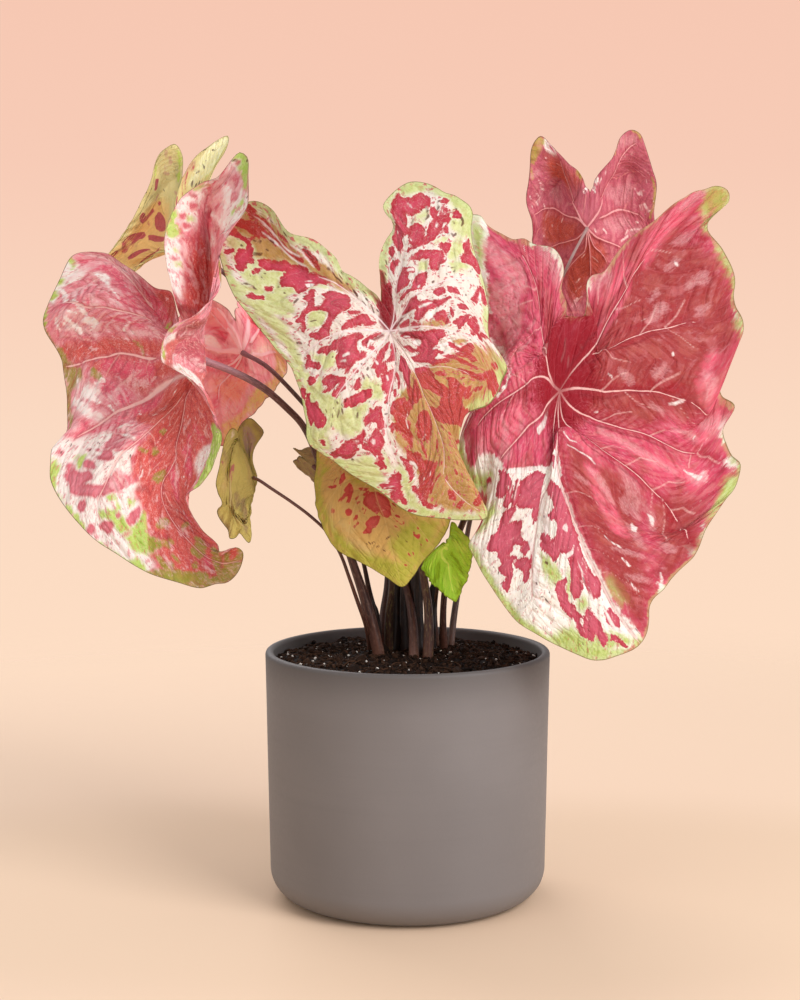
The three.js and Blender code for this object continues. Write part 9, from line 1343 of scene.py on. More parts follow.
  (3,'p',[[-0.531,0.092],[-0.522,0.136],[-0.471,0.097],[-0.431,0.035],[-0.412,0.086],[-0.387,0.105],[-0.346,0.064],[-0.385,0.028],[-0.393,-0.018],[-0.422,-0.041],[-0.477,0.005]]),
  (3,'s',[[-0.374,-0.032,0.76],[-0.336,-0.074,0.70]]),
  (3,'p',[[-0.358,0.154],[-0.306,0.152],[-0.279,0.112],[-0.315,0.103]]),
  (3,'p',[[-0.518,-0.147],[-0.443,-0.136],[-0.344,-0.138],[-0.285,-0.173],[-0.295,-0.209],[-0.363,-0.216],[-0.426,-0.221],[-0.494,-0.205]]),
  (3,'p',[[-0.274,-0.158],[-0.174,-0.102],[-0.088,-0.044],[-0.080,-0.078],[-0.151,-0.153],[-0.226,-0.191]]),
  (3,'p',[[-0.400,-0.248],[-0.375,-0.215],[-0.328,-0.225],[-0.313,-0.257],[-0.346,-0.283]]),
  (3,'s',[[-0.305,-0.302,0.65],[-0.251,-0.277,0.64]]),
  (3,'p',[[-0.524,-0.221],[-0.480,-0.209],[-0.396,-0.294],[-0.309,-0.338],[-0.281,-0.383],[-0.353,-0.377],[-0.435,-0.302]]),
  (3,'p',[[-0.461,-0.407],[-0.474,-0.331],[-0.397,-0.365],[-0.368,-0.425],[-0.391,-0.449]]),
  (3,'p',[[-0.200,-0.404],[-0.196,-0.350],[-0.169,-0.297],[-0.101,-0.226],[-0.073,-0.216],[-0.088,-0.323],[-0.075,-0.382],[-0.108,-0.419]]),
  (3,'s',[[0.258,-0.433,0.82],[0.123,-0.355,1.00],[0.018,-0.242,0.87],[-0.058,-0.139,0.58]]),
  (3,'p',[[-0.484,0.417],[-0.411,0.392],[-0.413,0.351],[-0.407,0.295],[-0.459,0.311],[-0.466,0.364]]),
  (3,'s',[[0.103,0.212,0.58],[0.081,0.232,0.57],[0.067,0.258,0.46]]),
  (3,'s',[[0.115,0.265,0.52],[0.100,0.289,0.63],[0.103,0.315,0.52]]),
  (3,'s',[[0.036,0.094,0.81],[0.041,0.127,0.81]]),
  (3,'s',[[0.137,0.348,0.57],[0.146,0.366,0.57]]),
  (3,'s',[[0.083,0.338,0.46],[0.087,0.361,0.46]]),
  (3,'s',[[0.061,0.277,0.40],[0.056,0.309,0.46]]),
  (11,'s',[[-0.375,0.580,0.92],[-0.365,0.543,1.04]]),
  (11,'s',[[-0.322,0.521,1.15],[-0.298,0.486,1.15]]),
  (11,'s',[[-0.356,0.476,0.81],[-0.338,0.452,0.69]]),
  (11,'s',[[-0.353,0.426,0.81],[-0.284,0.408,0.81]]),
  (11,'s',[[-0.371,0.234,1.16],[-0.381,0.184,0.93]]),
  (11,'s',[[0.085,0.266,1.15],[0.088,0.322,1.38],[0.136,0.372,1.15]]),
  (11,'s',[[-0.133,0.236,0.81],[0.054,0.107,0.81]]),
  (7,'p',[[0.285,0.583],[0.320,0.600],[0.342,0.558],[0.364,0.508],[0.317,0.441],[0.252,0.376],[0.196,0.321],[0.145,0.289],[0.160,0.334],[0.167,0.377],[0.164,0.419],[0.198,0.507]]),
  (7,'p',[[0.140,0.320],[0.180,0.370],[0.272,0.413],[0.216,0.347],[0.149,0.286]]),
  (1,'s',[[-0.268,0.558,0.69],[-0.181,0.451,0.92],[-0.115,0.323,0.81]]),
  (1,'s',[[-0.475,0.488,0.58],[-0.487,0.433,0.58]]),
  (1,'s',[[0.341,0.575,0.46],[0.361,0.516,0.57],[0.296,0.426,0.57]]),
  (6,'s',[[-0.339,0.589,0.46],[-0.328,0.579,0.40]]),
  (6,'s',[[-0.309,0.381,0.46],[-0.291,0.370,0.46]]),
  (6,'s',[[-0.298,0.279,0.46],[-0.276,0.256,0.35]]),
  (6,'s',[[-0.610,0.222,0.58],[-0.603,0.212,0.58]]),
  (6,'s',[[-0.611,0.322,0.35],[-0.574,0.328,0.46]]),
  (6,'s',[[0.148,0.444,0.29],[0.170,0.468,0.34]]),
  (6,'s',[[0.229,0.496,0.29],[0.238,0.509,0.29]]),
  (6,'s',[[0.256,0.509,0.29],[0.268,0.519,0.34]]),
  (6,'s',[[0.238,0.538,0.34],[0.251,0.539,0.34]]),
  (6,'s',[[0.225,0.448,0.34],[0.234,0.471,0.29]]),
  (6,'s',[[0.199,0.421,0.34],[0.216,0.424,0.29]]),
  (6,'s',[[0.148,0.407,0.29],[0.156,0.404,0.29]]),
  (6,'s',[[0.138,0.382,0.34],[0.145,0.378,0.29]]),
  (6,'s',[[0.236,0.416,0.29],[0.242,0.434,0.34]]),
  (6,'s',[[0.183,0.368,0.34],[0.212,0.396,0.29]]),
  (6,'s',[[0.158,0.308,0.29],[0.185,0.343,0.34]]),
  (6,'s',[[0.188,0.313,0.40],[0.229,0.351,0.63],[0.282,0.398,0.46]])],
 'small_hanging': [
  (7,'p',[[-0.235,0.456],[-0.330,0.515],[-0.429,0.454],[-0.557,0.372],[-0.486,0.238],[-0.327,0.229],[-0.260,0.327]]),
  (3,'s',[[-0.313,0.438,0.38],[-0.390,0.363,0.49],[-0.459,0.319,0.33]]),
  (3,'p',[[0.459,0.206],[0.332,0.172],[0.346,0.091],[0.409,0.132]]),
  (3,'p',[[0.457,0.109],[0.380,0.084],[0.389,0.020],[0.432,0.038]]),
  (3,'s',[[0.557,0.329,0.54],[0.537,0.294,0.49]]),
  (3,'s',[[0.374,0.399,0.38],[0.362,0.289,0.38]]),
  (3,'s',[[0.412,-0.054,0.38],[0.398,-0.083,0.32]]),
  (3,'s',[[-0.430,-0.036,0.76],[-0.433,-0.161,0.65],[-0.000,-0.239,0.43]]),
  (5,'s',[[0.527,0.457,0.32],[0.481,0.317,0.32]]),
  (5,'s',[[0.520,-0.382,0.76],[0.455,-0.550,1.30],[0.304,-0.700,1.08]]),
  (5,'s',[[0.158,-0.297,1.63],[-0.045,-0.619,2.17],[0.025,-0.842,1.62]]),
  (5,'s',[[0.327,-0.163,1.08],[0.209,-0.391,1.63]]),
  (5,'s',[[-0.392,0.556,1.10],[-0.483,0.509,1.10]]),
  (5,'s',[[-0.221,0.500,1.09],[-0.163,0.444,0.55]]),
  (1,'s',[[0.150,-0.387,1.08],[0.048,-0.616,1.30]]),
  (0,'s',[[0.428,0.633,0.65],[0.517,0.581,0.76],[0.537,0.501,0.65]]),
  (0,'s',[[0.272,0.625,0.54],[0.334,0.521,0.65]]),
  (8,'s',[[0.500,0.289,1.62],[0.443,0.090,1.62],[0.512,-0.032,1.62]]),
  (8,'s',[[0.047,0.047,1.09],[0.093,-0.022,1.09]])],
 'lower_front': [
  (1,'p',[[0.072,-0.523],[0.347,-0.323],[0.509,-0.238],[0.428,-0.508],[0.222,-0.789],[0.053,-0.769],[-0.037,-0.630]]),
  (3,'p',[[-0.121,-0.207],[-0.078,-0.160],[-0.027,-0.141],[0.007,-0.137],[0.050,-0.170],[0.085,-0.208],[0.105,-0.243],[0.100,-0.300],[0.076,-0.376],[0.035,-0.410],[-0.008,-0.398],[-0.015,-0.343],[-0.044,-0.354],[-0.070,-0.310],[-0.090,-0.270],[-0.112,-0.234]]),
  (3,'p',[[-0.158,-0.421],[-0.168,-0.384],[-0.096,-0.358],[-0.058,-0.369],[-0.021,-0.385],[-0.057,-0.437],[-0.092,-0.458],[-0.129,-0.458],[-0.142,-0.488],[-0.191,-0.471],[-0.224,-0.441],[-0.168,-0.425]]),
  (3,'p',[[-0.294,0.038],[-0.247,0.032],[-0.236,-0.018],[-0.291,-0.064],[-0.313,-0.039]]),
  (3,'p',[[-0.263,-0.098],[-0.198,-0.054],[-0.169,-0.105],[-0.195,-0.155],[-0.229,-0.186],[-0.258,-0.179],[-0.219,-0.138],[-0.262,-0.154],[-0.307,-0.153],[-0.343,-0.146],[-0.302,-0.131],[-0.245,-0.114]]),
  (3,'s',[[-0.357,0.062,0.48],[-0.379,0.017,0.48]]),
  (3,'s',[[-0.459,0.072,0.37],[-0.392,-0.001,0.74],[-0.351,-0.028,0.64]]),
  (3,'p',[[-0.142,-0.100],[-0.091,-0.095],[-0.037,-0.106],[-0.072,-0.128],[-0.119,-0.116]]),
  (3,'p',[[-0.091,-0.142],[-0.055,-0.121],[-0.042,-0.139],[-0.080,-0.168],[-0.118,-0.153]]),
  (3,'s',[[-0.164,-0.174,0.48],[-0.135,-0.158,0.53]]),
  (3,'s',[[-0.161,-0.203,0.42],[-0.136,-0.202,0.48]]),
  (3,'p',[[-0.282,-0.223],[-0.237,-0.215],[-0.207,-0.245],[-0.236,-0.271],[-0.273,-0.259]]),
  (3,'s',[[-0.421,-0.167,0.80],[-0.395,-0.180,0.58]]),
  (3,'s',[[-0.274,-0.199,0.32],[-0.286,-0.202,0.32]]),
  (3,'p',[[-0.225,-0.292],[-0.183,-0.278],[-0.178,-0.308],[-0.220,-0.322],[-0.239,-0.321]]),
  (3,'s',[[-0.251,-0.363,0.53],[-0.206,-0.350,0.58]]),
  (3,'s',[[-0.164,-0.271,0.42],[-0.126,-0.255,0.42]]),
  (3,'s',[[-0.131,-0.297,0.37],[-0.109,-0.280,0.37]]),
  (3,'s',[[0.128,-0.258,0.63],[0.143,-0.272,0.53]]),
  (3,'s',[[0.107,-0.309,0.37],[0.118,-0.335,0.37]]),
  (3,'s',[[0.127,-0.372,0.69],[0.156,-0.371,0.58]]),
  (3,'s',[[0.098,-0.399,0.32],[0.122,-0.420,0.32],[0.158,-0.436,0.32]]),
  (3,'s',[[0.086,-0.472,0.37],[0.123,-0.490,0.37]]),
  (3,'s',[[0.198,-0.393,0.48],[0.179,-0.428,0.42]]),
  (3,'s',[[0.320,-0.405,0.48],[0.319,-0.414,0.48]]),
  (3,'s',[[0.271,-0.492,0.63],[0.297,-0.499,0.85],[0.320,-0.470,0.69]]),
  (3,'s',[[0.266,-0.466,0.37],[0.284,-0.468,0.37]]),
  (3,'s',[[0.380,-0.477,0.48],[0.386,-0.492,0.48]]),
  (3,'s',[[0.316,-0.556,0.48],[0.325,-0.561,0.42]]),
  (3,'s',[[0.169,-0.691,0.79],[0.187,-0.706,0.69]]),
  (3,'s',[[0.228,-0.670,0.58],[0.235,-0.686,0.48]]),
  (3,'s',[[0.104,-0.795,0.53],[0.128,-0.793,0.47]]),
  (3,'s',[[0.524,-0.428,0.58],[0.531,-0.444,0.53]]),
  (3,'s',[[-0.408,0.255,0.37],[-0.368,0.184,0.32]]),
  (3,'s',[[-0.301,0.094,0.37],[-0.295,0.051,0.32]]),
  (4,'s',[[-0.043,-0.279,0.32],[0.006,-0.282,0.26]]),
  (4,'s',[[-0.055,-0.338,0.26],[0.026,-0.328,0.32]]),
  (4,'s',[[-0.014,-0.236,0.26],[-0.012,-0.257,0.21]]),
  (4,'s',[[-0.122,-0.442,0.26],[-0.074,-0.457,0.21]]),
  (6,'s',[[-0.223,-0.553,0.48],[-0.198,-0.546,0.42]]),
  (6,'s',[[-0.189,-0.569,0.42],[-0.156,-0.565,0.42]]),
  (6,'s',[[-0.147,-0.614,0.53],[-0.125,-0.612,0.48]]),
  (6,'s',[[-0.099,-0.653,0.42],[-0.072,-0.667,0.42]]),
  (6,'s',[[-0.316,-0.456,0.37],[-0.295,-0.458,0.32]]),
  (6,'s',[[-0.038,-0.574,0.42],[0.010,-0.555,0.47]]),
  (6,'s',[[0.087,-0.545,0.37],[0.093,-0.561,0.37]]),
  (6,'s',[[0.162,-0.582,0.37],[0.183,-0.585,0.37]]),
  (6,'s',[[0.323,-0.316,0.42],[0.322,-0.325,0.37]]),
  (6,'s',[[0.129,-0.505,0.32],[0.138,-0.512,0.26]]),
  (6,'s',[[-0.080,-0.632,0.32],[-0.070,-0.634,0.26]]),
  (6,'s',[[0.339,-0.593,0.32],[0.349,-0.589,0.26]]),
  (6,'s',[[0.024,-0.611,0.26],[0.035,-0.611,0.21]]),
  (1,'p',[[-0.581,0.489],[-0.460,0.405],[-0.508,0.327],[-0.561,0.259],[-0.602,0.134],[-0.581,-0.034],[-0.523,-0.234],[-0.473,-0.381],[-0.434,-0.519],[-0.343,-0.681],[-0.240,-0.808],[-0.138,-0.912],[-0.003,-1.009],[0.094,-0.934],[0.257,-0.782],[0.378,-0.643],[0.497,-0.466],[0.553,-0.317],[0.591,-0.181],[0.538,-0.289],[0.449,-0.446],[0.304,-0.636],[0.149,-0.764],[-0.018,-0.767],[-0.170,-0.691],[-0.306,-0.569],[-0.373,-0.420],[-0.438,-0.251],[-0.523,-0.031],[-0.553,0.140],[-0.519,0.242],[-0.427,0.274]]),
  (1,'s',[[-0.177,-0.027,0.53],[-0.021,-0.107,0.53],[0.150,-0.237,0.64],[0.285,-0.298,0.74],[0.510,-0.200,0.74]]),
  (7,'s',[[-0.457,-0.137,2.66],[-0.444,-0.263,2.13]]),
  (7,'s',[[-0.340,-0.441,2.12],[-0.229,-0.630,2.64]]),
  (7,'s',[[-0.358,-0.259,2.12],[-0.296,-0.367,2.65]])],
 'small_green': [
  (7,'s',[[-0.094,0.086,1.40],[-0.204,0.117,1.62],[-0.395,0.106,1.62]]),
  (7,'s',[[-0.183,-0.444,1.07],[-0.222,-0.607,1.39]]),
  (7,'s',[[0.188,0.104,2.15],[0.406,0.149,2.16]]),
  (7,'s',[[0.373,0.372,1.62],[0.472,0.304,1.62]]),
  (7,'s',[[0.304,-0.013,0.54],[0.411,-0.121,0.54]]),
  (7,'s',[[0.063,-0.569,0.75],[0.192,-0.606,0.64]]),
  (7,'s',[[0.155,-0.650,0.75],[0.153,-0.759,0.64]]),
  (5,'s',[[-0.192,-0.105,1.29],[-0.277,-0.256,2.15],[-0.508,-0.167,1.61]]),
  (5,'s',[[0.091,-0.075,0.86],[0.201,-0.148,1.61],[0.302,-0.371,1.61]]),
  (5,'s',[[0.090,0.278,1.30],[0.144,0.134,1.08]]),
  (5,'s',[[0.324,-0.617,1.07],[0.131,-0.831,1.07]]),
  (5,'s',[[-0.246,0.497,0.76],[-0.510,0.314,0.76],[-0.568,-0.074,0.75]]),
  (9,'s',[[-0.193,0.137,0.40],[-0.364,0.127,0.40],[-0.559,0.177,0.40]]),
  (9,'s',[[0.023,0.050,0.40],[-0.050,0.119,0.40]])],
}

# Main veins in leaf coordinates: half width in mm at the joint and at the margin, points.
VEINS = {
 'centre': [
  (0.54,0.12,[[0.003,-0.008],[0.012,-0.032],[0.027,-0.066],[0.052,-0.111],[0.083,-0.155],[0.108,-0.184],[0.111,-0.270],[0.078,-0.362],[0.051,-0.422],[0.037,-0.481],[0.016,-0.536],[0.002,-0.579],[0.008,-0.643],[0.005,-0.717],[0.010,-0.789],[0.219,-0.837],[0.146,-0.924]]),
  (0.34,0.10,[[0.118,-0.144],[0.164,-0.144],[0.228,-0.159],[0.290,-0.163],[0.340,-0.184],[0.372,-0.222],[0.403,-0.280]]),
  (0.49,0.20,[[0.035,0.001],[0.093,0.007],[0.200,0.015],[0.299,0.015],[0.385,0.005],[0.444,-0.020],[0.508,-0.026],[0.560,0.008]]),
  (0.45,0.20,[[0.030,0.019],[0.061,0.043],[0.101,0.071],[0.148,0.098],[0.205,0.122],[0.278,0.172],[0.347,0.208],[0.413,0.242],[0.470,0.276],[0.532,0.319]]),
  (0.35,0.20,[[0.028,0.030],[0.047,0.071],[0.064,0.112],[0.102,0.189],[0.138,0.238],[0.173,0.291],[0.200,0.342]]),
  (0.50,0.20,[[-0.009,0.019],[-0.034,0.044],[-0.061,0.074],[-0.087,0.127],[-0.091,0.188],[-0.109,0.223],[-0.148,0.258],[-0.182,0.296]]),
  (0.55,0.20,[[-0.021,0.003],[-0.064,0.009],[-0.108,0.016],[-0.194,0.028],[-0.265,0.038],[-0.334,0.045],[-0.393,0.056],[-0.455,0.064],[-0.506,0.061]]),
  (0.49,0.20,[[-0.012,-0.016],[-0.051,-0.038],[-0.092,-0.051],[-0.142,-0.069],[-0.195,-0.092],[-0.253,-0.122],[-0.298,-0.150],[-0.333,-0.173],[-0.370,-0.192]]),
  (0.49,0.25,[[-0.001,-0.017],[-0.003,-0.057],[-0.017,-0.118],[-0.059,-0.156],[-0.106,-0.171],[-0.142,-0.201],[-0.169,-0.248],[-0.188,-0.291],[-0.212,-0.324],[-0.235,-0.355],[-0.251,-0.388],[-0.268,-0.420],[-0.284,-0.453],[-0.300,-0.488]])],
 'right_front': [
  (0.49,0.25,[[-0.015,-0.003],[-0.007,-0.040],[-0.002,-0.094],[-0.008,-0.297],[-0.030,-0.357],[-0.022,-0.432],[-0.008,-0.507],[-0.005,-0.568],[-0.000,-0.630],[-0.004,-0.706],[-0.003,-0.781],[-0.007,-0.825],[-0.008,-0.864],[-0.004,-0.904],[0.008,-0.991]]),
  (0.41,0.23,[[0.001,-0.027],[0.016,-0.061],[0.063,-0.110],[0.111,-0.215],[0.152,-0.292],[0.219,-0.326],[0.298,-0.357],[0.329,-0.370],[0.350,-0.397],[0.368,-0.448],[0.306,-0.696]]),
  (0.44,0.26,[[0.010,-0.011],[0.045,-0.033],[0.134,-0.066],[0.176,-0.087],[0.256,-0.134],[0.332,-0.158],[0.396,-0.170],[0.455,-0.196],[0.473,-0.211]]),
  (0.44,0.21,[[0.029,0.003],[0.051,0.001],[0.078,-0.000],[0.114,0.000],[0.161,0.000],[0.251,-0.010],[0.327,-0.011],[0.379,0.002],[0.409,0.012],[0.435,0.024],[0.472,0.037],[0.499,0.027],[0.544,-0.018]]),
  (0.52,0.21,[[0.103,0.080],[0.186,0.107],[0.260,0.146],[0.329,0.163],[0.360,0.180],[0.403,0.213],[0.444,0.244],[0.470,0.256],[0.495,0.249]]),
  (0.47,0.42,[[0.018,0.006],[0.027,0.014],[0.034,0.025],[0.047,0.037],[0.069,0.062],[0.093,0.123],[0.143,0.232],[0.155,0.258],[0.187,0.296],[0.220,0.334],[0.276,0.388],[0.301,0.422]]),
  (0.46,0.23,[[-0.025,0.000],[-0.040,0.009],[-0.052,0.028],[-0.063,0.050],[-0.099,0.141],[-0.179,0.243],[-0.211,0.287],[-0.217,0.327],[-0.209,0.350],[-0.202,0.372],[-0.204,0.416],[-0.205,0.458]]),
  (0.45,0.25,[[-0.045,0.012],[-0.207,-0.002],[-0.286,-0.006],[-0.363,-0.009],[-0.436,-0.019],[-0.498,-0.025]]),
  (0.45,0.20,[[-0.033,-0.021],[-0.090,-0.055],[-0.225,-0.096],[-0.303,-0.126],[-0.393,-0.154]]),
  (0.34,0.25,[[-0.022,-0.073],[-0.090,-0.174],[-0.077,-0.361],[-0.157,-0.309],[-0.189,-0.316],[-0.221,-0.360],[-0.238,-0.414],[-0.283,-0.602]])],
 'left_front': [
  (0.34,0.25,[[0.000,-0.207],[0.013,-0.282],[0.012,-0.352],[0.005,-0.418],[0.013,-0.461],[0.029,-0.494],[0.015,-0.530],[-0.018,-0.558],[-0.037,-0.594],[-0.039,-0.632],[-0.029,-0.679],[-0.004,-0.726],[0.040,-0.783],[0.138,-0.827],[0.165,-0.877],[0.024,-0.957]]),
  (0.76,0.25,[[-0.038,-0.215],[-0.078,-0.254],[-0.122,-0.288],[-0.160,-0.342],[-0.195,-0.385],[-0.228,-0.411],[-0.260,-0.428],[-0.275,-0.474],[-0.301,-0.516],[-0.342,-0.535]]),
  (1.04,0.31,[[-0.131,-0.057],[-0.171,-0.064],[-0.215,-0.088],[-0.243,-0.107],[-0.300,-0.140],[-0.356,-0.170],[-0.402,-0.211],[-0.433,-0.239],[-0.460,-0.250],[-0.495,-0.250]]),
  (0.48,0.26,[[-0.211,-0.005],[-0.297,-0.002],[-0.368,-0.010],[-0.424,-0.031],[-0.488,-0.035],[-0.533,-0.021],[-0.608,0.071]]),
  (0.84,0.37,[[-0.212,0.180],[-0.261,0.176],[-0.303,0.180],[-0.341,0.181],[-0.370,0.185],[-0.406,0.190],[-0.445,0.179],[-0.474,0.211],[-0.509,0.337]]),
  (0.79,0.94,[[-0.196,0.278],[-0.225,0.352],[-0.251,0.389],[-0.277,0.427],[-0.294,0.475],[-0.238,0.515]])],
 'left_mid_back': [
  (0.93,0.60,[[-0.034,0.035],[-0.156,0.241],[-0.251,0.302],[-0.308,0.373],[-0.304,0.424]]),
  (0.81,0.60,[[-0.020,0.052],[-0.058,0.110],[-0.087,0.229],[-0.097,0.295]]),
  (1.30,0.98,[[0.062,0.033],[0.104,0.078],[0.163,0.214],[0.212,0.400]]),
  (0.71,0.49,[[0.109,0.028],[0.182,0.066],[0.267,0.126]]),
  (0.76,0.49,[[0.106,-0.033],[0.213,-0.046],[0.344,-0.003],[0.481,0.107]]),
  (0.98,0.87,[[-0.088,0.005],[-0.163,-0.011],[-0.246,-0.043],[-0.330,-0.079]]),
  (0.44,0.27,[[-0.038,-0.024],[-0.079,-0.061],[-0.132,-0.100],[-0.205,-0.154]]),
  (0.38,0.27,[[-0.042,-0.054],[-0.122,-0.177],[-0.225,-0.277],[-0.299,-0.384]])],
 'right_back': [
  (0.49,0.33,[[-0.036,0.016],[-0.072,0.052],[-0.153,0.246],[-0.166,0.298],[-0.177,0.366],[-0.179,0.437]]),
  (0.39,0.28,[[-0.061,0.025],[-0.136,0.046],[-0.211,0.068],[-0.291,0.080],[-0.383,0.103],[-0.491,0.160],[-0.569,0.205]]),
  (0.60,0.33,[[0.065,0.043],[0.105,0.124],[0.138,0.244],[0.185,0.269],[0.192,0.323],[0.202,0.394],[0.262,0.462],[0.312,0.508],[0.361,0.550]]),
  (0.50,0.28,[[0.108,0.039],[0.179,0.054],[0.271,0.071],[0.349,0.098],[0.413,0.128],[0.469,0.154],[0.525,0.133]]),
  (0.45,0.28,[[0.062,-0.035],[0.115,-0.050],[0.203,-0.067],[0.288,-0.080]]),
  (0.39,0.28,[[0.020,-0.031],[0.023,-0.077],[0.025,-0.194],[0.003,-0.344]]),
  (0.39,0.28,[[-0.002,-0.090],[-0.055,-0.145],[-0.119,-0.210],[-0.186,-0.276]]),
  (0.34,0.22,[[-0.055,-0.041],[-0.126,-0.062],[-0.257,-0.077],[-0.376,-0.088]]),
  (0.33,0.28,[[0.056,-0.084],[0.099,-0.109],[0.151,-0.157],[0.169,-0.190]])],
 'left_back': [
  (0.38,0.27,[[-0.203,0.055],[-0.281,0.161],[-0.344,0.326],[-0.395,0.442],[-0.397,0.512]])],
 'small_hanging': [
  (0.57,0.41,[[0.424,0.152],[0.411,-0.042],[0.349,-0.246],[0.194,-0.516],[0.111,-0.730]])],
 'small_green': [
  (0.81,0.51,[[-0.050,0.076],[-0.023,-0.067],[0.004,-0.230],[-0.011,-0.439],[-0.044,-0.602],[-0.063,-0.800]])],
}

# ---------------------------------------------------------------------------------
# numeric helpers
# ---------------------------------------------------------------------------------
RNG = np.random.RandomState(4711)
PERM = RNG.permutation(256)
VALS = RNG.uniform(-1, 1, 256)


def vnoise(p, scale=1.0, seed=0):
    """Smooth value noise in -1..1 at the points p (n,3)."""
    p = np.asarray(p, float) * scale + seed * 17.31
    i = np.floor(p).astype(int)
    f = p - i
    f = f * f * f * (f * (f * 6 - 15) + 10)
    out = 0
    for dx in (0, 1):
        for dy in (0, 1):
            for dz in (0, 1):
                h = PERM[(PERM[(PERM[(i[:, 0] + dx) & 255] + i[:, 1] + dy) & 255] + i[:, 2] + dz) & 255]
                w = (f[:, 0] if dx else 1 - f[:, 0]) * (f[:, 1] if dy else 1 - f[:, 1]) * (f[:, 2] if dz else 1 - f[:, 2])
                out = out + w * VALS[h]
    return out


def fbm(p, scale, octaves=3, gain=0.5, seed=0):
    out, a = 0, 1.0
    for o in range(octaves):
        out = out + a * vnoise(p, scale * 2 ** o, seed + o)
        a *= gain
    return out


def smooth(x, lo, hi):
    t = np.clip((x - lo) / (hi - lo), 0, 1)
    return t * t * (3 - 2 * t)


def cells(x, y, seed=0):
    """An irregular pattern of cells at x, y (one cell a unit): how far each point lies inside its
    cell, 0 on the border and about 1 in the middle."""
    ix, iy = np.floor(x).astype(int), np.floor(y).astype(int)
    f1 = np.full(len(x), 9.0)
    f2 = f1.copy()
    for dx in (-1, 0, 1):
        for dy in (-1, 0, 1):
            h = PERM[(PERM[(ix + dx + seed) & 255] + iy + dy) & 255]
            px = ix + dx + 0.5 + 0.42 * VALS[h]
            py = iy + dy + 0.5 + 0.42 * VALS[PERM[(h + 91) & 255]]
            dist = np.hypot(px - x, py - y)
            f2 = np.minimum(f2, np.maximum(f1, dist))
            f1 = np.minimum(f1, dist)
    return np.clip((f2 - f1) / 0.7, 0, 1)


def flat_outline():
    left = [(-u, v) for u, v in HALF_OUTLINE]
    pts = np.array(left + list(reversed(HALF_OUTLINE[:-1])), float)
    n, seg, out = len(pts), 24, []
    for i in range(n - 1):
        p0, p1, p2, p3 = pts[max(i - 1, 0)], pts[i], pts[i + 1], pts[min(i + 2, n - 1)]
        for k in range(seg):
            t = k / seg
            out.append(0.5 * (2 * p1 + (p2 - p0) * t + (2 * p0 - 5 * p1 + 4 * p2 - p3) * t * t
                              + (3 * p1 - p0 - 3 * p2 + p3) * t ** 3))
    out.append(pts[-1])
    out = np.array(out)
    length = np.concatenate([[0], np.cumsum(np.linalg.norm(np.diff(out, axis=0), axis=1))])
    return out, length / length[-1]


OUT_P, OUT_S = flat_outline()
OUT_A = np.degrees(np.arctan2(OUT_P[:, 0], -OUT_P[:, 1]))
OUT_A[0], OUT_A[-1] = -180, 180


def outline_at(s):
    return np.stack([np.interp(s, OUT_S, OUT_P[:, 0]), np.interp(s, OUT_S, OUT_P[:, 1])], -1)


def ray_s(phi):
    """Where along the outline the ray at the angle phi from the tip direction ends."""
    i = np.interp(phi, OUT_A, np.arange(len(OUT_A)))
    return float(np.interp(i, np.arange(len(OUT_S)), OUT_S))


def tps_fit(ctl):
    ctl = np.array(ctl, float)
    U, V = ctl[:, :2], ctl[:, 2:]
    n = len(U)
    d2 = ((U[:, None] - U[None]) ** 2).sum(-1)
    K = 0.5 * d2 * np.log(d2 + 1e-18)
    A = np.zeros((n + 3, n + 3))
    A[:n, :n] = K + 1e-6 * np.eye(n)
    A[:n, n] = 1
    A[:n, n + 1:] = U
    A[n:, :n] = A[:n, n:].T
    B = np.zeros((n + 3, 3))
    B[:n] = V
    return U, np.linalg.solve(A, B)


def tps_eval(F, Q):
    U, W = F
    d2 = (Q[:, 0:1] - U[None, :, 0]) ** 2 + (Q[:, 1:2] - U[None, :, 1]) ** 2
    K = 0.5 * d2 * np.log(d2 + 1e-18)
    return K @ W[:len(U)] + W[len(U)] + Q @ W[len(U) + 1:]


def stroke_dist(P, pts, S):
    """Signed distance in mm from the flat points P to a stroke [(u, v, half width mm)...]."""
    best = np.full(len(P), 99.0)
    pts = np.asarray(pts, float)
    for a, b in zip(pts[:-1], pts[1:]):
        d = b[:2] - a[:2]
        t = np.clip(((P - a[:2]) @ d) / max(d @ d, 1e-12), 0, 1)
        dist = np.hypot(*(P - (a[:2] + t[:, None] * d)).T) * S - (a[2] + t * (b[2] - a[2]))
        best = np.minimum(best, dist)
    return best


def patch_dist(P, pts, S):
    """Signed distance in mm from the flat points P to a closed patch, negative inside."""
    pts = np.asarray(pts, float)
    best = np.full(len(P), 99.0)
    inside = np.zeros(len(P), bool)
    for a, b in zip(pts, np.roll(pts, -1, axis=0)):
        d = b - a
        t = np.clip(((P - a) @ d) / max(d @ d, 1e-12), 0, 1)
        best = np.minimum(best, np.hypot(*(P - (a + t[:, None] * d)).T) * S)
        if a[1] != b[1]:
            cross = (a[1] > P[:, 1]) != (b[1] > P[:, 1])
            inside ^= cross & (P[:, 0] < (b[0] - a[0]) * (P[:, 1] - a[1]) / (b[1] - a[1]) + a[0])
    return np.where(inside, -best, best)


def mark_fields(name, flat, S):
    """Per point, the signed distances in mm from the blade's marks of each kind."""
    sd = np.full((len(flat), 12), 12.0)
    for kind, how, pts in MARKS.get(name, []):
        box = np.asarray(pts, float)[:, :2]
        lo, hi = box.min(0) - 12.0 / S, box.max(0) + 12.0 / S
        k = np.nonzero(((flat >= lo) & (flat <= hi)).all(1))[0]
        if len(k):
            d = (stroke_dist if how == "s" else patch_dist)(flat[k], pts, S)
            sd[k, kind] = np.minimum(sd[k, kind], d)
    return sd


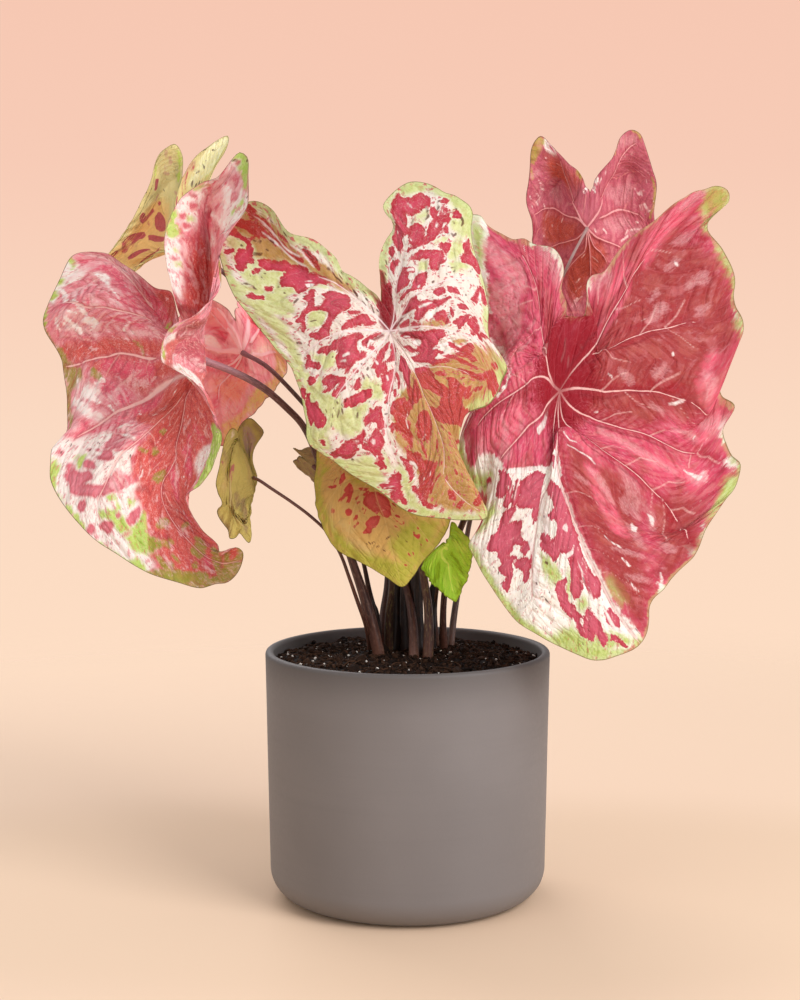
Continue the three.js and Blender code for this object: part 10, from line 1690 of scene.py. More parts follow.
def new_mesh(name, verts, faces, mats, face_mat=None, attrs=None, smooth_shade=True):
    me = bpy.data.meshes.new(name)
    me.from_pydata([tuple(v) for v in (np.asarray(verts) / 1000.0)], [], [tuple(int(i) for i in f) for f in faces])
    if smooth_shade:
        me.polygons.foreach_set("use_smooth", [True] * len(me.polygons))
    for m in mats:
        me.materials.append(m)
    if face_mat is not None:
        me.polygons.foreach_set("material_index", np.asarray(face_mat, dtype=np.int32))
    for k, val in (attrs or {}).items():
        val = np.asarray(val, dtype=np.float32)
        if val.ndim == 1:
            a = me.attributes.new(k, "FLOAT", "POINT")
            a.data.foreach_set("value", val)
        else:
            a = me.attributes.new(k, "FLOAT_VECTOR", "POINT")
            a.data.foreach_set("vector", val.reshape(-1))
    me.update()
    ob = bpy.data.objects.new(name, me)
    bpy.context.scene.collection.objects.link(ob)
    return ob


# ---------------------------------------------------------------------------------
# node helpers
# ---------------------------------------------------------------------------------
def lin(hexcol):
    out = []
    for i in (0, 2, 4):
        c = int(hexcol[i:i + 2], 16) / 255
        out.append(c / 12.92 if c <= 0.04045 else ((c + 0.055) / 1.055) ** 2.4)
    return (*out, 1.0)


class Graph:
    def __init__(self, name, roughness=0.5):
        self.mat = bpy.data.materials.new(name)
        self.mat.use_nodes = True
        self.nt = self.mat.node_tree
        self.nt.nodes.clear()
        self.out = self.nt.nodes.new("ShaderNodeOutputMaterial")
        self.bsdf = self.nt.nodes.new("ShaderNodeBsdfPrincipled")
        self.bsdf.inputs["Roughness"].default_value = roughness
        self.nt.links.new(self.bsdf.outputs[0], self.out.inputs["Surface"])

    def link(self, a, b):
        self.nt.links.new(a, b)

    def put(self, socket, value):
        if isinstance(value, bpy.types.NodeSocket):
            self.link(value, socket)
        elif isinstance(value, str):
            socket.default_value = lin(value)
        elif isinstance(value, (tuple, list)) and len(value) == 3 and socket.type == "RGBA":
            socket.default_value = (*value, 1.0)
        else:
            socket.default_value = value

    def attr(self, name):
        n = self.nt.nodes.new("ShaderNodeAttribute")
        n.attribute_name = name
        return n.outputs["Vector"]

    def fattr(self, name):
        n = self.nt.nodes.new("ShaderNodeAttribute")
        n.attribute_name = name
        return n.outputs["Fac"]

    def sep(self, v):
        n = self.nt.nodes.new("ShaderNodeSeparateXYZ")
        self.link(v, n.inputs[0])
        return n.outputs[0], n.outputs[1], n.outputs[2]

    def comb(self, x, y, z):
        n = self.nt.nodes.new("ShaderNodeCombineXYZ")
        for i, v in enumerate((x, y, z)):
            self.put(n.inputs[i], v)
        return n.outputs[0]

    def m(self, op, a, b=None, c=None, clamp=False):
        n = self.nt.nodes.new("ShaderNodeMath")
        n.operation = op
        n.use_clamp = clamp
        for i, v in enumerate((a, b, c)):
            if v is not None:
                self.put(n.inputs[i], v)
        return n.outputs[0]

    def vm(self, op, a, b):
        n = self.nt.nodes.new("ShaderNodeVectorMath")
        n.operation = op
        self.put(n.inputs[0], a)
        self.put(n.inputs[1], b)
        return n.outputs[0]

    def ramp(self, x, lo, hi, a=0.0, b=1.0, kind="SMOOTHSTEP"):
        """x from lo..hi to a..b, held outside."""
        n = self.nt.nodes.new("ShaderNodeMapRange")
        n.interpolation_type = kind
        n.clamp = True
        self.put(n.inputs["Value"], x)
        self.put(n.inputs["From Min"], lo)
        self.put(n.inputs["From Max"], hi)
        self.put(n.inputs["To Min"], a)
        self.put(n.inputs["To Max"], b)
        return n.outputs[0]

    def noise(self, vec, scale, detail=3.0, rough=0.5, distort=0.0, color=False, dims="3D"):
        n = self.nt.nodes.new("ShaderNodeTexNoise")
        n.noise_dimensions = dims
        self.link(vec, n.inputs["Vector"])
        n.inputs["Scale"].default_value = scale
        n.inputs["Detail"].default_value = detail
        n.inputs["Roughness"].default_value = rough
        n.inputs["Distortion"].default_value = distort
        return n.outputs["Color"] if color else n.outputs[0]

    def voronoi(self, vec, scale, feature="F1", rand=1.0, out="Distance"):
        n = self.nt.nodes.new("ShaderNodeTexVoronoi")
        n.feature = feature
        self.link(vec, n.inputs["Vector"])
        n.inputs["Scale"].default_value = scale
        n.inputs["Randomness"].default_value = rand
        return n.outputs[out]

    def mix(self, fac, a, b):
        n = self.nt.nodes.new("ShaderNodeMix")
        n.data_type = "RGBA"
        n.clamp_factor = True
        self.put(n.inputs["Factor"], fac)
        self.put(n.inputs[6], a)
        self.put(n.inputs[7], b)
        return n.outputs[2]

    def mul(self, a, f):
        """colour times factor"""
        n = self.nt.nodes.new("ShaderNodeMix")
        n.data_type = "RGBA"
        n.blend_type = "MULTIPLY"
        n.inputs["Factor"].default_value = 1.0
        self.put(n.inputs[6], a)
        self.put(n.inputs[7], f)
        return n.outputs[2]

    def bump(self, height, strength=0.5, distance=0.001):
        n = self.nt.nodes.new("ShaderNodeBump")
        n.inputs["Strength"].default_value = strength
        n.inputs["Distance"].default_value = distance
        self.link(height, n.inputs["Height"])
        self.link(n.outputs[0], self.bsdf.inputs["Normal"])
        return n.outputs[0]

    def color(self, c):
        self.put(self.bsdf.inputs["Base Color"], c)

    def rough(self, r):
        self.put(self.bsdf.inputs["Roughness"], r)


# ---------------------------------------------------------------------------------
# leaf blades
# ---------------------------------------------------------------------------------
def leaf_material(name, q):
    """One blade's surface. The mesh carries, in mm: the flat place (luv), the distance from a
    main vein, the phase of the side veins and the distance from the margin (vd), and the
    signed distances from the marks of each kind (fa, fb, fc)."""
    g = Graph("leaf_" + name, 0.5)
    luv = g.attr("luv")
    lu, lv, lt = g.sep(luv)
    d, ph, edge = g.sep(g.attr("vd"))
    f_cream, f_green, f_tan = g.sep(g.attr("fa"))
    f_red, f_white, f_dark = g.sep(g.attr("fb"))
    f_dash, f_a, f_b = g.sep(g.attr("fc"))
    f_line, f_shade, f_rose = g.sep(g.attr("fd"))
    vwid = g.fattr("vw")
    fl = g.attr("flow")
    side = g.fattr("side")
    cell = g.fattr("cell")
    # noises: n1 and n2 follow the veins, n3 to n5 don't
    fs = q.get("flow_scale", 1.0)
    n1 = g.noise(fl, fs, 4.0, 0.6, 0.3)
    n2 = g.noise(fl, fs * 2.6, 3.0, 0.6, 0.2)
    n6 = g.noise(fl, fs * 6.0, 2.0, 0.6)
    flat2 = g.comb(lu, lv, 0.0)
    n3 = g.noise(flat2, 0.06, 4.0, 0.55)
    n4 = g.noise(flat2, 0.35, 3.0, 0.6)
    n5 = g.noise(flat2, 1.3, 2.0, 0.6)
    n7 = g.noise(flat2, 3.2, 2.0, 0.6)

    def jag(a, b, amp):
        """two noises, centred, times amp mm"""
        s = g.m("ADD", g.m("MULTIPLY", g.m("SUBTRACT", a, 0.5), 1.3), g.m("MULTIPLY", g.m("SUBTRACT", b, 0.5), 0.9))
        return g.m("MULTIPLY", s, 2.0 * amp)

    def mask(sd, noise, soft, shift=0.0):
        return g.ramp(g.m("ADD", sd, noise), shift - soft, shift + soft, 1.0, 0.0)

    # ground, in two tones, with streaks along the veins
    c = g.mix(g.ramp(n3, 0.35, 0.65), q["ground"][0], q["ground"][1])
    c = g.mix(g.ramp(n2, 0.45, 0.75, 0.0, q.get("streak", 0.35)), c, q["ground"][2])
    zm = {}
    for key, f in (("cream", f_cream), ("green", f_green), ("tan", f_tan)):
        if key not in q:
            continue
        zm[key] = mask(f, jag(n1, n4, q.get("zone_jag", 2.5)), q.get("soft_" + key, 2.0))
        cc = g.mix(g.ramp(n4, 0.35, 0.7), q[key][0], q[key][1])
        if len(q[key]) > 2:
            cc = g.mix(g.ramp(n5, 0.5, 0.75, 0.0, 0.7), cc, q[key][2])
        c = g.mix(g.m("MULTIPLY", zm[key], q.get("amount_" + key, 1.0)), c, cc)
    if "rose" in q:
        k = mask(f_rose, jag(n2, n4, q.get("jag_rose", 2.0)), q.get("soft_rose", 2.6))
        c = g.mix(g.m("MULTIPLY", k, q.get("amount_rose", 0.85)), c, g.mix(g.ramp(n2, 0.35, 0.7), q["rose"][0], q["rose"][1]))
    if "ochre" in q:
        k = mask(f_b, jag(n2, n4, q.get("jag_ochre", 1.0)), q.get("soft_ochre", 1.0))
        cc = g.mix(g.ramp(n4, 0.35, 0.7), q["ochre"][0], q["ochre"][1])
        c = g.mix(g.m("MULTIPLY", k, q.get("amount_ochre", 0.85)), c, g.mix(g.ramp(n5, 0.5, 0.7, 0.0, 0.6), cc, q["ochre"][2]))
    # how much of the coloured (not cream, not green) blade shows
    flesh = 1.0
    for key in ("cream", "green"):
        if key in zm:
            flesh = g.m("MULTIPLY", flesh, g.m("SUBTRACT", 1.0, g.m("MULTIPLY", zm[key], 0.9)))
    # green band along the margin
    if "band" in q:
        col, width, jagged = q["band"]
        bm = g.ramp(g.m("ADD", edge, jag(n1, n4, jagged)), width * 0.4, width, 1.0, 0.0)
        bc = g.mix(g.ramp(n4, 0.3, 0.7), col[0], col[1])
        bc = g.mix(g.ramp(n5, 0.45, 0.75, 0.0, 0.6), bc, col[2] if len(col) > 2 else col[1])
        c = g.mix(g.m("MULTIPLY", bm, q.get("band_amount", 0.9)), c, bc)
    # marbling that follows the veins
    if "marble" in q:
        col, lo, hi, amount = q["marble"]
        mm = g.ramp(g.m("ADD", g.m("MULTIPLY", n1, 0.6), g.m("MULTIPLY", n2, 0.4)), lo, hi, 0.0, amount)
        if "cream" in zm:
            mm = g.m("MULTIPLY", mm, g.m("SUBTRACT", 1.0, zm["cream"]))
        c = g.mix(mm, c, col)
    if "marble2" in q and "cream" in zm:
        col, lo, hi, amount = q["marble2"]
        mm = g.ramp(g.m("ADD", g.m("MULTIPLY", n2, 0.55), g.m("MULTIPLY", n4, 0.45)), lo, hi, 0.0, amount)
        c = g.mix(g.m("MULTIPLY", mm, zm["cream"]), c, col)
    # blotches, each with a thin pale rim round it and a lighter heart
    if "red" in q:
        t = q["red"]
        sd = g.m("ADD", f_red, jag(n2, n4, q.get("jag_red", 0.35)))
        sd = g.m("SUBTRACT", sd, q.get("grow", 0.0))
        if "rim" in q:
            halo = g.m("MULTIPLY", g.ramp(sd, 0.2, 1.1, 1.0, 0.0), q["rim"][1])
            if "tan" in zm:
                halo = g.m("MULTIPLY", halo, g.m("SUBTRACT", 1.0, g.m("MULTIPLY", zm["tan"], 0.8)))
            c = g.mix(halo, c, q["rim"][0])
        k = g.ramp(sd, -q.get("soft_red", 0.22), q.get("soft_red", 0.22), 1.0, 0.0)
        cc = g.mix(g.ramp(n3, 0.38, 0.62), t[0], t[1])
        cc = g.mix(g.ramp(sd, -0.4, -2.2, 0.0, 0.75), cc, t[2])
        if "red_tan" in q and "tan" in zm:
            cc = g.mix(zm["tan"], cc, g.mix(g.ramp(n4, 0.35, 0.65), q["red_tan"][0], q["red_tan"][1]))
        cc = g.mix(g.ramp(n6, 0.52, 0.72, 0.0, 0.35), cc, t[3] if len(t) > 3 else t[1])
        if "redstreak" in q:
            col, lo, hi, amount = q["redstreak"]
            ns = g.m("ADD", g.m("MULTIPLY", g.noise(fl, fs * 4.0, 3.0, 0.6, 0.5), 0.7), g.m("MULTIPLY", n4, 0.3))
            cc = g.mix(g.ramp(ns, lo, hi, 0.0, amount), cc, col)
        c = g.mix(g.m("MULTIPLY", k, q.get("amount_red", 1.0)), c, cc)
    # fine flecks that follow the veins
    if "fleck" in q:
        col, lo, hi, amount = q["fleck"]
        ff = g.ramp(g.m("ADD", g.m("MULTIPLY", n6, 0.22), g.m("ADD", g.m("MULTIPLY", n2, 0.48), g.m("MULTIPLY", n4, 0.30))), lo, hi, 0.0, amount)
        c = g.mix(g.m("MULTIPLY", ff, zm.get("cream", flesh)), c, col)
    for i, (col, lo, hi, amount) in enumerate(q.get("cloud", ())):
        nc = g.noise(g.vm("ADD", flat2, (37.0 * i + 11.0, 5.0, 0.0)), q.get("cloud_scale", 0.13), 3.0, 0.55, 0.4)
        c = g.mix(g.m("MULTIPLY", g.ramp(nc, lo, hi, 0.0, amount), flesh), c, col)
    if "mist" in q:
        col, lo, hi, amount = q["mist"]
        ff = g.ramp(g.m("ADD", g.m("MULTIPLY", n6, 0.4), g.m("ADD", g.m("MULTIPLY", n5, 0.3), g.m("MULTIPLY", n7, 0.3))), lo, hi, 0.0, amount)
        c = g.mix(g.m("MULTIPLY", ff, flesh), c, col)
    # deeper colour round the joint, the blade's own; along the folds the dark marks are painted shade
    if "dark" in q:
        k = mask(f_dark, jag(n2, n4, q.get("jag_dark", 0.5)), q.get("soft_dark", 0.9))
        c = g.mix(g.m("MULTIPLY", k, q.get("amount_dark", 0.95)), c, g.mix(g.ramp(n6, 0.4, 0.7), q["dark"][0], q["dark"][1]))
    # pale clouds: partly the blade's own paler patches and partly painted sheen
    if "pale" in q:
        k = mask(f_a, jag(n2, n4, q.get("jag_pale", 2.2)), q.get("soft_pale", 2.4))
        k = g.m("MULTIPLY", k, g.ramp(g.m("ADD", n6, g.m("MULTIPLY", n4, 0.6)), 0.55, 1.0, 0.35, 1.0))
        c = g.mix(g.m("MULTIPLY", k, q.get("amount_pale", 0.6)), c, g.mix(g.ramp(n2, 0.35, 0.7), q["pale"][0], q["pale"][1]))
    if "white" in q:
        k = mask(f_white, jag(n2, n4, q.get("jag_white", 0.35)), q.get("soft_white", 0.4))
        cc = g.mix(g.ramp(n4, 0.35, 0.7), q["white"][0], q["white"][1])
        c = g.mix(g.m("MULTIPLY", k, q.get("amount_white", 0.95)), c, cc)
    if "heart" in q:
        hc, hr = q["heart"]
        rr = g.m("SQRT", g.m("ADD", g.m("MULTIPLY", lu, lu), g.m("MULTIPLY", lv, lv)))
        hm = g.ramp(g.m("ADD", rr, g.m("MULTIPLY", g.m("SUBTRACT", n2, 0.5), hr)), hr * 0.4, hr, 1.0, 0.0)
        c = g.mix(g.m("MULTIPLY", hm, 0.92), c, hc)
        flesh = g.m("MULTIPLY", flesh, g.m("SUBTRACT", 1.0, hm))
    # veins: a soft glow and a line for the main ones, fine lines for the side ones
    vw = g.m("MAXIMUM", vwid, 0.02)
    dn = g.m("ADD", d, g.m("MULTIPLY", g.m("SUBTRACT", n4, 0.5), 0.35))
    rel = g.m("DIVIDE", dn, vw)
    line = g.m("MULTIPLY", g.ramp(rel, 0.45, 1.0, 1.0, 0.0), g.ramp(vwid, 0.03, 0.12))
    if "vein_from" in q:
        rj = g.m("SQRT", g.m("ADD", g.m("MULTIPLY", lu, lu), g.m("MULTIPLY", lv, lv)))
        line = g.m("MULTIPLY", line, g.ramp(rj, q["vein_from"][0], q["vein_from"][1], q["vein_from"][2], 1.0))
    glow = g.m("MULTIPLY", g.ramp(rel, 0.5, q.get("glow_reach", 4.0), 1.0, 0.0), g.ramp(vwid, 0.03, 0.2))
    c = g.mix(g.m("MULTIPLY", glow, q.get("glow", 0.25)), c, q["vein"][1])
    # painted shade: a darker band in the fold beside each main vein
    if "fold" in q:
        fo = g.ramp(g.m("ABSOLUTE", g.m("SUBTRACT", dn, g.m("ADD", g.m("MULTIPLY", vw, 1.25), 0.25))), 0.0, q.get("fold_w", 0.9), 1.0, 0.0)
        fo = g.m("MULTIPLY", fo, g.m("MULTIPLY", g.ramp(vwid, 0.03, 0.3), g.ramp(n2, 0.3, 0.6, 0.35, 1.0)))
        c = g.mix(g.m("MULTIPLY", fo, q["fold"][1]), c, q["fold"][0])
    wob = g.m("ADD", ph, g.m("MULTIPLY", g.m("SUBTRACT", n3, 0.5), 0.7))
    saw = g.m("ABSOLUTE", g.m("SUBTRACT", g.m("FRACT", wob), 0.5))
    secl = g.ramp(saw, 0.0, q.get("sec_w", 0.05), 1.0, 0.0)
    secl = g.m("MULTIPLY", secl, g.ramp(n4, 0.3, 0.6, 0.25, 1.0))
    # painted shade in the creases along the side veins (low) and painted highlight on the puffed tops between them
    # (high)
    if "low" in q:
        crease = g.m("MULTIPLY", g.ramp(saw, 0.0, 0.24, 1.0, 0.0), g.ramp(n4, 0.3, 0.65, 0.15, 1.0))
        crease_shade = g.m("MAXIMUM", g.m("MULTIPLY", crease, 0.8), g.ramp(n2, 0.56, 0.74))
        c = g.mix(g.m("MULTIPLY", g.m("MULTIPLY", crease_shade, flesh), q["low"][1]), c, q["low"][0])
    if "high" in q:
        top_highlight = g.m("MULTIPLY", g.ramp(saw, 0.16, 0.42), g.ramp(g.m("ADD", g.m("MULTIPLY", n4, 0.55), g.m("MULTIPLY", n6, 0.45)), 0.46, 0.66))
        c = g.mix(g.m("MULTIPLY", g.m("MULTIPLY", top_highlight, flesh), q["high"][1]), c, q["high"][0])
    c = g.mix(g.m("MULTIPLY", secl, q.get("sec", 0.35)), c, q["vein"][1])
    cj = g.m("ADD", cell, g.m("MULTIPLY", g.m("SUBTRACT", n4, 0.5), 0.25))
    # painted shade in the creases between the puckers and painted highlight on their tops
    if "cell_low" in q:
        k = g.m("MULTIPLY", g.ramp(cj, 0.02, 0.26, 1.0, 0.0), g.ramp(n2, 0.35, 0.6, 0.45, 1.0))
        c = g.mix(g.m("MULTIPLY", g.m("MULTIPLY", k, flesh), q["cell_low"][1]), c, q["cell_low"][0])
    if "cell_high" in q:
        k = g.m("MULTIPLY", g.ramp(cj, 0.35, 0.8), g.ramp(g.m("ADD", g.m("MULTIPLY", n4, 0.4), g.m("MULTIPLY", n3, 0.6)), 0.42, 0.6))
        if "tan" in zm:
            k = g.m("MULTIPLY", k, g.m("SUBTRACT", 1.0, g.m("MULTIPLY", zm["tan"], q.get("cell_tan", 0.85))))
        c = g.mix(g.m("MULTIPLY", g.m("MULTIPLY", k, flesh), q["cell_high"][1]), c, q["cell_high"][0])
    if "shade" in q:
        k = mask(f_shade, jag(n2, n4, q.get("jag_shade", 0.35)), q.get("soft_shade", 0.7))
        c = g.mix(g.m("MULTIPLY", k, q["shade"][1]), c, q["shade"][0])
    fine = mask(f_line, jag(n4, n7, 0.22), q.get("soft_line", 0.26), -0.06)
    fine = g.m("MULTIPLY", fine, g.ramp(n4, 0.3, 0.62, 0.35, 1.0))
    c = g.mix(g.m("MULTIPLY", fine, q.get("line_amount", 0.6)), c, q.get("line_color", q["vein"][0]))
    c = g.mix(g.m("MULTIPLY", line, q.get("line", 0.9)), c, q["vein"][0])
    # a fine net of the smallest veins
    cell = g.voronoi(flat2, q.get("net", 0.55), "DISTANCE_TO_EDGE")
    net = g.ramp(cell, 0.0, 0.09, 1.0, 0.0)
    c = g.mix(g.m("MULTIPLY", net, q.get("net_amount", 0.06)), c, q["vein"][1])
    # small dark dashes and specks
    if "dash" in q:
        k = mask(f_dash, jag(n2, n4, 0.2), 0.22)
        c = g.mix(g.m("MULTIPLY", k, 0.85), c, q["dash"])
    if "speck" in q:
        col, density, reach = q["speck"]
        vs = g.voronoi(g.vm("MULTIPLY", flat2, (0.8, 0.8, 0.8)), 0.42)
        pick = g.noise(flat2, 0.11, 2.0)
        sp = g.m("MULTIPLY", g.ramp(vs, 0.10, 0.17, 1.0, 0.0), g.ramp(pick, 0.62 - density, 0.66 - density))
        sp = g.m("MULTIPLY", sp, g.ramp(edge, reach, reach * 1.6, 1.0, 0.0))
        c = g.mix(g.m("MULTIPLY", sp, 0.85), c, col)
    # fine stippled tone
    c = g.mix(g.ramp(n7, 0.5, 0.8, 0.0, q.get("stipple", 0.16)), c, q.get("stipple_color", q["ground"][1]))
    # the side that faces away is paler and duller
    c = g.mix(g.m("MULTIPLY", side, q.get("under_amount", 0.35)), c, q.get("under_color", "B9837C"))
    # the thin dark edge line
    el = g.ramp(g.m("ADD", edge, g.m("MULTIPLY", g.m("SUBTRACT", n4, 0.5), 0.3)), 0.15, 0.5, 1.0, 0.0)
    c = g.mix(g.m("MULTIPLY", el, q.get("edge_amount", 0.8)), c, q.get("edge", "5A4A28"))
    # painted light: the colour is brightened to stand in for light shining through the thin blade and to lift blades
    # that lie in shade
    if q.get("gain", 1.0) != 1.0:
        c = g.mul(c, g.comb(*([q["gain"]] * 3)))
    g.color(c)
    g.rough(g.ramp(n4, 0.2, 0.8, q.get("rough", 0.46), q.get("rough", 0.46) + 0.16, "LINEAR"))
    g.bsdf.inputs["Specular IOR Level"].default_value = q.get("spec", 0.12)
    g.bsdf.inputs["Sheen Weight"].default_value = 0.0
    g.bsdf.inputs["Sheen Roughness"].default_value = 0.5
    # relief finer than the mesh: side veins and skin
    h = g.m("MULTIPLY", g.ramp(saw, 0.0, 0.2, -0.7, 0.0), g.ramp(n4, 0.3, 0.6, 0.3, 1.0))
    h = g.m("ADD", h, g.m("MULTIPLY", g.ramp(cj, 0.0, 0.5), q.get("cell_bump", 0.5)))
    h = g.m("ADD", h, g.m("MULTIPLY", n2, 0.7))
    h = g.m("ADD", h, g.m("MULTIPLY", n4, 0.35))
    g.bump(h, q.get("bump", 0.6), 0.0007)
    return g.mat


def blade(name, q):
    data = BLADES[name]
    F = tps_fit(data["control"])
    N, M = q["mesh"]
    tip = tps_eval(F, np.stack([np.zeros(40), -np.linspace(0, 1, 40)], -1))
    S = float(np.linalg.norm(np.diff(tip, axis=0), axis=1).sum())
    # each main vein as the outline place its ray ends at, ring by ring
    t = np.linspace(0, 1, M + 1)[1:]
    t = 1 - (1 - t) ** 1.15
    lines = []
    if name in VEINS:
        for w0, w1, pts in VEINS[name]:
            pts = np.asarray(pts, float)
            rr = np.hypot(pts[:, 0], pts[:, 1])
            ss = np.array([ray_s(math.degrees(math.atan2(p[0], -p[1]))) for p in pts])
            tv = rr / np.hypot(*outline_at(ss).T)
            high = np.maximum.accumulate(np.concatenate([[0.05], tv[:-1]]))
            keep = tv > high + 0.004
            tv, ss = tv[keep], ss[keep]
            fine_t = np.interp(t, tv, ss)
            ker = np.ones(5) / 5
            fine_t = np.convolve(np.pad(fine_t, 2, mode="edge"), ker, "valid")
            lines.append([fine_t, w0, w1, float(tv[-1]), float(tv[0]) if tv[0] > 0.16 else -1.0])
    else:
        for a in q["veins"]:
            lines.append([np.full(M, ray_s(a)), q["vein_w"], q["vein_w"] * 0.22, 1.0, -1.0])
    lines.sort(key=lambda x: x[0][-1])
    SK = np.array([x[0] for x in lines])                     # veins by rings
    for k in range(1, len(SK)):
        SK[k] = np.maximum(SK[k], SK[k - 1] + 0.004)
    mid = int(np.abs(SK[:, -1] - 0.5).argmin())
    SK[mid] += (0.5 - SK[mid, -1]) * smooth(t, 0.5, 1.0)
    s = np.arange(N) / N
    slot = []
    for k in range(len(SK)):
        j = max(int(round(SK[k, -1] * N)), slot[-1] + 1 if slot else 1)
        slot.append(min(j, N - len(SK) + k))
    ring_s = np.empty((M, N))
    for i in range(M):
        ring_s[i] = np.interp(np.arange(N), [0] + slot + [N], np.concatenate([[0.0], SK[:, i], [1.0]]))
    ring_p = outline_at(ring_s.ravel()).reshape(M, N, 2)
    flat = np.concatenate([[[0.0, 0.0]], (ring_p * t[:, None, None]).reshape(-1, 2)])
    ring = ring_p[-1]
    tt = np.concatenate([[0.0], np.repeat(t, N)])
    P = tps_eval(F, flat)
    e = 0.006
    du = tps_eval(F, flat + [e, 0]) - tps_eval(F, flat - [e, 0])
    dv = tps_eval(F, flat + [0, e]) - tps_eval(F, flat - [0, e])
    nor = np.cross(du, dv)
    nor /= np.linalg.norm(nor, axis=1)[:, None] + 1e-12
    up = -nor if data["under"] else nor       # towards the leaf's upper side
    # flat distances, in mm
    r = np.linalg.norm(flat, axis=1)
    ang = np.degrees(np.arctan2(flat[:, 0], -flat[:, 1]))
    # distance from the nearest main vein and the place along it
    d = np.full(len(flat), 1e9)
    along = np.zeros(len(flat))
    vw = np.zeros(len(flat))
    for k in range(len(SK)):
        vp = np.concatenate([[[0.0, 0.0]], outline_at(SK[k]) * t[:, None]])
        step = max(1, M // 26)
        vp = np.concatenate([vp[::step], vp[-1:]]) if (len(vp) - 1) % step else vp[::step]
        dk = stroke_dist(flat, np.concatenate([vp, np.zeros((len(vp), 1))], 1), S)
        dirs = np.degrees(np.arctan2(vp[1:, 0], -vp[1:, 1]))
        va = np.interp(r, np.hypot(*vp[1:].T), np.unwrap(dirs, period=360))
        al = r * np.cos(np.radians(ang - va)) * S
        w0, w1, end, start = lines[k][1:]
        w0, w1 = w0 * q.get("vein_gain", 1.0), w1 * q.get("vein_gain", 1.0)
        wk = (w0 + (w1 - w0) * tt) * (1 - smooth(tt, max(0.0, end - 0.04), end + 0.03) * (end < 0.985)) * smooth(tt, start - 0.05, start + 0.01)
        near = dk < d
        d = np.where(near, dk, d)
        along = np.where(near, al, along)
        vw = np.where(near, wk, vw)
    live = np.clip(vw / 0.3, 0, 1)
    phase = (along - 0.75 * d) / q.get("side_gap", 9.0)
    edge = np.full(len(flat), 1e9)
    for k in range(0, len(OUT_P) - 1, 3):
        edge = np.minimum(edge, np.linalg.norm(flat - OUT_P[k], axis=1))
    edge = np.minimum(edge * S, (1 - tt) * np.linalg.norm(np.concatenate([[[0.3, 0.3]], np.tile(ring, (M, 1))]), axis=1) * S)
    luv = np.stack([flat[:, 0] * S, flat[:, 1] * S, np.minimum(1, tt)], -1)
    # noise space that follows the veins: fine across them, long along them
    th = np.radians(ang)
    spread = (0.35 + 0.65 * r) * S
    flow = np.stack([np.sin(th) * spread * 0.20, np.cos(th) * spread * 0.20, r * S * q.get("flow_len", 0.045)], -1)
    sd = mark_fields(name, flat, S)
    # relief of the sheet, positive towards the upper side
    q3 = np.concatenate([flat * S, np.zeros((len(flat), 1))], 1)
    quilt = np.abs(np.sin(np.pi * (phase + 0.35 * vnoise(q3, 0.06, 3) + 0.5))) ** 0.8
    away = smooth(d, 0.5, 6.0) * smooth(edge, 0.0, 6.0)
    h = q.get("quilt", 0.5) * (quilt - 0.5) * away
    # puckers between the side veins
    cx, cy = q.get("cell_size", (1.4, 0.13))
    cell = cells(phase * cx + 0.45 * vnoise(q3, 0.16, 6), d * cy + 0.45 * vnoise(q3, 0.13, 7), len(name))
    h += q.get("cell_relief", 0.3) * (cell ** 0.6 - 0.5) * away
    h += q.get("puff", 0.9) * fbm(q3, 0.07, 2, seed=5) * smooth(edge, 0, 10)
    h += -q.get("groove", 0.55) * np.exp(-(d / (1.3 * (1 - 0.5 * tt))) ** 2) * (1 - 0.6 * tt) * live
    h += q.get("ruffle", 1.0) * vnoise(np.stack([np.sin(th) * 9, np.cos(th) * 9, 0 * th], -1), 1.0, 9) * smooth(tt, 0.55, 1.0)
    P = P + up * h[:, None]
    thick = 0.42 + q.get("rib", 0.7) * np.exp(-(d / (0.9 * (1.05 - 0.75 * tt))) ** 2) * (1 - 0.7 * tt) * live
    thick *= 0.35 + 0.65 * smooth(edge, 0.0, 1.2)
    top = P + up * 0.12
    bot = P - up * (thick[:, None] - 0.12)
    cnt = len(flat)
    # the face away from the light path keeps every ray but only every few rings
    skip = q.get("skip", 4)
    rows = list(range(0, M, skip))
    if rows[-1] != M - 1:
        rows.append(M - 1)
    sel = np.concatenate([[0]] + [1 + k * N + np.arange(N) for k in rows])

    def faces(nrings, offset, flip):
        out = []
        idx = np.arange(N)
        nxt = (idx + 1) % N
        z = np.zeros(N, int)
        out.append(np.stack([z, 1 + idx, 1 + nxt], 1))
        for k in range(nrings - 1):
            a0, b0 = 1 + k * N + idx, 1 + k * N + nxt
            a1, b1 = a0 + N, b0 + N
            out.append(np.stack([a0, a1, b1], 1))
            out.append(np.stack([a0, b1, b0], 1))
        f = np.concatenate(out) + offset
        return f[:, ::-1] if flip else f

    upflip = data["under"]
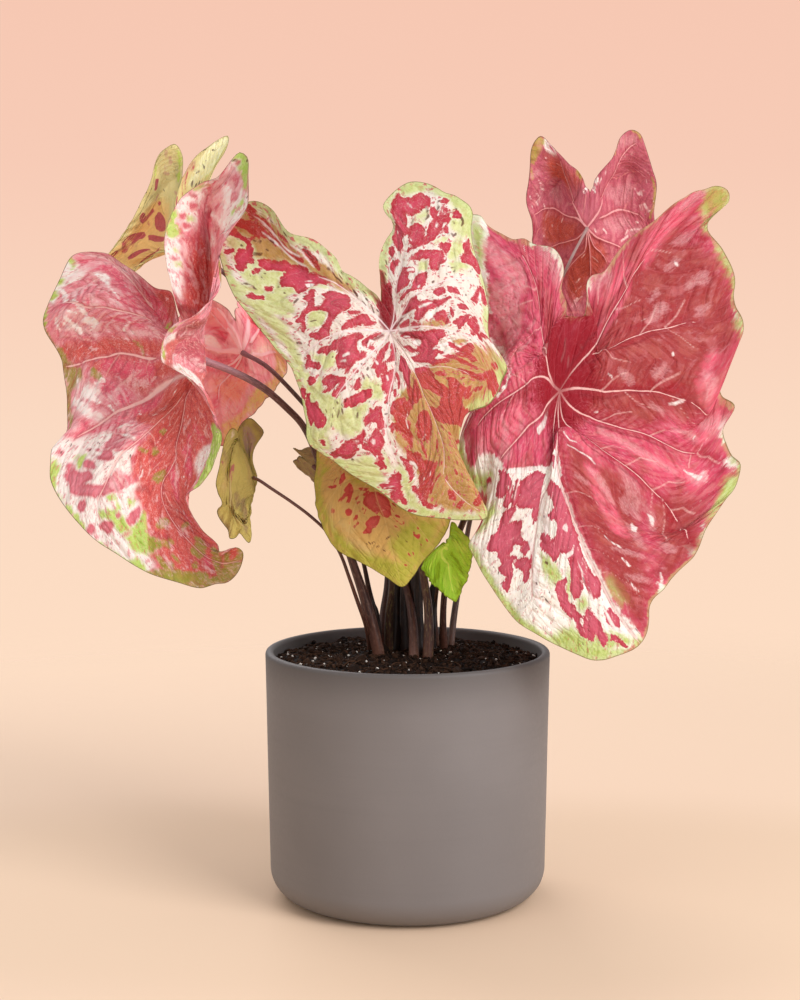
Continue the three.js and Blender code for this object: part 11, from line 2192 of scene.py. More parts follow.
    # the dense side is the one in view: the upper side, or the lower side of a leaf seen from below
    if upflip:
        dense, sparse = bot, top[sel]
    else:
        dense, sparse = top, bot[sel]
    f1 = faces(M, 0, False)
    f2 = faces(len(rows), cnt, True)
    a = 1 + (M - 1) * N + np.arange(N)
    b = 1 + (M - 1) * N + (np.arange(N) + 1) % N
    a2 = cnt + 1 + (len(rows) - 1) * N + np.arange(N)
    b2 = cnt + 1 + (len(rows) - 1) * N + (np.arange(N) + 1) % N
    F_ = np.concatenate([f1, f2, np.stack([a, a2, b2], 1), np.stack([a, b2, b], 1)])
    V = np.concatenate([dense, sparse])
    two = lambda x: np.concatenate([x, x[sel]])
    attrs = dict(luv=two(luv), vd=two(np.stack([d, phase, edge], -1)), flow=two(flow),
                 fa=two(sd[:, :3]), fb=two(sd[:, 3:6]), fc=two(sd[:, 6:9]), fd=two(sd[:, 9:]), vw=two(vw), cell=two(cell * smooth(d, 0.2, 1.6)),
                 side=np.concatenate([np.zeros(cnt), np.ones(len(sel))]))
    ob = new_mesh("leaf_" + name, V, F_, [leaf_material(name, q)], attrs=attrs)
    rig.ride(ob, "root")
    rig.replaces(ob, "blade_" + name)
    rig.slot(ob, "blade_" + name)
    joint = P[0] - up[0] * thick[0] * 0.6
    return joint, -up[0]

# ---------------------------------------------------------------------------------
# looks
# ---------------------------------------------------------------------------------
POT_TONES = ("7E7875", "756F6C", "8A8481", "524C48")
SOIL_TONES = ("150D08", "241710", "4A3222", "090503")
PERLITE_TONES = ("D8D0C4", "F0EAE0", "B7AB9A", "C9BEAF")
FLOOR_TONES = ("EFD0B1", "F7D8BB")
BACK = ((0.0, "F7DAC0"), (1.0, "F6C6B1"), (0.25, "FEDFC5"), (0.52, "FBDAC2"), (0.78, "F7CBB6"))
AMBIENT = ("F0ECEC", "FBFAFC", 0.555)
LIGHTS = [
    ("key", (1.35, -1.35, 1.5), (0, 0, 0.22), (1.25, 1.25), 32.5, "F8F9FF"),
    ("fill", (-1.6, -1.4, 0.9), (0, 0, 0.25), (1.2, 1.2), 6.0, "F4F6FF"),
    ("side", (1.5, -1.1, 0.35), (0, 0, 0.12), (0.8, 0.6), 10.0, "F8F8FF"),
    ("back", (-0.7, 1.4, 1.3), (0, 0, 0.2), (1.4, 0.9), 13.0, "FAF8FC"),
]

# light: the stalk's streak colour, partly its own streaking and partly painted highlight
STALK = dict(dark="3E231C", mid="6A4032", light="9A7A5C", top="6E463C", foot="7A5240")
STALKS = {
    "left_front": dict(STALK, mid="663C2E", light="94705A", top="AE787C", top_from=0.72, base_swell=0.7, swell_len=42.0),
    "centre": dict(STALK, mid="6E4636", light="A89460", base_swell=0.35, swell_len=30.0),
    "left_mid_back": dict(STALK, mid="5E3A2E", light="8A6A54", top="9A666A", top_from=0.8, base_swell=0.45, swell_len=36.0),
    "lower_front": dict(STALK, dark="33201A", mid="563628", light="8C8450", base_swell=0.5, swell_len=36.0),
    "small_hanging": dict(STALK, mid="7C4C3A", light="A87C60", base_swell=0.5, swell_len=30.0),
    "left_back": dict(STALK, dark="2E1A14", mid="4A2C22", light="6E5440"),
    "small_furled": dict(STALK, dark="2E1A14", mid="4A2C22", light="6E5440", base_swell=0.5, swell_len=30.0),
    "right_back": dict(STALK, slim=0.62, dark="5A4C44", mid="7C6A62", light="A89A8C", top="B89890", base_swell=0.4, swell_len=30.0),
    "small_green": dict(STALK, mid="7A5442", light="A88A68", top="8A8A4A"),
}

# gain in a style is painted light: it brightens the blade's colour for light through the thin blade and for blades in
# shade
STYLES = {
 "right_front": dict(mesh=(480, 166), skip=5, veins=[0, 38, 64, 90, 116, 146, -30, -57, -88, -118, -147], side_gap=7.0,
    ground=("D4506A", "CA425A", "E4909A"), streak=0.6, cream=("FAF4E6", "F6EEDC", "FCF6EE"), fleck=("CA4E60", 0.55, 0.585, 0.5), cloud=(("B86254", 0.50, 0.66, 0.4), ("8E2E2A", 0.54, 0.68, 0.45), ("DA8484", 0.58, 0.70, 0.3)), cloud_scale=0.11, cell_tan=0.4, cell_size=(1.7, 0.07), cell_low=("8A2430", 0.28), cell_high=("E08C88", 0.3), redstreak=("EAB0AE", 0.56, 0.66, 0.7), marble=("E8A6A8", 0.56, 0.68, 0.3), soft_cream=0.8,
    green=("C9D68C", "AEC05C", "8FAA34"), soft_green=2.0, tan=("9A342C", "8C2A25", "A8463A"), soft_tan=6.0, amount_tan=0.9,
    rose=("E2566C", "EA7E8C"), amount_rose=0.9,
    red=("C24A5C", "B83E4C", "D06474", "AC3440"), red_tan=("BE403E", "B43834"), rim=("F4E8E0", 0.2), jag_red=1.3,
    dark=("A01C28", "8C1420"), soft_dark=2.6, jag_dark=1.4, amount_dark=0.85, low=("962C34", 0.18), high=("D08888", 0.2),
    shade=("7A1820", 0.6), fold=("8E1C24", 0.5), ochre=("A8A048", "B89850", "8C8838"),
    pale=("E2A4A4", "E8BCB6"), amount_pale=0.5, soft_pale=1.0, white=("F4EAE0", "EFDAD0"), dash="5B2A28",
    band=(("C9D68C", "B4BE74", "9AA84A"), 2.0, 1.6), band_amount=0.4, vein=("EFBDB2", "D87078"), vein_w=0.9, glow=0.08, heart=("8E0E1C", 30.0), vein_from=(2.0, 9.0, 0.3),
    sec=0.22, sec_w=0.04, stipple_color="B05058", edge="7A6A3C", line_amount=0.6),
 # on the centre blade the tan zone is partly its own colour and partly painted shade from the right front blade over
 # its lower right half
 "centre": dict(mesh=(440, 120), skip=5, veins=[0, 30, 62, 94, 122, 150, -30, -60, -95, -125, -150], side_gap=8.0,
    ground=("F0E4D4", "ECDAC8", "F6EAE0"), green=("DCDCA0", "CACC82", "B8BA66"), tan=("C4955A", "B68A42", "CCA468"), soft_green=1.6, soft_tan=1.4,
    red=("C03444", "B62C3A", "CE4A60", "9E202C"), red_tan=("BE403A", "B43630"), rim=("F9EFE8", 0.25),
    white=("FAF1E8", "F4E4D8"), dark=("7C0A16", "920F20"), soft_dark=0.8, dash="5B2A20", fleck=("C84C58", 0.535, 0.575, 0.9), grow=0.35, jag_red=1.0, redstreak=("EAA8A6", 0.58, 0.68, 0.6), mist=("E6CCB8", 0.5, 0.64, 0.3),
    band=(("D2DA94", "BEC672", "A6B250"), 4.5, 1.5), band_amount=0.85, vein=("F8E0DA", "EEBAB6"), vein_w=1.0, glow=0.14, line=0.8,
    sec=0.10, streak=0.25, stipple_color="C9BC8C", edge="6E6A34"),
 "left_front": dict(gain=1.17, vein_gain=1.6, cell_size=(1.15, 0.09), cell_relief=0.45, cell_low=("A83448", 0.5), cell_high=("F2D4CE", 0.42), redstreak=("EAB4B0", 0.56, 0.66, 0.7), mesh=(440, 130), skip=4, veins=[0, -32, -62, -88, -115, -147, 25, 52, 75, 92, 112, 132, 152], side_gap=7.0,
    ground=("DC7E86", "D26E78", "ECACAE"), streak=0.6, marble=("F2CCC8", 0.55, 0.63, 0.6), cream=("EEE2D6", "E8D6CA", "F4ECE4"), fleck=("CC5E6A", 0.53, 0.575, 0.6), mist=("F0BEB4", 0.49, 0.62, 0.45), soft_cream=1.2, zone_jag=2.0,
    green=("BCCC74", "A2C04C", "86A82C"), soft_green=1.2, tan=("CC5248", "C4463C", "D46A58"), soft_tan=3.0, amount_tan=0.95,
    rose=("DC4A66", "E2667A"), amount_rose=0.85, ochre=("8E8C2C", "A89444", "6E7618"), soft_ochre=0.9, amount_ochre=0.9,
    red=("CC6872", "C25A62", "D48088", "B04450"), red_tan=("C83C38", "C03430"), rim=("F2E6DE", 0.3), soft_red=0.8, jag_red=0.8,
    dark=("942228", "86181E"), soft_dark=0.9, jag_dark=0.7, amount_dark=0.5, low=("A03A38", 0.10), high=("E09C92", 0.36),
    shade=("8A2A30", 0.6), fold=("A03438", 0.25),
    pale=("ECC0BA", "F2D2CC"), amount_pale=0.72, soft_pale=0.9, jag_pale=2.8, soft_white=0.7, jag_white=1.6, white=("F4EAE0", "EFDAD0"), dash="5B3430",
    vein=("F0BEB4", "D88078"), vein_w=0.9, glow=0.15, sec=0.25, sec_w=0.045, line_amount=0.6, line_color="EAB8AC", stipple_color="A8504A",
    under_color="D9A39E", under_amount=0.12, edge="6B5A34"),
 "left_mid_back": dict(gain=1.42, vein_gain=1.15, cell_low=("B04858", 0.4), cell_high=("F2D0C8", 0.4), mesh=(240, 80), skip=4, veins=[0, 40, 75, 115, 150, -40, -80, -115, -147], side_gap=7.0,
    ground=("EEA4A8", "E8969C", "F6C8C6"), streak=0.5, marble=("F4C8C0", 0.53, 0.66, 0.5), cream=("EBD0BE", "E6BEAC"), soft_cream=1.2, green=("BCC058", "A8B23E"), soft_green=1.6,
    tan=("EA9A84", "E28A76", "F0B09A"), soft_tan=4.0, ochre=("DCC878", "E4B478", "C4B45C"), soft_ochre=2.6, amount_ochre=0.9,
    rose=("D8586C", "E06E80"), pale=("E8B0A4", "E2A49C"), amount_pale=0.9, soft_pale=0.9, dark=("B04048", "A8383C"), soft_dark=1.0, amount_dark=0.5, white=("F6DCD4", "EED0C8"), low=("B85250", 0.15), high=("DC9A90", 0.3),
    vein=("F2C0C0", "DC8C90"), vein_w=0.8, glow=0.2, line=0.95, line_color="E8A8A0", line_amount=0.7, under_amount=0.0, edge="6B5A34"),
 "left_back": dict(gain=1.5, mesh=(220, 70), skip=4, veins=[0, -60, -110, -148, 50, 100, 150], side_gap=7.0, sec=0.12,
    ground=("D0C488", "C6B87A", "DED4A6"), green=("B4C25A", "A2B444"), soft_green=1.0, cream=("E4D6A4", "DCCB94"), soft_cream=0.8, tan=("D2A868", "CBA060", "D8B878"), soft_tan=6.0,
    red=("B25A5C", "A64A50", "B86A68", "9C4048"), red_tan=("AC5250", "A04648"), rim=("E0CC94", 0.3), soft_red=0.4, rose=("B88C78", "AE8070"), soft_rose=0.8, jag_rose=0.7, amount_rose=0.8,
    pale=("E6E6C0", "DCE0B0"), soft_pale=1.2, jag_pale=1.0, amount_pale=1.0, shade=("6A5E20", 0.75), soft_shade=0.35, dash="4A3430",
    vein=("9C8440", "B09A54"), vein_w=0.6, glow=0.1, line=0.7, under_amount=0.0, edge="6B6434"),
 "right_back": dict(gain=1.36, cell_low=("8E2E3E", 0.35), cell_high=("DC9894", 0.35), mesh=(280, 90), skip=4, veins=[0, 40, 75, 108, 128, 150, -40, -75, -108, -128, -150], side_gap=7.0,
    ground=("BC5E6C", "B25060", "CC7C84"), streak=0.5, mist=("D89890", 0.50, 0.62, 0.35), cream=("EEE0D4", "E6CFC8"), soft_cream=0.8, tan=("B85040", "B04838", "C4644C"), soft_tan=4.0, rose=("C85070", "BC4464"), soft_rose=0.8, jag_rose=0.5,
    ochre=("ACA848", "B49A48", "9C9838"), soft_ochre=0.9, jag_ochre=0.8, pale=("CC8C90", "D8A4A0"), amount_pale=0.65, soft_pale=1.0, dark=("962C34", "8A2228"), soft_dark=0.8, amount_dark=0.55, low=("8E3430", 0.25), high=("CE8A88", 0.3),
    white=("F2DAD0", "EBC8C0"), vein=("E6A8A4", "CC7474"), vein_w=0.8, glow=0.25, fold=("9A3034", 0.35), line_color="DC9088", line_amount=0.75, under_amount=0.0, edge="5E4A2C"),
 "small_hanging": dict(gain=1.2, mesh=(160, 70), skip=4, veins=[0], side_gap=5.0, sec=0.12,
    ground=("B4B034", "A4A22A", "C2BC4E"), red=("A04838", "943C30", "AC584A"), soft_red=0.4, green=("7E8E22", "8C9A30"), soft_green=1.6, cream=("E0D6A4", "CFC488"), soft_cream=0.7, jag_red=0.3,
    ochre=("B49A48", "B8A04C", "AC8E40"), soft_ochre=2.0, amount_ochre=0.6, pale=("A68884", "987C80"), soft_pale=1.2, jag_pale=1.0, amount_pale=0.85, dark=("746C24", "665E20"), soft_dark=1.6, jag_dark=1.0, amount_dark=0.8,
    vein=("BCB05E", "B0A450"), vein_w=0.6, edge="4F4A20"),
 "lower_front": dict(gain=1.14, mesh=(200, 70), skip=4, veins=[0, 40, 80, -40, -80, -145, 145], side_gap=6.0, sec=0.08,
    ground=("C49A56", "BA9050", "CEA868"), streak=0.3, green=("AAA03E", "9C9834"), soft_green=3.0, red=("B43E36", "A8342E", "C25048", "9C3028"), rim=("CE9E68", 0.2), jag_red=0.6, fleck=("B8463C", 0.60, 0.64, 0.6), white=("CE7A68", "D08A70"), dash="5A2E20",
    pale=("B89C64", "BEA468"), amount_pale=0.6, band=(("A89C3C", "9C9434", "8E8C2C"), 3.0, 1.5), band_amount=0.75, vein=("D0AC70", "C6A264"), vein_w=0.5, line=0.35, glow=0.08, edge="5E5626"),
 "small_green": dict(gain=2.1, mesh=(140, 60), skip=4, veins=[0, 60, -60, 130], side_gap=5.0, sec=0.15,
    ground=("92BC38", "88B42C", "A0C848"), dark=("769A1A", "6C9014"), soft_dark=1.2, jag_dark=1.2, amount_dark=0.9, pale=("ACC850", "A4C046"), amount_pale=0.8, soft_pale=1.2, jag_pale=1.0,
    vein=("B8D45C", "A8C448"), vein_w=0.6, line=0.8, glow=0.3, line_color="B4D05A", low=("6E9014", 0.2), band=(("7C8C1E", "748018"), 1.2, 0.8), band_amount=0.7, edge="5A6A1C"),
 "small_furled": dict(gain=1.3, mesh=(140, 40), veins=[0], side_gap=4.0,
    ground=("7D8030", "6A6E28", "95984A"), marble=("5A4A24", 0.5, 0.62, 0.7), vein=("9CA050", "8A8E40"), vein_w=0.5, edge="3F3F16"),
}



# ---------------------------------------------------------------------------------
# stalks
# ---------------------------------------------------------------------------------
def spline(points, n):
    """Centripetal Catmull-Rom through the points, n samples even in length."""
    P = [np.array(p, float) for p in points]
    P = [2 * P[0] - P[1]] + P + [2 * P[-1] - P[-2]]
    dense = []
    for i in range(1, len(P) - 2):
        p0, p1, p2, p3 = P[i - 1], P[i], P[i + 1], P[i + 2]
        t0 = 0.0
        t1 = t0 + max(np.linalg.norm(p1 - p0), 1e-6) ** 0.5
        t2 = t1 + max(np.linalg.norm(p2 - p1), 1e-6) ** 0.5
        t3 = t2 + max(np.linalg.norm(p3 - p2), 1e-6) ** 0.5
        for t in np.linspace(t1, t2, 24, endpoint=False):
            a1 = (t1 - t) / (t1 - t0) * p0 + (t - t0) / (t1 - t0) * p1
            a2 = (t2 - t) / (t2 - t1) * p1 + (t - t1) / (t2 - t1) * p2
            a3 = (t3 - t) / (t3 - t2) * p2 + (t - t2) / (t3 - t2) * p3
            b1 = (t2 - t) / (t2 - t0) * a1 + (t - t0) / (t2 - t0) * a2
            b2 = (t3 - t) / (t3 - t1) * a2 + (t - t1) / (t3 - t1) * a3
            dense.append((t2 - t) / (t2 - t1) * b1 + (t - t1) / (t2 - t1) * b2)
    dense.append(P[-2])
    dense = np.array(dense)
    L = np.concatenate([[0], np.cumsum(np.linalg.norm(np.diff(dense, axis=0), axis=1))])
    s = np.linspace(0, L[-1], n)
    return np.stack([np.interp(s, L, dense[:, k]) for k in range(3)], -1), s


def tube(centre, radius, sides, ridge=0.0, seed=0):
    """Ring vertices of a tube along centre; radius per ring; the frame is carried along without twist."""
    n = len(centre)
    tan = np.gradient(centre, axis=0)
    tan /= np.linalg.norm(tan, axis=1)[:, None]
    ref = np.array([0.0, -1.0, 0.0])
    a = ref - tan[0] * (ref @ tan[0])
    a /= np.linalg.norm(a)
    frames = [a]
    for i in range(1, n):
        a = frames[-1] - tan[i] * (frames[-1] @ tan[i])
        frames.append(a / np.linalg.norm(a))
    A = np.array(frames)
    B = np.cross(tan, A)
    th = 2 * np.pi * np.arange(sides) / sides
    rr = 1 + ridge * (0.6 * np.cos(7 * th + seed) + 0.4 * np.cos(11 * th + 2 * seed))
    ring = (A[:, None] * np.cos(th)[None, :, None] + B[:, None] * np.sin(th)[None, :, None]) * rr[None, :, None]
    V = centre[:, None] + ring * np.asarray(radius)[:, None, None]
    return V.reshape(-1, 3), th, tan


def tube_faces(n, sides, offset=0):
    F = []
    for i in range(n - 1):
        for k in range(sides):
            a, b = i * sides + k, i * sides + (k + 1) % sides
            F.append((a + offset, b + offset, b + sides + offset, a + sides + offset))
    return F


def stalk_material(name, q):
    g = Graph("stalk_" + name, 0.45)
    pos = g.attr("rod")               # x: round the stalk, y: round the stalk, z: along it in mm
    x, y, z = g.sep(pos)
    t = g.fattr("along")
    long_ = g.comb(g.m("MULTIPLY", x, 1.0), g.m("MULTIPLY", y, 1.0), g.m("MULTIPLY", z, 0.02))
    n1 = g.noise(long_, 2.2, 4.0, 0.6)
    n2 = g.noise(g.comb(x, y, g.m("MULTIPLY", z, 0.12)), 3.0, 3.0, 0.6)
    n3 = g.noise(g.comb(x, y, g.m("MULTIPLY", z, 0.8)), 1.2, 3.0, 0.7)
    c = g.mix(g.ramp(n1, 0.35, 0.68), q["dark"], q["mid"])
    # light streaks along the stalk: partly its own streaking and partly painted highlight
    c = g.mix(g.ramp(n2, 0.50, 0.72, 0.0, q.get("light_amount", 0.6)), c, q["light"])
    c = g.mix(g.ramp(g.m("ADD", t, g.m("MULTIPLY", g.m("SUBTRACT", n2, 0.5), 0.3)), q.get("top_from", 0.55), 1.0), c, q["top"])
    low = g.ramp(g.m("ADD", t, g.m("MULTIPLY", g.m("SUBTRACT", n3, 0.5), 0.16)), 0.0, q.get("foot_to", 0.14), 1.0, 0.0)
    c = g.mix(g.m("MULTIPLY", low, q.get("foot_amount", 0.6)), c, q.get("foot", "6B4A38"))
    dots = g.ramp(n3, 0.62, 0.68, 0.0, 0.5)
    c = g.mix(dots, c, q["dark"])
    g.color(c)
    g.rough(g.ramp(n3, 0.2, 0.8, 0.36, 0.55, "LINEAR"))
    g.bsdf.inputs["Specular IOR Level"].default_value = 0.45
    g.bump(g.m("ADD", g.m("MULTIPLY", n1, 0.8), g.m("MULTIPLY", n3, 0.35)), 0.35, 0.0005)
    return g.mat


def stalk(name, q, joint, lower):
    data = PETIOLES[name]
    r0, r1 = data["radius"]
    pts = [np.array(p, float) for p in data["path"]]
    rise = pts[1][2] - pts[0][2]
    below = pts[0] - (pts[1] - pts[0]) * 7.0 / rise
    below[2] = pts[0][2] - 7.0
    pts = [below] + pts
    pts.append(joint + lower * 0.2)
    n = int(q.get("steps", 90))
    C, s = spline(pts, n)
    t = s / s[-1]
    rad = r0 + (r1 - r0) * np.minimum(1, 1.6 * t)
    rad = rad * (1 - (1 - q.get("slim", 1.0)) * smooth(t, 0.3, 0.8))
    rad = rad * (1 + q.get("base_swell", 0.35) * np.exp(-(np.maximum(0, s - 7) / q.get("swell_len", 16.0)) ** 2))
    rad = rad * (1 + q.get("joint_swell", 0.25) * np.exp(-((s[-1] - s) / 4.0) ** 2))
    # a faint waviness of the hand-grown kind
    rad = rad * (1 + 0.03 * vnoise(np.stack([s * 0.06, s * 0 + len(name), s * 0], -1), 1.0, 3))
    sides = int(q.get("sides", 26))
    V, th, tan = tube(C, rad, sides, 0.05, len(name))
    F = tube_faces(n, sides)
    V = np.concatenate([V, C[:1] , C[-1:] + tan[-1:] * rad[-1] * 0.3])
    for k in range(sides):
        F.append(((k + 1) % sides, k, n * sides))
        F.append(((n - 1) * sides + k, (n - 1) * sides + (k + 1) % sides, n * sides + 1))
    rod = np.concatenate([np.stack([np.tile(np.cos(th), n), np.tile(np.sin(th), n), np.repeat(s, sides)], -1),
                          [[0, 0, 0], [0, 0, s[-1]]]])
    al = np.concatenate([np.repeat(t, sides), [0, 1]])
    ob = new_mesh("stalk_" + name, V, F, [stalk_material(name, q)], attrs=dict(rod=rod, along=al))
    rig.ride(ob, "root")
    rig.replaces(ob, "petiole_" + name)
    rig.slot(ob, "petiole")
    return C


# ---------------------------------------------------------------------------------
# pot and soil
# ---------------------------------------------------------------------------------
POT = dict(height=130.8, rim=75.0, base=72.9, foot=15.5, wall=4.4, floor=6.0)
SOIL_EDGE, SOIL_CROWN = 124.6, 3.4


def lathe(profile, steps):
    prof = np.array(profile, float)
    n = len(prof)
    ang = 2 * np.pi * np.arange(steps) / steps
    V, ring = [], []
    for r, z in prof:
        if r < 1e-6:
            ring.append([len(V)])
            V.append((0, 0, z))
        else:
            ring.append(list(range(len(V), len(V) + steps)))
            V.extend(zip(r * np.cos(ang), r * np.sin(ang), [z] * steps))
    F = []
    for i in range(n - 1):
        a, b = ring[i], ring[i + 1]
        for k in range(steps):
            j = (k + 1) % steps
            if len(a) == 1:
                F.append((a[0], b[j], b[k]))
            elif len(b) == 1:
                F.append((a[k], a[j], b[0]))
            else:
                F.append((a[k], a[j], b[j], b[k]))
    return np.array(V), F


def pot():
    H, R, B, ft, w, fl = (POT[k] for k in ("height", "rim", "base", "foot", "wall", "floor"))
    slope = (R - B) / (H - ft)
    prof = [(0, 0.9), (B - ft - 6.0, 0.9), (B - ft - 5.0, 0.55), (B - ft - 4.2, 0.0)]
    for i in range(17):
        a = i / 16 * math.pi / 2
        prof.append((B - ft * (1 - math.sin(a)), ft * (1 - math.cos(a))))
    lip = w / 2
    top = H - lip
    for i in range(1, 15):
        z = ft + (top - ft) * i / 15
        prof.append((B + slope * (z - ft), z))
    for i in range(17):
        a = i / 16 * math.pi
        c = math.cos(a)
        prof.append((R - slope * lip - lip + lip * math.copysign(abs(c) ** 0.85, c), top + lip * math.sin(a) ** 0.85))
    inner, low = ft - w, B - w
    for i in range(1, 8):
        z = top - (top - fl - inner) * i / 8
        prof.append((low + slope * (z - ft), z))
    for i in range(8, -1, -1):
        a = i / 8 * math.pi / 2
        prof.append((low - inner * (1 - math.sin(a)), fl + inner * (1 - math.cos(a))))
    prof.append((0, fl))
    V, F = lathe(prof, 224)
    # a hand-finished wall is never perfectly true
    th = np.arctan2(V[:, 1], V[:, 0])
    r = np.hypot(V[:, 0], V[:, 1])
    wob = 0.10 * np.sin(3 * th + 0.02 * V[:, 2]) + 0.06 * np.sin(7 * th + 1 - 0.05 * V[:, 2])
    k = 1 + np.where(r > 30, -np.abs(wob) / np.maximum(r, 1), 0) * smooth(V[:, 2], 2, 20)
    V[:, 0] *= k
    V[:, 1] *= k
    g = Graph("pot_matte", 0.6)
    tc = g.nt.nodes.new("ShaderNodeTexCoord").outputs["Object"]
    n1 = g.noise(tc, 9.0, 3.0, 0.5)
    n2 = g.noise(tc, 420.0, 3.0, 0.6)
    n3 = g.noise(tc, 1400.0, 2.0, 0.7)
    ox, oy, oz = g.sep(tc)
    st = g.noise(g.comb(g.m("MULTIPLY", ox, 8.0), g.m("MULTIPLY", oy, 8.0), g.m("MULTIPLY", oz, 260.0)), 1.0, 3.0, 0.6)
    c = g.mix(g.ramp(n1, 0.3, 0.7), POT_TONES[0], POT_TONES[1])
    c = g.mix(g.ramp(n2, 0.55, 0.8, 0.0, 0.10), c, POT_TONES[2])
    c = g.mix(g.ramp(n3, 0.66, 0.74, 0.0, 0.14), c, POT_TONES[3])
    c = g.mix(g.ramp(st, 0.45, 0.8, 0.0, 0.05), c, POT_TONES[3])
    # painted shade: the body is darker in a band below the lip, where the foliage above shades it
    c = g.mix(g.m("MULTIPLY", g.ramp(oz, 0.108, 0.139, 0.0, 0.95), g.ramp(oz, 0.1415, 0.1435, 1.0, 0.0)), c, POT_TONES[3])
    g.color(c)
    g.rough(g.ramp(n2, 0.2, 0.8, 0.50, 0.64, "LINEAR"))
    g.bsdf.inputs["Specular IOR Level"].default_value = 0.4
    g.bump(g.m("ADD", g.m("MULTIPLY", n3, 0.5), g.m("ADD", g.m("MULTIPLY", n2, 0.5), g.m("MULTIPLY", st, 0.25))), 0.16, 0.0003)
    ob = new_mesh("pot_shell", V, F, [g.mat])
    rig.ride(ob, "root")
    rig.replaces(ob, "pot")
    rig.slot(ob, "pot")
    return ob


def soil_height(x, y):
    r = np.hypot(x, y)
    t = np.clip(r / (POT["base"] - POT["wall"]), 0, 1)
    z = SOIL_EDGE + SOIL_CROWN * np.cos(t * np.pi / 2) ** 1.2
    p = np.stack([x, y, 0 * x], -1)
    return z + (1.1 * fbm(p, 0.075, 3, 0.55, 11) + 0.35 * fbm(p, 0.35, 2, 0.6, 21)) * smooth(73.0 - r, 0.5, 5.0) - 0.3


def ico():
    t = (1 + 5 ** 0.5) / 2
    v = np.array([(-1, t, 0), (1, t, 0), (-1, -t, 0), (1, -t, 0), (0, -1, t), (0, 1, t), (0, -1, -t), (0, 1, -t),
                  (t, 0, -1), (t, 0, 1), (-t, 0, -1), (-t, 0, 1)], float)
    v /= np.linalg.norm(v, axis=1)[:, None]
    f = [(0, 11, 5), (0, 5, 1), (0, 1, 7), (0, 7, 10), (0, 10, 11), (1, 5, 9), (5, 11, 4), (11, 10, 2), (10, 7, 6), (7, 1, 8),
         (3, 9, 4), (3, 4, 2), (3, 2, 6), (3, 6, 8), (3, 8, 9), (4, 9, 5), (2, 4, 11), (6, 2, 10), (8, 6, 7), (9, 8, 1)]
    return v, np.array(f)


def ico2():
    v, f = ico()
    v = list(map(tuple, v))
    cache, out = {}, []

    def mid(a, b):
        k = (min(a, b), max(a, b))
        if k not in cache:
            m = np.array(v[a]) + np.array(v[b])
            cache[k] = len(v)
            v.append(tuple(m / np.linalg.norm(m)))
        return cache[k]
    for a, b, c in f:
        ab, bc, ca = mid(a, b), mid(b, c), mid(c, a)
        out += [(a, ab, ca), (b, bc, ab), (c, ca, bc), (ab, bc, ca)]
    return np.array(v), np.array(out)


def rotations(rs, n):
    q = rs.normal(size=(n, 4))
    q /= np.linalg.norm(q, axis=1)[:, None]
    w, x, y, z = q.T
    return np.stack([np.stack([1 - 2 * (y * y + z * z), 2 * (x * y - z * w), 2 * (x * z + y * w)], -1),
                     np.stack([2 * (x * y + z * w), 1 - 2 * (x * x + z * z), 2 * (y * z - x * w)], -1),
                     np.stack([2 * (x * z - y * w), 2 * (y * z + x * w), 1 - 2 * (x * x + y * y)], -1)], 1)


def lumps(rs, xy, size, squash, sink, base):
    """Irregular pieces of the sizes given, lying on the soil at xy."""
    bv, bf = base
    n, m = len(xy), len(bv)
    jit = 1 + 0.28 * rs.uniform(-1, 1, (n, m))
    V = bv[None] * jit[..., None] * (1 + squash * rs.uniform(-1, 1, (n, 1, 3)))
    V = np.einsum("nij,nmj->nmi", rotations(rs, n), V) * size[:, None, None]
    z = soil_height(xy[:, 0], xy[:, 1]) + size * sink
    V += np.stack([xy[:, 0], xy[:, 1], z], -1)[:, None]
    F = (bf[None] + (np.arange(n) * m)[:, None, None]).reshape(-1, 3)
    return V.reshape(-1, 3), F


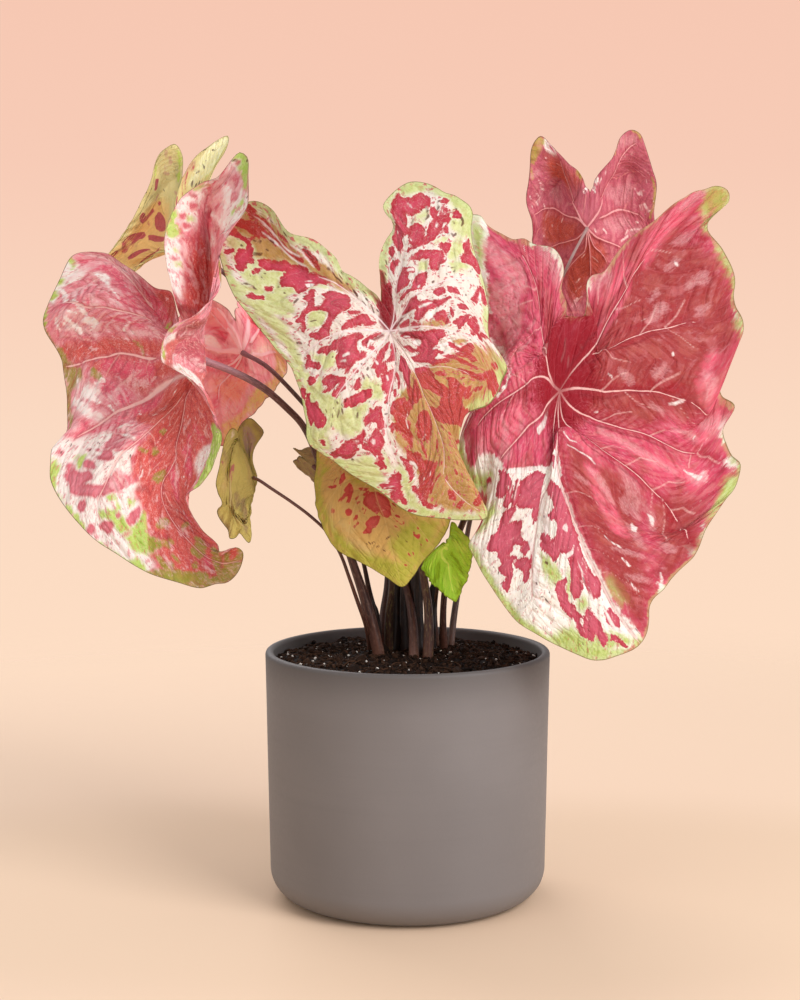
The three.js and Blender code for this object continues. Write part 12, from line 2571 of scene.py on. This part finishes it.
def soil(stalk_lines):
    rs = np.random.RandomState(77)
    rings, steps = 72, 200
    rmax = 71.9
    V, F = [(0, 0, float(soil_height(np.zeros(1), np.zeros(1))[0]))], []
    ang = 2 * np.pi * np.arange(steps) / steps
    for i in range(1, rings + 1):
        r = rmax * (i / rings) ** 0.8
        x, y = r * np.cos(ang), r * np.sin(ang)
        V.extend(zip(x, y, soil_height(x, y)))
    slope = (POT["rim"] - POT["base"]) / (POT["height"] - POT["foot"])
    low, inner = POT["base"] - POT["wall"], POT["foot"] - POT["wall"]
    skirt = [(low + slope * (z - POT["foot"]) - 0.35, z) for z in (118.0, 90.0, 55.0, 22.0)]
    for i in range(5, -1, -1):
        a = i / 5 * math.pi / 2
        skirt.append((low - inner * (1 - math.sin(a)) - 0.35, POT["floor"] + inner * (1 - math.cos(a)) + 0.3))
    for r, z in skirt:
        V.extend(zip(r * np.cos(ang), r * np.sin(ang), [z] * steps))
    total = rings + len(skirt)
    for k in range(steps):
        F.append((0, 1 + k, 1 + (k + 1) % steps))
    for i in range(total - 1):
        a = 1 + i * steps
        for k in range(steps):
            j = (k + 1) % steps
            F.append((a + k, a + k + steps, a + j + steps, a + j))
    end = 1 + (total - 1) * steps
    V.append((0, 0, POT["floor"] + 0.3))
    for k in range(steps):
        F.append((end + k, len(V) - 1, end + (k + 1) % steps))
    V = np.array(V, float)

    def dirt(name, tones, rough):
        g = Graph(name, rough)
        tc = g.nt.nodes.new("ShaderNodeTexCoord").outputs["Object"]
        sh = g.fattr("shade")
        n1 = g.noise(tc, 120.0, 4.0, 0.65)
        n2 = g.noise(tc, 900.0, 3.0, 0.7)
        c = g.mix(g.ramp(n1, 0.35, 0.7), tones[0], tones[1])
        c = g.mix(sh, c, tones[2])
        c = g.mix(g.ramp(n2, 0.6, 0.8, 0.0, 0.4), c, tones[3])
        g.color(c)
        g.rough(g.ramp(n2, 0.2, 0.8, rough - 0.15, rough + 0.1, "LINEAR"))
        g.bsdf.inputs["Specular IOR Level"].default_value = 0.12
        g.bump(g.m("ADD", n1, g.m("MULTIPLY", n2, 0.5)), 0.7, 0.0008)
        return g.mat

    m_soil = dirt("soil_peat", SOIL_TONES, 0.85)
    m_perl = dirt("soil_perlite", PERLITE_TONES, 0.8)
    # crumbs of peat, larger bark bits, white perlite and fibres, in the same piece
    parts_v, parts_f, mats, shade = [V], [np.array([f if len(f) == 4 else (*f, -1) for f in F])], [np.zeros(len(F), int)], [np.zeros(len(V))]
    count = len(V)

    def scatter(n, rlo, rhi, squash, sink, base, mat, shades, rmax_=70.5, power=1.0):
        nonlocal count
        r = rmax_ * np.sqrt(rs.uniform(0, 1, n))
        a = rs.uniform(0, 2 * np.pi, n)
        xy = np.stack([r * np.cos(a), r * np.sin(a)], -1)
        size = rlo + (rhi - rlo) * rs.uniform(0, 1, n) ** power
        size = np.minimum(size, 0.45 * (74.6 - r))
        v, f = lumps(rs, xy, size, squash, sink, base)
        parts_v.append(v)
        parts_f.append(np.concatenate([f + count, -np.ones((len(f), 1), int)], 1))
        mats.append(np.full(len(f), mat))
        shade.append(np.repeat(rs.uniform(*shades, n), len(base[0])))
        count += len(v)

    b1, b2 = ico(), ico2()
    scatter(3600, 0.4, 1.4, 0.5, 0.25, b1, 0, (0.0, 0.8), power=1.6)
    scatter(110, 1.3, 2.8, 0.6, 0.0, b2, 0, (0.0, 0.4), power=1.4)
    scatter(230, 0.25, 1.0, 0.35, 0.5, b1, 1, (0.0, 0.35), power=1.8)
    allv = np.concatenate(parts_v)
    allf = [tuple(f) if f[3] >= 0 else tuple(f[:3]) for f in np.concatenate(parts_f)]
    fm = np.concatenate(mats)
    sh = np.concatenate(shade)
    # fibres
    fv, ff, fs = [], [], []
    for _ in range(230):
        r = 68 * math.sqrt(rs.uniform())
        a = rs.uniform(0, 2 * np.pi)
        p = np.array([r * math.cos(a), r * math.sin(a)])
        d = rs.uniform(0, 2 * np.pi)
        L = rs.uniform(4, 12)
        pts = []
        for i in range(5):
            pts.append(p.copy())
            p = p + L / 4 * np.array([math.cos(d), math.sin(d)])
            d += rs.uniform(-0.5, 0.5)
            if np.hypot(*p) > 69:
                d += 2.4
                p *= 69 / np.hypot(*p)
        pts = np.array(pts)
        z = soil_height(pts[:, 0], pts[:, 1]) + rs.uniform(0.3, 1.6) + 0.4 * np.sin(np.linspace(0, np.pi, 5))
        C, _s = spline(np.column_stack([pts, z]), 9)
        v, _t, _tan = tube(C, np.full(9, rs.uniform(0.12, 0.34)), 5)
        f = tube_faces(9, 5, count + len(fv))
        f.append(tuple(count + len(fv) + k for k in (4, 3, 2, 1, 0)))
        f.append(tuple(count + len(fv) + 40 + k for k in range(5)))
        ff += f
        fv += list(v)
        fs += [rs.uniform(0.3, 1.0)] * len(v)
    allv = np.concatenate([allv, np.array(fv)])
    allf += ff
    fm = np.concatenate([fm, np.zeros(len(ff), int)])
    sh = np.concatenate([sh, fs])
    ob = new_mesh("soil_bed", allv, allf, [m_soil, m_perl], face_mat=fm, attrs=dict(shade=sh), smooth_shade=False)
    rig.ride(ob, "root")
    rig.replaces(ob, "soil")
    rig.slot(ob, "soil")
    return ob


def crown():
    """Old dry leaf bases that stand round the growing point, between the stalks; their near-black colour is also
    painted shade, standing in for the shade deep among the stalk bases.
    """
    rs = np.random.RandomState(5)
    V, F, rod, al = [], [], [], []
    for k, (x, y, dx, dy, h, r) in enumerate((
            (-7.5, 15.0, 2.0, 1.0, 58.0, 4.6), (-1.0, 11.0, 1.5, 2.0, 54.0, 4.0), (6.0, 8.0, -2.0, 2.0, 62.0, 3.6),
            (12.5, 17.0, 2.0, 2.0, 44.0, 3.2), (-14.5, 7.0, -5.0, -2.0, 30.0, 2.6), (2.5, 22.0, 1.0, 5.0, 36.0, 4.0))):
        n, sides = 34, 22
        u = np.linspace(0, 1, n)
        C = np.stack([x + dx * u ** 1.5 + 0.7 * np.sin(5 * u + k), y + dy * u ** 1.5 + 0.5 * np.sin(4 * u + 2 * k), 122.0 + (h + 6) * u], -1)
        rad = r * (1 - 0.35 * u) * (1 - 0.9 * smooth(u, 0.72, 1.0))
        v, th, tan = tube(C, rad, sides, 0.12, k)
        v = v.reshape(n, sides, 3)
        v += 0.35 * (fbm(v.reshape(-1, 3) * [1, 1, 0.25], 0.5, 2, 0.5, 31 + k).reshape(n, sides, 1)) * (v - C[:, None]) / np.maximum(rad, 0.3)[:, None, None]
        base = len(V)
        V += list(v.reshape(-1, 3)) + [C[0], C[-1] + [0, 0, 0.4]]
        F += tube_faces(n, sides, base)
        for i in range(sides):
            F.append((base + (i + 1) % sides, base + i, base + n * sides))
            F.append((base + (n - 1) * sides + i, base + (n - 1) * sides + (i + 1) % sides, base + n * sides + 1))
        s = u * h
        rod += list(np.stack([np.tile(np.cos(th), n), np.tile(np.sin(th), n), np.repeat(s, sides)], -1)) + [[0, 0, 0], [0, 0, h]]
        al += list(np.repeat(u * 0.4, sides)) + [0, 0.4]
    # near-black tones: the dry bases' own colour and painted shade among the stalk bases
    mat = stalk_material("sheath", dict(dark="1C110C", mid="2E1C14", light="4E3424", top="3A2418", foot="2A1810", top_from=0.9))
    ob = new_mesh("crown_sheaths", np.array(V), F, [mat], attrs=dict(rod=np.array(rod), along=np.array(al)))
    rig.ride(ob, "root")
    return ob


# ---------------------------------------------------------------------------------
# build
# ---------------------------------------------------------------------------------
for nm, style in STYLES.items():
    joint, lower = blade(nm, style)
    stalk(nm, STALKS.get(nm, STALK), joint, lower)
pot()
soil(None)
crown()

g = Graph("tuber_skin", 0.85)
tc = g.nt.nodes.new("ShaderNodeTexCoord").outputs["Object"]
n1 = g.noise(tc, 90.0, 5.0, 0.65)
c = g.mix(g.ramp(n1, 0.35, 0.7), "5A3B26", "8A6546")
c = g.mix(g.ramp(g.noise(tc, 600.0, 2.0), 0.6, 0.75, 0.0, 0.6), c, "3A2418")
g.color(c)
g.bump(n1, 0.8, 0.002)
tuber = frame["nodes"]["tuber"]
tuber.data.materials.clear()
tuber.data.materials.append(g.mat)

# ---------------------------------------------------------------------------------
# floor, backdrop colour, lights, camera
# ---------------------------------------------------------------------------------
g = Graph("studio_floor", 0.7)
tc = g.nt.nodes.new("ShaderNodeNewGeometry").outputs["Position"]
px, py, pz = g.sep(tc)
ell = g.m("SQRT", g.m("ADD", g.m("POWER", g.m("MULTIPLY", px, 0.45), 2.0), g.m("POWER", py, 2.0)))
rr = g.m("SQRT", g.m("ADD", g.m("MULTIPLY", px, px), g.m("MULTIPLY", py, py)))
near = g.ramp(ell, 0.13, 0.24)
c = g.mix(near, FLOOR_TONES[0], FLOOR_TONES[1])
c = g.mix(g.ramp(g.noise(tc, 6.0, 2.0), 0.3, 0.7, 0.0, 0.05), c, FLOOR_TONES[1])
g.color(c)
g.bsdf.inputs["Specular IOR Level"].default_value = 0.15
tr = g.nt.nodes.new("ShaderNodeBsdfTransparent")
mx = g.nt.nodes.new("ShaderNodeMixShader")
g.link(g.ramp(rr, 0.45, 0.95), mx.inputs[0])
g.link(g.bsdf.outputs[0], mx.inputs[1])
g.link(tr.outputs[0], mx.inputs[2])
g.link(mx.outputs[0], g.out.inputs["Surface"])
fv = [(0, 0, 0)]
ff = []
for i in range(1, 13):
    for k in range(96):
        a = 2 * math.pi * k / 96
        fv.append((1000 * i / 12 * math.cos(a), 1000 * i / 12 * math.sin(a), 0))
for k in range(96):
    ff.append((0, 1 + k, 1 + (k + 1) % 96))
for i in range(11):
    for k in range(96):
        j = (k + 1) % 96
        ff.append((1 + i * 96 + k, 1 + (i + 1) * 96 + k, 1 + (i + 1) * 96 + j, 1 + i * 96 + j))
floor = new_mesh("studio_floor", np.array(fv, float) + [0, 0, -0.15], ff, [g.mat])
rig.stage(floor)

scene = bpy.context.scene
world = bpy.data.worlds.new("studio")
scene.world = world
world.use_nodes = True
wn = world.node_tree
wn.nodes.clear()
out = wn.nodes.new("ShaderNodeOutputWorld")
bg_seen = wn.nodes.new("ShaderNodeBackground")
bg_light = wn.nodes.new("ShaderNodeBackground")
mixw = wn.nodes.new("ShaderNodeMixShader")
lp = wn.nodes.new("ShaderNodeLightPath")
tcw = wn.nodes.new("ShaderNodeTexCoord")
sepw = wn.nodes.new("ShaderNodeSeparateXYZ")
wn.links.new(tcw.outputs["Generated"], sepw.inputs[0])
rampw = wn.nodes.new("ShaderNodeValToRGB")
mr = wn.nodes.new("ShaderNodeMapRange")
mr.inputs["From Min"].default_value = -0.35
mr.inputs["From Max"].default_value = 0.20
wn.links.new(sepw.outputs[2], mr.inputs["Value"])
wn.links.new(mr.outputs[0], rampw.inputs[0])
els = rampw.color_ramp.elements
els[0].position, els[0].color = BACK[0][0], lin(BACK[0][1])
els[1].position, els[1].color = BACK[1][0], lin(BACK[1][1])
for p_, c_ in BACK[2:]:
    e_ = els.new(p_)
    e_.color = lin(c_)
wn.links.new(rampw.outputs[0], bg_seen.inputs[0])
bg_seen.inputs[1].default_value = 1.0
ramp2 = wn.nodes.new("ShaderNodeValToRGB")
ramp2.color_ramp.elements[0].color = lin(AMBIENT[0])
ramp2.color_ramp.elements[1].color = lin(AMBIENT[1])
mr2 = wn.nodes.new("ShaderNodeMapRange")
mr2.inputs["From Min"].default_value = -1.0
mr2.inputs["From Max"].default_value = 1.0
wn.links.new(sepw.outputs[2], mr2.inputs["Value"])
wn.links.new(mr2.outputs[0], ramp2.inputs[0])
wn.links.new(ramp2.outputs[0], bg_light.inputs[0])
bg_light.inputs[1].default_value = AMBIENT[2]
wn.links.new(lp.outputs["Is Camera Ray"], mixw.inputs[0])
wn.links.new(bg_light.outputs[0], mixw.inputs[1])
wn.links.new(bg_seen.outputs[0], mixw.inputs[2])
wn.links.new(mixw.outputs[0], out.inputs["Surface"])

for nm, loc, aim, size, power, col in LIGHTS:
    L = bpy.data.lights.new(nm, "AREA")
    L.shape = "RECTANGLE"
    L.size, L.size_y = size
    L.energy = power
    L.color = lin(col)[:3]
    o = bpy.data.objects.new(nm, L)
    o.location = loc
    o.rotation_euler = (Vector(aim) - Vector(loc)).to_track_quat("-Z", "Y").to_euler()
    scene.collection.objects.link(o)

cam = bpy.data.cameras.new("camera")
cam.sensor_fit = "AUTO"
cam.sensor_width = 36.0
cam.lens = 1919.0 / 1000.0 * 36.0
cam.clip_start = 0.01
cam.clip_end = 20.0
co = bpy.data.objects.new("camera", cam)
co.location = (-0.004, -1.0, 0.3069)
co.rotation_euler = (math.radians(90 - 5.56), 0, 0)
scene.collection.objects.link(co)
scene.camera = co
scene.view_settings.view_transform = "Standard"
scene.view_settings.look = "None"


def plain(b):
    return [[float(v) for v in row] for row in b]


try:
    json.dump({"cad": plain(cad_box), "visual": plain(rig.bounds())}, open("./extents.json", "w"))
except OSError:
    pass
